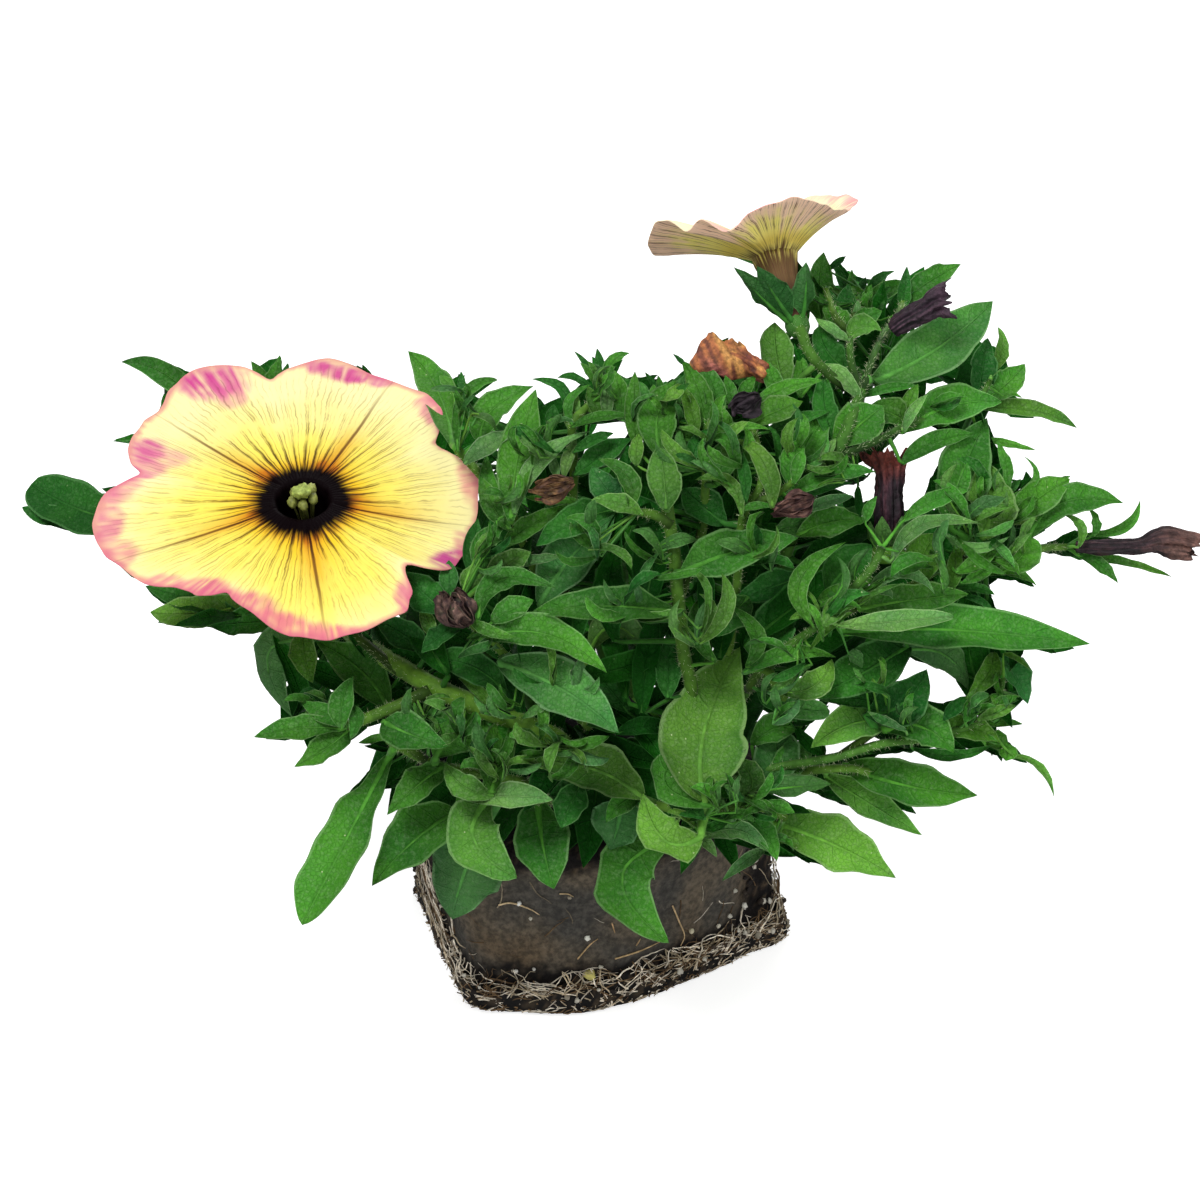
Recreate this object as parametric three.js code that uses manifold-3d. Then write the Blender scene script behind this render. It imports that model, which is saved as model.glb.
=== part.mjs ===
// Young trailing petchoa lifted out of its pot: a pressed peat root ball, leafy hairy shoots,
// one open flower facing up on the left, one flower seen from its back at the top,
// and several withered flowers and buds. Millimetres, +Z up, origin under the middle of the
// root ball on the flat face it stands on, -Y is the front.
import * as THREE from "three";
import { mergeVertices } from "three/addons/utils/BufferGeometryUtils.js";
import Module from "manifold-3d";

const wasm = await Module();
wasm.setup();

// ---------------------------------------------------------------- driving dimensions, mm
const BALL_HEIGHT = 32; // root ball, foot to rim
const GAP = 0.3; // clear space between neighbouring pieces
const BLADE = 0.55; // thickness of a leaf over its midrib, to each side
const PETIOLE = 0.6; // half width of a leaf stalk
const PETAL = 0.7; // thickness of the corolla
const STEM_SIDES = 5;
const SMALL_LEAF = 12; // leaves shorter than this get one station between stalk and tip
const MEDIUM_LEAF = 19; // and shorter than this two
const CROWN_R = 6.5; // woody base where all shoots start
const MAT_BAND = 1.6; // thickness of the matted roots at the foot

// Foot outline of the root ball (angle in degrees, radius at the foot, radius at the rim).
const BALL = [
  [0.0,28.65,26.25],
  [12.86,27.98,27.17],
  [25.71,28.64,27.99],
  [38.57,29.56,29.91],
  [51.43,30.54,30.12],
  [64.29,31.18,30.55],
  [77.14,30.67,30.71],
  [90.0,31.0,31.0],
  [102.86,31.8,31.8],
  [115.71,33.49,32.78],
  [128.57,35.79,34.54],
  [141.43,36.81,34.73],
  [154.29,36.68,35.67],
  [167.14,34.61,35.09],
  [180.0,31.5,35.4],
  [192.86,30.33,36.04],
  [205.71,30.73,37.36],
  [218.57,32.87,38.66],
  [231.43,36.02,37.88],
  [244.29,32.71,35.67],
  [257.14,30.63,33.57],
  [270.0,27.8,31.78],
  [282.86,25.33,30.81],
  [295.71,23.73,29.67],
  [308.57,23.37,28.97],
  [321.43,23.99,28.53],
  [334.29,25.91,27.11],
  [347.14,30.1,26.67],
];

// Stems: name, node, radius at the foot, radius at the tip, path.
const STEMS = [
  ["main","shoot_main",2.2,1.7,[[-3.0,-6.0,32.0],[-6.31,-41.07,58.44],[-16.12,-42.16,63.97],[-25.03,-40.74,67.46],[-31.57,-35.68,68.97],[-37.79,-26.79,68.33],[-42.56,-17.95,67.86],[-45.2,-12.0,62.8]]],
  ["left","shoot_left",1.5,1.2,[[-26.56,-41.26,67.72],[-30.94,-42.17,65.73],[-35.58,-43.49,64.31],[-39.42,-44.73,63.19]]],
  ["lowleft","shoot_low_left",1.3,1.0,[[-5.0,-10.0,32.0],[-11.93,-40.27,50.83],[-20.58,-41.53,53.32],[-27.64,-41.69,55.56],[-33.21,-43.56,60.11]]],
  ["cshoot","shoot_low_left",1.2,1.0,[[-27.64,-41.69,55.56],[-30.65,-42.63,58.74],[-33.37,-44.31,63.33]]],
  ["dshoot","shoot_front_left",1.4,1.1,[[-4.0,-11.0,32.0],[-9.58,-40.18,47.51],[-15.82,-43.65,49.8],[-18.48,-46.89,53.38]]],
  ["cent","shoot_centre",2.0,1.5,[[4.0,-4.0,32.0],[8.74,-38.04,56.3],[14.11,-40.62,65.64],[12.87,-41.56,74.83],[12.0,-41.54,83.37],[11.34,-39.81,90.68],[10.4,-38.3,96.2],[9.83,-34.56,100.44]]],
  ["tee","shoot_centre",1.3,0.9,[[10.85,-39.25,94.95],[8.39,-39.28,96.63],[5.79,-39.93,97.4]]],
  ["csh","shoot_centre_left",1.3,0.9,[[-4.0,-4.0,32.0],[-1.59,-35.97,57.91],[-9.41,-39.81,66.99],[-15.49,-41.98,75.03],[-19.36,-43.65,80.12],[-21.53,-44.67,84.16]]],
  ["ulsh","shoot_upper_left",1.4,1.0,[[-3.0,-2.0,32.0],[0.0,-30.08,60.27],[-6.33,-31.59,75.24],[-10.97,-31.43,85.57],[-13.69,-31.51,93.28],[-17.99,-26.96,97.28],[-22.31,-23.13,100.79]]],
  ["tcsh","shoot_top_centre",1.2,0.9,[[-6.33,-31.59,75.24],[-4.73,-27.55,87.29],[-4.07,-25.69,98.45],[-4.38,-23.31,105.07],[-1.57,-20.41,107.3],[0.47,-16.35,108.95]]],
  ["tmsh","shoot_top_mid",1.3,0.9,[[12.0,-41.54,83.37],[15.63,-31.22,88.91],[16.48,-29.55,98.36],[16.63,-26.51,104.67],[18.15,-21.8,107.84]]],
  ["trsh","shoot_top_right",1.3,0.9,[[4.0,-2.0,32.0],[18.41,-30.78,64.22],[21.28,-31.78,78.82],[21.96,-34.2,93.6],[25.07,-31.28,99.08],[23.73,-24.18,105.42]]],
  ["trsh2","shoot_top_right",1.0,0.8,[[22.88,-33.47,95.81],[27.0,-33.59,97.54],[30.11,-32.22,99.47]]],
  ["ursh","shoot_upper_right",2.0,1.5,[[5.0,0.0,32.0],[21.94,-25.45,59.73],[27.2,-25.63,75.95],[30.78,-26.54,88.57],[33.19,-27.29,95.73],[36.64,-26.65,101.37],[39.32,-20.72,104.9],[41.51,-14.21,107.12]]],
  ["ursha","shoot_upper_right",1.3,1.0,[[41.48,-14.59,106.93],[40.18,-9.41,110.42],[40.35,-4.25,112.64],[41.28,1.78,113.58]]],
  ["urshb","shoot_upper_right",1.1,0.9,[[41.66,-14.34,107.0],[43.38,-8.09,109.26],[45.61,-0.34,110.89],[48.48,7.79,111.12]]],
  ["pedic","shoot_upper_right",1.0,1.2,[[39.09,-14.29,107.83],[35.54,-13.69,110.65],[33.17,-12.33,113.18],[32.21,-9.13,115.06],[31.42,-5.8,116.58]]],
  ["ursh2","shoot_right_upper",1.3,0.9,[[36.14,-27.18,101.08],[42.35,-23.42,101.92],[48.28,-18.47,103.0],[55.35,-11.8,102.78],[61.15,-7.49,103.19],[63.15,-5.73,105.97]]],
  ["rmsh","shoot_right",1.8,1.2,[[6.0,-6.0,32.0],[15.91,-37.69,56.12],[23.23,-39.49,66.83],[28.62,-42.51,75.29],[34.02,-44.5,81.03],[38.31,-42.51,85.18],[41.71,-40.72,88.4],[43.24,-39.49,91.21]]],
  ["rrsh","shoot_right_far",1.3,1.0,[[34.56,-43.26,81.12],[43.84,-34.49,80.09],[52.03,-30.0,82.34],[57.82,-26.42,85.06],[61.08,-22.76,88.65],[61.18,-20.01,92.67]]],
  ["rrsh2","shoot_right_far",1.2,0.8,[[55.73,-27.33,83.73],[63.04,-24.19,81.97],[67.79,-20.84,82.05],[71.61,-18.86,82.05],[75.67,-15.96,80.94]]],
  ["rrsh3","shoot_right_far",1.2,0.9,[[59.58,-24.19,86.67],[64.7,-21.09,87.58],[68.98,-19.18,87.11],[71.77,-16.39,87.3]]],
  ["lowr","shoot_low_right",1.7,1.0,[[7.0,-6.0,32.0],[21.53,-38.83,51.31],[29.95,-42.83,55.28],[37.6,-44.61,57.84],[43.88,-43.68,59.47],[51.22,-41.06,59.15],[59.64,-36.49,59.25],[63.21,-33.72,61.41],[64.35,-31.8,65.09]]],
  ["lowr2","shoot_low_right",1.2,0.9,[[21.53,-38.83,51.31],[30.05,-41.87,53.51],[38.58,-43.37,55.03],[42.36,-42.19,53.68]]],
  ["frsh","shoot_front_right",1.4,1.0,[[5.0,-12.0,32.0],[12.71,-42.43,47.31],[19.72,-45.29,48.91],[26.04,-45.23,48.88],[29.32,-44.18,46.48]]],
  ["r3sh","shoot_front",1.3,1.0,[[3.0,-12.0,32.0],[8.75,-41.81,47.51],[13.37,-46.62,48.93],[16.02,-51.49,50.95]]],
  ["hairy","shoot_right",1.2,1.0,[[23.23,-39.49,66.83],[25.53,-43.75,72.79],[27.55,-45.05,69.64],[30.53,-44.24,64.69]]],
  ["lowr3","shoot_low_right",1.0,0.8,[[37.6,-44.61,57.84],[42.38,-42.43,60.4],[45.65,-40.46,61.68],[47.82,-38.76,62.57]]],
  ["bsh1","shoot_behind_flower",1.2,0.9,[[-31.51,-36.76,68.62],[-43.39,-24.87,72.94],[-59.26,-10.0,78.65],[-72.46,9.89,81.96]]],
  ["bsh2","shoot_behind_flower",1.0,0.8,[[-43.49,-23.78,72.96],[-49.18,-8.63,86.11],[-55.22,9.87,96.18]]],
  ["ursha2","shoot_upper_right",0.9,0.7,[[41.28,1.78,113.58],[42.28,6.3,114.42],[44.34,18.35,112.74]]],
  ["ursha3","shoot_upper_right",0.9,0.7,[[40.58,-3.3,112.81],[38.17,-1.93,115.23],[37.16,7.19,116.89]]],
  ["urshc","shoot_upper_right",0.9,0.7,[[48.48,7.79,111.12],[49.74,10.86,111.8],[50.88,15.73,111.69]]],
  ["trunk_1","shoot_back_right",2.2,1.9,[[3.54,-3.57,33.5],[10.33,0.25,37.0],[15.42,5.11,44.0]]],
  ["back_01","shoot_back_right",1.5,0.9,[[15.42,5.11,44.0],[24.14,5.56,49.65],[32.86,6.01,54.63],[41.58,6.46,58.95],[50.3,6.91,62.6],[59.01,7.36,65.58],[67.73,7.81,67.9]]],
  ["back_02","shoot_back_right",1.5,0.9,[[15.42,5.11,44.0],[20.14,6.92,50.13],[24.86,8.73,55.6],[29.59,10.54,60.4],[34.31,12.35,64.53],[39.03,14.16,67.99],[43.76,15.98,70.79]]],
  ["back_03","shoot_back_right",1.5,0.9,[[15.42,5.11,44.0],[21.27,10.05,48.67],[27.13,15.0,52.67],[32.99,19.95,56.0],[38.84,24.89,58.67],[44.7,29.84,60.67],[50.56,34.79,62.0]]],
  ["back_04","shoot_back_right",1.5,0.9,[[15.42,5.11,44.0],[20.93,12.16,55.07],[26.44,19.2,65.46],[31.96,26.25,75.2],[37.47,33.3,84.26],[42.98,40.35,92.66],[48.5,47.39,100.39]]],
  ["trunk_2","shoot_back_middle",2.2,1.9,[[1.1,-2.3,33.5],[1.38,4.89,37.0],[1.59,12.29,44.0]]],
  ["back_05","shoot_back_middle",1.5,0.9,[[1.59,12.29,44.0],[6.09,19.02,51.91],[10.59,25.75,59.16],[15.09,32.48,65.74],[19.59,39.21,71.65],[24.09,45.93,76.9],[28.59,52.66,81.48]]],
  ["back_06","shoot_back_middle",1.5,0.9,[[1.59,12.29,44.0],[2.65,17.96,51.92],[3.71,23.64,59.17],[4.77,29.31,65.75],[5.82,34.98,71.67],[6.88,40.66,76.92],[7.94,46.33,81.51]]],
  ["back_07","shoot_back_middle",1.5,0.9,[[1.59,12.29,44.0],[1.33,18.17,48.0],[1.06,24.05,51.33],[0.8,29.93,54.0],[0.53,35.8,56.0],[0.27,41.68,57.33],[0.0,47.56,58.0]]],
  ["back_08","shoot_back_middle",1.5,0.9,[[1.59,12.29,44.0],[-1.04,18.04,50.55],[-3.68,23.79,56.43],[-6.32,29.54,61.65],[-8.95,35.29,66.2],[-11.59,41.04,70.08],[-14.23,46.79,73.3]]],
  ["trunk_3","shoot_back_left",2.2,1.9,[[-1.49,-3.49,33.5],[-8.12,0.54,37.0],[-13.09,5.56,44.0]]],
  ["back_09","shoot_back_left",1.5,0.9,[[-13.09,5.56,44.0],[-17.48,14.77,49.33],[-21.87,23.98,54.0],[-26.26,33.19,58.0],[-30.65,42.4,61.33],[-35.05,51.61,64.0],[-39.44,60.82,66.0]]],
  ["back_10","shoot_back_left",1.5,0.9,[[-13.09,5.56,44.0],[-17.99,11.07,52.33],[-22.88,16.59,59.99],[-27.77,22.11,66.98],[-32.67,27.63,73.31],[-37.56,33.14,78.97],[-42.45,38.66,83.97]]],
  ["back_11","shoot_back_left",1.5,0.9,[[-13.09,5.56,44.0],[-22.52,11.05,50.33],[-31.94,16.54,56.0],[-41.37,22.04,61.0],[-50.79,27.53,65.33],[-60.21,33.02,69.0],[-69.64,38.52,72.0]]],
  ["back_12","shoot_back_left",1.5,0.9,[[-13.09,5.56,44.0],[-22.52,8.09,53.85],[-31.94,10.63,63.04],[-41.36,13.17,71.56],[-50.79,15.71,79.41],[-60.21,18.24,86.6],[-69.63,20.78,93.12]]],
  ["back_13","shoot_back_left",1.5,0.9,[[-13.09,5.56,44.0],[-21.74,5.25,48.68],[-30.4,4.95,52.69],[-39.05,4.64,56.03],[-47.7,4.34,58.71],[-56.35,4.03,60.72],[-65.0,3.73,62.06]]],
  ["back_14","shoot_back_middle",1.5,0.9,[[1.59,12.29,44.0],[2.88,14.98,52.84],[4.16,17.68,61.01],[5.45,20.37,68.51],[6.73,23.07,75.34],[8.01,25.76,81.51],[9.3,28.45,87.02]]],
  ["back_15","shoot_back_middle",1.5,0.9,[[1.59,12.29,44.0],[-0.8,14.57,51.69],[-3.2,16.84,58.7],[-5.6,19.12,65.06],[-7.99,21.4,70.74],[-10.39,23.67,75.76],[-12.78,25.95,80.11]]],
];

// Leaves: id, stem, point on the stem, base, middle, tip, direction the showing side faces,
// half width, place of the greatest width, bluntness of the tip, fold in degrees, 1 when the underside shows.
const LEAVES = [
  ["k001","back_01",[21.69,5.43,48.07],[22.56,4.96,48.2],[35.74,-2.24,51.05],[48.92,-9.44,49.48],[0.029,0.141,0.99],5.11,0.52,1.0,15,0],
  ["k003","back_01",[32.68,6.0,54.53],[33.24,6.81,54.35],[40.71,17.75,52.51],[48.19,28.7,46.53],[0.557,-0.086,0.826],4.75,0.41,1.0,11,0],
  ["k008","back_01",[60.15,7.41,65.88],[60.47,8.35,66.05],[64.49,20.04,68.82],[68.5,31.72,68.1],[0.31,-0.188,0.932],4.53,0.46,1.0,11,0],
  ["k017","back_02",[24.77,8.69,55.49],[24.42,8.44,56.39],[19.37,4.83,70.39],[14.32,1.21,80.74],[0.812,0.375,0.448],4.88,0.43,1.0,14,0],
  ["k018","back_02",[27.75,9.84,58.52],[28.17,10.74,58.52],[34.12,23.28,59.27],[40.07,35.82,56.22],[0.27,-0.04,0.962],5.14,0.43,1.0,10,0],
  ["k019","back_02",[30.72,10.98,61.39],[31.31,10.22,61.68],[39.15,0.08,66.67],[47.0,-10.07,68.61],[-0.164,0.203,0.965],4.06,0.42,1.0,15,0],
  ["k029","back_03",[27.01,14.9,52.59],[27.57,15.73,52.63],[35.14,26.87,54.31],[42.71,38.01,52.64],[-0.101,0.068,0.992],4.48,0.45,1.0,9,0],
  ["k030","back_03",[30.7,18.02,54.7],[31.29,17.62,55.4],[39.4,12.17,65.35],[47.5,6.72,70.48],[-0.186,0.691,0.699],5.11,0.48,1.0,22,0],
  ["k034","back_03",[45.46,30.48,60.84],[45.36,31.48,60.81],[44.04,43.98,60.96],[42.72,56.49,57.1],[0.539,0.179,0.823],4.42,0.42,1.0,10,0],
  ["k044","back_04",[26.33,19.06,65.26],[27.28,18.8,65.45],[41.05,14.91,68.69],[54.83,11.03,66.92],[0.104,0.529,0.842],5.44,0.4,1.0,12,0],
  ["k047","back_04",[36.75,32.38,83.08],[37.22,31.92,83.84],[43.15,26.04,94.21],[49.08,20.15,100.98],[-0.348,0.643,0.682],4.61,0.52,1.0,13,0],
  ["k049","back_04",[43.7,41.26,93.67],[44.67,41.42,93.47],[56.49,43.3,91.79],[68.32,45.18,86.67],[0.244,0.187,0.952],3.98,0.47,1.0,19,0],
  ["k054","back_05",[4.83,17.14,49.7],[4.49,18.07,49.8],[-0.54,31.54,52.55],[-5.56,45.02,52.04],[0.198,-0.008,0.98],4.85,0.42,1.0,20,0],
  ["k058","back_05",[16.17,34.09,67.16],[16.74,33.71,67.89],[24.38,28.58,78.18],[32.02,23.46,83.67],[-0.378,0.565,0.734],4.88,0.44,1.0,11,0],
  ["k070","back_06",[3.02,19.95,54.46],[3.37,19.61,55.33],[8.3,14.74,68.76],[13.24,9.87,78.21],[-0.319,0.815,0.484],5.28,0.54,1.0,15,0],
  ["k071","back_06",[3.69,23.52,59.02],[2.92,24.12,59.25],[-6.37,31.32,62.82],[-15.67,38.53,63.18],[0.08,-0.165,0.983],4.5,0.51,1.0,16,0],
  ["k082","back_07",[1.4,16.52,46.88],[2.02,17.3,47.02],[10.42,27.76,49.69],[18.82,38.22,48.49],[-0.227,0.114,0.967],4.89,0.53,1.0,11,0],
  ["k084","back_07",[1.07,23.93,51.27],[0.33,24.6,51.4],[-8.96,33.07,54.04],[-18.26,41.55,53.5],[0.066,-0.05,0.997],4.47,0.42,1.0,21,0],
  ["k085","back_07",[0.9,27.63,52.96],[1.8,27.95,53.25],[13.73,32.2,57.39],[25.66,36.45,56.94],[-0.327,0.602,0.729],4.73,0.53,1.0,14,0],
  ["k097","back_08",[-0.31,16.43,48.72],[-0.26,15.94,49.59],[0.41,9.05,63.06],[1.08,2.16,73.29],[0.105,0.862,0.495],4.47,0.49,1.0,9,0],
  ["k098","back_08",[-1.97,20.05,52.61],[-2.82,20.56,52.73],[-13.5,27.0,54.58],[-24.19,33.43,51.96],[0.021,0.095,0.995],4.22,0.5,1.0,12,0],
  ["k101","back_08",[-6.95,30.92,62.74],[-7.02,31.9,62.92],[-8.06,45.35,66.26],[-9.09,58.79,65.92],[0.148,-0.098,0.984],4.48,0.52,1.0,11,0],
  ["k114","back_09",[-24.55,29.59,56.44],[-25.05,29.41,57.29],[-31.65,26.97,69.16],[-38.25,24.53,76.64],[0.094,0.948,0.304],4.9,0.54,1.0,15,0],
  ["k126","back_10",[-16.62,9.53,50.0],[-17.61,9.39,49.95],[-30.22,7.67,49.71],[-42.83,5.96,44.96],[-0.196,0.013,0.981],4.32,0.48,1.0,19,0],
  ["k129","back_10",[-25.87,19.96,64.26],[-26.59,20.63,64.42],[-36.42,29.75,66.96],[-46.25,38.87,64.81],[-0.171,-0.205,0.964],4.75,0.48,1.0,12,0],
  ["k140","back_11",[-19.88,9.51,48.56],[-20.03,10.49,48.45],[-21.92,22.76,48.18],[-23.8,35.03,44.97],[-0.181,0.111,0.977],4.34,0.54,1.0,13,0],
  ["k143","back_11",[-37.69,19.89,59.05],[-37.34,20.69,59.55],[-33.07,30.54,66.43],[-28.8,40.38,69.91],[-0.693,-0.076,0.717],3.8,0.45,1.0,12,0],
  ["k144","back_11",[-43.63,23.35,62.04],[-44.25,22.82,62.6],[-52.34,15.84,71.0],[-60.43,8.87,76.44],[-0.107,0.76,0.641],4.54,0.46,1.0,9,0],
  ["k156","back_12",[-25.81,8.98,57.07],[-25.48,9.06,58.01],[-21.1,10.02,71.22],[-16.72,10.98,81.31],[-0.889,-0.285,0.358],4.24,0.52,1.0,9,0],
  ["k158","back_12",[-37.69,12.18,68.24],[-37.71,13.15,68.46],[-38.06,27.03,72.62],[-38.41,40.9,73.0],[-0.547,-0.149,0.824],4.69,0.49,1.0,20,0],
  ["k162","back_13",[-19.32,5.34,47.37],[-20.07,4.67,47.39],[-30.18,-4.26,48.92],[-40.3,-13.19,47.39],[-0.028,0.031,0.999],4.48,0.46,1.0,16,0],
  ["k163","back_13",[-24.77,5.14,50.08],[-25.11,5.94,50.58],[-29.42,16.07,57.79],[-33.72,26.2,61.69],[-0.028,-0.49,0.871],4.3,0.54,1.0,17,0],
  ["k165","back_13",[-35.67,4.76,54.73],[-36.6,5.14,54.77],[-48.98,10.16,55.76],[-61.36,15.19,52.29],[-0.199,-0.256,0.946],4.2,0.41,1.0,19,0],
  ["k168","back_13",[-52.02,4.18,59.71],[-52.46,5.08,59.64],[-57.68,15.85,59.64],[-62.89,26.61,56.56],[-0.432,-0.081,0.898],3.6,0.43,1.0,18,0],
  ["k177","back_14",[2.52,14.23,50.36],[2.25,13.66,51.14],[-1.28,6.26,62.29],[-4.8,-1.14,70.12],[0.12,0.76,0.638],4.75,0.5,1.0,17,0],
  ["k178","back_14",[3.33,15.93,55.7],[3.06,16.89,55.81],[-0.54,30.05,58.51],[-4.14,43.22,58.08],[0.088,-0.062,0.994],4.26,0.46,1.0,18,0],
  ["k179","back_14",[4.14,17.62,60.84],[4.94,17.32,61.35],[15.34,13.34,68.87],[25.73,9.36,73.11],[-0.443,0.147,0.884],4.09,0.54,1.0,17,0],
  ["k192","back_15",[-3.15,16.8,58.56],[-3.99,16.46,59.0],[-14.51,12.19,65.28],[-25.03,7.92,68.26],[0.167,0.507,0.846],4.29,0.55,1.0,9,0],
  ["k195","back_15",[-7.68,21.1,70.0],[-8.6,21.48,70.12],[-20.6,26.48,72.81],[-32.61,31.47,72.6],[0.172,0.173,0.97],4.57,0.49,1.0,11,0],
  ["l01","bsh1",[-72.46,9.89,81.96],[-65.86,15.18,89.39],[-74.17,22.65,95.88],[-83.56,28.99,96.29],[-0.357,-0.737,0.574],2.27,0.45,1.0,14,0],
  ["l02","bsh1",[-72.46,9.89,81.96],[-73.19,16.89,85.39],[-78.63,18.85,85.53],[-84.84,21.56,84.44],[-0.295,-0.571,0.766],0.99,0.45,1.0,14,0],
  ["l03","bsh1",[-69.72,5.76,81.28],[-76.64,6.24,75.37],[-88.39,11.43,75.37],[-99.38,20.51,76.79],[-0.302,-0.568,0.766],4.81,0.62,0.45,14,0],
  ["l04","bsh1",[-72.46,9.89,81.96],[-86.84,10.13,72.56],[-95.22,14.12,73.27],[-100.84,18.33,73.35],[-0.302,-0.568,0.766],2.05,0.45,1.0,14,0],
  ["l08","bsh1",[-52.48,-16.36,76.21],[-58.12,-17.35,68.84],[-67.66,-12.81,69.97],[-75.92,-7.11,69.89],[-0.266,-0.585,0.766],2.28,0.45,1.0,14,0],
  ["l09","bsh1",[-53.21,-15.68,76.47],[-57.44,-15.33,70.61],[-66.62,-15.14,68.52],[-74.66,-11.35,67.09],[-0.263,-0.587,0.766],3.36,0.45,1.0,14,0],
  ["l10","bsh1",[-46.64,-21.83,74.11],[-49.65,-20.03,69.39],[-57.13,-19.0,68.72],[-64.22,-16.61,67.03],[-0.23,-0.6,0.766],2.76,0.45,1.0,14,0],
  ["l11","bsh1",[-43.15,-25.11,72.85],[-46.24,-26.99,69.5],[-53.65,-25.35,66.01],[-50.15,-26.48,55.32],[-0.323,-0.942,0.087],3.57,0.45,1.0,14,1],
  ["l12","bsh1",[-45.25,-23.13,73.61],[-47.49,-27.86,72.05],[-47.04,-32.18,69.36],[-45.42,-35.72,66.17],[-0.195,-0.613,0.766],2.42,0.45,1.0,14,0],
  ["l13","main",[-45.2,-12.0,62.8],[-50.28,-16.61,59.34],[-46.85,-20.51,57.6],[-43.31,-22.24,56.27],[-0.189,-0.614,0.766],1.97,0.45,1.0,14,0],
  ["l14","left",[-32.8,-42.7,65.16],[-33.48,-38.29,63.04],[-38.17,-32.89,67.06],[-45.68,-26.38,68.85],[-0.162,-0.622,0.766],3.7,0.45,1.0,14,0],
  ["l15","left",[-39.42,-44.73,63.19],[-40.51,-45.0,62.81],[-46.83,-44.12,62.53],[-54.3,-42.67,60.17],[-0.2,-0.611,0.766],2.24,0.5,1.0,14,0],
  ["l16","left",[-39.13,-44.63,63.28],[-39.06,-43.78,62.35],[-42.37,-46.25,60.3],[-47.72,-47.09,57.22],[-0.183,-0.616,0.766],2.65,0.42,1.0,14,0],
  ["l17","left",[-39.42,-44.73,63.19],[-39.77,-49.05,65.1],[-39.93,-45.83,67.95],[-38.45,-41.81,70.44],[-0.17,-0.62,0.766],2.11,0.4,1.0,14,0],
  ["l18","left",[-39.42,-44.73,63.19],[-39.67,-45.28,63.83],[-42.89,-43.63,64.73],[-47.07,-40.34,65.32],[-0.183,-0.616,0.766],1.76,0.45,1.0,14,0],
  ["l21","cshoot",[-33.37,-44.31,63.33],[-33.52,-46.02,64.57],[-29.03,-48.9,63.81],[-23.43,-50.26,62.6],[-0.124,-0.631,0.766],3.55,0.3,1.0,14,0],
  ["l22","lowleft",[-31.99,-43.15,59.12],[-33.52,-39.21,54.77],[-39.67,-49.69,45.99],[-46.21,-59.69,36.23],[-0.167,-0.621,0.766],4.55,0.72,0.75,14,0],
  ["l23","lowleft",[-24.48,-41.61,54.55],[-24.44,-42.71,55.03],[-28.6,-45.33,53.06],[-33.43,-47.83,49.07],[-0.122,-0.631,0.766],2.91,0.42,1.0,14,0],
  ["l24","dshoot",[-18.48,-46.89,53.38],[-16.44,-51.12,54.47],[-21.12,-50.01,55.27],[-24.24,-45.68,57.17],[-0.089,-0.637,0.766],2.21,0.45,1.0,14,0],
  ["l25","lowleft",[-21.07,-41.54,53.47],[-22.94,-41.78,46.22],[-29.32,-45.62,43.3],[-36.06,-49.6,37.23],[-0.124,-0.631,0.766],5.2,0.38,1.0,14,0],
  ["l26","dshoot",[-17.05,-45.15,51.46],[-17.64,-45.48,50.45],[-19.68,-51.36,46.59],[-12.89,-55.94,42.44],[-0.075,-0.638,0.766],4.83,0.42,0.7,14,0],
  ["l27","dshoot",[-15.82,-43.65,49.8],[-19.4,-44.43,42.25],[-22.05,-45.18,35.71],[-23.85,-44.48,28.02],[-0.142,-0.986,0.087],6.84,0.4,0.8,14,1],
  ["l28","dshoot",[-18.48,-46.89,53.38],[-20.19,-50.87,53.45],[-13.33,-51.36,54.43],[-7.29,-51.19,53.63],[-0.059,-0.64,0.766],2.32,0.45,1.0,14,0],
  ["l29","dshoot",[-18.48,-46.89,53.38],[-16.74,-51.06,54.97],[-15.59,-46.3,59.45],[-14.48,-39.98,63.02],[-0.067,-0.639,0.766],4.2,0.42,1.0,26,0],
  ["l30","lowleft",[-26.14,-41.65,55.08],[-25.65,-45.28,58.02],[-21.95,-42.51,61.33],[-16.06,-39.59,63.0],[-0.092,-0.636,0.766],4.43,0.5,1.0,14,0],
  ["l32","main",[-16.3,-42.13,64.04],[-14.74,-44.1,68.81],[-20.58,-40.47,71.69],[-27.58,-38.23,71.1],[-0.09,-0.636,0.766],2.81,0.45,1.0,14,0],
  ["l33","main",[-15.13,-42.05,63.41],[-15.18,-46.54,65.19],[-18.36,-43.3,67.88],[-22.22,-39.82,69.1],[-0.08,-0.638,0.766],1.03,0.45,1.0,14,0],
  ["l34","main",[-29.19,-37.52,68.42],[-26.97,-37.32,72.41],[-31.16,-34.68,74.27],[-35.47,-31.3,75.1],[-0.132,-0.629,0.766],2.6,0.45,1.0,14,0],
  ["l35","csh",[-21.52,-44.67,84.14],[-23.44,-41.28,81.21],[-27.08,-38.91,83.0],[-30.55,-34.48,84.89],[-0.117,-0.632,0.766],3.04,0.45,1.0,14,0],
  ["l39","csh",[-19.51,-43.72,80.39],[-18.54,-47.72,82.9],[-15.27,-43.12,87.48],[-6.72,-43.65,86.38],[-0.061,-0.64,0.766],2.02,0.5,1.0,14,0],
  ["l42","csh",[-17.63,-42.9,77.83],[-18.02,-47.1,79.23],[-8.38,-47.58,80.47],[1.06,-51.65,75.86],[-0.037,-0.642,0.766],3.14,0.45,1.0,14,0],
  ["l44","csh",[-14.43,-41.6,73.62],[-15.42,-44.88,74.04],[-6.12,-49.31,72.13],[2.89,-54.05,66.86],[-0.027,-0.642,0.766],4.69,0.45,1.0,14,0],
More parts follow.
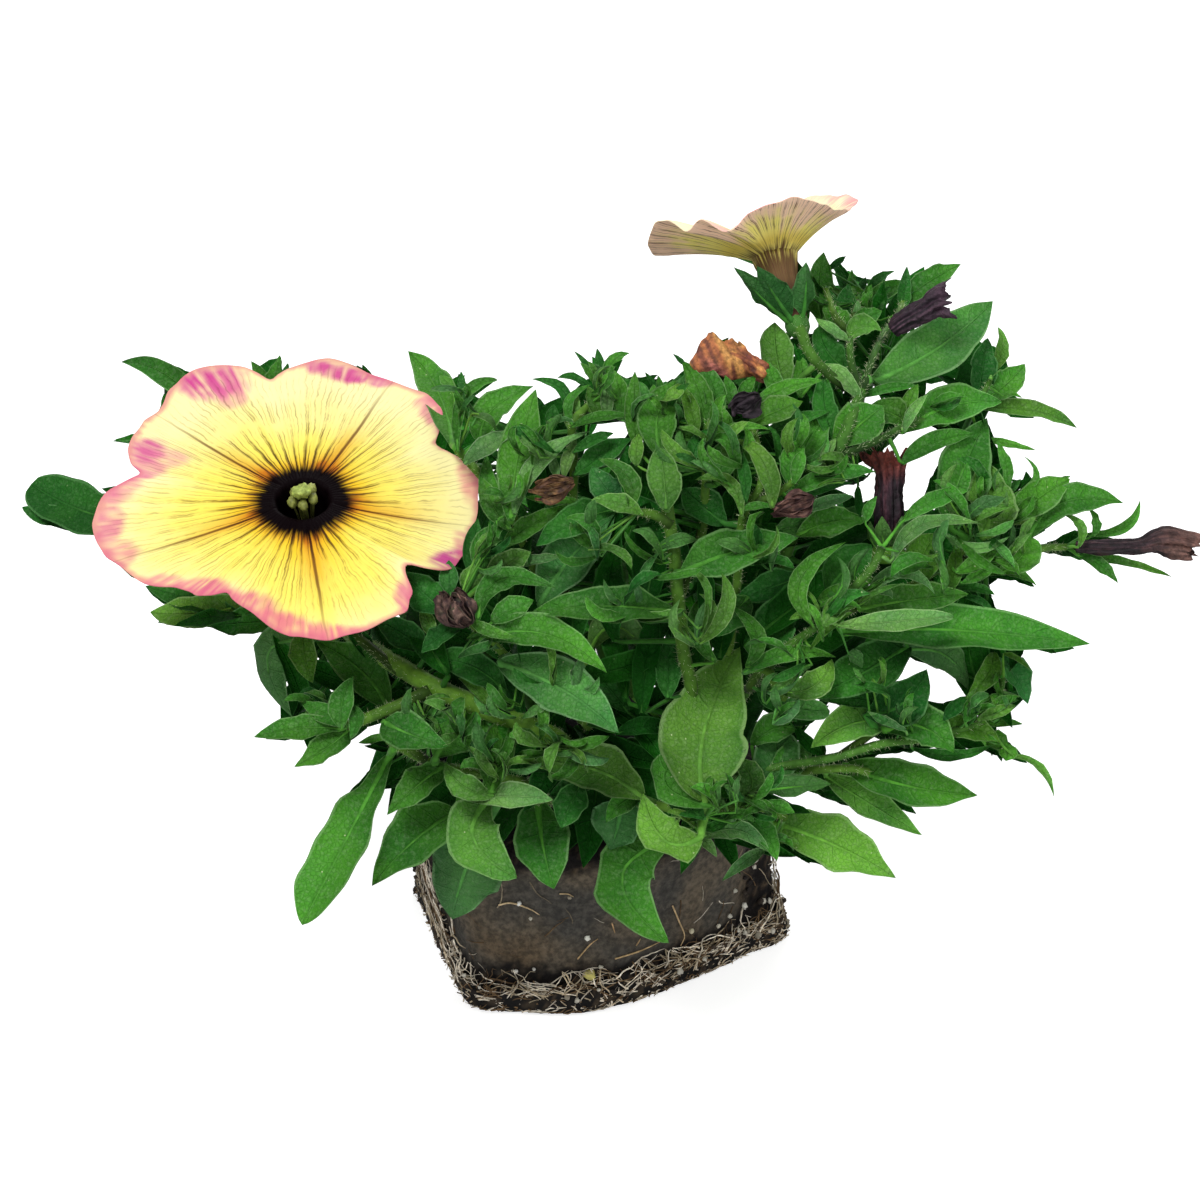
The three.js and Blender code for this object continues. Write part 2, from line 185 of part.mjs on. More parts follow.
  ["l45","cent",[12.22,-41.54,81.2],[11.59,-45.93,83.23],[0.76,-45.91,84.4],[-10.69,-45.27,82.92],[0.003,-0.643,0.766],3.34,0.45,1.0,14,0],
  ["l46","ulsh",[-3.48,-30.91,68.5],[-1.57,-35.59,71.91],[2.82,-35.74,76.17],[8.69,-35.12,69.22],[0.021,-0.996,0.087],2.77,0.4,1.0,14,1],
  ["l48","cent",[9.64,-38.47,57.85],[4.41,-39.31,62.85],[1.9,-36.96,65.19],[-0.64,-33.83,66.81],[0.008,-0.643,0.766],2.11,0.45,1.0,14,0],
  ["l49","cent",[13.99,-40.72,66.56],[10.56,-44.39,67.91],[10.6,-40.76,71.31],[10.85,-35.21,74.52],[0.046,-0.641,0.766],2.17,0.45,1.0,14,0],
  ["l51","r3sh",[8.75,-41.81,47.51],[6.57,-47.68,52.21],[-1.57,-44.52,55.66],[-11.04,-42.35,55.2],[-0.008,-0.643,0.766],4.42,0.4,1.0,14,0],
  ["l53","r3sh",[8.75,-41.81,47.51],[3.47,-44.21,50.11],[2.85,-44.96,45.65],[1.59,-44.61,40.89],[0.018,-0.996,0.087],4.78,0.45,1.0,14,1],
  ["l54","dshoot",[-9.87,-40.35,47.62],[-9.9,-40.3,47.22],[-9.01,-46.98,42.99],[-7.24,-51.73,37.95],[-0.037,-0.642,0.766],4.9,0.45,1.0,14,0],
  ["l56","csh",[-1.59,-35.97,57.91],[1.59,-40.69,53.58],[-3.16,-43.03,52.34],[-8.21,-44.11,50.23],[-0.014,-0.643,0.766],2.18,0.45,1.0,14,0],
  ["l57","frsh",[11.83,-38.94,45.55],[11.54,-41.23,41.15],[3.49,-47.96,37.36],[10.87,-54.88,29.97],[0.031,-0.642,0.766],5.24,0.42,0.8,14,0],
  ["l58","r3sh",[16.02,-51.49,50.95],[15.44,-55.62,49.39],[9.86,-56.68,49.65],[6.69,-49.55,53.96],[0.046,-0.641,0.766],4.21,0.42,1.0,14,0],
  ["l59","r3sh",[16.02,-51.49,50.95],[16.17,-54.1,55.24],[16.18,-45.75,62.67],[22.23,-31.96,70.67],[0.076,-0.638,0.766],7.49,0.38,1.0,20,0],
  ["l60","r3sh",[16.02,-51.49,50.95],[15.95,-50.81,46.64],[21.61,-49.69,47.43],[26.6,-51.42,44.29],[0.092,-0.636,0.766],1.85,0.45,1.0,14,0],
  ["l61","frsh",[21.3,-45.28,48.9],[21.27,-46.03,48.97],[25.58,-49.03,46.7],[27.71,-51.88,43.11],[0.107,-0.634,0.766],2.01,0.45,1.0,14,0],
  ["l63","frsh",[29.32,-44.18,46.48],[26.45,-44.14,40.8],[23.01,-46.65,39.88],[19.31,-48.9,37.73],[0.097,-0.635,0.766],1.21,0.45,1.0,14,0],
  ["l59b","r3sh",[16.02,-51.49,50.95],[17.4,-54.57,54.45],[9.88,-52.01,57.6],[15.59,-45.49,60.96],[0.057,-0.64,0.766],2.94,0.5,1.0,14,0],
  ["l59c","frsh",[21.77,-45.27,48.9],[21.54,-49.43,51.58],[23.83,-45.74,54.54],[19.84,-42.76,56.49],[0.095,-0.636,0.766],2.21,0.4,1.0,14,0],
  ["l59d","r3sh",[16.02,-51.49,50.95],[16.04,-54.68,52.39],[12.36,-52.9,54.57],[9.32,-49.32,56.48],[0.054,-0.64,0.766],2.44,0.45,1.0,14,0],
  ["l65","frsh",[27.35,-44.81,47.92],[26.79,-41.99,44.51],[36.92,-44.27,41.8],[47.2,-45.79,36.43],[0.155,-0.624,0.766],4.72,0.45,1.0,14,0],
  ["l66","frsh",[25.25,-45.24,48.88],[25.01,-47.73,53.31],[30.67,-47.01,53.8],[36.33,-44.89,53.0],[0.203,-0.975,0.087],2.06,0.45,1.0,14,1],
  ["l67","lowr2",[35.56,-42.84,54.49],[36.02,-39.17,51.32],[42.55,-42.51,48.27],[51.22,-43.88,43.22],[0.18,-0.617,0.766],3.04,0.45,1.0,14,0],
  ["l68","lowr2",[38.68,-43.34,55.0],[39.04,-40.2,53.68],[48.85,-41.74,50.91],[60.46,-38.99,47.76],[0.205,-0.609,0.766],4.23,0.45,1.0,14,0],
  ["l69","lowr2",[25.92,-40.39,52.44],[25.79,-45.07,52.74],[27.82,-41.05,56.11],[26.77,-35.47,59.44],[0.114,-0.633,0.766],3.96,0.45,1.0,14,0],
  ["l70","lowr2",[27.21,-40.85,52.77],[27.11,-43.85,53.15],[30.37,-41.07,55.22],[33.75,-37.25,56.61],[0.128,-0.63,0.766],2.86,0.45,1.0,14,0],
  ["l71","lowr",[24.86,-40.41,52.88],[23.93,-41.89,58.34],[27.8,-39.46,60.09],[32.18,-38.06,59.54],[0.118,-0.632,0.766],2.62,0.45,1.0,14,0],
  ["l72","cent",[11.64,-40.59,87.4],[12.45,-44.81,89.42],[21.05,-41.66,91.84],[30.47,-37.39,91.96],[0.093,-0.636,0.766],3.79,0.35,1.0,14,0],
  ["l73","ursh",[28.87,-26.06,81.84],[32.49,-29.97,82.15],[26.67,-32.95,81.44],[20.82,-34.84,79.56],[0.114,-0.633,0.766],2.64,0.45,1.0,14,0],
  ["l74","cent",[13.28,-41.26,71.83],[17.91,-44.03,73.97],[14.89,-40.15,77.93],[17.07,-33.76,81.47],[0.07,-0.639,0.766],1.7,0.45,1.0,14,0],
  ["l75","trsh",[21.31,-31.87,79.39],[23.09,-35.89,81.08],[20.49,-38.86,79.55],[17.96,-41.45,77.01],[0.089,-0.637,0.766],2.99,0.45,1.0,14,0],
  ["l76","hairy",[25.53,-43.75,72.79],[22.38,-47.23,74.86],[24.18,-43.41,78.12],[19.85,-38.61,81.32],[0.099,-0.635,0.766],1.43,0.45,1.0,14,0],
  ["l77","rmsh",[27.17,-41.7,73.01],[26.67,-42.13,73.72],[27.11,-38.17,77.33],[30.04,-32.14,80.38],[0.119,-0.632,0.766],3.74,0.45,1.0,14,0],
  ["l78","rmsh",[32.95,-44.1,79.89],[32.19,-48.18,82.45],[30.55,-43.05,87.45],[38.07,-35.38,90.4],[0.143,-0.627,0.766],1.67,0.45,1.0,14,0],
  ["l79","rmsh",[34.02,-44.5,81.03],[34.06,-47.79,81.92],[36.01,-45.3,83.78],[38.83,-41.85,85.04],[0.158,-0.623,0.766],1.84,0.45,1.0,14,0],
  ["l80","rmsh",[34.86,-44.11,81.84],[36.32,-46.36,81.24],[45.66,-44.47,81.18],[54.78,-40.25,80.04],[0.197,-0.612,0.766],1.84,0.45,0.6,14,0],
  ["l81","rrsh",[36.46,-41.48,80.91],[37.54,-40.31,77.32],[54.81,-36.42,75.8],[77.95,-31.0,70.73],[0.235,-0.598,0.766],4.38,0.55,1.0,14,0],
  ["l82","rmsh",[39.29,-42.0,86.1],[40.87,-41.59,84.41],[46.69,-37.72,86.37],[51.85,-38.75,83.09],[0.199,-0.611,0.766],1.38,0.45,1.0,14,0],
  ["l82b","rrsh",[40.35,-37.8,80.48],[40.24,-39.76,81.0],[48.5,-37.42,81.45],[57.94,-32.98,80.42],[0.207,-0.609,0.766],2.87,0.45,1.0,14,0],
  ["l85","rrsh2",[60.94,-25.09,82.48],[60.44,-28.68,81.57],[65.08,-27.01,81.67],[69.51,-27.16,79.12],[0.267,-0.585,0.766],1.11,0.45,1.0,14,0],
  ["l86","rrsh",[54.91,-28.22,83.69],[56.74,-32.97,82.31],[60.59,-30.44,83.4],[64.11,-25.6,85.04],[0.252,-0.592,0.766],1.26,0.45,1.0,14,0],
  ["l86b","rrsh",[55.01,-28.16,83.74],[55.59,-32.6,84.04],[59.4,-30.54,84.83],[63.53,-25.82,86.18],[0.248,-0.593,0.766],1.44,0.45,1.0,14,0],
  ["l87","rrsh2",[63.04,-24.19,81.97],[63.23,-28.92,82.02],[67.06,-25.53,83.62],[68.95,-21.42,85.29],[0.273,-0.582,0.766],2.85,0.5,0.5,14,0],
  ["l88","rmsh",[42.69,-39.93,90.2],[44.74,-40.66,89.38],[49.75,-34.93,93.07],[59.41,-31.16,91.61],[0.217,-0.605,0.766],1.46,0.45,1.0,14,0],
  ["l89","rmsh",[43.24,-39.49,91.21],[46.8,-34.75,93.67],[52.05,-31.03,95.61],[58.28,-26.91,95.73],[0.222,-0.603,0.766],1.47,0.45,1.0,14,0],
  ["l90","rrsh",[58.5,-25.66,85.81],[60.0,-30.06,86.33],[60.68,-27.3,88.56],[61.03,-23.48,90.69],[0.252,-0.591,0.766],2.14,0.45,1.0,14,0],
  ["l91","rrsh",[56.96,-26.95,84.65],[54.17,-28.96,89.11],[58.81,-30.46,87.03],[64.85,-26.1,87.34],[0.247,-0.594,0.766],1.06,0.45,1.0,14,0],
  ["l92","rrsh",[50.79,-30.69,82.0],[50.72,-34.78,82.97],[50.44,-31.55,85.97],[53.37,-26.6,88.08],[0.216,-0.606,0.766],3.33,0.45,1.0,14,0],
  ["l93","rrsh",[53.27,-29.24,82.92],[55.1,-33.98,81.57],[55.61,-31.05,84.02],[56.6,-26.91,86.14],[0.233,-0.599,0.766],1.45,0.45,1.0,14,0],
  ["l95","ursh",[31.87,-26.88,91.81],[31.57,-31.47,93.77],[35.54,-29.79,94.75],[39.78,-27.51,94.8],[0.152,-0.625,0.766],1.17,0.45,1.0,14,0],
  ["l96","ursh",[30.78,-26.54,88.57],[30.93,-31.19,89.74],[36.36,-28.96,90.99],[42.06,-26.75,90.38],[0.155,-0.624,0.766],2.71,0.45,1.0,14,0],
  ["l99","rmsh",[36.74,-43.24,83.66],[35.28,-38.74,83.43],[38.24,-35.33,85.96],[42.63,-30.44,87.71],[0.165,-0.621,0.766],3.63,0.45,1.0,14,0],
  ["l100","rmsh",[35.42,-43.85,82.38],[33.61,-40.62,82.94],[37.09,-39.25,83.67],[40.82,-36.98,83.81],[0.16,-0.623,0.766],1.48,0.45,1.0,14,0],
  ["l101","rrsh",[44.56,-34.1,80.28],[48.51,-35.15,72.57],[41.3,-41.07,70.77],[32.87,-44.83,68.14],[0.174,-0.619,0.766],4.21,0.45,1.0,14,0],
  ["l104","rrsh",[43.84,-34.49,80.09],[46.9,-35.74,71.99],[54.63,-33.6,70.06],[58.91,-31.59,62.83],[0.346,-0.934,0.087],2.69,0.45,1.0,14,1],
  ["l105","lowr",[64.35,-31.8,65.09],[62.59,-30.03,68.84],[61.59,-33.97,66.71],[57.63,-37.75,64.36],[0.251,-0.592,0.766],1.9,0.45,1.0,14,0],
  ["l106","lowr",[64.35,-31.8,65.09],[64.33,-27.32,66.98],[66.52,-30.12,64.61],[68.46,-32.87,60.97],[0.27,-0.583,0.766],2.86,0.45,1.0,14,0],
  ["l111","lowr",[59.99,-36.21,59.47],[60.19,-35.95,59.15],[63.81,-35.12,58.9],[67.73,-33.76,57.83],[0.262,-0.587,0.766],0.97,0.45,1.0,14,0],
  ["l114","lowr3",[44.59,-41.1,61.26],[44.8,-42.9,61.54],[50.57,-41.69,61.43],[55.62,-43.26,57.65],[0.212,-0.607,0.766],4.11,0.45,1.0,14,0],
  ["l115","lowr",[53.51,-39.82,59.18],[53.53,-38.74,59.0],[58.76,-37.42,58.85],[63.85,-37.28,56.26],[0.243,-0.595,0.766],2.5,0.45,1.0,14,0],
  ["l116","lowr",[48.92,-41.88,59.25],[49.4,-39.89,56.75],[55.79,-40.02,55.38],[62.68,-35.78,55.1],[0.232,-0.6,0.766],1.11,0.45,1.0,14,0],
  ["l118","lowr",[60.31,-35.97,59.66],[66.01,-35.61,53.2],[70.49,-36.55,51.35],[72.58,-39.34,47.59],[0.284,-0.577,0.766],0.8,0.45,1.0,14,0],
  ["l119","lowr3",[43.49,-41.76,60.83],[41.56,-42.88,64.34],[47.36,-40.8,65.03],[51.86,-33.95,67.76],[0.198,-0.611,0.766],3.95,0.4,1.0,14,0],
  ["l119b","lowr3",[47.82,-38.76,62.57],[47.93,-40.43,63.43],[41.06,-40.73,65.7],[32.91,-40.56,66.14],[0.173,-0.619,0.766],1.91,0.45,1.0,14,0],
  ["l120","lowr3",[46.17,-40.05,61.89],[46.44,-40.41,61.65],[39.47,-42.57,62.42],[32.9,-45.92,59.95],[0.168,-0.62,0.766],3.44,0.45,1.0,14,0],
  ["l122","hairy",[28.63,-44.76,67.84],[27.56,-45.77,67.57],[31.57,-46.38,66.85],[35.7,-45.22,66.07],[0.136,-0.628,0.766],2.21,0.45,0.5,14,0],
  ["l124","hairy",[25.53,-43.75,72.79],[21.78,-47.53,73.64],[28.96,-44.5,75.57],[36.55,-42.6,74.12],[0.126,-0.63,0.766],1.49,0.45,1.0,14,0],
  ["l124b","hairy",[27.92,-44.95,69.03],[27.99,-47.69,70.63],[32.97,-46.54,71.08],[36.04,-41.56,73.27],[0.141,-0.627,0.766],2.36,0.5,1.0,14,0],
  ["l127","tee",[6.43,-39.77,97.21],[6.38,-40.74,97.42],[2.74,-39.69,98.79],[-1.37,-38.6,98.82],[0.012,-0.643,0.766],1.69,0.45,1.0,14,0],
  ["l128","tee",[5.79,-39.93,97.4],[4.56,-40.36,97.92],[4.28,-36.42,101.55],[-0.31,-33.04,103.3],[0.014,-0.643,0.766],1.74,0.45,1.0,14,0],
  ["l129","tee",[5.79,-39.93,97.4],[3.38,-35.61,97.05],[0.77,-33.92,98.84],[-1.24,-30.22,100.98],[0.004,-0.643,0.766],2.43,0.45,1.0,14,0],
  ["l130","cent",[10.32,-37.75,96.83],[9.99,-42.29,98.75],[9.72,-38.67,102.15],[9.04,-33.27,105.38],[0.043,-0.641,0.766],2.75,0.45,0.7,14,0],
  ["l131","cent",[9.83,-34.56,100.44],[9.86,-31.89,103.0],[8.83,-26.99,107.68],[12.2,-20.39,111.47],[0.043,-0.641,0.766],3.25,0.45,1.0,14,0],
  ["l132","cent",[9.83,-34.56,100.44],[5.56,-29.85,103.84],[5.28,-25.16,108.3],[5.49,-18.6,112.31],[0.023,-0.642,0.766],1.71,0.45,1.0,14,0],
  ["l134","tmsh",[16.67,-26.41,104.73],[16.48,-26.54,104.85],[15.32,-21.33,109.83],[12.92,-16.05,113.04],[0.065,-0.64,0.766],2.09,0.45,1.0,14,0],
  ["l135","tmsh",[16.62,-26.73,104.21],[14.72,-28.16,104.82],[14.15,-24.72,108.13],[12.52,-20.4,110.81],[0.06,-0.64,0.766],1.43,0.45,1.0,14,0],
  ["l136","tmsh",[17.06,-25.2,105.55],[17.75,-25.51,105.44],[17.84,-20.98,109.7],[15.45,-15.68,113.07],[0.074,-0.639,0.766],1.92,0.45,1.0,14,0],
  ["l141","trsh",[23.73,-24.18,105.42],[23.77,-21.98,108.08],[29.19,-19.54,109.82],[35.2,-16.52,110.02],[0.125,-0.631,0.766],1.38,0.45,1.0,14,0],
  ["l142","trsh",[23.73,-24.18,105.42],[23.36,-25.02,105.92],[27.48,-23.09,107.33],[31.86,-20.3,107.93],[0.118,-0.632,0.766],2.53,0.45,1.0,14,0],
  ["l143","trsh",[23.96,-25.42,104.31],[26.26,-24.07,104.2],[31.03,-22.17,105.47],[36.41,-19.18,105.82],[0.133,-0.629,0.766],1.2,0.45,1.0,14,0],
  ["l144","tmsh",[16.61,-26.91,103.83],[16.96,-30.22,105.15],[21.33,-28.28,106.7],[26.51,-27.29,105.81],[0.093,-0.636,0.766],0.86,0.45,1.0,14,0],
  ["l146","tmsh",[16.41,-29.68,97.61],[18.17,-33.79,99.12],[18.85,-30.81,101.89],[21.64,-26.01,104.47],[0.084,-0.637,0.766],2.62,0.45,1.0,14,0],
  ["l147","trsh2",[25.95,-33.56,97.1],[26.28,-38.32,97.38],[25.21,-33.08,102.32],[21.03,-28.88,104.94],[0.107,-0.634,0.766],1.96,0.45,1.0,14,0],
  ["l148","trsh2",[22.88,-33.47,95.81],[22.34,-37.24,97.91],[22.13,-33.81,101.13],[21.51,-29.2,103.91],[0.096,-0.636,0.766],1.1,0.45,1.0,14,0],
  ["l150","trsh",[22.15,-34.02,93.93],[21.72,-38.51,95.96],[19.67,-34.32,100.01],[14.62,-33.69,100.08],[0.083,-0.637,0.766],1.27,0.45,1.0,14,0],
  ["l152","trsh",[21.92,-34.03,92.59],[19.42,-32.68,92.27],[15.87,-30.88,94.54],[12.97,-27.83,96.29],[0.069,-0.639,0.766],3.24,0.45,1.0,14,0],
  ["l154","trsh2",[29.31,-32.57,98.97],[29.77,-33.12,98.51],[29.73,-29.87,101.51],[31.64,-25.68,103.66],[0.13,-0.629,0.766],2.33,0.45,1.0,14,0],
  ["l155","trsh2",[30.11,-32.22,99.47],[30.52,-28.57,98.62],[32.57,-24.01,102.49],[36.51,-18.13,105.24],[0.141,-0.627,0.766],2.98,0.45,1.0,14,0],
  ["l156","trsh2",[27.94,-33.18,98.12],[28.67,-34.02,97.38],[35.96,-30.38,99.54],[43.06,-27.46,98.84],[0.154,-0.624,0.766],1.69,0.45,1.0,14,0],
  ["l157","trsh2",[27.32,-33.45,97.74],[28.12,-33.29,96.57],[33.3,-31.6,97.54],[39.44,-28.49,97.58],[0.144,-0.626,0.766],1.01,0.45,1.0,14,0],
  ["l160","ulsh",[-22.31,-23.13,100.79],[-23.62,-16.16,99.02],[-26.75,2.0,100.97],[-32.22,11.93,104.53],[-0.111,-0.633,0.766],3.35,0.45,1.0,14,0],
  ["l161b","ulsh",[-22.31,-23.13,100.79],[-23.25,-13.62,106.91],[-24.62,-8.63,106.54],[-26.04,-3.28,105.92],[-0.103,-0.635,0.766],0.98,0.45,1.0,14,0],
  ["l162","ulsh",[-22.15,-23.27,100.66],[-22.15,-26.18,101.68],[-21.39,-19.3,108.05],[-16.12,-16.11,109.87],[-0.087,-0.637,0.766],1.17,0.45,0.5,14,0],
  ["l163","ulsh",[-21.37,-23.97,100.02],[-18.84,-23.01,102.1],[-17.02,-19.25,106.01],[-10.46,-15.26,108.54],[-0.068,-0.639,0.766],2.93,0.4,1.0,14,0],
  ["l164","ulsh",[-20.77,-24.5,99.54],[-21.11,-29.12,100.87],[-17.41,-27.29,103.3],[-12.49,-24.39,105.0],[-0.074,-0.639,0.766],1.74,0.45,1.0,14,0],
  ["l165","ulsh",[-13.69,-31.51,93.28],[-13.7,-36.21,94.3],[-12.74,-28.04,101.93],[-10.1,-17.26,108.79],[-0.053,-0.641,0.766],3.29,0.5,1.0,14,0],
  ["l166","ulsh",[-13.69,-31.51,93.28],[-13.23,-35.94,95.36],[-9.6,-29.89,101.35],[-1.56,-24.19,104.42],[-0.037,-0.642,0.766],1.65,0.45,1.0,14,0],
  ["l167","ulsh",[-14.05,-31.13,93.62],[-15.18,-33.49,93.63],[-17.26,-29.93,96.83],[-17.73,-24.11,100.34],[-0.073,-0.639,0.766],1.71,0.45,1.0,14,0],
  ["l168","ulsh",[-12.95,-31.49,91.19],[-13.88,-35.9,92.66],[-16.73,-32.68,95.47],[-18.57,-27.65,98.25],[-0.071,-0.639,0.766],1.87,0.45,1.0,14,0],
  ["l170","tcsh",[-4.27,-23.2,105.16],[-5.01,-22.22,105.48],[-5.98,-18.4,109.05],[-10.91,-15.9,109.96],[-0.03,-0.642,0.766],1.07,0.45,1.0,14,0],
  ["l173f","tcsh",[-1.12,-19.5,107.67],[3.28,-23.36,105.93],[3.14,-20.27,108.92],[1.89,-15.74,111.75],[0.012,-0.643,0.766],1.58,0.45,1.0,14,0],
  ["l173h","tcsh",[-4.37,-23.41,104.79],[-4.06,-24.23,105.1],[-4.86,-21.08,108.06],[-1.26,-17.96,109.89],[-0.016,-0.643,0.766],0.88,0.45,1.0,14,0],
  ["l174","tcsh",[-4.37,-23.39,104.85],[-4.35,-25.88,105.75],[0.0,-24.95,107.05],[4.99,-23.95,106.83],[0.001,-0.643,0.766],1.06,0.45,1.0,14,0],
  ["l176","tcsh",[-4.11,-25.8,97.83],[-3.74,-28.56,98.96],[0.31,-26.42,101.28],[5.02,-23.11,102.81],[0.002,-0.643,0.766],2.2,0.45,1.0,14,0],
  ["l181","tcsh",[-4.36,-26.51,93.56],[-3.42,-30.86,95.37],[-7.46,-30.99,95.59],[-11.84,-29.66,95.54],[-0.033,-0.642,0.766],1.04,0.45,1.0,14,0],
  ["l182","ulsh",[-12.18,-31.47,89.0],[-15.17,-35.56,89.46],[-10.24,-33.11,92.45],[-4.06,-29.62,94.17],[-0.043,-0.641,0.766],1.86,0.45,1.0,14,0],
  ["l183","tee",[5.79,-39.93,97.4],[2.15,-36.33,96.19],[-3.83,-38.53,95.14],[-9.78,-40.53,92.01],[-0.017,-0.643,0.766],2.91,0.45,1.0,14,0],
  ["l184","ulsh",[-7.94,-31.54,78.82],[-9.34,-36.9,80.52],[-4.39,-31.25,86.18],[2.38,-24.06,90.08],[-0.017,-0.643,0.766],4.34,0.5,1.0,14,0],
  ["l185","csh",[-21.53,-44.67,84.16],[-17.19,-40.96,86.83],[-17.89,-36.96,90.42],[-13.96,-33.13,92.8],[-0.073,-0.639,0.766],2.08,0.45,1.0,14,0],
  ["l185b","csh",[-21.53,-44.67,84.16],[-17.19,-41.33,86.32],[-14.14,-39.47,88.51],[-10.64,-37.34,89.58],[-0.061,-0.64,0.766],2.36,0.45,1.0,14,0],
  ["l186","ulsh",[-11.03,-31.43,85.75],[-13.67,-35.57,86.41],[-9.94,-35.31,87.32],[-5.91,-34.25,87.52],[-0.043,-0.641,0.766],1.03,0.45,1.0,14,0],
  ["l187","csh",[-21.53,-44.67,84.16],[-18.47,-40.18,85.46],[-19.49,-36.18,89.06],[-19.03,-30.6,92.38],[-0.083,-0.637,0.766],1.87,0.45,1.0,14,0],
  ["l188","pedic",[34.64,-13.17,111.62],[29.66,-12.85,106.95],[28.2,-8.43,111.42],[28.26,-2.85,114.87],[0.119,-0.632,0.766],2.97,0.5,1.0,14,0],
  ["l190","pedic",[35.54,-13.69,110.65],[31.72,-15.8,106.71],[32.14,-12.94,109.36],[31.83,-9.22,111.71],[0.134,-0.629,0.766],1.62,0.45,1.0,14,0],
  ["l191","ursha3",[38.05,-0.86,115.42],[35.98,2.75,113.24],[32.04,7.7,118.78],[28.91,11.75,121.41],[0.131,-0.629,0.766],2.04,0.45,1.0,14,0],
  ["l192","ursha3",[37.16,7.19,116.89],[37.09,8.16,110.99],[36.61,12.83,115.67],[37.59,19.01,119.57],[0.148,-0.625,0.766],2.39,0.45,1.0,14,0],
  ["l196","ursha2",[44.34,18.35,112.74],[45.08,19.97,110.23],[48.26,21.89,111.53],[52.26,25.14,112.58],[0.189,-0.614,0.766],1.79,0.45,1.0,14,0],
  ["l197","urshc",[50.88,15.73,111.69],[50.85,17.65,108.9],[51.54,20.86,111.88],[52.38,25.65,114.91],[0.201,-0.61,0.766],1.3,0.45,1.0,14,0],
  ["l198","urshc",[50.88,15.73,111.69],[50.89,20.26,109.95],[55.92,24.18,112.55],[62.06,29.33,114.06],[0.217,-0.605,0.766],2.31,0.45,1.0,14,0],
  ["l200b","ursha",[41.28,1.78,113.58],[41.66,3.44,111.62],[40.45,6.1,114.49],[41.34,10.12,116.93],[0.166,-0.621,0.766],1.88,0.45,1.0,14,0],
  ["l200c","ursha",[41.28,1.78,113.58],[42.83,5.43,110.91],[43.64,8.47,113.67],[45.23,12.67,116.07],[0.176,-0.618,0.766],1.33,0.45,1.0,14,0],
  ["l201","ursha",[40.44,-10.45,109.72],[39.8,-8.81,108.84],[36.32,-6.93,111.56],[35.56,-2.7,114.3],[0.153,-0.624,0.766],2.69,0.45,1.0,14,0],
  ["l202","ursh",[37.18,-25.46,102.08],[37.36,-23.39,101.23],[35.34,-18.64,106.12],[35.83,-12.35,109.81],[0.152,-0.625,0.766],2.14,0.45,1.0,14,0],
  ["l203","ursh",[40.8,-16.3,106.41],[41.15,-16.9,106.46],[38.55,-14.2,109.66],[35.16,-12.19,111.11],[0.161,-0.622,0.766],1.48,0.45,1.0,14,0],
  ["l205","ursh",[37.19,-25.42,102.1],[36.66,-24.11,101.86],[40.93,-20.64,104.19],[44.87,-16.44,105.6],[0.172,-0.619,0.766],3.71,0.45,1.0,14,0],
  ["l206","urshb",[42.48,-11.37,108.07],[43.91,-7.11,106.15],[54.61,-0.73,109.31],[65.24,10.72,113.77],[0.22,-0.604,0.766],4.9,0.52,1.0,14,0],
  ["l207","urshb",[41.66,-14.34,107.0],[42.04,-12.32,105.55],[46.49,-10.52,106.4],[51.55,-8.36,105.93],[0.193,-0.613,0.766],0.98,0.45,1.0,14,0],
  ["l208","ursh2",[63.15,-5.73,105.97],[65.45,8.31,102.13],[67.42,11.83,104.75],[67.1,15.84,107.4],[0.261,-0.588,0.766],1.34,0.45,1.0,14,0],
  ["l209","ursh2",[61.18,-7.46,103.23],[62.44,-3.15,101.18],[66.7,0.33,103.0],[70.37,5.14,104.72],[0.264,-0.586,0.766],2.5,0.45,1.0,14,0],
  ["l210","ursh2",[61.15,-7.49,103.19],[61.8,-3.04,101.14],[62.79,1.49,105.02],[64.33,7.57,108.4],[0.251,-0.592,0.766],2.56,0.45,1.0,14,0],
  ["l211","ursh2",[61.15,-7.49,103.19],[62.1,-3.68,100.16],[71.28,-1.71,99.04],[78.64,-1.22,95.86],[0.281,-0.578,0.766],1.92,0.45,1.0,14,0],
  ["l213","ursh2",[47.53,-19.09,102.86],[47.9,-17.94,101.94],[55.94,-13.03,104.29],[64.86,-8.77,103.33],[0.231,-0.6,0.766],3.47,0.5,1.0,14,0],
  ["l214","ursh2",[47.73,-18.93,102.9],[47.91,-20.71,102.87],[49.35,-17.84,105.13],[52.21,-13.97,106.69],[0.208,-0.608,0.766],0.95,0.45,1.0,14,0],
  ["l214b","ursh2",[48.28,-18.47,103.0],[48.16,-16.6,102.61],[49.12,-13.82,104.93],[51.02,-9.91,106.86],[0.205,-0.609,0.766],1.44,0.45,1.0,14,0],
  ["l217","ursh2",[45.26,-20.99,102.45],[47.67,-22.16,98.02],[53.03,-18.26,100.2],[60.19,-14.28,99.98],[0.222,-0.603,0.766],1.85,0.45,1.0,14,0],
  ["l217b","ursh2",[59.31,-8.85,103.06],[61.46,-10.18,97.66],[66.05,-10.15,96.6],[70.86,-8.88,95.04],[0.266,-0.585,0.766],0.78,0.45,1.0,14,0],
  ["l218","rrsh",[58.79,-25.33,86.13],[55.05,-27.9,89.5],[57.48,-20.33,95.56],[62.52,-9.3,100.78],[0.24,-0.596,0.766],4.64,0.45,1.0,14,0],
  ["l219","rrsh",[59.68,-24.33,87.11],[60.36,-28.8,88.18],[61.72,-23.52,92.43],[60.69,-16.96,96.58],[0.253,-0.591,0.766],4.24,0.45,1.0,14,0],
  ["l220","rrsh",[61.18,-20.19,92.4],[64.96,-19.41,92.07],[65.06,-15.98,95.15],[63.83,-11.66,98.07],[0.264,-0.586,0.766],1.08,0.45,1.0,14,0],
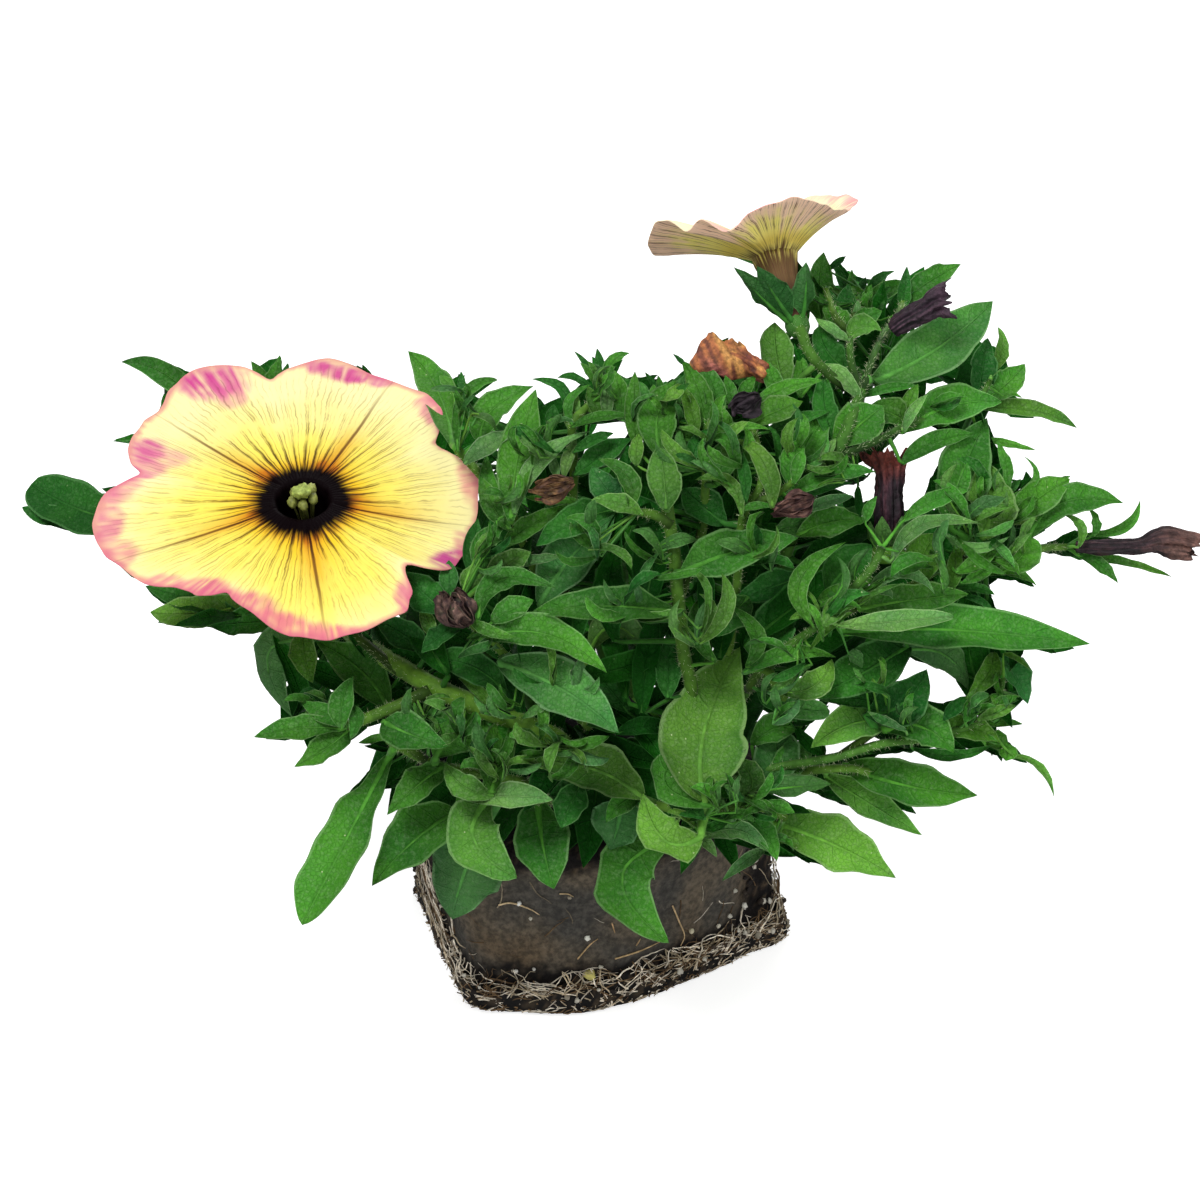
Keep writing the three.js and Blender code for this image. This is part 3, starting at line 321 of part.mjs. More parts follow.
  ["l222","rrsh3",[66.26,-20.39,87.41],[65.98,-18.2,91.04],[70.21,-14.71,92.54],[68.57,-11.43,95.03],[0.278,-0.58,0.766],0.66,0.45,1.0,14,0],
  ["l223","rrsh3",[64.7,-21.09,87.58],[64.72,-22.06,87.66],[70.37,-17.06,90.04],[76.3,-11.4,90.99],[0.285,-0.576,0.766],2.92,0.5,1.0,14,0],
  ["l224","rrsh2",[69.34,-20.04,82.05],[68.4,-21.97,85.18],[74.92,-15.24,88.57],[85.55,-10.6,86.42],[0.302,-0.568,0.766],2.88,0.5,1.0,14,0],
  ["l225","rrsh2",[75.67,-15.96,80.94],[79.56,-11.6,81.33],[86.22,-9.04,81.29],[89.71,-2.93,83.7],[0.302,-0.568,0.766],1.0,0.45,1.0,14,0],
  ["l229","rrsh2",[75.67,-15.96,80.94],[78.95,-12.96,77.82],[86.76,-12.02,76.31],[94.56,-10.45,73.07],[0.302,-0.568,0.766],0.89,0.45,1.0,14,0],
];

// The biggest leaves are pieces of their own.
const SINGLE = [
  ["l59","leaf_01"],
  ["l81","leaf_02"],
  ["l206","leaf_03"],
  ["l22","leaf_04"],
  ["l03","leaf_05"],
  ["l57","leaf_06"],
  ["l218","leaf_07"],
  ["l65","leaf_08"],
  ["l44","leaf_09"],
  ["l27","leaf_10"],
  ["l160","leaf_11"],
  ["l68","leaf_12"],
  ["l25","leaf_13"],
  ["l184","leaf_14"],
  ["l51","leaf_15"],
  ["l101","leaf_16"],
  ["l165","leaf_17"],
  ["l26","leaf_18"],
  ["l72","leaf_19"],
  ["l45","leaf_20"],
];

// Flowers: throat centre, axis, throat radius, rim points, tube path and radii.
const FLOWERS = {
  front: {
    c: [-46.93,-24.14,92.69],
    n: [0.0,-0.3665,0.9304],
    tr: 4.3,
    knee: -1.0,
    tube: [[-46.93,-23.77,91.76],[-46.73,-20.57,86.18],[-45.8,-15.6,73.0],[-45.2,-12.4,65.6]],
    tuber: [4.3,3.4,2.7,1.7],
    rim: [
      [-19.3,-23.91,92.11],
      [-19.32,-22.71,93.0],
      [-19.17,-21.43,93.79],
      [-19.25,-20.07,94.31],
      [-19.87,-18.72,94.63],
      [-20.22,-17.36,95.01],
      [-20.74,-16.12,95.56],
      [-22.07,-15.25,96.16],
      [-23.45,-14.49,96.73],
      [-24.63,-13.68,97.15],
      [-25.77,-12.84,97.34],
      [-26.53,-11.79,97.49],
      [-26.28,-10.02,97.78],
      [-25.9,-8.1,98.44],
      [-25.58,-6.13,99.44],
      [-25.83,-4.48,100.36],
      [-26.73,-3.27,100.93],
      [-27.6,-1.87,101.29],
      [-28.56,-0.42,101.48],
      [-29.82,0.68,101.56],
      [-31.21,1.56,101.74],
      [-32.69,2.22,102.0],
      [-34.17,2.9,102.26],
      [-35.65,3.52,102.62],
      [-37.04,4.57,102.88],
      [-38.41,5.92,103.08],
      [-39.89,7.26,103.37],
      [-41.54,8.07,103.76],
      [-43.31,8.33,104.24],
      [-45.13,8.11,104.66],
      [-46.93,7.23,104.72],
      [-48.63,6.16,104.48],
      [-50.23,5.16,104.13],
      [-51.74,4.12,103.84],
      [-53.07,2.62,103.61],
      [-54.23,0.91,103.5],
      [-56.27,2.2,104.22],
      [-58.48,3.48,104.7],
      [-60.64,4.26,104.64],
      [-62.99,5.14,104.37],
      [-65.38,5.76,103.99],
      [-67.49,5.63,103.52],
      [-68.97,4.46,102.89],
      [-70.04,2.8,102.18],
      [-71.22,1.41,101.47],
      [-71.74,-0.5,100.37],
      [-72.6,-1.91,99.32],
      [-73.81,-3.09,98.64],
      [-74.47,-4.86,98.36],
      [-74.63,-6.97,98.2],
      [-74.91,-8.92,98.15],
      [-75.39,-10.66,98.06],
      [-75.66,-12.37,97.72],
      [-75.8,-13.98,97.15],
      [-75.43,-15.69,96.5],
      [-74.75,-17.42,95.98],
      [-73.25,-19.2,95.41],
      [-74.53,-20.33,94.96],
      [-76.18,-21.48,94.32],
      [-78.12,-22.66,93.39],
      [-79.17,-23.99,92.33],
      [-79.71,-25.38,91.16],
      [-80.01,-26.87,90.13],
      [-79.7,-28.46,89.51],
      [-79.21,-30.08,89.06],
      [-78.56,-31.63,88.58],
      [-77.73,-33.03,87.97],
      [-76.8,-34.31,87.22],
      [-75.27,-35.28,86.55],
      [-74.19,-36.57,86.36],
      [-73.19,-37.93,86.32],
      [-72.12,-39.22,86.33],
      [-70.95,-40.36,86.25],
      [-69.51,-41.16,85.99],
      [-67.61,-41.39,85.68],
      [-65.49,-41.24,85.45],
      [-63.99,-41.55,85.2],
      [-62.78,-42.2,85.14],
      [-61.84,-43.21,85.1],
      [-60.53,-43.72,85.23],
      [-59.05,-43.8,85.34],
      [-57.19,-42.9,85.37],
      [-56.3,-43.62,84.72],
      [-55.37,-44.45,84.26],
      [-54.44,-45.55,84.0],
      [-53.45,-46.81,83.84],
      [-52.36,-48.02,83.6],
      [-51.15,-49.03,83.15],
      [-49.82,-49.73,82.5],
      [-48.4,-50.06,81.88],
      [-46.93,-50.23,81.41],
      [-45.45,-50.03,81.32],
      [-43.95,-50.11,81.25],
      [-42.41,-50.24,81.08],
      [-40.87,-50.13,80.86],
      [-39.44,-49.52,80.9],
      [-38.06,-48.84,80.94],
      [-36.65,-48.35,81.13],
      [-35.21,-48.06,81.61],
      [-33.76,-47.83,82.31],
      [-32.27,-47.61,82.99],
      [-30.68,-47.39,83.48],
      [-29.32,-46.72,83.89],
      [-29.07,-44.7,84.72],
      [-28.68,-43.09,85.5],
      [-29.81,-40.27,86.95],
      [-29.64,-38.99,87.91],
      [-26.94,-39.63,87.86],
      [-24.88,-39.35,87.61],
      [-23.47,-38.42,87.38],
      [-22.56,-37.11,87.22],
      [-22.08,-35.6,87.23],
      [-21.53,-34.22,87.44],
      [-20.71,-33.05,87.86],
      [-20.44,-31.7,88.41],
      [-20.3,-30.29,88.85],
      [-20.18,-28.85,89.13],
      [-20.01,-27.4,89.34],
      [-19.62,-26.15,89.97],
      [-19.33,-25.04,91.04],
    ],
  },
  top: {
    c: [28.39,3.65,123.88],
    n: [-0.1599,0.5196,0.8393],
    tr: 3.4,
    knee: 1.6,
    tube: [[28.49,2.28,123.31],[29.3,-1.54,121.03],[30.65,-4.33,118.61],[31.41,-5.91,116.62]],
    tuber: [3.3,2.5,2.0,1.5],
    rim: [
      [7.82,6.25,124.73],
      [7.76,5.14,125.57],
      [7.86,4.25,126.38],
      [8.04,3.32,127.24],
      [8.19,2.36,128.08],
      [8.36,1.35,128.98],
      [8.58,0.33,129.88],
      [8.86,-0.6,130.66],
      [9.37,-1.62,131.46],
      [10.07,-2.57,132.13],
      [10.78,-3.37,132.47],
      [11.72,-4.24,132.15],
      [12.62,-4.98,131.58],
      [13.53,-5.84,131.13],
      [14.33,-6.51,131.64],
      [15.07,-7.07,132.76],
      [15.94,-7.7,133.35],
      [17.03,-8.45,133.12],
      [18.12,-8.97,132.61],
      [19.26,-9.03,132.11],
      [20.38,-8.44,132.09],
      [21.51,-7.77,132.46],
      [22.41,-7.3,133.24],
      [23.33,-6.95,134.17],
      [24.33,-6.94,134.95],
      [25.41,-7.2,135.65],
      [26.58,-7.27,136.17],
      [27.83,-7.22,136.53],
      [29.13,-6.96,136.68],
      [30.22,-6.51,136.59],
      [31.32,-5.89,136.34],
      [32.46,-5.08,135.95],
      [33.32,-4.39,135.59],
      [34.2,-3.61,135.16],
      [35.08,-2.73,134.68],
      [35.95,-1.74,134.15],
      [36.64,-0.85,133.66],
      [37.3,0.04,133.12],
      [37.95,0.99,132.56],
      [38.58,2.04,132.03],
      [39.19,3.2,131.57],
      [39.72,4.36,131.28],
      [40.21,5.55,131.1],
      [40.71,6.85,130.98],
      [41.19,8.21,130.89],
      [41.63,9.55,130.83],
      [41.99,10.81,130.76],
      [42.24,11.91,130.68],
      [42.38,13.31,130.51],
      [42.14,14.63,130.3],
      [41.68,15.68,130.08],
      [41.2,16.76,129.82],
      [40.59,17.79,129.49],
      [39.9,18.81,129.15],
      [39.3,19.92,128.91],
      [38.77,21.08,128.75],
      [38.2,22.28,128.57],
      [37.57,23.42,128.29],
      [36.9,24.42,127.9],
      [36.17,25.38,127.43],
      [35.41,26.32,126.91],
      [34.64,27.22,126.35],
      [33.89,28.13,125.75],
      [33.11,29.02,125.11],
      [32.3,29.81,124.48],
      [31.39,30.47,123.89],
      [30.29,30.97,123.31],
      [29.17,31.32,122.77],
      [28.07,31.6,122.25],
      [26.9,31.92,121.67],
      [25.75,32.11,121.13],
      [24.58,31.92,120.68],
      [23.53,31.39,120.37],
      [22.43,30.64,120.1],
      [21.38,29.78,119.88],
      [20.44,28.91,119.71],
      [19.59,27.97,119.59],
      [18.81,26.96,119.52],
      [18.02,25.87,119.47],
      [17.33,24.86,119.43],
      [16.63,23.8,119.41],
      [15.94,22.68,119.42],
      [15.21,21.52,119.47],
      [14.55,20.45,119.55],
      [13.88,19.34,119.65],
      [13.19,18.21,119.78],
      [12.52,17.09,119.95],
      [11.87,16.0,120.17],
      [11.19,14.91,120.44],
      [10.52,13.85,120.75],
      [9.9,12.78,121.11],
      [9.35,11.7,121.56],
      [8.92,10.6,122.09],
      [8.54,9.45,122.72],
      [8.23,8.3,123.4],
      [7.99,7.21,124.09],
    ],
  },
};

// Calyces: centre, axis, cup radius, cup height, sepals (base, middle, tip, facing, half width).
const CALYCES = {
  calyx_main: { c: [-45.2,-12.0,64.2], ax: [-0.074,-0.396,0.915], r: 2.3, h: 3.0, rows: [
    [[-45.96,-10.69,64.71],[-47.68,-11.41,71.9],[-49.31,-12.02,78.61],[0.437,-0.899,-0.039],1.5,0.4,1.0,14,0],
    [[-46.77,-12.23,63.98],[-49.74,-15.35,70.03],[-52.57,-18.26,75.65],[0.917,0.021,0.397],1.5,0.4,1.0,14,0],
    [[-45.4,-13.45,63.56],[-46.24,-18.49,68.96],[-47.03,-23.24,73.94],[0.101,0.755,0.648],1.5,0.4,1.0,14,0],
    [[-43.76,-12.67,64.03],[-42.02,-16.49,70.16],[-40.34,-20.07,75.85],[-0.885,0.288,0.367],1.5,0.4,1.0,14,0],
    [[-44.1,-10.96,64.74],[-42.91,-12.12,71.98],[-41.75,-13.14,78.74],[-0.677,-0.734,-0.058],1.5,0.4,1.0,14,0],
  ] },
  calyx_top: { c: [31.56,-6.51,115.82], ax: [-0.287,0.599,0.748], r: 2.0, h: 2.6, rows: [
    [[30.53,-7.27,116.04],[25.72,-6.64,120.61],[21.31,-5.71,125.11],[0.791,0.588,-0.167],1.5,0.4,1.0,14,0],
    [[30.91,-7.5,116.36],[27.76,-7.72,121.23],[24.86,-7.55,125.88],[0.5,0.76,-0.416],1.5,0.4,1.0,14,0],
    [[32.25,-7.22,116.66],[32.64,-6.43,121.4],[32.77,-5.37,125.83],[-0.534,0.548,-0.644],1.5,0.4,1.0,14,0],
    [[32.54,-5.7,115.55],[32.36,-0.94,119.51],[31.8,3.51,123.59],[-0.752,-0.624,0.211],1.5,0.4,1.0,14,0],
    [[31.61,-5.49,115.02],[29.76,1.46,118.07],[27.88,8.02,121.42],[-0.041,-0.788,0.615],1.5,0.4,1.0,14,0],
  ] },
  calyx_upright: { c: [45.91,-24.02,83.47], ax: [0.019,0.423,0.906], r: 1.8, h: 2.2, rows: [
    [[45.07,-24.5,83.71],[43.03,-24.63,86.56],[42.85,-23.7,88.89],[0.844,0.479,-0.241],1.35,0.4,1.0,14,0],
    [[45.59,-24.88,83.88],[44.7,-26.21,87.68],[44.51,-25.66,90.6],[0.319,0.857,-0.406],1.35,0.4,1.0,14,0],
    [[46.36,-24.84,83.84],[47.56,-25.69,87.43],[47.77,-24.75,90.2],[-0.447,0.814,-0.37],1.35,0.4,1.0,14,0],
    [[46.91,-24.03,83.45],[49.35,-23.16,85.32],[49.58,-22.27,87.23],[-1.0,0.008,0.017],1.35,0.4,1.0,14,0],
    [[46.23,-23.16,83.06],[46.97,-19.96,85.04],[47.02,-18.64,87.92],[-0.313,-0.858,0.407],1.35,0.4,1.0,14,0],
  ] },
};

// Withered flowers and dead buds: path and radii.
const WITHERED = [
  { name: "withered_orange", pts: [[25.76,-18.31,111.36],[23.93,-16.69,112.43],[21.45,-15.48,113.33],[18.48,-14.21,114.2],[16.24,-15.14,114.04],[14.77,-17.16,113.27]], r: [1.2,2.4,3.6,3.9,2.6,1.0] },
  { name: "withered_left_bud", pts: [[-20.1,-47.03,81.9],[-20.67,-47.13,83.96],[-21.84,-47.17,85.66],[-22.77,-46.45,86.67]], r: [1.1,2.2,2.7,1.6] },
  { name: "withered_bit", pts: [[-4.14,-35.32,100.59],[-6.44,-35.58,100.04],[-8.58,-35.81,99.47],[-10.73,-35.89,99.01]], r: [0.8,1.5,1.7,0.9] },
  { name: "black_bud", pts: [[24.82,-22.29,109.36],[23.22,-23.4,108.95],[21.62,-24.63,108.43],[20.34,-25.6,107.97]], r: [0.9,1.6,1.7,0.8] },
  { name: "withered_brown", pts: [[32.56,-35.57,97.87],[30.67,-36.51,97.44],[28.79,-37.29,97.1],[26.92,-38.14,96.63]], r: [1.0,1.8,2.0,1.2] },
  { name: "withered_purple", pts: [[47.54,-1.43,113.0],[49.38,-1.76,114.66],[51.75,-1.68,115.99],[54.28,-1.48,117.62],[56.21,-1.27,118.06],[57.99,-1.48,117.62]], r: [1.2,1.9,2.4,2.5,1.6,0.7] },
  { name: "withered_upright", pts: [[46.07,-23.21,85.2],[46.07,-21.8,88.24],[46.07,-20.45,91.13],[46.07,-19.1,94.02],[45.91,-18.03,96.33],[45.75,-17.22,98.06]], r: [1.0,1.7,2.0,2.2,3.0,4.0] },
  { name: "withered_far_right", pts: [[77.23,-16.3,81.09],[79.41,-16.76,81.29],[83.37,-17.22,81.5],[87.42,-17.15,81.64],[89.52,-16.88,82.23],[91.63,-16.81,82.38],[93.9,-16.95,82.08],[96.16,-17.15,81.64]], r: [1.0,1.6,1.7,1.8,2.6,2.7,2.0,1.0] },
];

// ---------------------------------------------------------------- helpers
const V = (a) => new THREE.Vector3(a[0], a[1], a[2]);
const lin = (p, a, q, b) => p.clone().multiplyScalar(a).addScaledVector(q, b);

function solid(geometry) {
  const g = geometry.index ? geometry.toNonIndexed() : geometry;
  const bare = new THREE.BufferGeometry().setAttribute("position", g.getAttribute("position"));
  const merged = mergeVertices(bare, 1e-4);
  const made = new wasm.Manifold(
    new wasm.Mesh({
      numProp: 3,
      vertProperties: merged.attributes.position.array,
      triVerts: new Uint32Array(merged.index.array),
    }),
  );
  return made;
}

// Closed skin through rings of points; a ring of one point closes an end.
function skin(rings) {
  const flat = [],
    index = [],
    start = [];
  for (const r of rings) {
    start.push(flat.length / 3);
    for (const p of r) flat.push(p.x, p.y, p.z);
  }
  const cap = (k, flip) => {
    const r = rings[k],
      c = new THREE.Vector3();
    if (r.length === 1) return;
    if (r.length === 3) {
      const [a, b, d] = [start[k], start[k] + 1, start[k] + 2];
      flip ? index.push(a, d, b) : index.push(a, b, d);
      return;
    }
    for (const p of r) c.add(p);
    c.divideScalar(r.length);
    const m = flat.length / 3;
    flat.push(c.x, c.y, c.z);
    for (let i = 0; i < r.length; i++) {
      const a = start[k] + i,
        b = start[k] + ((i + 1) % r.length);
      flip ? index.push(m, b, a) : index.push(m, a, b);
    }
  };
  cap(0, true);
  for (let k = 0; k + 1 < rings.length; k++) {
    const a = rings[k],
      b = rings[k + 1],
      n = Math.max(a.length, b.length);
    for (let i = 0; i < n; i++) {
      const j = (i + 1) % n;
      if (a.length === 1) index.push(start[k], start[k + 1] + j, start[k + 1] + i);
      else if (b.length === 1) index.push(start[k] + i, start[k] + j, start[k + 1]);
      else {
        index.push(start[k] + i, start[k] + j, start[k + 1] + j);
        index.push(start[k] + i, start[k + 1] + j, start[k + 1] + i);
      }
    }
  }
  cap(rings.length - 1, false);
  const g = new THREE.BufferGeometry();
  g.setAttribute("position", new THREE.Float32BufferAttribute(flat, 3));
  g.setIndex(index);
  let s = solid(g);
  if (s.volume() < 0) {
    for (let i = 0; i < index.length; i += 3) [index[i + 1], index[i + 2]] = [index[i + 2], index[i + 1]];
    g.setIndex(index);
    s = solid(g);
  }
  return s;
}

function join(list) {
  if (list.length === 1) return list[0];
  let level = list;
  while (level.length > 1) {
    const next = [];
    for (let i = 0; i < level.length; i += 2)
      next.push(i + 1 < level.length ? level[i].add(level[i + 1]) : level[i]);
    level = next;
  }
  return level[0];
}

// A bent tube of changing radius.
function tube(path, radii, sides, grow = 0, reach = 0) {
  const pts = path.map(V),
    n = pts.length,
    rings = [];
  let side = null;
  for (let i = 0; i < n; i++) {
    const t = lin(pts[Math.min(n - 1, i + 1)], 1, pts[Math.max(0, i - 1)], -1).normalize();
    if (!side) side = new THREE.Vector3(0, 0, 1).cross(t).lengthSq() > 0.01 ? new THREE.Vector3(0, 0, 1).cross(t) : new THREE.Vector3(1, 0, 0).cross(t);
    side = side.clone().addScaledVector(t, -side.dot(t)).normalize();
    const up = t.clone().cross(side);
    const c = pts[i].clone();
    if (i === 0) c.addScaledVector(t, -reach);
    if (i === n - 1) c.addScaledVector(t, reach);
    const r = radii[i] + grow;
    rings.push(
      Array.from({ length: sides }, (_, k) => {
        const a = (2 * Math.PI * k) / sides;
        return lin(side, r * Math.cos(a), up, r * Math.sin(a)).add(c);
      }),
    );
  }
  return skin(rings);
}

// Stems follow a smooth curve through their points.
function stemSolid(s, grow = 0) {
  const [, , r0, r1, path] = s;
  const curve = new THREE.CatmullRomCurve3(path.map(V), false, "centripetal");
  const n = Math.max(3, Math.min(9, Math.round(curve.getLength() / 17)));
  const pts = curve.getSpacedPoints(n).map((p) => [p.x, p.y, p.z]);
  const radii = pts.map((_, i) => r0 + ((r1 - r0) * i) / n);
  return tube(pts, radii, STEM_SIDES, grow, grow);
}

function widthAt(t, tm, tp) {
  if (t < tm) return 0.16 + 0.84 * Math.sin(((Math.PI / 2) * t) / tm) ** 0.9;
  const s = (t - tm) / (1 - tm);
  return Math.max(0, 1 - s ** 1.9) ** tp;
}

// A leaf: a stalk from the stem into a blade, three-sided: two edges and the keel of the midrib below.
function leafSolid(row, grow = 0) {
  const [, , s0, b0, m0, e0, n0, hw, tm, tp, fold, under] = row;
  const S = V(s0),
    B = V(b0),
    M = V(m0),
    E = V(e0),
    face = V(n0).multiplyScalar(under ? -1 : 1);
  const length = B.distanceTo(M) + M.distanceTo(E);
  const at = (t) => {
    const l0 = 2 * (t - 0.5) * (t - 1),
      l1 = -4 * t * (t - 1),
      l2 = 2 * t * (t - 0.5);
    return lin(B, l0, M, l1).addScaledVector(E, l2);
  };
  const f = THREE.MathUtils.degToRad(fold);
  const stations = length < SMALL_LEAF ? [0.42] : length < MEDIUM_LEAF ? [0.3, 0.7] : [0.12, 0.45, 0.78];
  const rings = [];
  for (const t of stations) {
    const tan = lin(at(t + 0.02), 1, at(t - 0.02), -1).normalize();
    const N = face.clone().addScaledVector(tan, -face.dot(tan)).normalize(),
      L = N.clone().cross(tan).normalize();
    const h = hw * widthAt(t, tm, tp) + grow,
      rise = h * Math.sin(f) * 0.6 + 0.1 + grow,
      keel = BLADE * 1.5 + grow,
      c = at(t);
    rings.push([
      lin(L, -h * Math.cos(f), N, rise).add(c),
      lin(L, h * Math.cos(f), N, rise).add(c),
      lin(L, 0, N, -keel).add(c),
    ]);
    if (rings.length === 1) {
      // the stalk keeps the blade's own sides, so that it doesn't twist
      const way = lin(at(0.1), 1, S, -1).normalize();
      let side = L.clone().addScaledVector(way, -L.dot(way));
      if (side.length() < 0.35) side = N.clone().addScaledVector(way, -N.dot(way)).cross(way);
      side.normalize();
      const up = way.clone().cross(side);
      const w = PETIOLE + grow,
        c0 = S.clone().addScaledVector(way, -grow - 0.35);
      const first = [lin(side, -w, up, w * 0.5).add(c0), lin(side, w, up, w * 0.5).add(c0), lin(side, 0, up, -w).add(c0)];
      rings.unshift(first);
    }
  }
  const end = lin(E, 1, at(0.9), -1).normalize();
  rings.push([E.clone().addScaledVector(end, grow)]);
  return skin(rings);
}

// ---------------------------------------------------------------- pieces in order of precedence
const pieces = new Map(); // name -> { body, cutter, colour, rough }
function piece(name, body, cutter, colour, rough = 0.75) {
  pieces.set(name, { body, cutter, colour, rough });
}

// Root ball: a tapered block of pressed peat with a flat foot, its matted root band at the foot.
function ballRing(z, out = 0) {
  const k = z / BALL_HEIGHT;
  return BALL.map(([a, r0, r1, lift]) => {
    const t = THREE.MathUtils.degToRad(a);
    const r = r0 + (r1 - r0) * k + out;
    return new THREE.Vector3(BALL_X + r * Math.cos(t), BALL_Y + r * Math.sin(t), z);
  });
}
const BALL_X = 2.0,
  BALL_Y = 2.0;
function ballSolid(grow = 0) {
  const rings = [0, 8, 16, 24, 29.5].map((z) => ballRing(z, grow));
  rings[0] = rings[0].map((p) => p.setZ(-grow));
  rings.push(ballRing(BALL_HEIGHT, -3.2 + grow).map((p) => p.setZ(BALL_HEIGHT + grow)));
  return skin(rings);
}
// The band is a low skirt of matted roots round the foot, standing clear of the peat.
function bandSolid(grow = 0) {
  const rows = [
    [-0.0 - grow, MAT_BAND + GAP + grow],
    [2.5, MAT_BAND + 0.5 + GAP + grow],
    [5.5 + grow, 0.9 + GAP + grow],
  ];
  const outer = skin(rows.map(([z, o]) => ballRing(Math.max(0, z), o).map((p) => p.setZ(z))));
  const inner = skin(
    [-2, 3, 8].map((z) => ballRing(Math.max(0, z), GAP - grow).map((p) => p.setZ(z))),
  );
  return outer.subtract(inner);
}
piece("root_ball", ballSolid(), ballSolid(GAP), 0x3a2f28, 0.95);
piece("root_band", bandSolid(), bandSolid(GAP), 0xa08a68, 0.9);

// Crown: the short woody base, standing on the peat.
function crownSolid(grow = 0) {
  const r = CROWN_R + grow;
  const profile = [
    new THREE.Vector2(0, -grow),
    new THREE.Vector2(r, -grow),
    new THREE.Vector2(r * 0.95, 2.4),
    new THREE.Vector2(r * 0.6, 4.4 + grow),
    new THREE.Vector2(0, 5 + grow),
  ];
  const g = new THREE.LatheGeometry(profile, 12);
  g.rotateX(Math.PI / 2);
  g.translate(1, -5, BALL_HEIGHT + GAP);
  let s = solid(g);
  if (s.volume() < 0) {
    const q = new THREE.LatheGeometry(profile.slice().reverse(), 12);
    q.rotateX(Math.PI / 2);
    q.translate(1, -5, BALL_HEIGHT + GAP);
    s = solid(q);
  }
  return s;
}
piece("crown", crownSolid(), crownSolid(GAP), 0x6d7a3c, 0.85);

// Corollas: a funnel from a closed foot through the tube to a five-lobed limb.
function corolla(f, step, grow = 0) {
  const c = V(f.c),
    n = V(f.n),
    rim = f.rim.filter((_, i) => i % step === 0).map(V);
  const around = rim.map((p) => {
    const v = lin(p, 1, c, -1);
    return v.addScaledVector(n, -v.dot(n)).normalize();
  });
  const tubeRing = (i, extra) => {
    const p = V(f.tube[i]);
    const q = V(f.tube[Math.min(f.tube.length - 1, i + 1)]),
      o = V(f.tube[Math.max(0, i - 1)]);
    const axis = lin(o, 1, q, -1).normalize();
    return around.map((d) => {
      const r = d.clone().addScaledVector(axis, -d.dot(axis)).normalize();
      return p.clone().addScaledVector(r, f.tuber[i] + extra);
    });
  };
  const limb = (u, th) =>
    rim.map((p, i) => {
      const mouth = c.clone().addScaledVector(around[i], f.tr);
      const knee = lin(mouth, 0.62, p, 0.38).addScaledVector(n, f.knee);
      const a = (1 - u) * (1 - u),
        b = 2 * u * (1 - u),
        e = u * u;
      return lin(mouth, a, knee, b)
        .addScaledVector(p, e)
        .addScaledVector(n, -th)
        .addScaledVector(around[i], th * (1 - u) * 0.8 + (u === 1 ? grow : 0));
    });
  const foot = V(f.tube.at(-1)),
    back = lin(V(f.tube.at(-2)), 1, foot, -1).normalize();
  const us = [0.12, 0.35, 0.7, 1];
  const last = f.tube.length - 1;
  const out = [],
    inn = [];
  for (let i = last; i >= 1; i--) out.push(tubeRing(i, PETAL * 0.5 + grow));
  for (const u of us) out.push(limb(u, PETAL * 0.5 + grow));
  for (const u of us.slice().reverse()) inn.push(limb(u, -PETAL * 0.5 - grow));
  for (let i = 1; i <= last; i++) inn.push(tubeRing(i, -PETAL * 0.5 - grow));
  const rings = [[foot.clone().addScaledVector(back, -0.4 - grow)], ...out, ...inn, [foot.clone().addScaledVector(back, 1.2)]];
  return skin(rings);
}
function calyx(c, grow = 0) {
  const ax = V(c.ax),
    p = V(c.c);
  const cup = tube(
    [
      p.clone().addScaledVector(ax, -c.h * 0.8).toArray(),
      p.toArray(),
      p.clone().addScaledVector(ax, c.h * 0.45).toArray(),
    ],
    [c.r * 0.55, c.r, c.r * 0.95],
    8,
    grow,
    grow,
  );
  const sepals = c.rows.map((r) => leafSolid(["", "", r[0], r[0].map((v, i) => v * 0.8 + r[1][i] * 0.2), r[1], r[2], r[3], r[4], r[5], r[6], r[7], r[8]], grow));
  return join([cup, ...sepals]);
}
function pistil(f, grow = 0) {
  const n = V(f.n),
    c = V(f.c);
  const pts = [f.tube[2], f.tube[1], c.clone().addScaledVector(n, 0.2).toArray(), c.clone().addScaledVector(n, 1.6).toArray(), c.clone().addScaledVector(n, 2.6).toArray()];
  return tube(pts, [0.5, 0.6, 0.8, 1.7, 1.1], 7, grow, grow);
}

const stemOf = new Map(STEMS.map((s) => [s[0], s]));
const single = new Map(SINGLE);
const nodes = [...new Set(STEMS.map((s) => s[1]))];

// Stems keep their course; whatever crosses one gives way.
const stemBodies = new Map(),
  stemCuts = new Map();
for (const node of nodes) {
  const own = STEMS.filter((s) => s[1] === node);
  stemBodies.set(node, join(own.map((s) => stemSolid(s))));
  stemCuts.set(node, join(own.flatMap((s) => [stemSolid(s, GAP), stemSolid(s, 0.05)])));
}

piece("corolla_front", corolla(FLOWERS.front, 5), corolla(FLOWERS.front, 5, GAP), 0xf0dc8c, 0.6);
piece("pistil_front", pistil(FLOWERS.front), pistil(FLOWERS.front, GAP), 0xb9bf5a, 0.6);
piece("corolla_top", corolla(FLOWERS.top, 4), corolla(FLOWERS.top, 4, GAP), 0xb99a72, 0.6);
for (const [name, c] of Object.entries(CALYCES)) piece(name, calyx(c), calyx(c, GAP), 0x4f8038, 0.7);
for (const w of WITHERED) {
  piece(w.name, tube(w.pts, w.r, 7), tube(w.pts, w.r, 7, GAP, GAP), w.name === "withered_orange" ? 0xa0623a : 0x3a2226, 0.8);
}

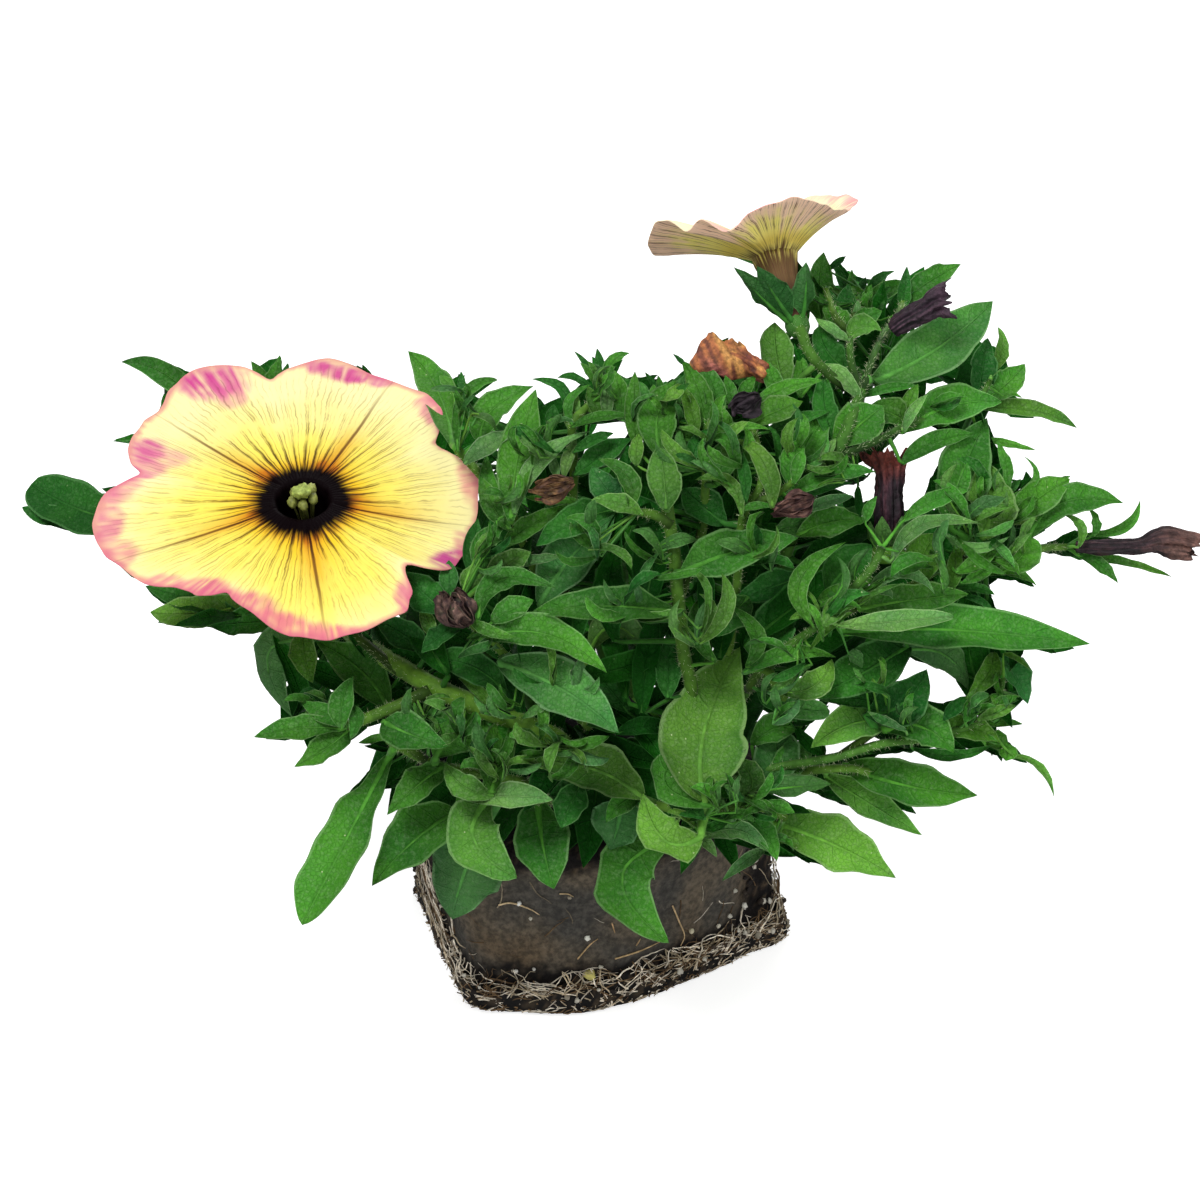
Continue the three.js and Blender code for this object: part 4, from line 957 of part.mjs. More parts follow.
const leafRows = LEAVES.slice();
for (const [id, name] of SINGLE) {
  const row = LEAVES.find((r) => r[0] === id);
  piece(name, leafSolid(row), join([leafSolid(row, GAP), leafSolid(row, 0.12), leafSolid(row)]), 0x4a8a34, 0.7);
}
for (const node of nodes) {
  const rows = leafRows.filter((r) => !single.has(r[0]) && stemOf.get(r[1])[1] === node);
  const leaves = rows.map((r) => leafSolid(r)),
    cuts = rows.flatMap((r) => [leafSolid(r, GAP), leafSolid(r, 0.12), leafSolid(r)]);
  pieces.set(node, {
    stem: stemBodies.get(node),
    body: leaves.length ? join(leaves) : null,
    cutter: cuts.length ? join(cuts) : null,
    colour: 0x457f33,
    rough: 0.7,
  });
}

// ---------------------------------------------------------------- cut each piece clear of the ones before it
const plant = new THREE.Group();
plant.name = "petchoa";
const order = [...pieces.keys()];
const hard = []; // cutters already placed
const rigid = ["root_ball", "root_band", "crown"];
// One clean body: short edges folded away, slivers and stray bits dropped, points welded at a hundredth.
function largest(s) {
  return s.decompose().sort((a, b) => b.volume() - a.volume())[0];
}
// Points snapped to a grid, folded faces dropped; null when an edge then lies on more than two faces
// or a face is thinner than this.
const THINNEST = 0.0008;
function snapped(s, grid) {
  const m = s.getMesh(),
    keys = new Map(),
    map = [],
    pos = [];
  for (let i = 0; i < m.numVert; i++) {
    const q = [0, 1, 2].map((k) => Math.round(m.vertProperties[i * m.numProp + k] / grid));
    const key = q.join();
    if (!keys.has(key)) {
      keys.set(key, pos.length / 3);
      pos.push(...q.map((v) => v * grid));
    }
    map.push(keys.get(key));
  }
  const faces = new Map();
  for (let i = 0; i < m.triVerts.length; i += 3) {
    const t = [map[m.triVerts[i]], map[m.triVerts[i + 1]], map[m.triVerts[i + 2]]];
    if (t[0] === t[1] || t[1] === t[2] || t[0] === t[2]) continue;
    const key = t.slice().sort((x, y) => x - y).join();
    const [A, B, C] = t.map((i) => new THREE.Vector3(pos[3 * i], pos[3 * i + 1], pos[3 * i + 2]));
    const long = Math.max(A.distanceTo(B), B.distanceTo(C), C.distanceTo(A));
    if (B.clone().sub(A).cross(C.clone().sub(A)).length() / long < THINNEST) return null;
    if (faces.has(key)) faces.delete(key);
    else faces.set(key, t);
  }
  const edges = new Map();
  for (const t of faces.values())
    for (let k = 0; k < 3; k++) {
      const u = t[k],
        v = t[(k + 1) % 3],
        key = u < v ? u + "_" + v : v + "_" + u;
      edges.set(key, (edges.get(key) || 0) + 1);
    }
  for (const n of edges.values()) if (n !== 2) return null;
  try {
    return new wasm.Manifold(
      new wasm.Mesh({ numProp: 3, vertProperties: new Float32Array(pos), triVerts: new Uint32Array([...faces.values()].flat()) }),
    );
  } catch (e) {
    return null;
  }
}
const COARSER = { shoot_centre_left: 0.03 }; // pieces that need a little more smoothing of their joints
function tidy(s, name) {
  const whole = largest(s);
  for (const tol of [COARSER[name] || 0.02, 0, 0.01, 0.03, 0.045, 0.06, 0.005, 0.08]) {
    const out = tol ? largest(whole.simplify(tol)) : whole;
    for (const grid of [0.01, 0.002, 0.003, 0.004, 0.0055, 0.0071, 0.0083, 0.0123, 0.0151, 0.02]) {
      const again = snapped(out, grid);
      if (!again) continue;
      const bodies = again.decompose();
      if (bodies.length === 1) return again;
      const best = snapped(largest(again), grid);
      if (best && best.decompose().length === 1) return best;
    }
  }
  return whole;
}
const flowerParts = order.filter((n) => /^(corolla|pistil|calyx|withered|black)/.test(n));
for (const name of order) {
  const p = pieces.get(name);
  let body;
  if (p.stem) {
    // the stem gives way only to the ball, the crown, the flowers and the stems before it
    let stem = p.stem;
    for (const h of hard.filter((h) => h.kind === "rigid")) stem = stem.subtract(h.cutter);
    for (const other of nodes) {
      if (other === name) break;
      stem = stem.subtract(stemCuts.get(other));
    }
    stem = stem.decompose().sort((a, b) => b.volume() - a.volume())[0];
    let leaves = p.body;
    if (leaves) {
      for (const h of hard) leaves = leaves.subtract(h.cutter);
      for (const other of nodes) if (other !== name) leaves = leaves.subtract(stemCuts.get(other));
      body = stem.add(leaves);
    } else body = stem;
  } else {
    body = p.body;
    for (const h of hard) body = body.subtract(h.cutter);
    if (!rigid.includes(name) && !flowerParts.includes(name)) for (const other of nodes) body = body.subtract(stemCuts.get(other));
  }
  body = tidy(body, name);
  if (p.cutter) hard.push({ name, kind: rigid.includes(name) || flowerParts.includes(name) ? "rigid" : "soft", cutter: p.cutter });

  const m = body.getMesh(),
    count = m.numVert,
    pos = new Float32Array(count * 3);
  const box = new THREE.Box3();
  for (let i = 0; i < count; i++) {
    pos.set(m.vertProperties.subarray(i * m.numProp, i * m.numProp + 3), i * 3);
    box.expandByPoint(new THREE.Vector3(pos[3 * i], pos[3 * i + 1], pos[3 * i + 2]));
  }
  const g = new THREE.BufferGeometry();
  g.setAttribute("position", new THREE.BufferAttribute(pos, 3));
  g.setIndex(new THREE.BufferAttribute(new Uint32Array(m.triVerts), 1));
  g.computeVertexNormals();
  const mesh = new THREE.Mesh(
    g,
    new THREE.MeshStandardMaterial({ color: p.colour, roughness: p.rough, metalness: 0, name: name + "_material" }),
  );
  mesh.name = name;
  plant.add(mesh);
}

export default plant;
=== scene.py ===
"""Young trailing petchoa out of its pot, in metres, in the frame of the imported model."""
import math
import random

import bmesh
import bpy
import numpy as np
from mathutils import Matrix, Vector, noise


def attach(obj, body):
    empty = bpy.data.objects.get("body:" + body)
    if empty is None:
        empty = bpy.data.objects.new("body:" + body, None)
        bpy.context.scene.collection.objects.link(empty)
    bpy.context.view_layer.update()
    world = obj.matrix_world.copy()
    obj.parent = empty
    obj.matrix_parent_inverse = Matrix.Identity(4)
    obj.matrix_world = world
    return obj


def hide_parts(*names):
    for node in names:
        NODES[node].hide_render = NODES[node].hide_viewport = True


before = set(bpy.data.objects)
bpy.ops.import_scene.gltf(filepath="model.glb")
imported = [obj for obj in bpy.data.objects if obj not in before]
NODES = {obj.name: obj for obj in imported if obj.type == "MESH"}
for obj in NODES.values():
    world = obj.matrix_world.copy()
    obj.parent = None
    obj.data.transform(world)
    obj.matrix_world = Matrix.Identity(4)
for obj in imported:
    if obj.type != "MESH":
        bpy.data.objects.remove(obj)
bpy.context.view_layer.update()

MM = 0.001
RNG = random.Random(20)

# ------------------------------------------------------------------ tables, millimetres
# stems: name, node, radius at the foot, radius at the tip, path
STEMS = [
    ["main","shoot_main",2.2,1.7,[[-3.0,-6.0,32.0],[-6.31,-41.07,58.44],[-16.12,-42.16,63.97],[-25.03,-40.74,67.46],[-31.57,-35.68,68.97],[-37.79,-26.79,68.33],[-42.56,-17.95,67.86],[-45.2,-12.0,62.8]]],
    ["left","shoot_left",1.5,1.2,[[-26.56,-41.26,67.72],[-30.94,-42.17,65.73],[-35.58,-43.49,64.31],[-39.42,-44.73,63.19]]],
    ["lowleft","shoot_low_left",1.3,1.0,[[-5.0,-10.0,32.0],[-11.93,-40.27,50.83],[-20.58,-41.53,53.32],[-27.64,-41.69,55.56],[-33.21,-43.56,60.11]]],
    ["cshoot","shoot_low_left",1.2,1.0,[[-27.64,-41.69,55.56],[-30.65,-42.63,58.74],[-33.37,-44.31,63.33]]],
    ["dshoot","shoot_front_left",1.4,1.1,[[-4.0,-11.0,32.0],[-9.58,-40.18,47.51],[-15.82,-43.65,49.8],[-18.48,-46.89,53.38]]],
    ["cent","shoot_centre",2.0,1.5,[[4.0,-4.0,32.0],[8.74,-38.04,56.3],[14.11,-40.62,65.64],[12.87,-41.56,74.83],[12.0,-41.54,83.37],[11.34,-39.81,90.68],[10.4,-38.3,96.2],[9.83,-34.56,100.44]]],
    ["tee","shoot_centre",1.3,0.9,[[10.85,-39.25,94.95],[8.39,-39.28,96.63],[5.79,-39.93,97.4]]],
    ["csh","shoot_centre_left",1.3,0.9,[[-4.0,-4.0,32.0],[-1.59,-35.97,57.91],[-9.41,-39.81,66.99],[-15.49,-41.98,75.03],[-19.36,-43.65,80.12],[-21.53,-44.67,84.16]]],
    ["ulsh","shoot_upper_left",1.4,1.0,[[-3.0,-2.0,32.0],[0.0,-30.08,60.27],[-6.33,-31.59,75.24],[-10.97,-31.43,85.57],[-13.69,-31.51,93.28],[-17.99,-26.96,97.28],[-22.31,-23.13,100.79]]],
    ["tcsh","shoot_top_centre",1.2,0.9,[[-6.33,-31.59,75.24],[-4.73,-27.55,87.29],[-4.07,-25.69,98.45],[-4.38,-23.31,105.07],[-1.57,-20.41,107.3],[0.47,-16.35,108.95]]],
    ["tmsh","shoot_top_mid",1.3,0.9,[[12.0,-41.54,83.37],[15.63,-31.22,88.91],[16.48,-29.55,98.36],[16.63,-26.51,104.67],[18.15,-21.8,107.84]]],
    ["trsh","shoot_top_right",1.3,0.9,[[4.0,-2.0,32.0],[18.41,-30.78,64.22],[21.28,-31.78,78.82],[21.96,-34.2,93.6],[25.07,-31.28,99.08],[23.73,-24.18,105.42]]],
    ["trsh2","shoot_top_right",1.0,0.8,[[22.88,-33.47,95.81],[27.0,-33.59,97.54],[30.11,-32.22,99.47]]],
    ["ursh","shoot_upper_right",2.0,1.5,[[5.0,0.0,32.0],[21.94,-25.45,59.73],[27.2,-25.63,75.95],[30.78,-26.54,88.57],[33.19,-27.29,95.73],[36.64,-26.65,101.37],[39.32,-20.72,104.9],[41.51,-14.21,107.12]]],
    ["ursha","shoot_upper_right",1.3,1.0,[[41.48,-14.59,106.93],[40.18,-9.41,110.42],[40.35,-4.25,112.64],[41.28,1.78,113.58]]],
    ["urshb","shoot_upper_right",1.1,0.9,[[41.66,-14.34,107.0],[43.38,-8.09,109.26],[45.61,-0.34,110.89],[48.48,7.79,111.12]]],
    ["pedic","shoot_upper_right",1.0,1.2,[[39.09,-14.29,107.83],[35.54,-13.69,110.65],[33.17,-12.33,113.18],[32.21,-9.13,115.06],[31.42,-5.8,116.58]]],
    ["ursh2","shoot_right_upper",1.3,0.9,[[36.14,-27.18,101.08],[42.35,-23.42,101.92],[48.28,-18.47,103.0],[55.35,-11.8,102.78],[61.15,-7.49,103.19],[63.15,-5.73,105.97]]],
    ["rmsh","shoot_right",1.8,1.2,[[6.0,-6.0,32.0],[15.91,-37.69,56.12],[23.23,-39.49,66.83],[28.62,-42.51,75.29],[34.02,-44.5,81.03],[38.31,-42.51,85.18],[41.71,-40.72,88.4],[43.24,-39.49,91.21]]],
    ["rrsh","shoot_right_far",1.3,1.0,[[34.56,-43.26,81.12],[43.84,-34.49,80.09],[52.03,-30.0,82.34],[57.82,-26.42,85.06],[61.08,-22.76,88.65],[61.18,-20.01,92.67]]],
    ["rrsh2","shoot_right_far",1.2,0.8,[[55.73,-27.33,83.73],[63.04,-24.19,81.97],[67.79,-20.84,82.05],[71.61,-18.86,82.05],[75.67,-15.96,80.94]]],
    ["rrsh3","shoot_right_far",1.2,0.9,[[59.58,-24.19,86.67],[64.7,-21.09,87.58],[68.98,-19.18,87.11],[71.77,-16.39,87.3]]],
    ["lowr","shoot_low_right",1.7,1.0,[[7.0,-6.0,32.0],[21.53,-38.83,51.31],[29.95,-42.83,55.28],[37.6,-44.61,57.84],[43.88,-43.68,59.47],[51.22,-41.06,59.15],[59.64,-36.49,59.25],[63.21,-33.72,61.41],[64.35,-31.8,65.09]]],
    ["lowr2","shoot_low_right",1.2,0.9,[[21.53,-38.83,51.31],[30.05,-41.87,53.51],[38.58,-43.37,55.03],[42.36,-42.19,53.68]]],
    ["frsh","shoot_front_right",1.4,1.0,[[5.0,-12.0,32.0],[12.71,-42.43,47.31],[19.72,-45.29,48.91],[26.04,-45.23,48.88],[29.32,-44.18,46.48]]],
    ["r3sh","shoot_front",1.3,1.0,[[3.0,-12.0,32.0],[8.75,-41.81,47.51],[13.37,-46.62,48.93],[16.02,-51.49,50.95]]],
    ["hairy","shoot_right",1.2,1.0,[[23.23,-39.49,66.83],[25.53,-43.75,72.79],[27.55,-45.05,69.64],[30.53,-44.24,64.69]]],
    ["lowr3","shoot_low_right",1.0,0.8,[[37.6,-44.61,57.84],[42.38,-42.43,60.4],[45.65,-40.46,61.68],[47.82,-38.76,62.57]]],
    ["bsh1","shoot_behind_flower",1.2,0.9,[[-31.51,-36.76,68.62],[-43.39,-24.87,72.94],[-59.26,-10.0,78.65],[-72.46,9.89,81.96]]],
    ["bsh2","shoot_behind_flower",1.0,0.8,[[-43.49,-23.78,72.96],[-49.18,-8.63,86.11],[-55.22,9.87,96.18]]],
    ["ursha2","shoot_upper_right",0.9,0.7,[[41.28,1.78,113.58],[42.28,6.3,114.42],[44.34,18.35,112.74]]],
    ["ursha3","shoot_upper_right",0.9,0.7,[[40.58,-3.3,112.81],[38.17,-1.93,115.23],[37.16,7.19,116.89]]],
    ["urshc","shoot_upper_right",0.9,0.7,[[48.48,7.79,111.12],[49.74,10.86,111.8],[50.88,15.73,111.69]]],
    ["trunk_1","shoot_back_right",2.2,1.9,[[3.54,-3.57,33.5],[10.33,0.25,37.0],[15.42,5.11,44.0]]],
    ["back_01","shoot_back_right",1.5,0.9,[[15.42,5.11,44.0],[24.14,5.56,49.65],[32.86,6.01,54.63],[41.58,6.46,58.95],[50.3,6.91,62.6],[59.01,7.36,65.58],[67.73,7.81,67.9]]],
    ["back_02","shoot_back_right",1.5,0.9,[[15.42,5.11,44.0],[20.14,6.92,50.13],[24.86,8.73,55.6],[29.59,10.54,60.4],[34.31,12.35,64.53],[39.03,14.16,67.99],[43.76,15.98,70.79]]],
    ["back_03","shoot_back_right",1.5,0.9,[[15.42,5.11,44.0],[21.27,10.05,48.67],[27.13,15.0,52.67],[32.99,19.95,56.0],[38.84,24.89,58.67],[44.7,29.84,60.67],[50.56,34.79,62.0]]],
    ["back_04","shoot_back_right",1.5,0.9,[[15.42,5.11,44.0],[20.93,12.16,55.07],[26.44,19.2,65.46],[31.96,26.25,75.2],[37.47,33.3,84.26],[42.98,40.35,92.66],[48.5,47.39,100.39]]],
    ["trunk_2","shoot_back_middle",2.2,1.9,[[1.1,-2.3,33.5],[1.38,4.89,37.0],[1.59,12.29,44.0]]],
    ["back_05","shoot_back_middle",1.5,0.9,[[1.59,12.29,44.0],[6.09,19.02,51.91],[10.59,25.75,59.16],[15.09,32.48,65.74],[19.59,39.21,71.65],[24.09,45.93,76.9],[28.59,52.66,81.48]]],
    ["back_06","shoot_back_middle",1.5,0.9,[[1.59,12.29,44.0],[2.65,17.96,51.92],[3.71,23.64,59.17],[4.77,29.31,65.75],[5.82,34.98,71.67],[6.88,40.66,76.92],[7.94,46.33,81.51]]],
    ["back_07","shoot_back_middle",1.5,0.9,[[1.59,12.29,44.0],[1.33,18.17,48.0],[1.06,24.05,51.33],[0.8,29.93,54.0],[0.53,35.8,56.0],[0.27,41.68,57.33],[0.0,47.56,58.0]]],
    ["back_08","shoot_back_middle",1.5,0.9,[[1.59,12.29,44.0],[-1.04,18.04,50.55],[-3.68,23.79,56.43],[-6.32,29.54,61.65],[-8.95,35.29,66.2],[-11.59,41.04,70.08],[-14.23,46.79,73.3]]],
    ["trunk_3","shoot_back_left",2.2,1.9,[[-1.49,-3.49,33.5],[-8.12,0.54,37.0],[-13.09,5.56,44.0]]],
    ["back_09","shoot_back_left",1.5,0.9,[[-13.09,5.56,44.0],[-17.48,14.77,49.33],[-21.87,23.98,54.0],[-26.26,33.19,58.0],[-30.65,42.4,61.33],[-35.05,51.61,64.0],[-39.44,60.82,66.0]]],
    ["back_10","shoot_back_left",1.5,0.9,[[-13.09,5.56,44.0],[-17.99,11.07,52.33],[-22.88,16.59,59.99],[-27.77,22.11,66.98],[-32.67,27.63,73.31],[-37.56,33.14,78.97],[-42.45,38.66,83.97]]],
    ["back_11","shoot_back_left",1.5,0.9,[[-13.09,5.56,44.0],[-22.52,11.05,50.33],[-31.94,16.54,56.0],[-41.37,22.04,61.0],[-50.79,27.53,65.33],[-60.21,33.02,69.0],[-69.64,38.52,72.0]]],
    ["back_12","shoot_back_left",1.5,0.9,[[-13.09,5.56,44.0],[-22.52,8.09,53.85],[-31.94,10.63,63.04],[-41.36,13.17,71.56],[-50.79,15.71,79.41],[-60.21,18.24,86.6],[-69.63,20.78,93.12]]],
    ["back_13","shoot_back_left",1.5,0.9,[[-13.09,5.56,44.0],[-21.74,5.25,48.68],[-30.4,4.95,52.69],[-39.05,4.64,56.03],[-47.7,4.34,58.71],[-56.35,4.03,60.72],[-65.0,3.73,62.06]]],
    ["back_14","shoot_back_middle",1.5,0.9,[[1.59,12.29,44.0],[2.88,14.98,52.84],[4.16,17.68,61.01],[5.45,20.37,68.51],[6.73,23.07,75.34],[8.01,25.76,81.51],[9.3,28.45,87.02]]],
    ["back_15","shoot_back_middle",1.5,0.9,[[1.59,12.29,44.0],[-0.8,14.57,51.69],[-3.2,16.84,58.7],[-5.6,19.12,65.06],[-7.99,21.4,70.74],[-10.39,23.67,75.76],[-12.78,25.95,80.11]]],
]
# leaves: id, stem, point on the stem, base, middle, tip, facing of the showing side, half width, place of the
# greatest width, bluntness of the tip, fold in degrees, 1 when the underside shows, tone
LEAVES = [
    ["k001","back_01",[21.69,5.43,48.07],[22.56,4.96,48.2],[35.74,-2.24,51.05],[48.92,-9.44,49.48],[0.029,0.141,0.99],5.11,0.52,1.0,15,0,"n"],
    ["k002","back_01",[27.19,5.71,51.39],[27.11,5.54,52.37],[26.21,3.52,64.32],[25.31,1.49,73.56],[0.904,0.4,0.153],3.78,0.49,1.0,14,0,"n"],
    ["k003","back_01",[32.68,6.0,54.53],[33.24,6.81,54.35],[40.71,17.75,52.51],[48.19,28.7,46.53],[0.557,-0.086,0.826],4.75,0.41,1.0,11,0,"n"],
    ["k004","back_01",[38.17,6.28,57.27],[38.55,5.36,57.41],[42.25,-3.75,59.41],[45.95,-12.86,58.61],[0.112,0.11,0.988],3.35,0.5,1.0,15,0,"n"],
    ["k005","back_01",[43.67,6.56,59.83],[43.9,7.21,60.55],[46.3,13.78,68.14],[48.69,20.35,72.23],[0.139,-0.686,0.714],3.41,0.4,1.0,16,0,"d"],
    ["k006","back_01",[49.16,6.85,62.13],[50.14,7.0,62.26],[58.48,8.31,64.14],[66.82,9.63,64.09],[-0.143,0.241,0.96],2.88,0.55,1.0,14,0,"y"],
    ["k007","back_01",[54.65,7.13,64.09],[54.45,6.81,65.02],[52.58,3.95,73.91],[50.71,1.09,80.61],[0.739,0.556,0.381],3.52,0.5,1.0,11,0,"n"],
    ["k008","back_01",[60.15,7.41,65.88],[60.47,8.35,66.05],[64.49,20.04,68.82],[68.5,31.72,68.1],[0.31,-0.188,0.932],4.53,0.46,1.0,11,0,"y"],
    ["k009","back_01",[65.64,7.7,67.34],[65.96,7.07,68.06],[67.95,3.08,73.1],[69.95,-0.91,76.62],[0.322,0.763,0.56],2.89,0.53,1.0,11,0,"n"],
    ["k010","back_01",[66.16,7.72,67.48],[66.63,8.09,68.29],[69.92,10.68,74.63],[73.22,13.28,79.18],[0.276,-0.922,0.272],2.73,0.49,1.0,14,0,"g"],
    ["k011","back_01",[66.16,7.72,67.48],[66.8,8.48,67.65],[69.42,11.55,68.64],[72.03,14.63,68.62],[0.093,-0.231,0.968],1.61,0.54,1.0,22,0,"n"],
    ["k012","back_01",[66.16,7.72,67.48],[66.65,7.2,68.18],[69.07,4.57,71.92],[71.48,1.95,74.23],[0.19,0.812,0.552],1.91,0.41,1.0,10,0,"n"],
    ["k013","back_01",[66.16,7.72,67.48],[66.69,8.35,68.06],[69.74,11.98,71.75],[72.8,15.61,73.73],[0.324,-0.736,0.594],2.09,0.54,1.0,15,0,"n"],
    ["k014","back_01",[66.16,7.72,67.48],[66.55,7.44,68.36],[68.44,6.01,73.03],[70.33,4.59,76.31],[0.295,0.935,0.196],1.59,0.47,1.0,20,0,"g"],
    ["k015","back_02",[18.82,6.41,48.42],[18.63,7.24,48.95],[16.57,16.15,55.33],[14.52,25.06,58.6],[0.202,-0.43,0.88],3.76,0.47,1.0,17,0,"n"],
    ["k016","back_02",[21.79,7.55,52.05],[22.74,7.39,52.34],[33.65,5.45,56.5],[44.57,3.52,57.63],[-0.223,0.073,0.972],3.49,0.48,1.0,19,0,"n"],
    ["k017","back_02",[24.77,8.69,55.49],[24.42,8.44,56.39],[19.37,4.83,70.39],[14.32,1.21,80.74],[0.812,0.375,0.448],4.88,0.43,1.0,14,0,"d"],
    ["k018","back_02",[27.75,9.84,58.52],[28.17,10.74,58.52],[34.12,23.28,59.27],[40.07,35.82,56.22],[0.27,-0.04,0.962],5.14,0.43,1.0,10,0,"d"],
    ["k019","back_02",[30.72,10.98,61.39],[31.31,10.22,61.68],[39.15,0.08,66.67],[47.0,-10.07,68.61],[-0.164,0.203,0.965],4.06,0.42,1.0,15,0,"n"],
    ["k020","back_02",[33.7,12.12,63.99],[33.46,12.65,64.81],[30.47,19.38,75.85],[27.48,26.11,83.17],[0.78,-0.355,0.515],4.2,0.45,1.0,20,0,"g"],
    ["k021","back_02",[36.67,13.26,66.26],[37.62,13.56,66.33],[48.46,17.03,67.96],[59.29,20.5,66.64],[-0.05,0.113,0.992],4.04,0.5,1.0,14,0,"n"],
    ["k022","back_02",[39.65,14.4,68.36],[40.25,14.1,69.1],[45.03,11.71,75.4],[49.81,9.31,79.33],[-0.437,0.586,0.682],2.92,0.43,1.0,12,0,"n"],
    ["k023","back_02",[42.91,15.65,70.29],[43.88,15.46,70.41],[49.51,14.34,71.29],[55.14,13.22,70.21],[0.078,0.304,0.95],2.16,0.41,1.0,13,0,"n"],
    ["k024","back_02",[42.91,15.65,70.29],[42.76,16.55,70.7],[42.23,19.89,72.51],[41.7,23.23,73.46],[0.681,-0.184,0.708],1.69,0.48,1.0,10,0,"g"],
    ["k025","back_02",[42.91,15.65,70.29],[43.59,15.2,70.87],[46.71,13.15,73.77],[49.84,11.1,75.19],[-0.371,0.342,0.863],1.48,0.43,1.0,11,0,"n"],
    ["k026","back_02",[42.91,15.65,70.29],[43.08,16.55,70.7],[43.59,19.29,72.14],[44.1,22.03,72.78],[0.459,-0.39,0.798],1.25,0.54,1.0,12,0,"d"],
    ["k027","back_03",[19.63,8.67,47.36],[20.57,8.33,47.3],[30.13,4.86,47.12],[39.68,1.4,43.64],[0.169,-0.056,0.984],3.37,0.41,1.0,9,0,"g"],
    ["k028","back_03",[23.32,11.79,50.07],[23.0,12.07,50.97],[19.01,15.54,63.11],[15.02,19.02,72.16],[0.927,-0.063,0.37],4.07,0.53,1.0,11,0,"n"],
    ["k029","back_03",[27.01,14.9,52.59],[27.57,15.73,52.63],[35.14,26.87,54.31],[42.71,38.01,52.64],[-0.101,0.068,0.992],4.48,0.45,1.0,9,0,"n"],
    ["k030","back_03",[30.7,18.02,54.7],[31.29,17.62,55.4],[39.4,12.17,65.35],[47.5,6.72,70.48],[-0.186,0.691,0.699],5.11,0.48,1.0,22,0,"n"],
    ["k031","back_03",[34.39,21.13,56.64],[34.12,22.03,57.0],[31.17,31.52,61.18],[28.23,41.01,61.92],[0.624,-0.01,0.782],3.96,0.42,1.0,13,0,"y"],
    ["k032","back_03",[38.08,24.25,58.32],[39.08,24.17,58.36],[49.81,23.29,59.64],[60.54,22.41,58.27],[0.045,0.501,0.864],3.61,0.41,1.0,13,0,"n"],
    ["k033","back_03",[41.77,27.37,59.67],[41.73,27.64,60.63],[41.36,29.8,68.62],[41.0,31.96,74.24],[0.994,-0.076,0.077],2.71,0.49,1.0,15,0,"y"],
    ["k034","back_03",[45.46,30.48,60.84],[45.36,31.48,60.81],[44.04,43.98,60.96],[42.72,56.49,57.1],[0.539,0.179,0.823],4.42,0.42,1.0,10,0,"n"],
    ["k035","back_03",[49.15,33.6,61.68],[49.98,33.07,61.88],[58.27,27.77,64.26],[66.56,22.47,63.35],[0.139,0.346,0.928],3.42,0.41,1.0,12,0,"n"],
    ["k036","back_03",[49.5,33.9,61.76],[49.89,34.62,62.33],[52.14,38.91,65.87],[54.39,43.19,67.4],[-0.215,-0.411,0.886],2.1,0.46,1.0,21,0,"n"],
    ["k037","back_03",[49.5,33.9,61.76],[50.25,34.56,61.75],[55.77,39.45,62.07],[61.29,44.34,60.28],[0.035,0.109,0.993],2.84,0.45,1.0,12,0,"d"],
    ["k038","back_03",[49.5,33.9,61.76],[49.72,34.37,62.62],[50.71,36.53,66.8],[51.7,38.7,69.65],[0.291,-0.849,0.441],1.69,0.46,1.0,15,0,"n"],
    ["k039","back_03",[49.5,33.9,61.76],[49.73,34.87,61.84],[50.95,40.19,62.41],[52.17,45.51,61.06],[0.446,-0.037,0.894],1.87,0.42,1.0,21,0,"g"],
    ["k040","back_03",[49.5,33.9,61.76],[50.49,33.85,61.58],[57.68,33.47,60.71],[64.88,33.09,57.8],[0.239,0.552,0.799],2.23,0.45,1.0,10,0,"n"],
    ["k041","back_03",[49.5,33.9,61.76],[49.76,34.38,62.6],[51.06,36.83,67.07],[52.36,39.28,70.01],[0.441,-0.812,0.382],1.69,0.45,1.0,18,0,"y"],
    ["k042","back_04",[19.39,10.18,51.97],[19.32,9.62,52.79],[18.46,2.87,63.45],[17.6,-3.89,70.63],[0.261,0.757,0.599],3.75,0.52,1.0,17,0,"d"],
    ["k043","back_04",[22.86,14.62,58.71],[22.55,15.57,58.78],[18.96,26.63,60.27],[15.36,37.69,58.26],[0.259,0.107,0.96],4.14,0.51,1.0,11,0,"d"],
    ["k044","back_04",[26.33,19.06,65.26],[27.28,18.8,65.45],[41.05,14.91,68.69],[54.83,11.03,66.92],[0.104,0.529,0.842],5.44,0.4,1.0,12,0,"n"],
    ["k045","back_04",[29.81,23.5,71.4],[29.18,23.49,72.18],[22.93,23.42,80.65],[16.68,23.35,86.55],[0.674,0.443,0.591],3.17,0.48,1.0,17,0,"n"],
    ["k046","back_04",[33.28,27.94,77.37],[33.75,28.81,77.54],[39.21,38.83,80.3],[44.68,48.85,79.96],[0.144,-0.195,0.97],3.67,0.52,1.0,14,0,"n"],
    ["k047","back_04",[36.75,32.38,83.08],[37.22,31.92,83.84],[43.15,26.04,94.21],[49.08,20.15,100.98],[-0.348,0.643,0.682],4.61,0.52,1.0,13,0,"y"],
    ["k048","back_04",[40.23,36.82,88.46],[39.92,37.67,88.89],[37.84,43.5,92.28],[35.75,49.32,93.9],[0.259,-0.302,0.918],2.78,0.43,1.0,17,0,"n"],
    ["k049","back_04",[43.7,41.26,93.67],[44.67,41.42,93.47],[56.49,43.3,91.79],[68.32,45.18,86.67],[0.244,0.187,0.952],3.98,0.47,1.0,19,0,"d"],
    ["k050","back_04",[47.51,46.13,99.0],[47.28,46.97,99.49],[46.15,51.24,102.44],[45.01,55.5,104.25],[0.522,-0.305,0.797],2.16,0.47,1.0,19,0,"g"],
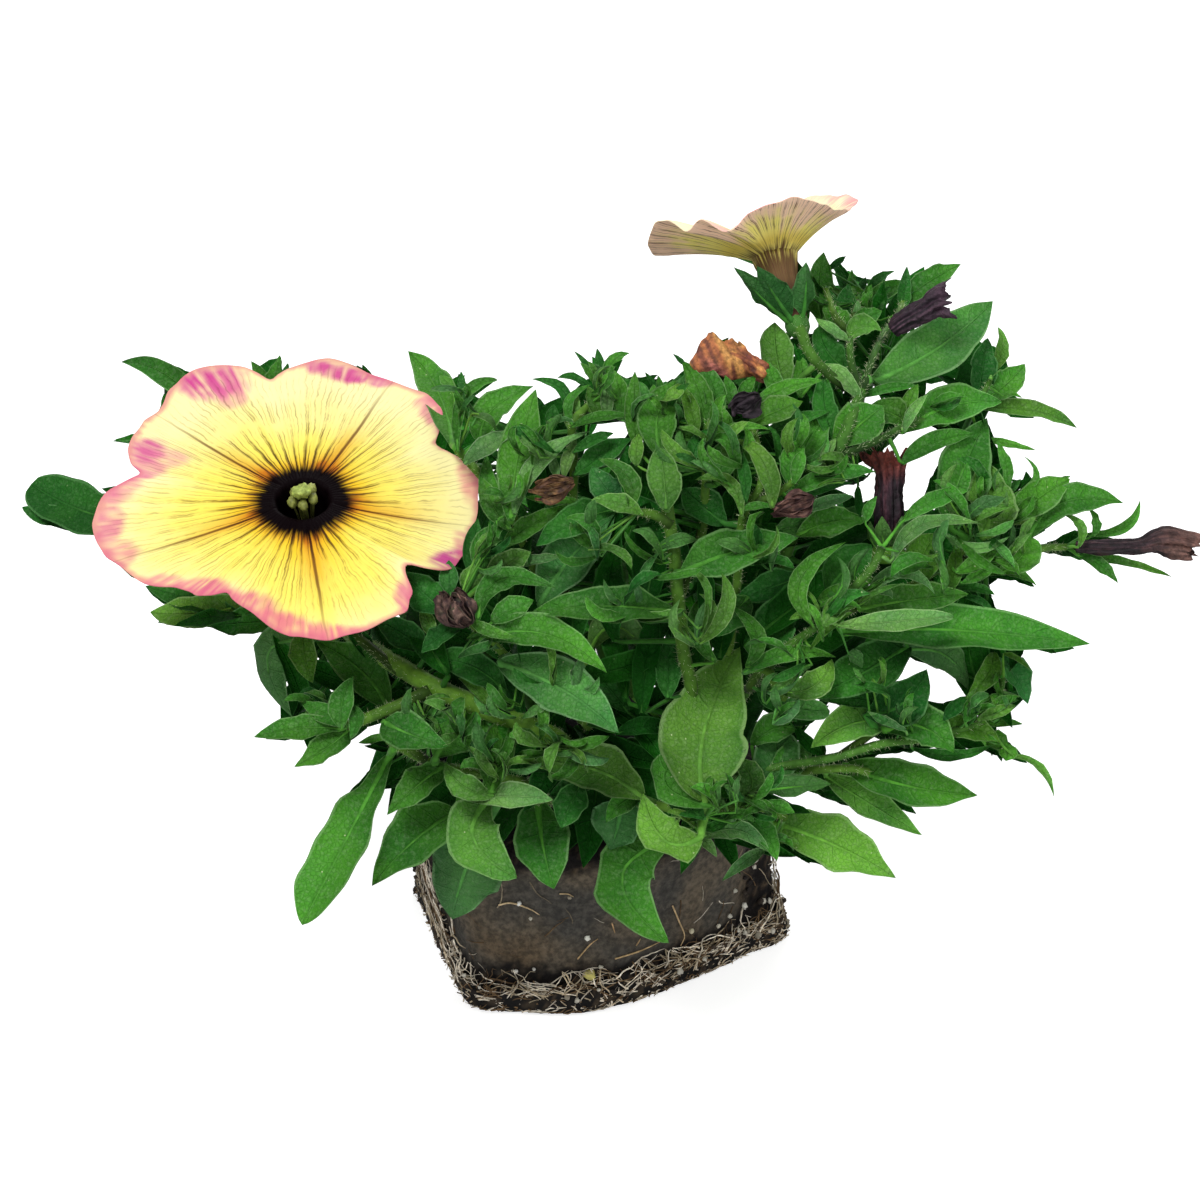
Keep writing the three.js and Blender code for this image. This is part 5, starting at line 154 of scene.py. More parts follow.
    ["k051","back_04",[47.51,46.13,99.0],[48.34,45.95,99.53],[54.16,44.76,103.44],[59.97,43.57,105.08],[-0.416,0.078,0.906],2.12,0.53,1.0,19,0,"d"],
    ["k052","back_04",[47.51,46.13,99.0],[48.03,46.9,99.35],[50.66,50.8,101.52],[53.29,54.7,102.49],[-0.127,-0.296,0.947],1.99,0.47,1.0,11,0,"n"],
    ["k053","back_04",[47.51,46.13,99.0],[47.31,47.05,99.32],[46.37,51.6,101.32],[45.42,56.16,102.18],[0.54,-0.148,0.829],1.83,0.4,1.0,11,0,"d"],
    ["k054","back_05",[4.83,17.14,49.7],[4.49,18.07,49.8],[-0.54,31.54,52.55],[-5.56,45.02,52.04],[0.198,-0.008,0.98],4.85,0.42,1.0,20,0,"g"],
    ["k055","back_05",[7.67,21.37,54.45],[8.64,21.21,54.59],[20.21,19.27,57.07],[31.78,17.33,56.43],[-0.023,0.313,0.949],3.63,0.45,1.0,18,0,"n"],
    ["k056","back_05",[10.5,25.61,59.02],[9.94,25.61,59.84],[3.26,25.6,69.95],[-3.43,25.59,75.83],[0.649,0.532,0.544],4.01,0.4,1.0,13,0,"g"],
    ["k057","back_05",[13.34,29.85,63.17],[13.73,30.76,63.35],[17.94,40.57,65.95],[22.16,50.39,65.45],[-0.29,0.022,0.957],3.75,0.54,1.0,10,0,"n"],
    ["k058","back_05",[16.17,34.09,67.16],[16.74,33.71,67.89],[24.38,28.58,78.18],[32.02,23.46,83.67],[-0.378,0.565,0.734],4.88,0.44,1.0,11,0,"n"],
    ["k059","back_05",[19.01,38.33,70.88],[18.44,39.05,71.3],[12.46,46.63,76.21],[6.48,54.22,77.95],[0.562,0.082,0.823],3.98,0.47,1.0,13,0,"d"],
    ["k060","back_05",[21.84,42.57,74.28],[22.82,42.74,74.37],[34.07,44.7,75.95],[45.31,46.67,74.0],[-0.067,0.467,0.882],3.56,0.46,1.0,20,0,"n"],
    ["k061","back_05",[24.68,46.81,77.5],[24.59,46.76,78.49],[23.91,46.34,87.01],[23.22,45.92,93.65],[0.661,0.744,0.101],2.63,0.5,1.0,19,0,"n"],
    ["k062","back_05",[27.51,51.05,80.38],[27.37,51.98,80.7],[26.16,60.08,84.03],[24.95,68.18,85.03],[0.506,-0.151,0.849],2.95,0.44,1.0,11,0,"n"],
    ["k063","back_05",[27.78,51.45,80.66],[28.68,51.49,81.11],[34.26,51.73,84.41],[39.85,51.97,86.15],[-0.381,0.461,0.801],2.16,0.52,1.0,17,0,"d"],
    ["k064","back_05",[27.78,51.45,80.66],[28.13,52.07,81.36],[29.36,54.25,84.08],[30.59,56.43,85.91],[-0.245,-0.63,0.737],1.71,0.48,1.0,12,0,"n"],
    ["k065","back_05",[27.78,51.45,80.66],[28.4,52.19,80.94],[33.59,58.41,83.79],[38.78,64.64,84.07],[-0.35,0.058,0.935],3.09,0.44,1.0,21,0,"n"],
    ["k066","back_05",[27.78,51.45,80.66],[28.22,51.61,81.54],[30.5,52.47,86.63],[32.78,53.33,90.47],[-0.836,0.428,0.345],2.11,0.49,1.0,17,0,"y"],
    ["k067","back_05",[27.78,51.45,80.66],[27.67,52.4,80.96],[27.1,57.26,82.95],[26.52,62.12,83.8],[0.334,-0.228,0.914],1.71,0.49,1.0,10,0,"n"],
    ["k068","back_05",[27.78,51.45,80.66],[28.73,51.75,80.8],[33.96,53.42,81.99],[39.19,55.1,81.7],[-0.123,0.121,0.985],1.92,0.51,1.0,19,0,"n"],
    ["k069","back_06",[2.35,16.38,49.7],[2.73,17.27,49.95],[6.88,27.25,53.05],[11.03,37.24,52.28],[0.178,-0.187,0.966],3.66,0.51,1.0,15,0,"y"],
    ["k070","back_06",[3.02,19.95,54.46],[3.37,19.61,55.33],[8.3,14.74,68.76],[13.24,9.87,78.21],[-0.319,0.815,0.484],5.28,0.54,1.0,15,0,"n"],
    ["k071","back_06",[3.69,23.52,59.02],[2.92,24.12,59.25],[-6.37,31.32,62.82],[-15.67,38.53,63.18],[0.08,-0.165,0.983],4.5,0.51,1.0,16,0,"y"],
    ["k072","back_06",[4.35,27.1,63.19],[5.25,27.5,63.36],[15.27,32.01,66.31],[25.28,36.51,66.68],[-0.313,0.376,0.872],3.88,0.44,1.0,20,0,"g"],
    ["k073","back_06",[5.02,30.67,67.18],[5.02,31.13,68.07],[5.02,33.91,73.83],[5.02,36.69,77.82],[0.075,-0.866,0.494],2.35,0.4,1.0,10,0,"d"],
    ["k074","back_06",[6.35,37.82,74.3],[7.08,37.76,74.98],[14.42,37.11,82.1],[21.77,36.47,85.77],[-0.476,0.519,0.71],3.35,0.46,1.0,10,0,"g"],
    ["k075","back_06",[7.02,41.39,77.52],[6.49,41.96,78.15],[3.22,45.48,82.58],[-0.06,49.0,85.5],[0.506,-0.351,0.788],2.52,0.47,1.0,9,0,"n"],
    ["k076","back_06",[7.69,44.97,80.41],[8.4,45.64,80.61],[13.17,50.13,82.58],[17.93,54.63,83.09],[-0.169,-0.092,0.981],2.72,0.43,1.0,21,0,"n"],
    ["k077","back_06",[7.75,45.31,80.68],[7.29,46.19,80.79],[4.09,52.29,81.95],[0.9,58.4,81.15],[0.357,0.16,0.92],2.21,0.44,1.0,16,0,"n"],
    ["k078","back_06",[7.75,45.31,80.68],[8.1,46.07,81.23],[9.24,48.52,83.24],[10.38,50.97,84.53],[-0.163,-0.499,0.851],1.35,0.41,1.0,19,0,"g"],
    ["k079","back_06",[7.75,45.31,80.68],[7.65,46.05,81.35],[7.32,48.51,83.73],[6.99,50.97,85.19],[0.506,-0.488,0.711],1.24,0.41,1.0,16,0,"n"],
    ["k080","back_06",[7.75,45.31,80.68],[8.24,46.16,80.85],[11.37,51.62,82.28],[14.5,57.07,81.81],[-0.298,0.087,0.951],2.64,0.45,1.0,22,0,"d"],
    ["k081","back_06",[7.75,45.31,80.68],[8.12,45.88,81.41],[9.29,47.72,83.91],[10.46,49.55,85.51],[-0.638,-0.355,0.683],1.21,0.52,1.0,19,0,"n"],
    ["k082","back_07",[1.4,16.52,46.88],[2.02,17.3,47.02],[10.42,27.76,49.69],[18.82,38.22,48.49],[-0.227,0.114,0.967],4.89,0.53,1.0,11,0,"n"],
    ["k083","back_07",[1.23,20.23,49.17],[1.27,20.08,50.16],[1.69,18.51,61.45],[2.11,16.94,69.84],[0.055,0.986,0.155],3.81,0.48,1.0,18,0,"n"],
    ["k084","back_07",[1.07,23.93,51.27],[0.33,24.6,51.4],[-8.96,33.07,54.04],[-18.26,41.55,53.5],[0.066,-0.05,0.997],4.47,0.42,1.0,21,0,"n"],
    ["k085","back_07",[0.9,27.63,52.96],[1.8,27.95,53.25],[13.73,32.2,57.39],[25.66,36.45,56.94],[-0.327,0.602,0.729],4.73,0.53,1.0,14,0,"d"],
    ["k086","back_07",[0.73,31.34,54.48],[0.09,31.53,55.22],[-7.15,33.75,63.75],[-14.38,35.96,68.45],[0.665,0.489,0.564],3.58,0.46,1.0,11,0,"d"],
    ["k087","back_07",[0.57,35.04,55.74],[0.75,36.01,55.61],[2.61,45.61,55.18],[4.46,55.21,52.55],[-0.201,0.192,0.961],3.43,0.47,1.0,18,0,"y"],
    ["k088","back_07",[0.4,38.74,56.67],[0.87,38.94,57.52],[6.15,41.2,67.75],[11.44,43.46,74.81],[-0.76,0.568,0.316],3.63,0.53,1.0,15,0,"n"],
    ["k089","back_07",[0.23,42.45,57.42],[-0.71,42.79,57.37],[-9.32,45.94,57.46],[-17.93,49.09,55.08],[-0.049,0.219,0.974],3.14,0.45,1.0,11,0,"d"],
    ["k090","back_07",[0.06,46.15,57.84],[0.93,46.51,57.49],[8.25,49.55,54.99],[15.57,52.6,49.96],[0.278,0.408,0.87],2.96,0.5,1.0,9,0,"d"],
    ["k091","back_07",[0.05,46.5,57.88],[-0.2,47.26,58.49],[-1.66,51.72,62.59],[-3.12,56.19,65.3],[0.618,-0.338,0.709],2.03,0.46,1.0,9,0,"n"],
    ["k092","back_07",[0.05,46.5,57.88],[-0.37,47.41,57.84],[-2.79,52.69,58.0],[-5.22,57.96,56.66],[-0.079,0.074,0.994],1.97,0.43,1.0,19,0,"y"],
    ["k093","back_07",[0.05,46.5,57.88],[0.68,47.15,58.32],[5.3,51.88,61.79],[9.93,56.61,62.89],[-0.35,-0.107,0.931],2.51,0.47,1.0,12,0,"n"],
    ["k094","back_07",[0.05,46.5,57.88],[-0.57,47.2,58.25],[-4.11,51.19,60.5],[-7.64,55.19,60.76],[0.238,-0.094,0.967],2.14,0.54,1.0,12,0,"n"],
    ["k095","back_07",[0.05,46.5,57.88],[0.42,47.43,57.85],[3.39,54.73,57.88],[6.35,62.04,55.39],[0.109,0.122,0.987],2.56,0.4,1.0,13,0,"n"],
    ["k096","back_07",[0.05,46.5,57.88],[0.17,47.18,58.61],[0.98,51.73,63.83],[1.79,56.29,66.93],[-0.601,-0.478,0.641],2.17,0.46,1.0,13,0,"g"],
    ["k097","back_08",[-0.31,16.43,48.72],[-0.26,15.94,49.59],[0.41,9.05,63.06],[1.08,2.16,73.29],[0.105,0.862,0.495],4.47,0.49,1.0,9,0,"y"],
    ["k098","back_08",[-1.97,20.05,52.61],[-2.82,20.56,52.73],[-13.5,27.0,54.58],[-24.19,33.43,51.96],[0.021,0.095,0.995],4.22,0.5,1.0,12,0,"n"],
    ["k099","back_08",[-3.63,23.68,56.32],[-2.9,24.12,56.83],[6.08,29.54,63.77],[15.06,34.95,66.97],[-0.574,0.211,0.791],3.7,0.5,1.0,11,0,"d"],
    ["k100","back_08",[-5.29,27.3,59.62],[-5.99,26.88,60.19],[-14.6,21.76,68.11],[-23.2,16.65,72.93],[0.249,0.562,0.788],4.05,0.49,1.0,16,0,"n"],
    ["k101","back_08",[-6.95,30.92,62.74],[-7.02,31.9,62.92],[-8.06,45.35,66.26],[-9.09,58.79,65.92],[0.148,-0.098,0.984],4.48,0.52,1.0,11,0,"d"],
    ["k102","back_08",[-8.61,34.54,65.61],[-8.26,34.89,66.48],[-5.6,37.54,73.78],[-2.93,40.18,79.28],[-0.903,-0.1,0.418],2.64,0.45,1.0,10,0,"d"],
    ["k103","back_08",[-10.27,38.16,68.14],[-11.26,38.3,68.11],[-20.62,39.56,68.59],[-29.98,40.82,66.9],[-0.058,0.044,0.997],2.88,0.42,1.0,14,0,"d"],
    ["k104","back_08",[-11.93,41.79,70.5],[-11.36,42.6,70.57],[-5.34,51.22,71.63],[0.69,59.83,69.09],[-0.03,0.106,0.994],3.3,0.45,1.0,14,0,"n"],
    ["k105","back_08",[-13.75,45.75,72.72],[-14.31,46.56,72.9],[-17.2,50.7,73.98],[-20.08,54.84,73.3],[-0.091,-0.111,0.99],1.95,0.51,1.0,22,0,"d"],
    ["k106","back_08",[-13.75,45.75,72.72],[-13.61,46.34,73.52],[-12.95,48.97,77.39],[-12.3,51.6,80.01],[-0.554,-0.588,0.589],1.49,0.5,1.0,11,0,"y"],
    ["k107","back_08",[-13.75,45.75,72.72],[-14.63,45.93,73.17],[-21.6,47.33,77.02],[-28.57,48.73,78.19],[0.378,0.336,0.863],2.67,0.53,1.0,14,0,"d"],
    ["k108","back_08",[-13.75,45.75,72.72],[-13.63,46.72,72.94],[-12.65,54.51,75.1],[-11.67,62.29,74.84],[-0.389,-0.063,0.919],2.59,0.44,1.0,11,0,"y"],
    ["k109","back_08",[-13.75,45.75,72.72],[-13.61,46.13,73.64],[-12.86,48.07,78.92],[-12.12,50.01,83.01],[-0.981,0.176,0.083],1.76,0.42,1.0,19,0,"g"],
    ["k110","back_08",[-13.75,45.75,72.72],[-14.48,46.37,73.02],[-18.96,50.13,75.27],[-23.44,53.9,75.86],[0.33,0.037,0.943],1.86,0.43,1.0,17,0,"n"],
    ["k111","back_09",[-16.25,12.19,47.84],[-16.0,12.16,48.81],[-13.02,11.83,60.84],[-10.04,11.5,69.91],[-0.83,0.499,0.25],3.74,0.43,1.0,8,0,"n"],
    ["k112","back_09",[-19.02,17.99,50.97],[-19.99,18.08,50.72],[-30.56,19.02,48.77],[-41.13,19.96,43.86],[-0.219,0.528,0.821],3.35,0.41,1.0,15,0,"d"],
    ["k113","back_09",[-21.79,23.79,53.91],[-21.21,24.59,54.06],[-15.21,32.91,56.07],[-9.22,41.24,54.68],[-0.427,0.276,0.861],3.42,0.52,1.0,18,0,"n"],
    ["k114","back_09",[-24.55,29.59,56.44],[-25.05,29.41,57.29],[-31.65,26.97,69.16],[-38.25,24.53,76.64],[0.094,0.948,0.304],4.9,0.54,1.0,15,0,"n"],
    ["k115","back_09",[-27.32,35.4,58.8],[-27.84,36.25,58.79],[-33.75,45.86,59.19],[-39.67,55.46,56.13],[-0.306,-0.057,0.95],4.2,0.43,1.0,13,0,"n"],
    ["k116","back_09",[-30.08,41.2,60.9],[-29.71,41.6,61.74],[-25.74,45.77,71.28],[-21.77,49.95,78.04],[-0.918,0.193,0.348],4.02,0.44,1.0,11,0,"n"],
    ["k117","back_09",[-32.85,47.0,62.67],[-33.82,46.85,62.85],[-42.68,45.44,65.14],[-51.55,44.02,65.04],[0.076,0.267,0.961],2.83,0.42,1.0,10,0,"d"],
    ["k118","back_09",[-35.62,52.8,64.26],[-35.09,53.66,64.25],[-29.67,62.46,64.7],[-24.24,71.26,62.15],[-0.343,0.317,0.884],3.11,0.54,1.0,20,0,"d"],
    ["k119","back_09",[-38.38,58.61,65.52],[-38.47,58.99,66.44],[-39.03,61.47,73.03],[-39.59,63.96,78.16],[-0.987,0.094,-0.134],2.24,0.5,1.0,21,0,"n"],
    ["k120","back_09",[-38.65,59.16,65.64],[-39.47,59.72,65.69],[-43.8,62.65,66.05],[-48.14,65.57,64.53],[-0.088,0.065,0.994],1.72,0.54,1.0,9,0,"y"],
    ["k121","back_09",[-38.65,59.16,65.64],[-38.34,60.05,65.97],[-36.58,65.31,68.17],[-34.81,70.56,68.48],[-0.471,-0.052,0.881],1.97,0.42,1.0,18,0,"n"],
    ["k122","back_09",[-38.65,59.16,65.64],[-39.41,59.51,66.19],[-44.15,61.72,69.79],[-48.9,63.92,71.29],[0.539,0.217,0.814],2.11,0.49,1.0,16,0,"y"],
    ["k123","back_09",[-38.65,59.16,65.64],[-38.87,60.13,65.66],[-39.9,64.65,66.05],[-40.93,69.16,65.13],[-0.058,0.046,0.997],1.62,0.54,1.0,10,0,"n"],
    ["k124","back_09",[-38.65,59.16,65.64],[-38.17,59.77,66.28],[-35.07,63.74,70.96],[-31.96,67.71,73.98],[-0.645,-0.209,0.735],2.57,0.52,1.0,19,0,"n"],
    ["k125","back_09",[-38.65,59.16,65.64],[-39.57,59.55,65.62],[-47.37,62.84,65.71],[-55.18,66.13,62.9],[0.046,0.473,0.88],2.59,0.48,1.0,13,0,"d"],
    ["k126","back_10",[-16.62,9.53,50.0],[-17.61,9.39,49.95],[-30.22,7.67,49.71],[-42.83,5.96,44.96],[-0.196,0.013,0.981],4.32,0.48,1.0,19,0,"n"],
    ["k127","back_10",[-19.7,13.0,55.01],[-19.27,13.87,55.26],[-14.38,23.88,58.56],[-9.49,33.88,57.94],[-0.122,-0.073,0.99],4.19,0.52,1.0,10,0,"n"],
    ["k128","back_10",[-22.78,16.48,59.84],[-22.99,15.92,60.64],[-25.15,10.05,69.83],[-27.3,4.18,76.2],[-0.3,0.8,0.52],3.2,0.42,1.0,11,0,"d"],
    ["k129","back_10",[-25.87,19.96,64.26],[-26.59,20.63,64.42],[-36.42,29.75,66.96],[-46.25,38.87,64.81],[-0.171,-0.205,0.964],4.75,0.48,1.0,12,0,"n"],
    ["k130","back_10",[-28.95,23.43,68.5],[-28.57,24.12,69.12],[-25.05,30.52,75.32],[-21.54,36.93,78.53],[-0.669,-0.165,0.725],3.68,0.54,1.0,17,0,"d"],
    ["k131","back_10",[-32.03,26.91,72.49],[-32.88,26.49,72.81],[-41.37,22.24,76.51],[-49.87,17.98,77.01],[-0.038,0.502,0.864],3.81,0.53,1.0,19,0,"d"],
    ["k132","back_10",[-35.11,30.39,76.14],[-35.0,31.35,75.91],[-33.99,40.28,74.41],[-32.98,49.21,70.39],[-0.134,0.307,0.942],2.96,0.47,1.0,15,0,"d"],
    ["k133","back_10",[-38.2,33.86,79.62],[-38.28,34.32,80.51],[-38.65,36.45,85.02],[-39.02,38.58,88.46],[-0.71,-0.646,0.279],2.16,0.44,1.0,9,0,"y"],
    ["k134","back_10",[-41.28,37.34,82.77],[-41.87,38.1,83.03],[-46.4,43.97,85.51],[-50.93,49.84,85.8],[-0.148,-0.334,0.931],2.71,0.47,1.0,12,0,"n"],
    ["k135","back_10",[-41.57,37.67,83.07],[-41.58,38.36,83.79],[-41.59,40.88,86.62],[-41.6,43.4,88.37],[-0.323,-0.637,0.7],1.72,0.5,1.0,22,0,"d"],
    ["k136","back_10",[-41.57,37.67,83.07],[-42.17,38.15,83.7],[-45.08,40.49,87.17],[-47.98,42.82,89.55],[0.466,-0.405,0.786],1.93,0.52,1.0,11,0,"d"],
    ["k137","back_10",[-41.57,37.67,83.07],[-41.99,38.56,83.25],[-43.75,42.24,84.29],[-45.5,45.92,84.18],[0.172,-0.042,0.984],1.38,0.42,1.0,16,0,"n"],
    ["k138","back_10",[-41.57,37.67,83.07],[-42.55,37.66,83.27],[-49.4,37.59,85.07],[-56.25,37.52,84.73],[0.104,0.087,0.991],2.25,0.46,1.0,15,0,"n"],
    ["k139","back_10",[-41.57,37.67,83.07],[-41.91,38.57,83.34],[-43.51,42.92,85.09],[-45.11,47.27,85.77],[-0.177,-0.325,0.929],1.77,0.54,1.0,15,0,"g"],
    ["k140","back_11",[-19.88,9.51,48.56],[-20.03,10.49,48.45],[-21.92,22.76,48.18],[-23.8,35.03,44.97],[-0.181,0.111,0.977],4.34,0.54,1.0,13,0,"d"],
    ["k141","back_11",[-25.82,12.97,52.32],[-25.88,12.76,53.29],[-26.59,10.25,65.7],[-27.3,7.73,74.41],[-0.615,0.776,0.144],3.93,0.43,1.0,10,0,"d"],
    ["k142","back_11",[-31.75,16.43,55.89],[-32.75,16.45,56.0],[-44.35,16.62,58.15],[-55.95,16.8,57.38],[0.062,0.265,0.962],4.3,0.5,1.0,13,0,"y"],
    ["k143","back_11",[-37.69,19.89,59.05],[-37.34,20.69,59.55],[-33.07,30.54,66.43],[-28.8,40.38,69.91],[-0.693,-0.076,0.717],3.8,0.45,1.0,12,0,"d"],
    ["k144","back_11",[-43.63,23.35,62.04],[-44.25,22.82,62.6],[-52.34,15.84,71.0],[-60.43,8.87,76.44],[-0.107,0.76,0.641],4.54,0.46,1.0,9,0,"n"],
    ["k145","back_11",[-49.57,26.82,64.77],[-49.99,27.72,64.73],[-54.54,37.35,64.86],[-59.08,46.97,61.72],[-0.163,0.077,0.984],3.81,0.49,1.0,8,0,"n"],
    ["k146","back_11",[-55.5,30.28,67.17],[-55.7,30.72,68.04],[-57.56,34.84,76.5],[-59.41,38.96,81.75],[-0.335,-0.845,0.418],3.47,0.51,1.0,17,0,"y"],
    ["k147","back_11",[-61.44,33.74,69.39],[-62.33,33.33,69.18],[-71.54,29.03,67.41],[-80.76,24.74,62.28],[-0.481,0.409,0.776],3.87,0.5,1.0,16,0,"d"],
    ["k148","back_11",[-67.38,37.2,71.28],[-67.18,38.18,71.26],[-65.44,46.81,71.3],[-63.7,55.45,68.23],[-0.346,0.229,0.91],2.86,0.41,1.0,13,0,"n"],
    ["k149","back_11",[-67.94,37.53,71.46],[-68.49,37.37,72.28],[-73.05,36.03,79.66],[-77.6,34.69,84.9],[0.353,0.831,0.43],2.59,0.54,1.0,11,0,"y"],
    ["k150","back_11",[-67.94,37.53,71.46],[-68.85,37.94,71.56],[-74.72,40.61,72.4],[-80.59,43.28,71.1],[-0.009,0.067,0.998],2.17,0.42,1.0,18,0,"g"],
    ["k151","back_11",[-67.94,37.53,71.46],[-68.04,38.24,72.16],[-68.71,43.11,77.37],[-69.37,47.97,80.75],[-0.69,-0.53,0.493],2.16,0.46,1.0,19,0,"d"],
    ["k152","back_11",[-67.94,37.53,71.46],[-68.87,37.31,71.76],[-74.73,35.95,74.03],[-80.59,34.58,74.51],[0.064,0.557,0.828],2.19,0.47,1.0,22,0,"n"],
    ["k153","back_11",[-67.94,37.53,71.46],[-68.38,38.42,71.58],[-71.55,44.92,72.97],[-74.73,51.43,72.49],[-0.077,-0.107,0.991],2.32,0.44,1.0,9,0,"n"],
    ["k154","back_11",[-67.94,37.53,71.46],[-68.42,37.78,72.3],[-71.27,39.28,77.74],[-74.11,40.77,81.49],[0.807,-0.185,0.561],2.15,0.55,1.0,21,0,"n"],
    ["k155","back_12",[-19.88,7.38,51.09],[-20.56,8.08,51.31],[-28.62,16.33,54.77],[-36.68,24.57,55.46],[-0.089,-0.324,0.942],4.25,0.41,1.0,18,0,"n"],
    ["k156","back_12",[-25.81,8.98,57.07],[-25.48,9.06,58.01],[-21.1,10.02,71.22],[-16.72,10.98,81.31],[-0.889,-0.285,0.358],4.24,0.52,1.0,9,0,"d"],
    ["k157","back_12",[-31.75,10.58,62.86],[-32.6,10.06,62.87],[-42.06,4.27,63.65],[-51.53,-1.53,61.15],[-0.215,0.209,0.954],3.51,0.42,1.0,11,0,"n"],
    ["k158","back_12",[-37.69,12.18,68.24],[-37.71,13.15,68.46],[-38.06,27.03,72.62],[-38.41,40.9,73.0],[-0.547,-0.149,0.824],4.69,0.49,1.0,20,0,"d"],
    ["k159","back_12",[-43.62,13.78,73.44],[-43.73,13.25,74.29],[-44.77,7.99,83.5],[-45.81,2.72,90.27],[-0.595,0.705,0.387],3.28,0.44,1.0,16,0,"d"],
    ["k160","back_12",[-49.56,15.38,78.39],[-50.53,15.62,78.5],[-59.74,17.91,79.82],[-68.95,20.21,77.98],[0.05,0.308,0.95],2.89,0.53,1.0,10,0,"n"],
    ["k161","back_12",[-55.5,16.98,83.01],[-55.26,17.61,83.74],[-53.52,22.33,89.72],[-51.78,27.06,93.73],[-0.593,-0.471,0.653],3.1,0.53,1.0,9,0,"d"],
    ["k162","back_13",[-19.32,5.34,47.37],[-20.07,4.67,47.39],[-30.18,-4.26,48.92],[-40.3,-13.19,47.39],[-0.028,0.031,0.999],4.48,0.46,1.0,16,0,"n"],
    ["k163","back_13",[-24.77,5.14,50.08],[-25.11,5.94,50.58],[-29.42,16.07,57.79],[-33.72,26.2,61.69],[-0.028,-0.49,0.871],4.3,0.54,1.0,17,0,"d"],
    ["k164","back_13",[-30.22,4.95,52.61],[-30.39,4.18,53.22],[-32.41,-5.18,61.21],[-34.43,-14.53,65.39],[-0.114,0.559,0.821],3.93,0.52,1.0,18,0,"n"],
    ["k165","back_13",[-35.67,4.76,54.73],[-36.6,5.14,54.77],[-48.98,10.16,55.76],[-61.36,15.19,52.29],[-0.199,-0.256,0.946],4.2,0.41,1.0,19,0,"n"],
    ["k166","back_13",[-41.12,4.57,56.67],[-41.33,4.86,57.61],[-43.81,8.42,69.73],[-46.3,11.99,78.03],[-0.491,-0.853,0.178],4.17,0.54,1.0,17,0,"y"],
    ["k167","back_13",[-46.57,4.38,58.36],[-46.83,3.43,58.18],[-49.24,-5.41,56.81],[-51.64,-14.24,52.36],[-0.607,-0.094,0.789],3.14,0.47,1.0,14,0,"n"],
    ["k168","back_13",[-52.02,4.18,59.71],[-52.46,5.08,59.64],[-57.68,15.85,59.64],[-62.89,26.61,56.56],[-0.432,-0.081,0.898],3.6,0.43,1.0,18,0,"g"],
    ["k169","back_13",[-57.48,3.99,60.89],[-57.57,3.54,61.78],[-58.73,-1.98,72.77],[-59.89,-7.49,79.44],[-0.498,0.763,0.411],4.12,0.5,1.0,15,0,"n"],
    ["k170","back_13",[-62.93,3.8,61.74],[-63.87,3.76,62.07],[-69.18,3.54,64.28],[-74.5,3.32,64.93],[0.258,0.04,0.965],2.12,0.51,1.0,15,0,"g"],
    ["k171","back_13",[-63.44,3.78,61.82],[-64.02,4.34,62.42],[-68.74,8.95,67.83],[-73.46,13.57,70.92],[-0.093,-0.725,0.683],2.71,0.41,1.0,13,0,"d"],
    ["k172","back_13",[-63.44,3.78,61.82],[-64.18,3.27,62.27],[-69.52,-0.44,66.05],[-74.87,-4.15,67.85],[0.257,0.316,0.913],2.68,0.47,1.0,14,0,"y"],
    ["k173","back_13",[-63.44,3.78,61.82],[-64.33,4.24,61.87],[-71.22,7.75,62.64],[-78.1,11.26,61.18],[-0.012,0.074,0.997],2.89,0.55,1.0,15,0,"y"],
    ["k174","back_13",[-63.44,3.78,61.82],[-63.91,3.78,62.7],[-67.45,3.81,69.99],[-70.98,3.83,75.46],[0.384,-0.898,0.216],2.3,0.52,1.0,16,0,"d"],
    ["k175","back_13",[-63.44,3.78,61.82],[-64.32,3.3,61.89],[-69.17,0.59,62.74],[-74.03,-2.12,62.33],[0.065,-0.035,0.997],2.03,0.46,1.0,9,0,"n"],
    ["k176","back_13",[-63.44,3.78,61.82],[-64.14,4.46,62.05],[-69.97,10.08,64.7],[-75.79,15.7,65.45],[-0.34,-0.577,0.743],3.09,0.47,1.0,17,0,"d"],
    ["k177","back_14",[2.52,14.23,50.36],[2.25,13.66,51.14],[-1.28,6.26,62.29],[-4.8,-1.14,70.12],[0.12,0.76,0.638],4.75,0.5,1.0,17,0,"n"],
    ["k178","back_14",[3.33,15.93,55.7],[3.06,16.89,55.81],[-0.54,30.05,58.51],[-4.14,43.22,58.08],[0.088,-0.062,0.994],4.26,0.46,1.0,18,0,"n"],
    ["k179","back_14",[4.14,17.62,60.84],[4.94,17.32,61.35],[15.34,13.34,68.87],[25.73,9.36,73.11],[-0.443,0.147,0.884],4.09,0.54,1.0,17,0,"d"],
    ["k180","back_14",[4.94,19.32,65.58],[4.14,19.28,66.18],[-3.8,18.82,72.46],[-11.74,18.36,75.57],[0.487,0.219,0.845],3.63,0.53,1.0,11,0,"y"],
    ["k181","back_14",[5.75,21.02,70.15],[6.33,21.83,70.11],[12.06,29.92,70.52],[17.78,38.01,68.45],[0.12,0.017,0.993],3.19,0.47,1.0,12,0,"n"],
    ["k182","back_14",[6.56,22.72,74.46],[6.76,22.06,75.19],[8.87,14.88,83.57],[10.99,7.7,88.36],[-0.035,0.67,0.742],3.55,0.49,1.0,16,0,"g"],
    ["k183","back_14",[8.18,26.11,82.23],[9.17,26.2,82.36],[18.54,27.1,84.38],[27.92,27.99,84.23],[-0.081,-0.18,0.98],3.34,0.51,1.0,16,0,"d"],
    ["k184","back_14",[9.07,27.97,86.03],[9.43,28.87,86.25],[11.21,33.35,87.75],[13.0,37.82,87.98],[-0.297,-0.065,0.953],2.07,0.5,1.0,8,0,"n"],
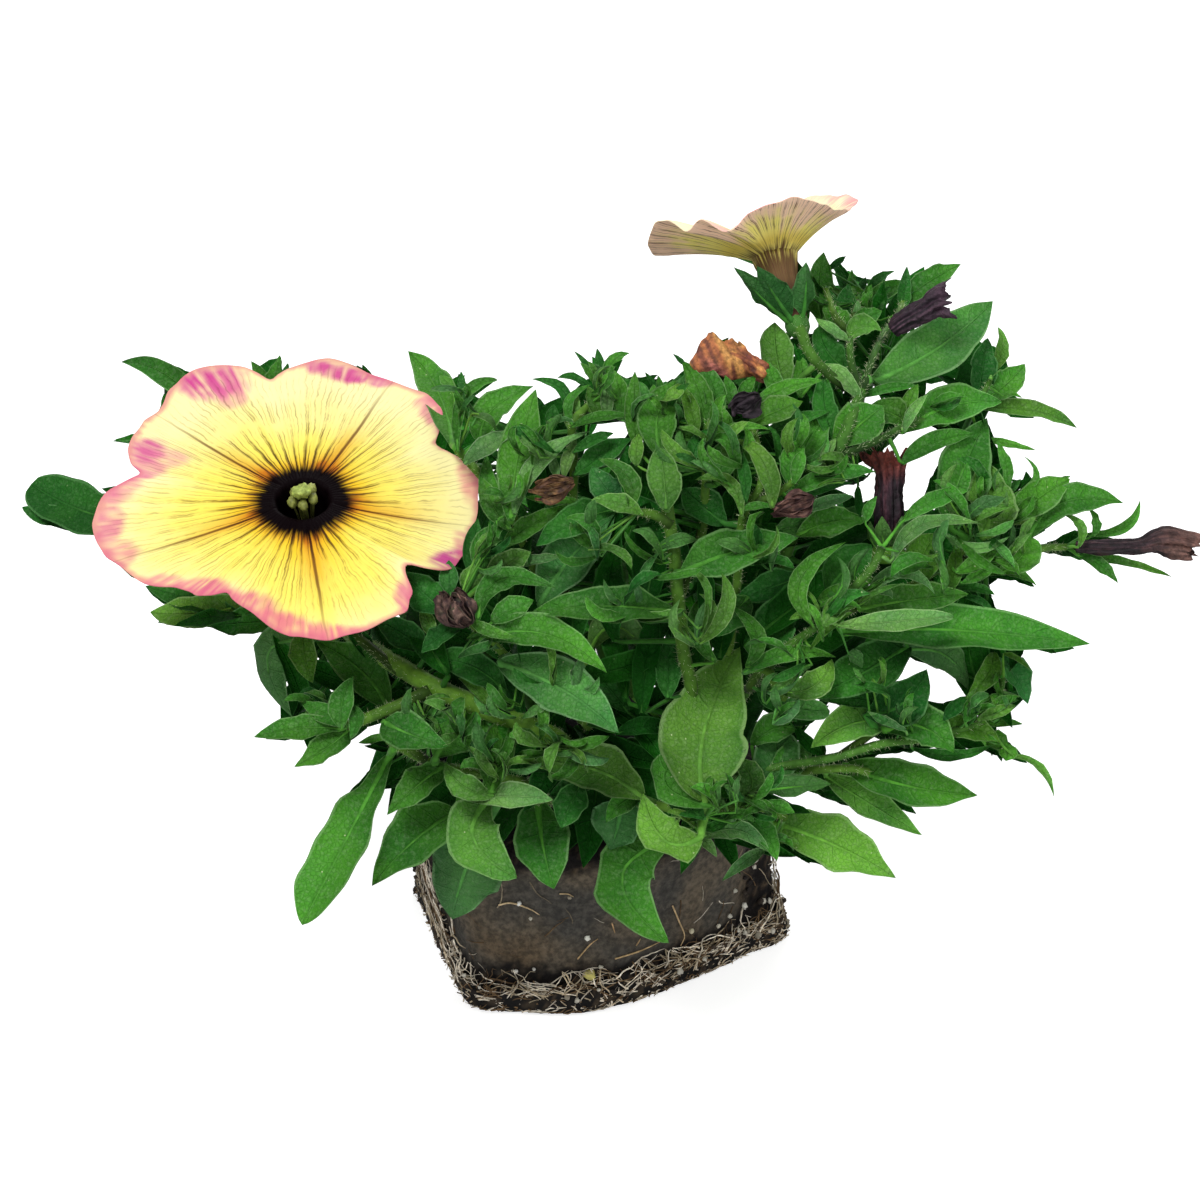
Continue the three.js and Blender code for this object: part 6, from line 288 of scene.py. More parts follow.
    ["k185","back_14",[9.07,27.97,86.03],[9.66,27.7,86.78],[12.41,26.45,90.46],[15.15,25.2,92.76],[-0.575,0.418,0.703],1.4,0.53,1.0,11,0,"d"],
    ["k186","back_14",[9.07,27.97,86.03],[8.87,28.78,86.58],[8.13,31.9,88.92],[7.4,35.03,90.15],[0.155,-0.463,0.873],1.57,0.43,1.0,20,0,"d"],
    ["k187","back_14",[9.07,27.97,86.03],[9.7,28.58,86.5],[13.11,31.88,89.49],[16.52,35.18,91.12],[-0.263,-0.356,0.897],1.78,0.53,1.0,18,0,"n"],
    ["k188","back_14",[9.07,27.97,86.03],[8.83,28.41,86.89],[8.04,29.9,90.1],[7.24,31.39,92.6],[0.642,-0.592,0.487],1.64,0.44,1.0,10,0,"n"],
    ["k189","back_14",[9.07,27.97,86.03],[9.04,28.82,86.55],[8.93,32.51,89.17],[8.82,36.2,90.72],[0.319,-0.459,0.829],1.69,0.44,1.0,12,0,"n"],
    ["k190","back_15",[-0.13,13.93,49.53],[-0.75,14.7,49.66],[-7.5,23.1,51.59],[-14.25,31.5,50.34],[-0.068,-0.095,0.993],3.65,0.5,1.0,18,0,"g"],
    ["k191","back_15",[-1.64,15.36,54.14],[-0.94,15.37,54.85],[7.66,15.4,63.94],[16.26,15.44,68.81],[-0.615,-0.211,0.759],4.22,0.41,1.0,11,0,"n"],
    ["k192","back_15",[-3.15,16.8,58.56],[-3.99,16.46,59.0],[-14.51,12.19,65.28],[-25.03,7.92,68.26],[0.167,0.507,0.846],4.29,0.55,1.0,9,0,"d"],
    ["k193","back_15",[-4.66,18.23,62.58],[-4.57,19.17,62.91],[-3.68,28.46,66.73],[-2.78,37.74,67.86],[-0.077,-0.25,0.965],3.08,0.47,1.0,22,0,"n"],
    ["k194","back_15",[-6.17,19.67,66.42],[-6.29,19.35,67.36],[-7.56,16.03,78.3],[-8.83,12.71,86.85],[-0.07,0.947,0.314],3.82,0.5,1.0,19,0,"g"],
    ["k195","back_15",[-7.68,21.1,70.0],[-8.6,21.48,70.12],[-20.6,26.48,72.81],[-32.61,31.47,72.6],[0.172,0.173,0.97],4.57,0.49,1.0,11,0,"n"],
    ["k196","back_15",[-9.19,22.53,73.25],[-8.74,23.07,73.96],[-4.91,27.67,80.49],[-1.08,32.27,84.6],[-0.733,-0.156,0.662],3.3,0.41,1.0,8,0,"n"],
    ["k197","back_15",[-10.7,23.97,76.33],[-11.18,23.71,77.16],[-14.61,21.87,83.77],[-18.05,20.02,88.81],[0.398,0.781,0.482],2.46,0.53,1.0,12,0,"n"],
    ["k198","back_15",[-12.21,25.4,79.07],[-12.63,26.31,79.16],[-16.13,33.91,80.34],[-19.64,41.52,79.08],[0.04,0.023,0.999],3.04,0.44,1.0,20,0,"y"],
    ["k199","back_15",[-12.35,25.54,79.33],[-11.91,25.98,80.11],[-9.37,28.5,84.93],[-6.82,31.03,88.14],[-0.834,-0.036,0.551],2.32,0.43,1.0,8,0,"n"],
    ["k200","back_15",[-12.35,25.54,79.33],[-13.25,25.64,79.76],[-19.6,26.35,83.22],[-25.95,27.07,84.67],[0.37,0.118,0.922],2.48,0.41,1.0,20,0,"n"],
    ["k201","back_15",[-12.35,25.54,79.33],[-12.14,26.4,79.8],[-11.01,30.91,82.41],[-9.89,35.42,83.25],[-0.229,-0.298,0.927],1.77,0.51,1.0,18,0,"n"],
    ["k202","back_15",[-12.35,25.54,79.33],[-13.1,25.63,79.99],[-17.05,26.13,83.96],[-21.0,26.63,86.69],[0.639,-0.072,0.765],1.89,0.47,1.0,9,0,"n"],
    ["k203","back_15",[-12.35,25.54,79.33],[-13.02,26.11,79.8],[-16.23,28.87,82.2],[-19.43,31.63,83.02],[0.238,-0.269,0.933],1.75,0.49,1.0,15,0,"y"],
    ["k204","back_15",[-12.35,25.54,79.33],[-12.25,25.92,80.25],[-11.71,27.8,85.08],[-11.18,29.68,88.48],[-0.884,-0.372,0.284],1.64,0.52,1.0,20,0,"y"],
    ["l01","bsh1",[-72.46,9.89,81.96],[-65.86,15.18,89.39],[-74.17,22.65,95.88],[-83.56,28.99,96.29],[-0.357,-0.737,0.574],2.27,0.45,1.0,14,0,"n"],
    ["l02","bsh1",[-72.46,9.89,81.96],[-73.19,16.89,85.39],[-78.63,18.85,85.53],[-84.84,21.56,84.44],[-0.295,-0.571,0.766],0.99,0.45,1.0,14,0,"d"],
    ["l03","bsh1",[-69.72,5.76,81.28],[-76.64,6.24,75.37],[-88.39,11.43,75.37],[-99.38,20.51,76.79],[-0.302,-0.568,0.766],4.81,0.62,0.45,14,0,"d"],
    ["l04","bsh1",[-72.46,9.89,81.96],[-86.84,10.13,72.56],[-95.22,14.12,73.27],[-100.84,18.33,73.35],[-0.302,-0.568,0.766],2.05,0.45,1.0,14,0,"d"],
    ["l05","bsh2",[-55.22,9.87,96.18],[-56.42,14.75,96.12],[-57.58,16.86,97.86],[-59.75,20.41,99.63],[-0.224,-0.603,0.766],1.29,0.45,1.0,14,0,"n"],
    ["l06","bsh2",[-55.22,9.87,96.18],[-56.42,14.75,96.12],[-55.31,16.6,98.32],[-54.71,20.16,100.81],[-0.215,-0.606,0.766],1.52,0.45,1.0,14,0,"n"],
    ["l07","bsh2",[-55.22,9.87,96.18],[-53.62,14.93,98.22],[-53.33,15.93,99.3],[-53.09,17.47,100.35],[-0.208,-0.608,0.766],0.74,0.45,1.0,14,0,"d"],
    ["l08","bsh1",[-52.48,-16.36,76.21],[-58.12,-17.35,68.84],[-67.66,-12.81,69.97],[-75.92,-7.11,69.89],[-0.266,-0.585,0.766],2.28,0.45,1.0,14,0,"d"],
    ["l09","bsh1",[-53.21,-15.68,76.47],[-57.44,-15.33,70.61],[-66.62,-15.14,68.52],[-74.66,-11.35,67.09],[-0.263,-0.587,0.766],3.36,0.45,1.0,14,0,"y"],
    ["l10","bsh1",[-46.64,-21.83,74.11],[-49.65,-20.03,69.39],[-57.13,-19.0,68.72],[-64.22,-16.61,67.03],[-0.23,-0.6,0.766],2.76,0.45,1.0,14,0,"d"],
    ["l11","bsh1",[-43.15,-25.11,72.85],[-46.24,-26.99,69.5],[-53.65,-25.35,66.01],[-50.15,-26.48,55.32],[-0.323,-0.942,0.087],3.57,0.45,1.0,14,1,"g"],
    ["l12","bsh1",[-45.25,-23.13,73.61],[-47.49,-27.86,72.05],[-47.04,-32.18,69.36],[-45.42,-35.72,66.17],[-0.195,-0.613,0.766],2.42,0.45,1.0,14,0,"o"],
    ["l13","main",[-45.2,-12.0,62.8],[-50.28,-16.61,59.34],[-46.85,-20.51,57.6],[-43.31,-22.24,56.27],[-0.189,-0.614,0.766],1.97,0.45,1.0,14,0,"d"],
    ["l14","left",[-32.8,-42.7,65.16],[-33.48,-38.29,63.04],[-38.17,-32.89,67.06],[-45.68,-26.38,68.85],[-0.162,-0.622,0.766],3.7,0.45,1.0,14,0,"n"],
    ["l15","left",[-39.42,-44.73,63.19],[-40.51,-45.0,62.81],[-46.83,-44.12,62.53],[-54.3,-42.67,60.17],[-0.2,-0.611,0.766],2.24,0.5,1.0,14,0,"n"],
    ["l16","left",[-39.13,-44.63,63.28],[-39.06,-43.78,62.35],[-42.37,-46.25,60.3],[-47.72,-47.09,57.22],[-0.183,-0.616,0.766],2.65,0.42,1.0,14,0,"n"],
    ["l17","left",[-39.42,-44.73,63.19],[-39.77,-49.05,65.1],[-39.93,-45.83,67.95],[-38.45,-41.81,70.44],[-0.17,-0.62,0.766],2.11,0.4,1.0,14,0,"n"],
    ["l18","left",[-39.42,-44.73,63.19],[-39.67,-45.28,63.83],[-42.89,-43.63,64.73],[-47.07,-40.34,65.32],[-0.183,-0.616,0.766],1.76,0.45,1.0,14,0,"n"],
    ["l19","cshoot",[-32.14,-43.55,61.26],[-32.24,-43.58,61.18],[-35.2,-44.07,60.56],[-37.92,-43.7,59.66],[-0.15,-0.625,0.766],0.78,0.45,1.0,14,0,"n"],
    ["l20","left",[-37.7,-44.18,63.69],[-38.44,-45.51,67.09],[-37.51,-48.11,65.66],[-38.53,-49.84,63.6],[-0.164,-0.622,0.766],1.43,0.45,1.0,14,0,"n"],
    ["l21","cshoot",[-33.37,-44.31,63.33],[-33.52,-46.02,64.57],[-29.03,-48.9,63.81],[-23.43,-50.26,62.6],[-0.124,-0.631,0.766],3.55,0.3,1.0,14,0,"n"],
    ["l22","lowleft",[-31.99,-43.15,59.12],[-33.52,-39.21,54.77],[-39.67,-49.69,45.99],[-46.21,-59.69,36.23],[-0.167,-0.621,0.766],4.55,0.72,0.75,14,0,"n"],
    ["l23","lowleft",[-24.48,-41.61,54.55],[-24.44,-42.71,55.03],[-28.6,-45.33,53.06],[-33.43,-47.83,49.07],[-0.122,-0.631,0.766],2.91,0.42,1.0,14,0,"n"],
    ["l24","dshoot",[-18.48,-46.89,53.38],[-16.44,-51.12,54.47],[-21.12,-50.01,55.27],[-24.24,-45.68,57.17],[-0.089,-0.637,0.766],2.21,0.45,1.0,14,0,"y"],
    ["l25","lowleft",[-21.07,-41.54,53.47],[-22.94,-41.78,46.22],[-29.32,-45.62,43.3],[-36.06,-49.6,37.23],[-0.124,-0.631,0.766],5.2,0.38,1.0,14,0,"n"],
    ["l26","dshoot",[-17.05,-45.15,51.46],[-17.64,-45.48,50.45],[-19.68,-51.36,46.59],[-12.89,-55.94,42.44],[-0.075,-0.638,0.766],4.83,0.42,0.7,14,0,"y"],
    ["l27","dshoot",[-15.82,-43.65,49.8],[-19.4,-44.43,42.25],[-22.05,-45.18,35.71],[-23.85,-44.48,28.02],[-0.142,-0.986,0.087],6.84,0.4,0.8,14,1,"g"],
    ["l28","dshoot",[-18.48,-46.89,53.38],[-20.19,-50.87,53.45],[-13.33,-51.36,54.43],[-7.29,-51.19,53.63],[-0.059,-0.64,0.766],2.32,0.45,1.0,14,0,"p"],
    ["l29","dshoot",[-18.48,-46.89,53.38],[-16.74,-51.06,54.97],[-15.59,-46.3,59.45],[-14.48,-39.98,63.02],[-0.067,-0.639,0.766],4.2,0.42,1.0,26,0,"n"],
    ["l30","lowleft",[-26.14,-41.65,55.08],[-25.65,-45.28,58.02],[-21.95,-42.51,61.33],[-16.06,-39.59,63.0],[-0.092,-0.636,0.766],4.43,0.5,1.0,14,0,"n"],
    ["l31","csh",[-20.15,-44.02,81.59],[-21.17,-44.08,80.83],[-24.48,-45.99,79.37],[-27.37,-47.28,77.1],[-0.107,-0.634,0.766],1.86,0.45,1.0,14,0,"d"],
    ["l32","main",[-16.3,-42.13,64.04],[-14.74,-44.1,68.81],[-20.58,-40.47,71.69],[-27.58,-38.23,71.1],[-0.09,-0.636,0.766],2.81,0.45,1.0,14,0,"d"],
    ["l33","main",[-15.13,-42.05,63.41],[-15.18,-46.54,65.19],[-18.36,-43.3,67.88],[-22.22,-39.82,69.1],[-0.08,-0.638,0.766],1.03,0.45,1.0,14,0,"o"],
    ["l34","main",[-29.19,-37.52,68.42],[-26.97,-37.32,72.41],[-31.16,-34.68,74.27],[-35.47,-31.3,75.1],[-0.132,-0.629,0.766],2.6,0.45,1.0,14,0,"d"],
    ["l35","csh",[-21.52,-44.67,84.14],[-23.44,-41.28,81.21],[-27.08,-38.91,83.0],[-30.55,-34.48,84.89],[-0.117,-0.632,0.766],3.04,0.45,1.0,14,0,"d"],
    ["l36","csh",[-20.29,-44.09,81.85],[-25.61,-43.03,77.26],[-26.61,-40.71,79.23],[-27.98,-37.68,80.71],[-0.115,-0.632,0.766],1.24,0.45,1.0,14,0,"y"],
    ["l37","csh",[-21.53,-44.67,84.16],[-23.09,-40.83,84.06],[-23.3,-38.86,85.87],[-23.41,-35.9,87.58],[-0.101,-0.635,0.766],1.71,0.45,1.0,14,0,"b"],
    ["l38","csh",[-21.53,-44.67,84.16],[-20.23,-42.57,84.87],[-19.35,-40.73,86.72],[-17.88,-38.18,88.27],[-0.084,-0.637,0.766],2.26,0.45,1.0,14,0,"y"],
    ["l39","csh",[-19.51,-43.72,80.39],[-18.54,-47.72,82.9],[-15.27,-43.12,87.48],[-6.72,-43.65,86.38],[-0.061,-0.64,0.766],2.02,0.5,1.0,14,0,"n"],
    ["l40","csh",[-18.19,-43.14,78.58],[-16.47,-46.29,81.88],[-13.44,-45.08,83.5],[-10.1,-43.42,84.25],[-0.059,-0.64,0.766],2.17,0.45,1.0,14,0,"n"],
    ["l41","csh",[-19.9,-43.9,81.12],[-19.79,-46.89,82.5],[-16.68,-49.14,81.56],[-12.74,-49.48,80.88],[-0.073,-0.639,0.766],1.13,0.45,1.0,14,0,"o"],
    ["l42","csh",[-17.63,-42.9,77.83],[-18.02,-47.1,79.23],[-8.38,-47.58,80.47],[1.06,-51.65,75.86],[-0.037,-0.642,0.766],3.14,0.45,1.0,14,0,"n"],
    ["l44","csh",[-14.43,-41.6,73.62],[-15.42,-44.88,74.04],[-6.12,-49.31,72.13],[2.89,-54.05,66.86],[-0.027,-0.642,0.766],4.69,0.45,1.0,14,0,"g"],
    ["l45","cent",[12.22,-41.54,81.2],[11.59,-45.93,83.23],[0.76,-45.91,84.4],[-10.69,-45.27,82.92],[0.003,-0.643,0.766],3.34,0.45,1.0,14,0,"n"],
    ["l46","ulsh",[-3.48,-30.91,68.5],[-1.57,-35.59,71.91],[2.82,-35.74,76.17],[8.69,-35.12,69.22],[0.021,-0.996,0.087],2.77,0.4,1.0,14,1,"o"],
    ["l47","cent",[10.91,-39.08,60.07],[5.03,-39.46,65.41],[4.26,-36.65,68.04],[3.49,-33.31,69.91],[0.018,-0.643,0.766],1.17,0.45,1.0,14,0,"y"],
    ["l47b","cent",[11.02,-39.13,60.27],[5.34,-39.65,65.5],[6.29,-38.43,66.65],[7.26,-36.57,67.65],[0.027,-0.642,0.766],0.79,0.45,1.0,14,0,"n"],
    ["l48","cent",[9.64,-38.47,57.85],[4.41,-39.31,62.85],[1.9,-36.96,65.19],[-0.64,-33.83,66.81],[0.008,-0.643,0.766],2.11,0.45,1.0,14,0,"d"],
    ["l49","cent",[13.99,-40.72,66.56],[10.56,-44.39,67.91],[10.6,-40.76,71.31],[10.85,-35.21,74.52],[0.046,-0.641,0.766],2.17,0.45,1.0,14,0,"d"],
    ["l51","r3sh",[8.75,-41.81,47.51],[6.57,-47.68,52.21],[-1.57,-44.52,55.66],[-11.04,-42.35,55.2],[-0.008,-0.643,0.766],4.42,0.4,1.0,14,0,"y"],
    ["l52","r3sh",[8.75,-41.81,47.51],[6.31,-44.89,50.67],[3.46,-46.07,50.24],[0.94,-48.26,47.88],[0.015,-0.643,0.766],2.08,0.4,1.0,14,0,"n"],
    ["l53","r3sh",[8.75,-41.81,47.51],[3.47,-44.21,50.11],[2.85,-44.96,45.65],[1.59,-44.61,40.89],[0.018,-0.996,0.087],4.78,0.45,1.0,14,1,"b"],
    ["l54","dshoot",[-9.87,-40.35,47.62],[-9.9,-40.3,47.22],[-9.01,-46.98,42.99],[-7.24,-51.73,37.95],[-0.037,-0.642,0.766],4.9,0.45,1.0,14,0,"n"],
    ["l55","main",[-6.26,-40.56,58.05],[-3.15,-44.73,52.91],[-4.7,-48.04,50.8],[-6.09,-50.36,48.17],[-0.02,-0.642,0.766],2.86,0.45,1.0,14,0,"d"],
    ["l56","csh",[-1.59,-35.97,57.91],[1.59,-40.69,53.58],[-3.16,-43.03,52.34],[-8.21,-44.11,50.23],[-0.014,-0.643,0.766],2.18,0.45,1.0,14,0,"d"],
    ["l57","frsh",[11.83,-38.94,45.55],[11.54,-41.23,41.15],[3.49,-47.96,37.36],[10.87,-54.88,29.97],[0.031,-0.642,0.766],5.24,0.42,0.8,14,0,"n"],
    ["l58","r3sh",[16.02,-51.49,50.95],[15.44,-55.62,49.39],[9.86,-56.68,49.65],[6.69,-49.55,53.96],[0.046,-0.641,0.766],4.21,0.42,1.0,14,0,"y"],
    ["l59","r3sh",[16.02,-51.49,50.95],[16.17,-54.1,55.24],[16.18,-45.75,62.67],[22.23,-31.96,70.67],[0.076,-0.638,0.766],7.49,0.38,1.0,20,0,"y"],
    ["l60","r3sh",[16.02,-51.49,50.95],[15.95,-50.81,46.64],[21.61,-49.69,47.43],[26.6,-51.42,44.29],[0.092,-0.636,0.766],1.85,0.45,1.0,14,0,"p"],
    ["l61","frsh",[21.3,-45.28,48.9],[21.27,-46.03,48.97],[25.58,-49.03,46.7],[27.71,-51.88,43.11],[0.107,-0.634,0.766],2.01,0.45,1.0,14,0,"n"],
    ["l62","r3sh",[16.02,-51.49,50.95],[15.53,-49.35,46.16],[16.91,-50.67,45.29],[18.3,-51.83,43.8],[0.073,-0.639,0.766],0.99,0.45,1.0,14,0,"p"],
    ["l63","frsh",[29.32,-44.18,46.48],[26.45,-44.14,40.8],[23.01,-46.65,39.88],[19.31,-48.9,37.73],[0.097,-0.635,0.766],1.21,0.45,1.0,14,0,"p"],
    ["l64","frsh",[24.62,-45.24,48.88],[24.37,-48.63,52.38],[26.2,-49.85,51.46],[27.58,-50.8,50.03],[0.112,-0.633,0.766],0.92,0.45,1.0,14,0,"n"],
    ["l64b","frsh",[26.04,-45.23,48.88],[25.92,-49.05,51.9],[28.09,-49.54,51.46],[30.45,-49.66,50.46],[0.121,-0.631,0.766],1.27,0.45,1.0,14,0,"n"],
    ["l59b","r3sh",[16.02,-51.49,50.95],[17.4,-54.57,54.45],[9.88,-52.01,57.6],[15.59,-45.49,60.96],[0.057,-0.64,0.766],2.94,0.5,1.0,14,0,"n"],
    ["l59c","frsh",[21.77,-45.27,48.9],[21.54,-49.43,51.58],[23.83,-45.74,54.54],[19.84,-42.76,56.49],[0.095,-0.636,0.766],2.21,0.4,1.0,14,0,"y"],
    ["l59d","r3sh",[16.02,-51.49,50.95],[16.04,-54.68,52.39],[12.36,-52.9,54.57],[9.32,-49.32,56.48],[0.054,-0.64,0.766],2.44,0.45,1.0,14,0,"d"],
    ["l65","frsh",[27.35,-44.81,47.92],[26.79,-41.99,44.51],[36.92,-44.27,41.8],[47.2,-45.79,36.43],[0.155,-0.624,0.766],4.72,0.45,1.0,14,0,"y"],
    ["l66","frsh",[25.25,-45.24,48.88],[25.01,-47.73,53.31],[30.67,-47.01,53.8],[36.33,-44.89,53.0],[0.203,-0.975,0.087],2.06,0.45,1.0,14,1,"n"],
    ["l67","lowr2",[35.56,-42.84,54.49],[36.02,-39.17,51.32],[42.55,-42.51,48.27],[51.22,-43.88,43.22],[0.18,-0.617,0.766],3.04,0.45,1.0,14,0,"y"],
    ["l68","lowr2",[38.68,-43.34,55.0],[39.04,-40.2,53.68],[48.85,-41.74,50.91],[60.46,-38.99,47.76],[0.205,-0.609,0.766],4.23,0.45,1.0,14,0,"n"],
    ["l69","lowr2",[25.92,-40.39,52.44],[25.79,-45.07,52.74],[27.82,-41.05,56.11],[26.77,-35.47,59.44],[0.114,-0.633,0.766],3.96,0.45,1.0,14,0,"g"],
    ["l70","lowr2",[27.21,-40.85,52.77],[27.11,-43.85,53.15],[30.37,-41.07,55.22],[33.75,-37.25,56.61],[0.128,-0.63,0.766],2.86,0.45,1.0,14,0,"n"],
    ["l71","lowr",[24.86,-40.41,52.88],[23.93,-41.89,58.34],[27.8,-39.46,60.09],[32.18,-38.06,59.54],[0.118,-0.632,0.766],2.62,0.45,1.0,14,0,"n"],
    ["l72","cent",[11.64,-40.59,87.4],[12.45,-44.81,89.42],[21.05,-41.66,91.84],[30.47,-37.39,91.96],[0.093,-0.636,0.766],3.79,0.35,1.0,14,0,"n"],
    ["l73","ursh",[28.87,-26.06,81.84],[32.49,-29.97,82.15],[26.67,-32.95,81.44],[20.82,-34.84,79.56],[0.114,-0.633,0.766],2.64,0.45,1.0,14,0,"d"],
    ["l74","cent",[13.28,-41.26,71.83],[17.91,-44.03,73.97],[14.89,-40.15,77.93],[17.07,-33.76,81.47],[0.07,-0.639,0.766],1.7,0.45,1.0,14,0,"n"],
    ["l75","trsh",[21.31,-31.87,79.39],[23.09,-35.89,81.08],[20.49,-38.86,79.55],[17.96,-41.45,77.01],[0.089,-0.637,0.766],2.99,0.45,1.0,14,0,"n"],
    ["l76","hairy",[25.53,-43.75,72.79],[22.38,-47.23,74.86],[24.18,-43.41,78.12],[19.85,-38.61,81.32],[0.099,-0.635,0.766],1.43,0.45,1.0,14,0,"n"],
    ["l77","rmsh",[27.17,-41.7,73.01],[26.67,-42.13,73.72],[27.11,-38.17,77.33],[30.04,-32.14,80.38],[0.119,-0.632,0.766],3.74,0.45,1.0,14,0,"d"],
    ["l78","rmsh",[32.95,-44.1,79.89],[32.19,-48.18,82.45],[30.55,-43.05,87.45],[38.07,-35.38,90.4],[0.143,-0.627,0.766],1.67,0.45,1.0,14,0,"n"],
    ["l79","rmsh",[34.02,-44.5,81.03],[34.06,-47.79,81.92],[36.01,-45.3,83.78],[38.83,-41.85,85.04],[0.158,-0.623,0.766],1.84,0.45,1.0,14,0,"y"],
    ["l80","rmsh",[34.86,-44.11,81.84],[36.32,-46.36,81.24],[45.66,-44.47,81.18],[54.78,-40.25,80.04],[0.197,-0.612,0.766],1.84,0.45,0.6,14,0,"p"],
    ["l81","rrsh",[36.46,-41.48,80.91],[37.54,-40.31,77.32],[54.81,-36.42,75.8],[77.95,-31.0,70.73],[0.235,-0.598,0.766],4.38,0.55,1.0,14,0,"n"],
    ["l82","rmsh",[39.29,-42.0,86.1],[40.87,-41.59,84.41],[46.69,-37.72,86.37],[51.85,-38.75,83.09],[0.199,-0.611,0.766],1.38,0.45,1.0,14,0,"p"],
    ["l82b","rrsh",[40.35,-37.8,80.48],[40.24,-39.76,81.0],[48.5,-37.42,81.45],[57.94,-32.98,80.42],[0.207,-0.609,0.766],2.87,0.45,1.0,14,0,"o"],
    ["l83","rmsh",[39.3,-41.99,86.11],[40.56,-41.49,84.7],[43.39,-40.85,84.75],[45.09,-41.36,83.45],[0.186,-0.615,0.766],1.06,0.45,1.0,14,0,"p"],
    ["l84","rrsh",[53.28,-29.23,82.93],[55.16,-30.97,80.7],[59.2,-30.37,80.25],[62.5,-29.89,78.81],[0.245,-0.594,0.766],1.1,0.45,1.0,14,0,"d"],
    ["l84b","rrsh2",[58.23,-26.26,83.13],[57.67,-30.67,78.65],[60.07,-30.68,78.13],[62.3,-31.37,76.36],[0.249,-0.593,0.766],0.76,0.45,1.0,14,0,"d"],
    ["l85","rrsh2",[60.94,-25.09,82.48],[60.44,-28.68,81.57],[65.08,-27.01,81.67],[69.51,-27.16,79.12],[0.267,-0.585,0.766],1.11,0.45,1.0,14,0,"n"],
    ["l86","rrsh",[54.91,-28.22,83.69],[56.74,-32.97,82.31],[60.59,-30.44,83.4],[64.11,-25.6,85.04],[0.252,-0.592,0.766],1.26,0.45,1.0,14,0,"n"],
    ["l86b","rrsh",[55.01,-28.16,83.74],[55.59,-32.6,84.04],[59.4,-30.54,84.83],[63.53,-25.82,86.18],[0.248,-0.593,0.766],1.44,0.45,1.0,14,0,"n"],
    ["l87","rrsh2",[63.04,-24.19,81.97],[63.23,-28.92,82.02],[67.06,-25.53,83.62],[68.95,-21.42,85.29],[0.273,-0.582,0.766],2.85,0.5,0.5,14,0,"n"],
    ["l88","rmsh",[42.69,-39.93,90.2],[44.74,-40.66,89.38],[49.75,-34.93,93.07],[59.41,-31.16,91.61],[0.217,-0.605,0.766],1.46,0.45,1.0,14,0,"p"],
    ["l89","rmsh",[43.24,-39.49,91.21],[46.8,-34.75,93.67],[52.05,-31.03,95.61],[58.28,-26.91,95.73],[0.222,-0.603,0.766],1.47,0.45,1.0,14,0,"n"],
    ["l90","rrsh",[58.5,-25.66,85.81],[60.0,-30.06,86.33],[60.68,-27.3,88.56],[61.03,-23.48,90.69],[0.252,-0.591,0.766],2.14,0.45,1.0,14,0,"d"],
    ["l91","rrsh",[56.96,-26.95,84.65],[54.17,-28.96,89.11],[58.81,-30.46,87.03],[64.85,-26.1,87.34],[0.247,-0.594,0.766],1.06,0.45,1.0,14,0,"p"],
    ["l92","rrsh",[50.79,-30.69,82.0],[50.72,-34.78,82.97],[50.44,-31.55,85.97],[53.37,-26.6,88.08],[0.216,-0.606,0.766],3.33,0.45,1.0,14,0,"o"],
    ["l93","rrsh",[53.27,-29.24,82.92],[55.1,-33.98,81.57],[55.61,-31.05,84.02],[56.6,-26.91,86.14],[0.233,-0.599,0.766],1.45,0.45,1.0,14,0,"o"],
    ["l94","rmsh",[43.24,-39.49,91.21],[40.95,-34.7,93.31],[41.51,-32.98,94.76],[43.09,-30.29,95.98],[0.179,-0.617,0.766],0.93,0.45,1.0,14,0,"n"],
    ["l95","ursh",[31.87,-26.88,91.81],[31.57,-31.47,93.77],[35.54,-29.79,94.75],[39.78,-27.51,94.8],[0.152,-0.625,0.766],1.17,0.45,1.0,14,0,"p"],
    ["l96","ursh",[30.78,-26.54,88.57],[30.93,-31.19,89.74],[36.36,-28.96,90.99],[42.06,-26.75,90.38],[0.155,-0.624,0.766],2.71,0.45,1.0,14,0,"n"],
    ["l97","ursh",[30.78,-26.54,88.57],[27.53,-30.37,89.9],[31.33,-29.6,90.25],[34.79,-30.14,88.43],[0.133,-0.629,0.766],2.11,0.45,1.0,14,0,"g"],
    ["l99","rmsh",[36.74,-43.24,83.66],[35.28,-38.74,83.43],[38.24,-35.33,85.96],[42.63,-30.44,87.71],[0.165,-0.621,0.766],3.63,0.45,1.0,14,0,"d"],
    ["l100","rmsh",[35.42,-43.85,82.38],[33.61,-40.62,82.94],[37.09,-39.25,83.67],[40.82,-36.98,83.81],[0.16,-0.623,0.766],1.48,0.45,1.0,14,0,"n"],
    ["l101","rrsh",[44.56,-34.1,80.28],[48.51,-35.15,72.57],[41.3,-41.07,70.77],[32.87,-44.83,68.14],[0.174,-0.619,0.766],4.21,0.45,1.0,14,0,"d"],
    ["l102","rrsh",[36.32,-41.6,80.93],[38.49,-41.47,74.26],[39.94,-41.27,73.3],[40.83,-40.88,71.37],[0.264,-0.961,0.087],1.24,0.45,1.0,14,1,"g"],
    ["l104","rrsh",[43.84,-34.49,80.09],[46.9,-35.74,71.99],[54.63,-33.6,70.06],[58.91,-31.59,62.83],[0.346,-0.934,0.087],2.69,0.45,1.0,14,1,"g"],
    ["l105","lowr",[64.35,-31.8,65.09],[62.59,-30.03,68.84],[61.59,-33.97,66.71],[57.63,-37.75,64.36],[0.251,-0.592,0.766],1.9,0.45,1.0,14,0,"o"],
    ["l106","lowr",[64.35,-31.8,65.09],[64.33,-27.32,66.98],[66.52,-30.12,64.61],[68.46,-32.87,60.97],[0.27,-0.583,0.766],2.86,0.45,1.0,14,0,"b"],
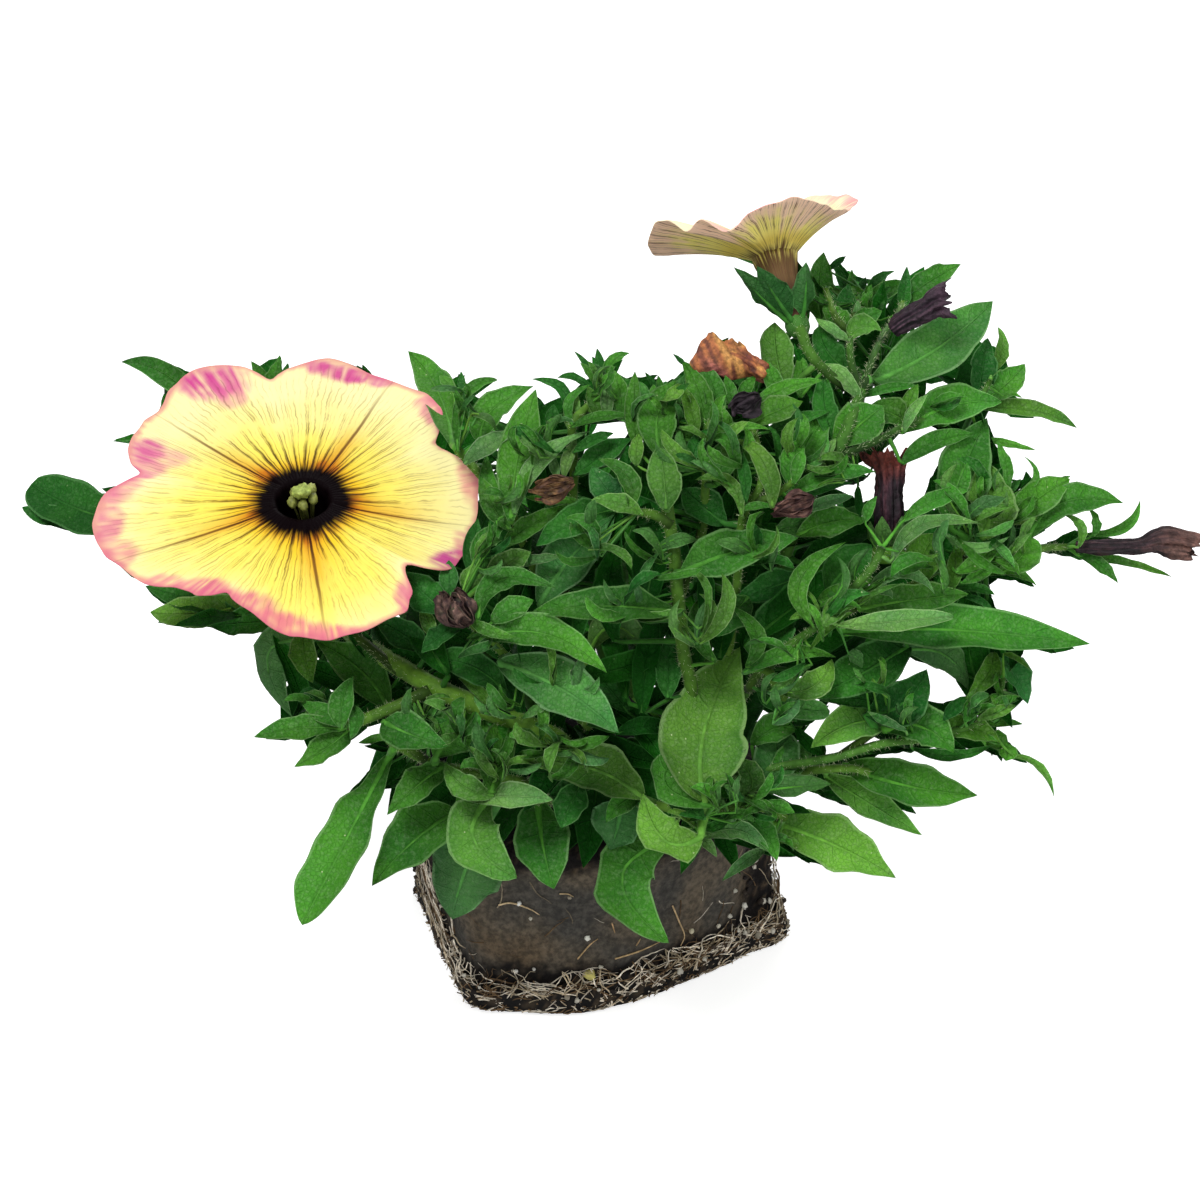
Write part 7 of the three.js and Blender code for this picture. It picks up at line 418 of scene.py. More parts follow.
    ["l107","lowr",[63.77,-32.78,63.22],[67.61,-30.74,61.15],[68.22,-29.41,62.09],[68.39,-27.66,63.02],[0.276,-0.581,0.766],0.42,0.45,1.0,14,0,"p"],
    ["l108","lowr",[64.35,-31.8,65.09],[64.1,-31.78,69.34],[66.17,-31.98,68.73],[68.59,-32.58,66.9],[0.272,-0.583,0.766],0.58,0.45,1.0,14,0,"o"],
    ["l109","lowr",[61.04,-35.4,60.1],[60.7,-38.45,61.52],[63.46,-36.11,62.63],[66.65,-33.57,62.77],[0.262,-0.587,0.766],1.2,0.45,1.0,14,0,"n"],
    ["l110","lowr",[60.33,-35.95,59.67],[59.65,-39.25,61.58],[62.99,-37.62,61.98],[66.16,-35.23,62.0],[0.26,-0.588,0.766],1.14,0.45,1.0,14,0,"y"],
    ["l111","lowr",[59.99,-36.21,59.47],[60.19,-35.95,59.15],[63.81,-35.12,58.9],[67.73,-33.76,57.83],[0.262,-0.587,0.766],0.97,0.45,1.0,14,0,"n"],
    ["l112","lowr",[58.17,-37.29,59.24],[57.35,-41.22,62.07],[58.62,-39.03,63.59],[60.85,-35.71,64.74],[0.245,-0.594,0.766],1.41,0.45,1.0,14,0,"n"],
    ["l112b","lowr",[60.77,-35.61,59.94],[60.36,-38.69,61.47],[61.82,-36.4,62.96],[64.34,-33.86,63.45],[0.256,-0.59,0.766],1.1,0.45,1.0,14,0,"n"],
    ["l113","lowr",[54.97,-39.02,59.2],[54.0,-41.43,62.53],[56.05,-39.36,63.76],[59.2,-36.52,64.26],[0.235,-0.598,0.766],1.26,0.45,1.0,14,0,"d"],
    ["l114","lowr3",[44.59,-41.1,61.26],[44.8,-42.9,61.54],[50.57,-41.69,61.43],[55.62,-43.26,57.65],[0.212,-0.607,0.766],4.11,0.45,1.0,14,0,"n"],
    ["l115","lowr",[53.51,-39.82,59.18],[53.53,-38.74,59.0],[58.76,-37.42,58.85],[63.85,-37.28,56.26],[0.243,-0.595,0.766],2.5,0.45,1.0,14,0,"o"],
    ["l116","lowr",[48.92,-41.88,59.25],[49.4,-39.89,56.75],[55.79,-40.02,55.38],[62.68,-35.78,55.1],[0.232,-0.6,0.766],1.11,0.45,1.0,14,0,"d"],
    ["l117","lowr",[59.64,-36.49,59.25],[61.67,-35.01,54.88],[64.82,-34.34,54.52],[64.99,-36.37,52.52],[0.261,-0.587,0.766],2.5,0.5,0.5,14,0,"n"],
    ["l118","lowr",[60.31,-35.97,59.66],[66.01,-35.61,53.2],[70.49,-36.55,51.35],[72.58,-39.34,47.59],[0.284,-0.577,0.766],0.8,0.45,1.0,14,0,"y"],
    ["l119","lowr3",[43.49,-41.76,60.83],[41.56,-42.88,64.34],[47.36,-40.8,65.03],[51.86,-33.95,67.76],[0.198,-0.611,0.766],3.95,0.4,1.0,14,0,"d"],
    ["l119b","lowr3",[47.82,-38.76,62.57],[47.93,-40.43,63.43],[41.06,-40.73,65.7],[32.91,-40.56,66.14],[0.173,-0.619,0.766],1.91,0.45,1.0,14,0,"d"],
    ["l120","lowr3",[46.17,-40.05,61.89],[46.44,-40.41,61.65],[39.47,-42.57,62.42],[32.9,-45.92,59.95],[0.168,-0.62,0.766],3.44,0.45,1.0,14,0,"y"],
    ["l121","lowr",[48.35,-42.09,59.28],[47.64,-45.36,62.82],[44.48,-45.21,64.15],[41.61,-43.71,65.3],[0.19,-0.614,0.766],0.88,0.45,1.0,14,0,"p"],
    ["l122","hairy",[28.63,-44.76,67.84],[27.56,-45.77,67.57],[31.57,-46.38,66.85],[35.7,-45.22,66.07],[0.136,-0.628,0.766],2.21,0.45,0.5,14,0,"g"],
    ["l123","hairy",[23.73,-40.43,68.14],[24.63,-42.27,68.24],[27.37,-43.95,66.99],[30.61,-45.61,64.35],[0.118,-0.632,0.766],2.22,0.45,1.0,14,0,"d"],
    ["l124","hairy",[25.53,-43.75,72.79],[21.78,-47.53,73.64],[28.96,-44.5,75.57],[36.55,-42.6,74.12],[0.126,-0.63,0.766],1.49,0.45,1.0,14,0,"n"],
    ["l124b","hairy",[27.92,-44.95,69.03],[27.99,-47.69,70.63],[32.97,-46.54,71.08],[36.04,-41.56,73.27],[0.141,-0.627,0.766],2.36,0.5,1.0,14,0,"y"],
    ["l127","tee",[6.43,-39.77,97.21],[6.38,-40.74,97.42],[2.74,-39.69,98.79],[-1.37,-38.6,98.82],[0.012,-0.643,0.766],1.69,0.45,1.0,14,0,"y"],
    ["l128","tee",[5.79,-39.93,97.4],[4.56,-40.36,97.92],[4.28,-36.42,101.55],[-0.31,-33.04,103.3],[0.014,-0.643,0.766],1.74,0.45,1.0,14,0,"o"],
    ["l129","tee",[5.79,-39.93,97.4],[3.38,-35.61,97.05],[0.77,-33.92,98.84],[-1.24,-30.22,100.98],[0.004,-0.643,0.766],2.43,0.45,1.0,14,0,"b"],
    ["l130","cent",[10.32,-37.75,96.83],[9.99,-42.29,98.75],[9.72,-38.67,102.15],[9.04,-33.27,105.38],[0.043,-0.641,0.766],2.75,0.45,0.7,14,0,"y"],
    ["l131","cent",[9.83,-34.56,100.44],[9.86,-31.89,103.0],[8.83,-26.99,107.68],[12.2,-20.39,111.47],[0.043,-0.641,0.766],3.25,0.45,1.0,14,0,"n"],
    ["l132","cent",[9.83,-34.56,100.44],[5.56,-29.85,103.84],[5.28,-25.16,108.3],[5.49,-18.6,112.31],[0.023,-0.642,0.766],1.71,0.45,1.0,14,0,"n"],
    ["l133","tmsh",[17.82,-22.83,107.14],[9.74,-19.72,108.55],[8.34,-18.31,110.03],[7.1,-16.26,111.27],[0.036,-0.642,0.766],0.58,0.45,1.0,14,0,"k"],
    ["l133b","tmsh",[17.9,-22.59,107.3],[9.58,-19.52,108.8],[9.43,-18.54,109.78],[9.14,-16.74,110.94],[0.04,-0.642,0.766],0.64,0.45,1.0,14,0,"n"],
    ["l134","tmsh",[16.67,-26.41,104.73],[16.48,-26.54,104.85],[15.32,-21.33,109.83],[12.92,-16.05,113.04],[0.065,-0.64,0.766],2.09,0.45,1.0,14,0,"n"],
    ["l134b","tmsh",[18.15,-21.8,107.84],[13.54,-16.9,112.34],[12.6,-16.11,113.22],[11.52,-15.07,113.85],[0.054,-0.641,0.766],0.43,0.45,1.0,14,0,"d"],
    ["l135","tmsh",[16.62,-26.73,104.21],[14.72,-28.16,104.82],[14.15,-24.72,108.13],[12.52,-20.4,110.81],[0.06,-0.64,0.766],1.43,0.45,1.0,14,0,"o"],
    ["l136","tmsh",[17.06,-25.2,105.55],[17.75,-25.51,105.44],[17.84,-20.98,109.7],[15.45,-15.68,113.07],[0.074,-0.639,0.766],1.92,0.45,1.0,14,0,"n"],
    ["l137","tmsh",[18.15,-21.8,107.84],[20.61,-22.86,107.75],[20.35,-20.9,109.67],[19.64,-18.09,111.45],[0.087,-0.637,0.766],1.2,0.45,1.0,14,0,"n"],
    ["l138","tmsh",[18.15,-21.8,107.84],[22.07,-21.33,108.49],[22.9,-19.76,109.9],[24.55,-17.49,111.06],[0.099,-0.635,0.766],1.19,0.45,1.0,14,0,"n"],
    ["l139","tmsh",[16.62,-26.71,104.26],[17.31,-29.17,105.22],[17.66,-26.9,107.32],[19.61,-24.13,108.73],[0.078,-0.638,0.766],0.93,0.45,1.0,14,0,"p"],
    ["l141","trsh",[23.73,-24.18,105.42],[23.77,-21.98,108.08],[29.19,-19.54,109.82],[35.2,-16.52,110.02],[0.125,-0.631,0.766],1.38,0.45,1.0,14,0,"n"],
    ["l142","trsh",[23.73,-24.18,105.42],[23.36,-25.02,105.92],[27.48,-23.09,107.33],[31.86,-20.3,107.93],[0.118,-0.632,0.766],2.53,0.45,1.0,14,0,"o"],
    ["l143","trsh",[23.96,-25.42,104.31],[26.26,-24.07,104.2],[31.03,-22.17,105.47],[36.41,-19.18,105.82],[0.133,-0.629,0.766],1.2,0.45,1.0,14,0,"d"],
    ["l144","tmsh",[16.61,-26.91,103.83],[16.96,-30.22,105.15],[21.33,-28.28,106.7],[26.51,-27.29,105.81],[0.093,-0.636,0.766],0.86,0.45,1.0,14,0,"n"],
    ["l145","tmsh",[16.53,-28.42,100.7],[14.16,-32.36,102.36],[14.82,-30.1,104.43],[16.75,-27.2,105.94],[0.066,-0.639,0.766],1.4,0.45,1.0,14,0,"d"],
    ["l146","tmsh",[16.41,-29.68,97.61],[18.17,-33.79,99.12],[18.85,-30.81,101.89],[21.64,-26.01,104.47],[0.084,-0.637,0.766],2.62,0.45,1.0,14,0,"n"],
    ["l147","trsh2",[25.95,-33.56,97.1],[26.28,-38.32,97.38],[25.21,-33.08,102.32],[21.03,-28.88,104.94],[0.107,-0.634,0.766],1.96,0.45,1.0,14,0,"y"],
    ["l148","trsh2",[22.88,-33.47,95.81],[22.34,-37.24,97.91],[22.13,-33.81,101.13],[21.51,-29.2,103.91],[0.096,-0.636,0.766],1.1,0.45,1.0,14,0,"d"],
    ["l150","trsh",[22.15,-34.02,93.93],[21.72,-38.51,95.96],[19.67,-34.32,100.01],[14.62,-33.69,100.08],[0.083,-0.637,0.766],1.27,0.45,1.0,14,0,"y"],
    ["l151","tmsh",[16.51,-28.9,99.7],[13.55,-32.65,101.31],[15.42,-31.45,102.32],[17.44,-31.22,101.89],[0.067,-0.639,0.766],0.76,0.45,1.0,14,0,"y"],
    ["l152","trsh",[21.92,-34.03,92.59],[19.42,-32.68,92.27],[15.87,-30.88,94.54],[12.97,-27.83,96.29],[0.069,-0.639,0.766],3.24,0.45,1.0,14,0,"d"],
    ["l153","trsh",[22.52,-33.67,94.58],[21.44,-37.52,96.7],[24.06,-36.92,97.11],[26.72,-36.13,96.78],[0.105,-0.634,0.766],0.77,0.45,1.0,14,0,"n"],
    ["l154","trsh2",[29.31,-32.57,98.97],[29.77,-33.12,98.51],[29.73,-29.87,101.51],[31.64,-25.68,103.66],[0.13,-0.629,0.766],2.33,0.45,1.0,14,0,"n"],
    ["l154b","trsh2",[29.71,-32.39,99.22],[29.83,-34.13,99.6],[30.54,-31.64,101.73],[31.45,-28.92,103.13],[0.132,-0.629,0.766],1.24,0.45,1.0,14,0,"n"],
    ["l155","trsh2",[30.11,-32.22,99.47],[30.52,-28.57,98.62],[32.57,-24.01,102.49],[36.51,-18.13,105.24],[0.141,-0.627,0.766],2.98,0.45,1.0,14,0,"n"],
    ["l156","trsh2",[27.94,-33.18,98.12],[28.67,-34.02,97.38],[35.96,-30.38,99.54],[43.06,-27.46,98.84],[0.154,-0.624,0.766],1.69,0.45,1.0,14,0,"n"],
    ["l157","trsh2",[27.32,-33.45,97.74],[28.12,-33.29,96.57],[33.3,-31.6,97.54],[39.44,-28.49,97.58],[0.144,-0.626,0.766],1.01,0.45,1.0,14,0,"d"],
    ["l160","ulsh",[-22.31,-23.13,100.79],[-23.62,-16.16,99.02],[-26.75,2.0,100.97],[-32.22,11.93,104.53],[-0.111,-0.633,0.766],3.35,0.45,1.0,14,0,"n"],
    ["l161","ulsh",[-22.31,-23.13,100.79],[-21.82,-13.67,106.58],[-22.06,-11.47,107.44],[-22.33,-8.33,108.48],[-0.093,-0.636,0.766],0.72,0.45,1.0,14,0,"d"],
    ["l161b","ulsh",[-22.31,-23.13,100.79],[-23.25,-13.62,106.91],[-24.62,-8.63,106.54],[-26.04,-3.28,105.92],[-0.103,-0.635,0.766],0.98,0.45,1.0,14,0,"n"],
    ["l162","ulsh",[-22.15,-23.27,100.66],[-22.15,-26.18,101.68],[-21.39,-19.3,108.05],[-16.12,-16.11,109.87],[-0.087,-0.637,0.766],1.17,0.45,0.5,14,0,"n"],
    ["l163","ulsh",[-21.37,-23.97,100.02],[-18.84,-23.01,102.1],[-17.02,-19.25,106.01],[-10.46,-15.26,108.54],[-0.068,-0.639,0.766],2.93,0.4,1.0,14,0,"n"],
    ["l164","ulsh",[-20.77,-24.5,99.54],[-21.11,-29.12,100.87],[-17.41,-27.29,103.3],[-12.49,-24.39,105.0],[-0.074,-0.639,0.766],1.74,0.45,1.0,14,0,"p"],
    ["l165","ulsh",[-13.69,-31.51,93.28],[-13.7,-36.21,94.3],[-12.74,-28.04,101.93],[-10.1,-17.26,108.79],[-0.053,-0.641,0.766],3.29,0.5,1.0,14,0,"n"],
    ["l166","ulsh",[-13.69,-31.51,93.28],[-13.23,-35.94,95.36],[-9.6,-29.89,101.35],[-1.56,-24.19,104.42],[-0.037,-0.642,0.766],1.65,0.45,1.0,14,0,"p"],
    ["l167","ulsh",[-14.05,-31.13,93.62],[-15.18,-33.49,93.63],[-17.26,-29.93,96.83],[-17.73,-24.11,100.34],[-0.073,-0.639,0.766],1.71,0.45,1.0,14,0,"n"],
    ["l168","ulsh",[-12.95,-31.49,91.19],[-13.88,-35.9,92.66],[-16.73,-32.68,95.47],[-18.57,-27.65,98.25],[-0.071,-0.639,0.766],1.87,0.45,1.0,14,0,"o"],
    ["l169","ulsh",[-17.99,-26.96,97.28],[-14.72,-25.38,99.5],[-15.99,-24.47,100.32],[-17.44,-23.07,100.94],[-0.069,-0.639,0.766],0.74,0.45,1.0,14,0,"d"],
    ["l170","tcsh",[-4.27,-23.2,105.16],[-5.01,-22.22,105.48],[-5.98,-18.4,109.05],[-10.91,-15.9,109.96],[-0.03,-0.642,0.766],1.07,0.45,1.0,14,0,"d"],
    ["l171","tcsh",[-4.34,-23.63,104.18],[-7.53,-22.61,103.62],[-7.54,-20.86,105.29],[-7.25,-18.51,106.74],[-0.032,-0.642,0.766],1.18,0.45,1.0,14,0,"d"],
    ["l172","tcsh",[-4.35,-23.57,104.36],[-4.69,-23.64,104.37],[-4.39,-21.44,106.52],[-3.63,-17.79,108.82],[-0.018,-0.643,0.766],1.42,0.45,1.0,14,0,"y"],
    ["l173","tcsh",[0.27,-16.76,108.78],[-0.63,-15.26,108.88],[-1.91,-13.15,110.96],[-4.15,-10.3,112.61],[-0.009,-0.643,0.766],0.66,0.45,1.0,14,0,"d"],
    ["l173b","tcsh",[0.47,-16.35,108.95],[0.16,-15.9,109.12],[0.0,-13.78,111.19],[-0.48,-10.57,113.22],[-0.0,-0.643,0.766],0.95,0.45,1.0,14,0,"d"],
    ["l173c","tcsh",[0.47,-16.35,108.95],[0.63,-15.95,109.14],[1.9,-13.14,111.8],[4.77,-11.26,112.63],[0.01,-0.643,0.766],1.08,0.45,1.0,14,0,"n"],
    ["l173d","tcsh",[-0.42,-18.12,108.23],[-0.95,-17.54,108.39],[-3.95,-15.81,110.09],[-6.81,-15.2,109.87],[-0.017,-0.643,0.766],0.8,0.45,1.0,14,0,"d"],
    ["l173e","tcsh",[0.03,-17.24,108.59],[-0.47,-16.78,108.77],[-1.58,-14.88,110.59],[-3.17,-13.03,111.59],[-0.007,-0.643,0.766],0.74,0.45,1.0,14,0,"n"],
    ["l173f","tcsh",[-1.12,-19.5,107.67],[3.28,-23.36,105.93],[3.14,-20.27,108.92],[1.89,-15.74,111.75],[0.012,-0.643,0.766],1.58,0.45,1.0,14,0,"n"],
    ["l173g","tcsh",[-2.04,-20.89,106.93],[0.0,-23.43,105.96],[-0.94,-21.18,108.1],[-1.89,-18.42,109.73],[-0.004,-0.643,0.766],1.27,0.45,1.0,14,0,"o"],
    ["l173h","tcsh",[-4.37,-23.41,104.79],[-4.06,-24.23,105.1],[-4.86,-21.08,108.06],[-1.26,-17.96,109.89],[-0.016,-0.643,0.766],0.88,0.45,1.0,14,0,"n"],
    ["l173i","tcsh",[-1.62,-20.45,107.26],[0.94,-24.06,106.21],[1.09,-21.82,108.35],[0.63,-18.79,110.2],[0.004,-0.643,0.766],1.1,0.45,1.0,14,0,"p"],
    ["l173j","tcsh",[-0.1,-17.49,108.49],[1.89,-19.83,107.92],[3.15,-18.07,109.6],[5.36,-16.77,110.12],[0.014,-0.643,0.766],1.01,0.45,1.0,14,0,"d"],
    ["l174","tcsh",[-4.37,-23.39,104.85],[-4.35,-25.88,105.75],[0.0,-24.95,107.05],[4.99,-23.95,106.83],[0.001,-0.643,0.766],1.06,0.45,1.0,14,0,"n"],
    ["l175","tcsh",[-4.2,-24.74,101.1],[-4.04,-28.28,102.53],[-0.93,-26.96,104.01],[2.18,-25.38,104.55],[-0.004,-0.643,0.766],1.12,0.45,1.0,14,0,"d"],
    ["l176","tcsh",[-4.11,-25.8,97.83],[-3.74,-28.56,98.96],[0.31,-26.42,101.28],[5.02,-23.11,102.81],[0.002,-0.643,0.766],2.2,0.45,1.0,14,0,"d"],
    ["l177","cent",[9.83,-34.56,100.44],[5.69,-33.15,102.19],[5.55,-31.21,104.05],[6.35,-28.06,105.94],[0.025,-0.642,0.766],1.23,0.45,1.0,14,0,"y"],
    ["l178","cent",[9.83,-34.56,100.44],[11.07,-32.76,103.02],[10.47,-31.21,104.55],[9.73,-28.9,105.95],[0.046,-0.641,0.766],1.02,0.45,1.0,14,0,"n"],
    ["l179","tcsh",[-4.15,-25.92,97.09],[-5.59,-30.06,98.91],[-4.98,-27.61,101.26],[-3.6,-24.27,103.27],[-0.021,-0.642,0.766],1.1,0.45,1.0,14,0,"p"],
    ["l179b","tcsh",[-4.18,-25.98,96.72],[-6.52,-29.82,98.47],[-7.16,-28.06,100.1],[-7.65,-25.84,101.38],[-0.031,-0.642,0.766],0.85,0.45,1.0,14,0,"p"],
    ["l181","tcsh",[-4.36,-26.51,93.56],[-3.42,-30.86,95.37],[-7.46,-30.99,95.59],[-11.84,-29.66,95.54],[-0.033,-0.642,0.766],1.04,0.45,1.0,14,0,"n"],
    ["l182","ulsh",[-12.18,-31.47,89.0],[-15.17,-35.56,89.46],[-10.24,-33.11,92.45],[-4.06,-29.62,94.17],[-0.043,-0.641,0.766],1.86,0.45,1.0,14,0,"n"],
    ["l183","tee",[5.79,-39.93,97.4],[2.15,-36.33,96.19],[-3.83,-38.53,95.14],[-9.78,-40.53,92.01],[-0.017,-0.643,0.766],2.91,0.45,1.0,14,0,"d"],
    ["l184","ulsh",[-7.94,-31.54,78.82],[-9.34,-36.9,80.52],[-4.39,-31.25,86.18],[2.38,-24.06,90.08],[-0.017,-0.643,0.766],4.34,0.5,1.0,14,0,"g"],
    ["l185","csh",[-21.53,-44.67,84.16],[-17.19,-40.96,86.83],[-17.89,-36.96,90.42],[-13.96,-33.13,92.8],[-0.073,-0.639,0.766],2.08,0.45,1.0,14,0,"n"],
    ["l185b","csh",[-21.53,-44.67,84.16],[-17.19,-41.33,86.32],[-14.14,-39.47,88.51],[-10.64,-37.34,89.58],[-0.061,-0.64,0.766],2.36,0.45,1.0,14,0,"y"],
    ["l186","ulsh",[-11.03,-31.43,85.75],[-13.67,-35.57,86.41],[-9.94,-35.31,87.32],[-5.91,-34.25,87.52],[-0.043,-0.641,0.766],1.03,0.45,1.0,14,0,"p"],
    ["l187","csh",[-21.53,-44.67,84.16],[-18.47,-40.18,85.46],[-19.49,-36.18,89.06],[-19.03,-30.6,92.38],[-0.083,-0.637,0.766],1.87,0.45,1.0,14,0,"d"],
    ["l188","pedic",[34.64,-13.17,111.62],[29.66,-12.85,106.95],[28.2,-8.43,111.42],[28.26,-2.85,114.87],[0.119,-0.632,0.766],2.97,0.5,1.0,14,0,"y"],
    ["l189","trsh",[23.73,-24.18,105.42],[28.29,-19.57,108.16],[27.09,-17.48,110.38],[26.58,-14.3,112.39],[0.116,-0.632,0.766],1.67,0.45,1.0,14,0,"n"],
    ["l190","pedic",[35.54,-13.69,110.65],[31.72,-15.8,106.71],[32.14,-12.94,109.36],[31.83,-9.22,111.71],[0.134,-0.629,0.766],1.62,0.45,1.0,14,0,"n"],
    ["l191","ursha3",[38.05,-0.86,115.42],[35.98,2.75,113.24],[32.04,7.7,118.78],[28.91,11.75,121.41],[0.131,-0.629,0.766],2.04,0.45,1.0,14,0,"n"],
    ["l192","ursha3",[37.16,7.19,116.89],[37.09,8.16,110.99],[36.61,12.83,115.67],[37.59,19.01,119.57],[0.148,-0.625,0.766],2.39,0.45,1.0,14,0,"n"],
    ["l193","ursha2",[44.34,18.35,112.74],[38.67,22.68,115.18],[40.26,23.81,116.05],[41.89,25.46,116.76],[0.158,-0.623,0.766],0.71,0.45,1.0,14,0,"k"],
    ["l193b","ursha2",[44.34,18.35,112.74],[42.17,21.71,110.17],[41.25,24.22,112.89],[39.69,27.24,115.11],[0.161,-0.622,0.766],1.03,0.45,1.0,14,0,"d"],
    ["l193c","ursha2",[44.34,18.35,112.74],[42.5,21.57,110.22],[42.76,23.61,112.2],[43.09,26.51,114.09],[0.167,-0.621,0.766],0.87,0.45,1.0,14,0,"n"],
    ["l194","ursha2",[44.34,18.35,112.74],[44.27,22.69,110.73],[44.68,23.97,111.9],[45.47,25.73,112.92],[0.174,-0.619,0.766],0.77,0.45,1.0,14,0,"k"],
    ["l195","ursha2",[44.34,18.35,112.74],[45.22,21.98,111.15],[47.39,24.37,113.02],[50.48,26.7,113.67],[0.185,-0.615,0.766],0.88,0.45,1.0,14,0,"d"],
    ["l196","ursha2",[44.34,18.35,112.74],[45.08,19.97,110.23],[48.26,21.89,111.53],[52.26,25.14,112.58],[0.189,-0.614,0.766],1.79,0.45,1.0,14,0,"n"],
    ["l197","urshc",[50.88,15.73,111.69],[50.85,17.65,108.9],[51.54,20.86,111.88],[52.38,25.65,114.91],[0.201,-0.61,0.766],1.3,0.45,1.0,14,0,"d"],
    ["l198","urshc",[50.88,15.73,111.69],[50.89,20.26,109.95],[55.92,24.18,112.55],[62.06,29.33,114.06],[0.217,-0.605,0.766],2.31,0.45,1.0,14,0,"n"],
    ["l199","urshc",[50.88,15.73,111.69],[51.33,18.68,108.0],[52.99,20.86,109.74],[55.65,24.22,111.28],[0.207,-0.609,0.766],1.71,0.45,1.0,14,0,"d"],
    ["l200","ursha",[40.85,-0.99,113.15],[40.58,-1.06,113.21],[38.32,-0.27,114.65],[36.47,1.95,116.27],[0.158,-0.623,0.766],2.28,0.45,1.0,14,0,"n"],
    ["l200b","ursha",[41.28,1.78,113.58],[41.66,3.44,111.62],[40.45,6.1,114.49],[41.34,10.12,116.93],[0.166,-0.621,0.766],1.88,0.45,1.0,14,0,"d"],
    ["l200c","ursha",[41.28,1.78,113.58],[42.83,5.43,110.91],[43.64,8.47,113.67],[45.23,12.67,116.07],[0.176,-0.618,0.766],1.33,0.45,1.0,14,0,"n"],
    ["l200d","ursha",[40.67,-2.18,112.96],[41.02,-0.09,112.18],[43.43,2.14,113.8],[46.21,4.21,114.28],[0.177,-0.618,0.766],1.87,0.45,1.0,14,0,"n"],
    ["l200e","ursha",[40.33,-4.66,112.46],[39.83,-6.48,113.1],[37.26,-5.79,114.55],[34.61,-3.95,115.93],[0.154,-0.624,0.766],1.15,0.45,1.0,14,0,"p"],
    ["l200f","ursha",[40.33,-4.66,112.46],[39.97,-5.01,112.57],[42.35,-2.79,114.17],[45.66,-2.39,113.17],[0.175,-0.618,0.766],2.15,0.45,1.0,14,0,"y"],
    ["l200g","ursha",[41.21,1.29,113.51],[41.78,1.74,113.25],[42.01,3.08,114.51],[42.3,5.2,115.84],[0.171,-0.62,0.766],0.83,0.45,1.0,14,0,"p"],
    ["l201","ursha",[40.44,-10.45,109.72],[39.8,-8.81,108.84],[36.32,-6.93,111.56],[35.56,-2.7,114.3],[0.153,-0.624,0.766],2.69,0.45,1.0,14,0,"d"],
    ["l202","ursh",[37.18,-25.46,102.08],[37.36,-23.39,101.23],[35.34,-18.64,106.12],[35.83,-12.35,109.81],[0.152,-0.625,0.766],2.14,0.45,1.0,14,0,"d"],
    ["l203","ursh",[40.8,-16.3,106.41],[41.15,-16.9,106.46],[38.55,-14.2,109.66],[35.16,-12.19,111.11],[0.161,-0.622,0.766],1.48,0.45,1.0,14,0,"p"],
    ["l205","ursh",[37.19,-25.42,102.1],[36.66,-24.11,101.86],[40.93,-20.64,104.19],[44.87,-16.44,105.6],[0.172,-0.619,0.766],3.71,0.45,1.0,14,0,"n"],
    ["l206","urshb",[42.48,-11.37,108.07],[43.91,-7.11,106.15],[54.61,-0.73,109.31],[65.24,10.72,113.77],[0.22,-0.604,0.766],4.9,0.52,1.0,14,0,"g"],
    ["l207","urshb",[41.66,-14.34,107.0],[42.04,-12.32,105.55],[46.49,-10.52,106.4],[51.55,-8.36,105.93],[0.193,-0.613,0.766],0.98,0.45,1.0,14,0,"n"],
    ["l208","ursh2",[63.15,-5.73,105.97],[65.45,8.31,102.13],[67.42,11.83,104.75],[67.1,15.84,107.4],[0.261,-0.588,0.766],1.34,0.45,1.0,14,0,"y"],
    ["l209","ursh2",[61.18,-7.46,103.23],[62.44,-3.15,101.18],[66.7,0.33,103.0],[70.37,5.14,104.72],[0.264,-0.586,0.766],2.5,0.45,1.0,14,0,"n"],
    ["l210","ursh2",[61.15,-7.49,103.19],[61.8,-3.04,101.14],[62.79,1.49,105.02],[64.33,7.57,108.4],[0.251,-0.592,0.766],2.56,0.45,1.0,14,0,"d"],
    ["l211","ursh2",[61.15,-7.49,103.19],[62.1,-3.68,100.16],[71.28,-1.71,99.04],[78.64,-1.22,95.86],[0.281,-0.578,0.766],1.92,0.45,1.0,14,0,"y"],
    ["l212","ursh2",[62.54,-6.26,105.13],[65.8,-3.18,102.24],[67.35,-2.58,102.35],[69.05,-2.42,101.6],[0.269,-0.584,0.766],0.49,0.45,1.0,14,0,"n"],
    ["l213","ursh2",[47.53,-19.09,102.86],[47.9,-17.94,101.94],[55.94,-13.03,104.29],[64.86,-8.77,103.33],[0.231,-0.6,0.766],3.47,0.5,1.0,14,0,"n"],
    ["l214","ursh2",[47.73,-18.93,102.9],[47.91,-20.71,102.87],[49.35,-17.84,105.13],[52.21,-13.97,106.69],[0.208,-0.608,0.766],0.95,0.45,1.0,14,0,"p"],
    ["l214b","ursh2",[48.28,-18.47,103.0],[48.16,-16.6,102.61],[49.12,-13.82,104.93],[51.02,-9.91,106.86],[0.205,-0.609,0.766],1.44,0.45,1.0,14,0,"o"],
    ["l215","ursh2",[48.86,-17.92,102.98],[48.98,-16.41,102.53],[46.1,-15.76,104.15],[42.64,-15.04,104.89],[0.192,-0.614,0.766],2.87,0.45,1.0,14,0,"o"],
    ["l216","ursh",[35.48,-26.86,99.47],[34.09,-29.65,101.42],[35.41,-27.96,102.74],[36.79,-25.63,103.81],[0.152,-0.625,0.766],0.93,0.45,1.0,14,0,"p"],
    ["l217","ursh2",[45.26,-20.99,102.45],[47.67,-22.16,98.02],[53.03,-18.26,100.2],[60.19,-14.28,99.98],[0.222,-0.603,0.766],1.85,0.45,1.0,14,0,"n"],
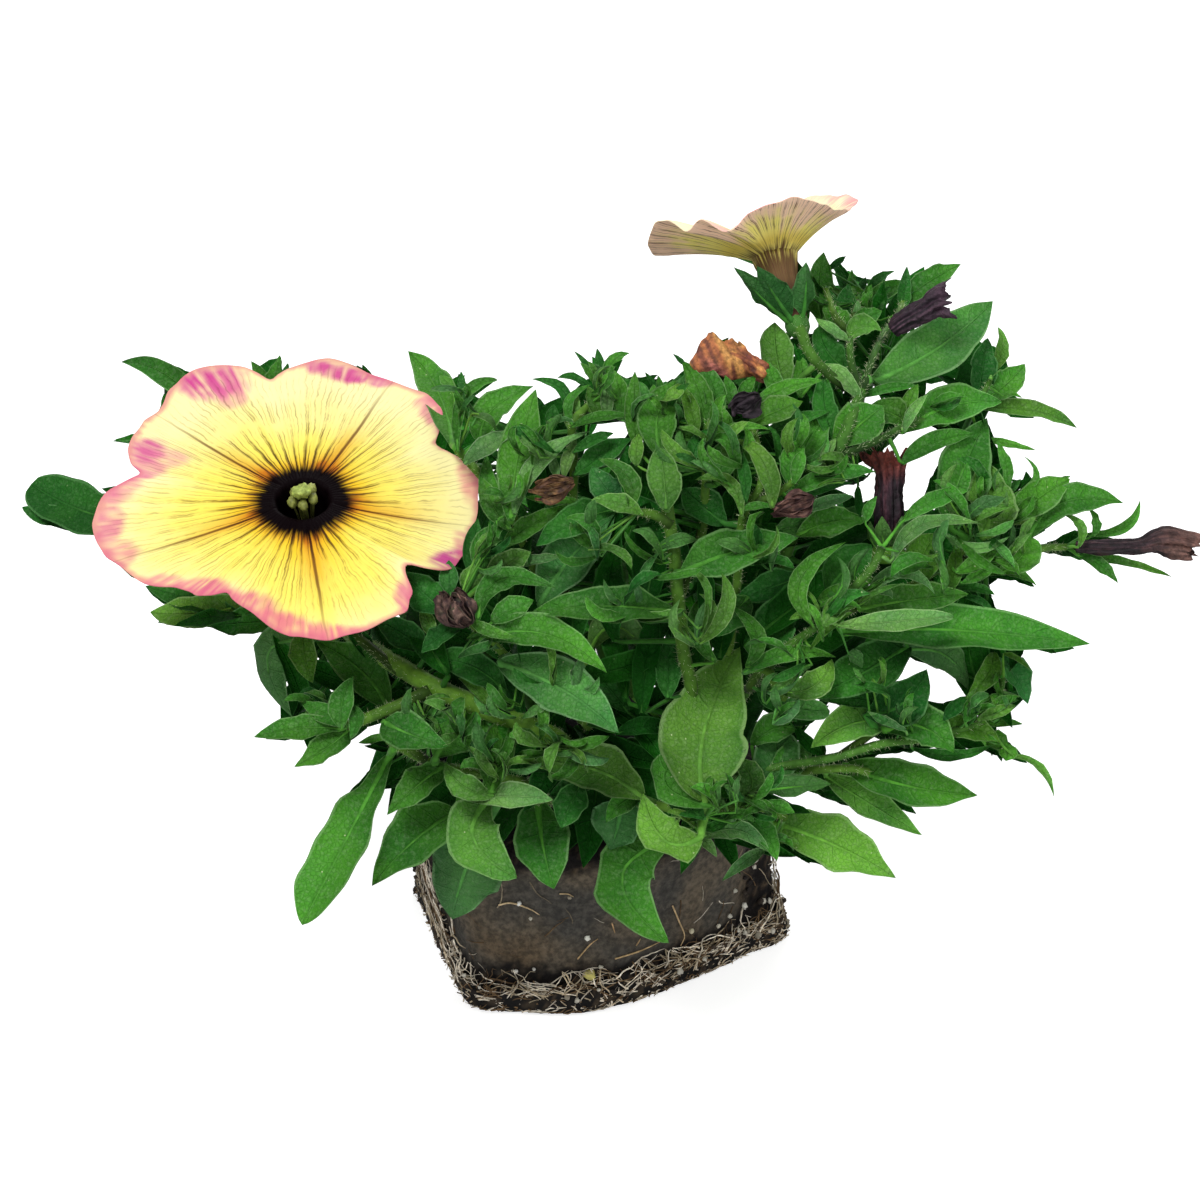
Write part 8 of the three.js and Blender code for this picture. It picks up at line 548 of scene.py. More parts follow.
    ["l217b","ursh2",[59.31,-8.85,103.06],[61.46,-10.18,97.66],[66.05,-10.15,96.6],[70.86,-8.88,95.04],[0.266,-0.585,0.766],0.78,0.45,1.0,14,0,"n"],
    ["l218","rrsh",[58.79,-25.33,86.13],[55.05,-27.9,89.5],[57.48,-20.33,95.56],[62.52,-9.3,100.78],[0.24,-0.596,0.766],4.64,0.45,1.0,14,0,"n"],
    ["l219","rrsh",[59.68,-24.33,87.11],[60.36,-28.8,88.18],[61.72,-23.52,92.43],[60.69,-16.96,96.58],[0.253,-0.591,0.766],4.24,0.45,1.0,14,0,"y"],
    ["l220","rrsh",[61.18,-20.19,92.4],[64.96,-19.41,92.07],[65.06,-15.98,95.15],[63.83,-11.66,98.07],[0.264,-0.586,0.766],1.08,0.45,1.0,14,0,"n"],
    ["l221","rrsh",[61.17,-20.38,92.13],[65.37,-17.98,91.12],[66.27,-16.84,91.86],[67.77,-14.96,92.47],[0.27,-0.583,0.766],0.72,0.45,1.0,14,0,"d"],
    ["l222","rrsh3",[66.26,-20.39,87.41],[65.98,-18.2,91.04],[70.21,-14.71,92.54],[68.57,-11.43,95.03],[0.278,-0.58,0.766],0.66,0.45,1.0,14,0,"n"],
    ["l223","rrsh3",[64.7,-21.09,87.58],[64.72,-22.06,87.66],[70.37,-17.06,90.04],[76.3,-11.4,90.99],[0.285,-0.576,0.766],2.92,0.5,1.0,14,0,"n"],
    ["l223b","rrsh3",[71.77,-16.39,87.3],[74.1,-11.26,90.23],[75.34,-10.38,90.56],[76.81,-9.24,90.62],[0.3,-0.569,0.766],0.42,0.45,1.0,14,0,"n"],
    ["l224","rrsh2",[69.34,-20.04,82.05],[68.4,-21.97,85.18],[74.92,-15.24,88.57],[85.55,-10.6,86.42],[0.302,-0.568,0.766],2.88,0.5,1.0,14,0,"n"],
    ["l225","rrsh2",[75.67,-15.96,80.94],[79.56,-11.6,81.33],[86.22,-9.04,81.29],[89.71,-2.93,83.7],[0.302,-0.568,0.766],1.0,0.45,1.0,14,0,"n"],
    ["l226","rrsh2",[75.67,-15.96,80.94],[77.04,-19.93,82.7],[77.49,-16.95,85.09],[74.68,-15.62,86.62],[0.302,-0.568,0.766],1.0,0.45,1.0,14,0,"y"],
    ["l227","rrsh2",[75.67,-15.96,80.94],[79.75,-15.99,82.73],[80.64,-13.69,84.38],[79.55,-11.59,85.95],[0.302,-0.568,0.766],0.93,0.45,1.0,14,0,"n"],
    ["l228","rrsh2",[75.67,-15.96,80.94],[77.64,-17.31,79.94],[81.04,-18.02,78.48],[84.0,-18.96,75.88],[0.302,-0.568,0.766],1.46,0.45,1.0,14,0,"n"],
    ["l229","rrsh2",[75.67,-15.96,80.94],[78.95,-12.96,77.82],[86.76,-12.02,76.31],[94.56,-10.45,73.07],[0.302,-0.568,0.766],0.89,0.45,1.0,14,0,"o"],
    ["f000","csh",[-9.27,-39.74,66.82],[-4.65,-41.0,70.26],[3.78,-40.63,71.31],[11.28,-36.08,73.72],[0.054,-0.787,0.614],2.6,0.45,1.0,16,0,"d"],
    ["f001","trsh",[21.52,-32.62,83.95],[21.2,-29.24,84.51],[22.88,-23.89,89.46],[27.33,-15.75,92.08],[0.559,-0.609,0.563],2.59,0.45,1.0,15,0,"d"],
    ["f002","tee",[5.86,-39.91,97.38],[2.78,-33.33,92.58],[9.23,-28.27,92.52],[15.48,-20.4,92.48],[0.411,-0.457,0.789],2.06,0.45,1.0,23,0,"k"],
    ["f003","tcsh",[-5.3,-29.0,82.99],[-1.95,-27.61,82.08],[2.0,-25.97,86.01],[5.57,-22.42,89.49],[-0.225,-0.716,0.661],1.83,0.45,1.0,9,0,"n"],
    ["f004","ulsh",[-4.68,-31.2,71.33],[6.72,-29.67,76.31],[11.91,-28.03,77.87],[17.16,-24.84,78.8],[0.1,-0.702,0.705],1.65,0.45,1.0,12,0,"b"],
    ["f005","csh",[-1.71,-34.48,56.7],[-3.86,-33.97,57.53],[4.52,-40.66,55.57],[14.05,-42.11,54.93],[-0.196,-0.647,0.737],2.64,0.45,1.0,23,0,"d"],
    ["f006","tcsh",[-5.54,-29.6,81.18],[2.52,-30.33,80.35],[1.72,-27.55,86.32],[3.54,-22.23,90.99],[0.316,-0.797,0.515],1.99,0.45,1.0,23,0,"d"],
    ["f007","main",[-5.74,-35.09,53.93],[-8.67,-34.58,54.24],[-7.83,-41.11,51.48],[-5.35,-45.41,48.19],[0.1,-0.484,0.869],1.98,0.45,1.0,20,0,"b"],
    ["f008","cent",[12.53,-41.55,78.15],[16.33,-40.63,78.54],[16.44,-34.9,81.79],[15.96,-27.81,84.5],[0.143,-0.468,0.872],1.67,0.45,1.0,16,0,"d"],
    ["f009","ulsh",[-2.76,-30.74,66.8],[5.08,-33.44,69.84],[9.03,-30.65,73.07],[11.05,-25.42,76.55],[0.017,-0.698,0.716],1.93,0.45,1.0,11,0,"d"],
    ["f010","r3sh",[6.52,-30.25,41.49],[0.83,-30.94,42.27],[-5.05,-37.87,40.11],[-9.72,-43.58,36.19],[0.171,-0.553,0.815],2.6,0.45,1.0,16,0,"d"],
    ["f011","tmsh",[13.46,-37.38,85.6],[6.35,-32.56,81.3],[5.33,-29.27,84.89],[5.28,-24.86,88.16],[-0.261,-0.703,0.661],1.63,0.45,1.0,19,0,"d"],
    ["f012","ursh",[29.43,-26.2,83.8],[31.82,-27.12,83.05],[38.9,-22.71,85.23],[46.56,-16.61,86.15],[0.216,-0.6,0.77],2.76,0.45,1.0,20,0,"d"],
    ["f013","ulsh",[-12.32,-31.47,89.41],[-9.84,-27.08,90.33],[-9.97,-24.16,95.28],[-9.98,-19.7,99.63],[-0.234,-0.793,0.563],1.94,0.45,1.0,9,0,"d"],
    ["f014","ulsh",[-5.74,-31.45,73.85],[-10.58,-29.08,72.04],[-18.57,-33.99,73.15],[-26.03,-38.6,72.3],[0.261,-0.418,0.87],3.13,0.45,1.0,14,0,"b"],
    ["f015","lowleft",[-24.06,-41.6,54.42],[-23.54,-39.78,56.21],[-27.04,-35.29,59.94],[-31.27,-29.02,62.42],[-0.5,-0.707,0.5],2.18,0.45,1.0,22,0,"d"],
    ["f016","main",[-35.38,-30.23,68.58],[-29.36,-26.47,62.42],[-38.54,-30.75,61.89],[-45.65,-36.48,57.88],[0.077,-0.506,0.859],3.26,0.45,1.0,23,0,"d"],
    ["f017","main",[-5.84,-36.11,54.71],[-5.9,-33.95,57.57],[-7.81,-42.62,53.9],[-12.02,-47.52,49.57],[-0.19,-0.45,0.872],2.9,0.45,1.0,19,0,"d"],
    ["f018","lowr",[17.16,-28.96,45.51],[16.29,-28.47,47.0],[15.53,-39.21,42.89],[12.82,-46.85,37.73],[-0.152,-0.45,0.88],2.55,0.45,1.0,10,0,"d"],
    ["f019","trsh",[19.05,-31.01,67.48],[17.03,-34.84,67.61],[19.7,-32.28,70.02],[22.06,-28.49,72.16],[0.212,-0.722,0.659],1.15,0.45,1.0,8,0,"b"],
    ["f020","csh",[-1.95,-31.22,54.06],[-1.15,-32.22,52.75],[-9.32,-34.76,56.8],[-17.37,-34.93,59.87],[0.367,-0.783,0.502],2.84,0.45,1.0,13,0,"d"],
    ["f022","lowleft",[-17.9,-41.14,52.55],[-19.12,-36.93,50.41],[-25.67,-37.89,45.93],[-31.79,-37.78,39.98],[-0.462,-0.58,0.671],3.01,0.45,1.0,10,0,"d"],
    ["f023","ulsh",[-4.12,-31.06,70.02],[-14.85,-26.7,65.92],[-23.14,-36.3,65.12],[-29.29,-45.23,61.5],[0.303,-0.472,0.828],2.84,0.45,1.0,24,0,"k"],
    ["f024","trsh",[19.67,-31.22,70.63],[18.82,-36.18,70.46],[19.53,-29.21,76.96],[18.95,-19.57,82.42],[-0.146,-0.626,0.766],2.53,0.45,1.0,10,0,"d"],
    ["f025","ursh",[27.85,-25.79,78.23],[20.83,-22.95,80.43],[27.91,-25.38,85.05],[35.44,-27.3,87.79],[-0.498,-0.558,0.664],2.72,0.45,1.0,23,0,"d"],
    ["f026","cent",[13.37,-41.19,71.14],[10.2,-39.5,70.89],[13.89,-38.51,75.14],[15.92,-34.48,79.09],[-0.395,-0.671,0.628],1.72,0.45,1.0,12,0,"d"],
    ["f027","tcsh",[-5.66,-29.91,80.25],[5.73,-29.39,78.57],[11.46,-30.72,84.82],[16.43,-29.0,90.47],[-0.55,-0.667,0.503],2.54,0.45,1.0,24,0,"b"],
    ["f028","csh",[-14.74,-41.71,74.03],[-17.52,-34.12,73.98],[-22.32,-35.19,76.76],[-26.49,-33.89,79.73],[0.349,-0.765,0.542],1.59,0.45,1.0,13,0,"b"],
    ["f029","main",[-34.89,-30.93,68.63],[-35.71,-31.61,67.23],[-38.28,-30.01,70.94],[-41.56,-27.6,73.77],[0.248,-0.748,0.615],1.63,0.45,1.0,16,0,"b"],
    ["f030","ursha3",[38.03,-0.64,115.46],[31.43,0.22,106.68],[40.14,-0.08,107.24],[49.11,1.69,106.46],[0.037,-0.861,0.508],2.41,0.45,1.0,23,0,"d"],
    ["f031","trsh",[18.86,-30.94,66.51],[24.22,-32.33,65.36],[30.17,-34.41,67.88],[35.3,-32.13,70.84],[-0.382,-0.532,0.756],2.2,0.45,1.0,24,0,"b"],
    ["f032","main",[-28.4,-38.14,68.24],[-25.21,-34.13,68.64],[-29.27,-34.23,69.81],[-33.29,-32.93,70.76],[0.079,-0.801,0.594],1.36,0.45,1.0,12,0,"d"],
    ["f033","ulsh",[-8.39,-31.52,79.83],[-15.41,-32.33,76.68],[-24.27,-27.74,79.81],[-33.5,-20.63,81.76],[-0.209,-0.708,0.675],3.44,0.45,1.0,11,0,"d"],
    ["f034","lowr",[14.91,-23.86,42.51],[12.35,-25.15,42.23],[19.59,-32.35,40.64],[27.14,-37.11,38.43],[-0.447,-0.721,0.529],2.93,0.45,1.0,17,0,"k"],
    ["f035","cent",[13.6,-40.37,64.75],[14.43,-37.24,65.13],[13.02,-30.99,71.87],[10.7,-23.06,77.73],[0.489,-0.54,0.685],3.18,0.45,1.0,23,0,"d"],
    ["f036","trsh",[23.73,-24.18,105.42],[23.73,-14.73,95.32],[32.09,-12.73,99.72],[39.42,-6.09,104.33],[-0.172,-0.596,0.785],3.89,0.45,1.0,11,0,"d"],
    ["f037","csh",[-4.54,-37.41,61.33],[-4.75,-34.38,62.43],[-10.77,-37.06,56.33],[-14.39,-39.62,48.37],[-0.414,-0.692,0.591],3.55,0.45,1.0,10,0,"d"],
    ["f038","ursh",[25.67,-25.58,71.21],[29.05,-32.07,70.04],[32.25,-27.51,72.25],[36.65,-22.19,72.98],[0.363,-0.553,0.75],1.5,0.45,1.0,17,0,"b"],
    ["f040","trsh",[21.6,-32.92,85.78],[21.68,-24.81,87.1],[28.87,-24.1,91.07],[37.11,-22.86,91.66],[-0.09,-0.843,0.53],2.66,0.45,1.0,23,0,"d"],
    ["f042","cent",[8.93,-38.13,56.62],[5.34,-37.58,58.84],[9.85,-35.37,63.49],[15.38,-32.02,66.44],[-0.054,-0.813,0.579],2.08,0.45,1.0,10,0,"d"],
    ["f043","main",[-13.02,-41.81,62.22],[-11.85,-43.47,63.97],[-14.58,-38.94,67.24],[-17.86,-33.43,69.78],[0.323,-0.393,0.861],1.78,0.45,1.0,12,0,"d"],
    ["f044","main",[-10.53,-41.54,60.82],[-10.17,-46.95,60.4],[-16.19,-41.05,64.36],[-19.94,-32.36,68.89],[-0.296,-0.677,0.673],2.6,0.45,1.0,8,0,"n"],
    ["f045","tmsh",[15.82,-30.85,91.02],[6.37,-25.26,90.88],[8.88,-16.76,96.51],[8.16,-6.79,102.12],[0.326,-0.545,0.773],2.43,0.45,1.0,9,0,"d"],
    ["f046","main",[-29.29,-37.45,68.44],[-26.14,-31.55,62.31],[-32.81,-33.29,60.95],[-39.63,-33.2,58.67],[-0.143,-0.476,0.868],3.02,0.45,1.0,18,0,"d"],
    ["f047","rrsh2",[59.87,-25.55,82.74],[55.28,-15.94,80.81],[60.05,-11.51,81.92],[65.67,-6.67,81.4],[0.438,-0.538,0.72],1.58,0.45,1.0,11,0,"d"],
    ["f048","ulsh",[-4.5,-31.15,70.92],[-4.0,-33.89,70.86],[-3.94,-29.46,78.95],[-0.61,-22.36,85.21],[0.172,-0.818,0.549],2.95,0.45,1.0,13,0,"b"],
    ["f049","ursh",[29.81,-26.29,85.13],[40.51,-14.4,82.96],[48.25,-17.42,83.21],[56.15,-16.44,84.68],[-0.196,-0.748,0.634],2.43,0.45,1.0,13,0,"b"],
    ["f050","rmsh",[28.31,-42.33,74.79],[27.92,-42.22,75.08],[36.04,-35.51,74.69],[43.67,-25.91,75.12],[0.583,-0.607,0.54],2.87,0.45,1.0,17,0,"d"],
    ["f051","tmsh",[13.13,-38.31,85.1],[14.06,-38.09,84.08],[10.0,-31.42,90.58],[2.48,-22.52,93.33],[-0.377,-0.718,0.585],3.24,0.45,1.0,19,0,"b"],
    ["f052","csh",[-2.17,-36.25,58.58],[-1.94,-37.98,58.05],[2.89,-36.38,59.65],[6.96,-32.77,61.66],[0.164,-0.799,0.578],1.7,0.45,1.0,12,0,"k"],
    ["f053","csh",[-12.41,-40.88,70.95],[-13.26,-39.17,70.77],[-20.29,-31.86,75.76],[-27.92,-22.04,79.48],[-0.309,-0.677,0.668],2.71,0.45,1.0,15,0,"d"],
    ["f054","lowleft",[-9.34,-28.96,43.8],[-12.31,-29.3,42.16],[-16.04,-35.08,39.08],[-19.09,-39.66,34.92],[-0.119,-0.518,0.847],2.15,0.45,1.0,24,0,"d"],
    ["f055","cent",[12.71,-41.56,76.44],[2.53,-39.7,75.39],[1.16,-35.19,82.16],[3.21,-27.12,87.26],[0.379,-0.685,0.622],2.83,0.45,1.0,13,0,"d"],
    ["f056","main",[-32.63,-34.17,68.86],[-24.55,-28.74,65.83],[-29.56,-31.87,65.19],[-34.13,-34.44,63.27],[0.102,-0.536,0.838],1.86,0.45,1.0,22,0,"b"],
    ["f057","trsh",[21.7,-33.25,87.82],[24.62,-28.58,88.45],[25.89,-21.03,95.73],[23.35,-10.86,101.76],[-0.063,-0.642,0.764],2.75,0.45,1.0,12,0,"d"],
    ["f058","urshc",[50.47,13.97,111.73],[47.74,14.4,102.17],[47.45,19.37,106.66],[46.49,25.43,110.71],[0.406,-0.52,0.751],2.35,0.45,1.0,22,0,"d"],
    ["f059","lowr",[16.77,-28.08,44.99],[13.53,-29.76,44.59],[20.55,-34.92,46.94],[27.34,-36.4,49.89],[-0.511,-0.608,0.608],2.21,0.45,1.0,16,0,"n"],
    ["f060","lowleft",[-18.31,-41.2,52.66],[-18.72,-33.72,55.02],[-22.87,-35.54,50.91],[-28.08,-34.89,46.64],[-0.326,-0.777,0.538],2.04,0.45,1.0,10,0,"d"],
    ["f061","rmsh",[18.57,-38.34,60.01],[20.32,-44.94,57.71],[24.49,-32.99,63.13],[32.17,-19.21,66.12],[0.287,-0.466,0.837],2.86,0.45,1.0,14,0,"d"],
    ["f062","tmsh",[15.81,-30.87,90.88],[11.38,-23.52,89.98],[16.15,-17.78,93.59],[21.67,-10.6,96.13],[0.052,-0.504,0.862],2.65,0.45,1.0,22,0,"b"],
    ["f063","ulsh",[-9.57,-31.48,82.46],[-13.3,-34.35,80.83],[-8.9,-27.52,85.69],[-6.51,-16.63,89.97],[-0.213,-0.424,0.88],3.32,0.45,1.0,8,0,"d"],
    ["f064","tcsh",[-4.66,-27.34,88.58],[5.48,-15.32,85.98],[-2.49,-18.43,92.22],[-10.19,-18.82,97.51],[0.569,-0.592,0.57],3.69,0.45,1.0,23,0,"d"],
    ["f065","trsh",[20.49,-31.5,74.78],[20.39,-29.41,74.95],[22.61,-25.28,80.68],[23.48,-19.59,86.09],[0.36,-0.774,0.521],2.67,0.45,1.0,13,0,"n"],
    ["f066","ursh",[28.16,-25.87,79.31],[34.44,-21.22,77.86],[41.73,-28.02,75.98],[48.61,-32.81,72.42],[-0.318,-0.696,0.644],2.43,0.45,1.0,14,0,"d"],
    ["f067","cent",[12.31,-41.55,80.32],[6.39,-41.09,79.72],[8.25,-32.7,86.85],[7.65,-20.88,92.91],[-0.213,-0.573,0.791],3.49,0.45,1.0,19,0,"d"],
    ["f068","lowleft",[-27.15,-41.67,55.4],[-27.67,-32.28,54.42],[-32.23,-37.07,52.02],[-37.32,-39.89,49.23],[0.216,-0.717,0.662],1.95,0.45,1.0,11,0,"n"],
    ["f069","cshoot",[-29.18,-42.17,57.19],[-29.89,-33.96,58.96],[-34.77,-29.19,64.0],[-37.33,-20.55,68.64],[0.175,-0.566,0.806],2.58,0.45,1.0,23,0,"d"],
    ["f070","tmsh",[15.96,-30.57,92.58],[6.75,-25.92,92.58],[14.06,-21.23,97.53],[17.89,-13.25,104.04],[0.236,-0.795,0.559],2.77,0.45,1.0,14,0,"d"],
    ["f071","trsh",[21.31,-31.89,79.52],[15.5,-27.43,80.52],[25.59,-25.63,78.91],[35.57,-19.09,79.38],[0.303,-0.771,0.559],3.58,0.45,1.0,10,0,"d"],
    ["f072","ursh",[40.18,-18.15,105.78],[35.48,-12.26,93.14],[39.51,-11.89,94.93],[43.22,-9.64,96.86],[-0.136,-0.712,0.689],1.62,0.45,1.0,12,0,"k"],
    ["f073","tmsh",[15.98,-30.53,92.8],[18.08,-15.0,89.87],[28.45,-19.9,95.35],[39.05,-25.21,96.81],[-0.494,-0.654,0.572],3.69,0.45,1.0,19,0,"k"],
    ["f074","main",[-34.67,-31.25,68.65],[-35.28,-32.13,62.31],[-42.57,-29.8,64.18],[-50.12,-25.41,65.14],[-0.186,-0.778,0.6],2.43,0.45,1.0,15,0,"d"],
    ["f075","tmsh",[18.15,-21.8,107.84],[13.37,-13.94,98.54],[19.63,-14.87,102.76],[26.58,-15.14,104.95],[-0.363,-0.743,0.562],2.2,0.45,1.0,16,0,"k"],
    ["f076","rrsh2",[67.58,-21.0,82.05],[64.22,-16.16,79.01],[67.8,-12.89,83.25],[70.54,-7.84,87.4],[0.2,-0.792,0.577],1.65,0.45,1.0,18,0,"b"],
    ["f077","csh",[-3.36,-36.83,59.96],[2.43,-44.48,61.71],[7.25,-42.16,61.75],[12.21,-39.99,59.85],[0.352,-0.639,0.685],1.82,0.45,1.0,20,0,"b"],
    ["f078","urshb",[47.7,5.58,111.06],[44.84,6.94,98.75],[46.02,11.64,107.11],[47.88,18.65,114.67],[-0.453,-0.7,0.551],2.74,0.45,1.0,24,0,"d"],
    ["f079","cent",[12.12,-39.66,62.18],[4.14,-42.14,66.08],[2.64,-33.93,72.49],[-2.47,-22.32,76.09],[-0.458,-0.57,0.683],2.69,0.45,1.0,23,0,"d"],
    ["f080","csh",[-3.88,-37.09,60.56],[-1.23,-36.03,63.29],[6.21,-40.7,60.46],[10.93,-46.28,55.14],[0.119,-0.524,0.843],3.06,0.45,1.0,23,0,"d"],
    ["f081","rmsh",[26.15,-41.13,71.41],[29.22,-38.95,70.23],[36.39,-33.84,70.05],[43.27,-26.06,70.31],[0.513,-0.614,0.6],2.28,0.45,1.0,18,0,"d"],
    ["f082","ursha3",[37.24,6.41,116.74],[28.96,7.29,106.83],[33.99,4.72,108.33],[38.69,5.02,110.56],[-0.421,-0.652,0.631],1.75,0.45,1.0,9,0,"k"],
    ["f083","ursh",[28.5,-25.96,80.53],[38.16,-14.79,78.61],[46.11,-23.12,78.92],[53.41,-30.21,77.36],[-0.354,-0.446,0.822],2.69,0.45,1.0,22,0,"d"],
    ["f084","csh",[-17.06,-42.65,77.09],[-14.4,-37.81,80.7],[-13.52,-30.23,88.27],[-17.17,-17.7,93.4],[-0.498,-0.544,0.675],4.02,0.45,1.0,10,0,"d"],
    ["f085","lowr",[15.69,-25.64,43.55],[19.3,-25.49,41.08],[19.98,-31.73,36.28],[23.04,-35.35,30.82],[0.128,-0.678,0.724],2.23,0.45,1.0,24,0,"d"],
    ["f086","tmsh",[15.63,-31.22,88.91],[15.88,-27.77,86.17],[20.94,-23.41,91.15],[24.71,-16.13,96.0],[0.023,-0.698,0.716],2.52,0.45,1.0,13,0,"d"],
    ["f087","hairy",[25.33,-43.38,72.27],[22.76,-40.5,75.32],[31.24,-35.52,80.05],[40.43,-28.62,83.39],[-0.117,-0.504,0.856],3.49,0.45,1.0,18,0,"d"],
    ["f088","lowr",[64.35,-31.8,65.09],[54.83,-24.48,68.99],[59.33,-29.18,65.51],[65.59,-29.63,61.69],[0.338,-0.415,0.845],2.83,0.45,1.0,17,0,"n"],
    ["f089","main",[-28.63,-37.96,68.29],[-28.23,-36.43,64.87],[-33.42,-28.6,67.06],[-37.28,-18.41,69.48],[-0.388,-0.444,0.808],2.41,0.45,1.0,22,0,"b"],
    ["f090","cent",[13.83,-40.83,67.68],[6.49,-46.29,66.13],[7.19,-40.03,72.59],[9.15,-31.42,77.88],[0.079,-0.679,0.73],2.35,0.45,1.0,17,0,"k"],
    ["f091","tcsh",[-4.3,-26.32,94.69],[-9.14,-23.83,94.56],[-5.58,-18.52,101.34],[-1.99,-10.68,107.23],[0.219,-0.772,0.597],2.75,0.45,1.0,16,0,"d"],
    ["f092","pedic",[31.58,-6.48,116.27],[25.8,-1.74,102.89],[34.71,-2.96,104.36],[43.8,-2.24,104.61],[-0.128,-0.516,0.847],3.11,0.45,1.0,24,0,"d"],
    ["f093","main",[-38.44,-25.57,68.26],[-47.43,-30.92,59.17],[-49.71,-28.72,64.84],[-52.72,-25.35,69.66],[0.521,-0.645,0.559],2.44,0.45,1.0,20,0,"d"],
    ["f094","cent",[8.72,-37.84,56.16],[3.93,-37.8,57.16],[7.35,-42.62,49.73],[11.75,-44.29,41.01],[0.459,-0.7,0.547],3.63,0.45,1.0,18,0,"d"],
    ["f095","tmsh",[17.38,-24.2,106.22],[12.91,-17.91,99.01],[12.72,-15.32,103.43],[10.33,-11.57,106.76],[-0.078,-0.814,0.575],1.37,0.45,1.0,15,0,"d"],
    ["f096","rrsh2",[58.39,-26.19,83.09],[54.64,-21.09,76.65],[55.71,-15.86,82.82],[56.94,-8.51,88.2],[0.039,-0.712,0.701],2.82,0.45,1.0,10,0,"d"],
    ["f097","lowr",[18.58,-32.15,47.39],[31.92,-25.76,48.22],[39.89,-32.94,47.59],[48.72,-36.02,47.38],[-0.315,-0.595,0.74],2.79,0.45,1.0,21,0,"d"],
    ["f098","ulsh",[-0.63,-24.15,54.29],[0.18,-26.05,52.31],[-0.76,-37.29,45.78],[-2.69,-45.93,38.28],[0.092,-0.593,0.8],3.69,0.45,1.0,11,0,"d"],
    ["f099","lowr",[17.6,-29.95,46.09],[21.54,-33.89,36.43],[30.6,-37.43,38.37],[39.28,-40.42,37.07],[-0.286,-0.697,0.657],2.69,0.45,1.0,20,0,"b"],
    ["f100","rmsh",[19.45,-38.56,61.29],[19.92,-35.55,61.48],[22.38,-30.09,69.91],[26.06,-22.25,76.96],[0.016,-0.795,0.607],2.85,0.45,1.0,20,0,"d"],
    ["f101","urshc",[50.61,14.58,111.72],[52.21,13.95,99.35],[59.72,12.18,101.5],[67.44,12.58,102.95],[-0.268,-0.584,0.767],3.34,0.45,1.0,14,0,"d"],
    ["f102","urshb",[41.85,-13.65,107.25],[41.63,-8.23,92.4],[46.61,-4.98,96.31],[52.2,-0.36,99.27],[-0.135,-0.586,0.799],2.51,0.45,1.0,14,0,"k"],
    ["f103","ulsh",[-19.87,-25.29,98.81],[-14.32,-15.06,94.5],[-9.21,-9.01,99.18],[-2.92,-1.26,102.21],[0.218,-0.646,0.731],2.92,0.45,1.0,15,0,"d"],
    ["f104","lowr3",[47.82,-38.76,62.57],[45.15,-24.9,52.57],[50.32,-29.16,52.62],[55.91,-31.04,52.47],[-0.265,-0.497,0.826],2.28,0.45,1.0,22,0,"d"],
    ["f105","main",[-24.76,-40.78,67.35],[-23.54,-43.08,71.39],[-27.92,-33.36,74.99],[-28.82,-21.29,78.89],[-0.254,-0.417,0.873],2.85,0.45,1.0,9,0,"d"],
    ["f106","urshc",[50.88,15.73,111.69],[49.32,20.65,101.11],[51.27,25.35,106.61],[54.6,31.92,111.12],[0.275,-0.712,0.647],2.4,0.45,1.0,9,0,"d"],
    ["f107","csh",[-14.42,-41.59,73.61],[-12.05,-45.39,74.37],[-11.27,-37.73,79.67],[-9.37,-27.38,83.72],[0.411,-0.528,0.743],2.51,0.45,1.0,21,0,"d"],
    ["f108","ursh2",[61.15,-7.49,103.19],[59.43,1.36,92.09],[62.18,7.19,100.35],[61.16,14.61,108.35],[0.297,-0.771,0.563],3.51,0.45,1.0,17,0,"k"],
    ["f109","tmsh",[13.66,-36.82,85.9],[12.11,-35.11,83.74],[14.57,-25.19,89.88],[15.13,-13.22,95.77],[0.371,-0.521,0.769],3.61,0.45,1.0,19,0,"d"],
    ["g011","main",[-40.17,-22.37,68.09],[-40.69,-23.53,55.91],[-35.83,-24.45,55.52],[-31.8,-23.53,52.26],[-0.035,-0.553,0.833],1.97,0.45,1.0,12,0,"d"],
    ["g012","ursh2",[58.25,-9.64,102.98],[56.91,-6.36,91.65],[55.43,-4.05,86.71],[53.5,-3.21,82.48],[-0.003,-0.553,0.833],1.27,0.45,1.0,19,0,"d"],
    ["g014","back_12",[-64.92,19.51,89.86],[-61.36,27.72,91.31],[-59.39,32.54,92.8],[-56.89,36.15,94.43],[0.15,-0.547,0.824],1.48,0.45,1.0,10,0,"d"],
    ["g017","urshb",[47.4,4.74,111.03],[40.93,6.87,101.1],[41.35,7.52,98.17],[41.16,9.21,94.85],[0.112,-0.549,0.828],0.98,0.45,1.0,13,0,"k"],
    ["g024","main",[-44.87,-12.74,63.43],[-47.82,-14.21,63.28],[-46.26,-15.55,61.73],[-45.1,-14.41,58.87],[-0.044,-0.552,0.832],0.93,0.45,1.0,6,0,"n"],
    ["g027","ulsh",[-2.37,-30.65,65.88],[-8.09,-19.76,64.63],[-11.04,-19.71,63.8],[-14.15,-17.21,62.4],[-0.199,-0.542,0.817],0.92,0.45,1.0,10,0,"k"],
    ["g029","ursha2",[44.08,16.84,112.95],[43.78,28.22,110.38],[42.01,28.53,112.35],[40.94,28.34,114.95],[-0.195,-0.542,0.817],0.77,0.45,1.0,17,0,"d"],
    ["g030","tcsh",[-4.15,-25.92,97.05],[2.34,-16.12,95.74],[3.63,-12.08,96.51],[5.03,-6.65,96.72],[-0.348,-0.518,0.781],0.86,0.45,1.0,17,0,"n"],
    ["g031","tcsh",[-0.81,-18.89,107.92],[-2.26,-14.52,98.73],[-3.37,-12.39,95.55],[-4.4,-10.66,92.46],[-0.11,-0.55,0.828],0.97,0.45,1.0,8,0,"d"],
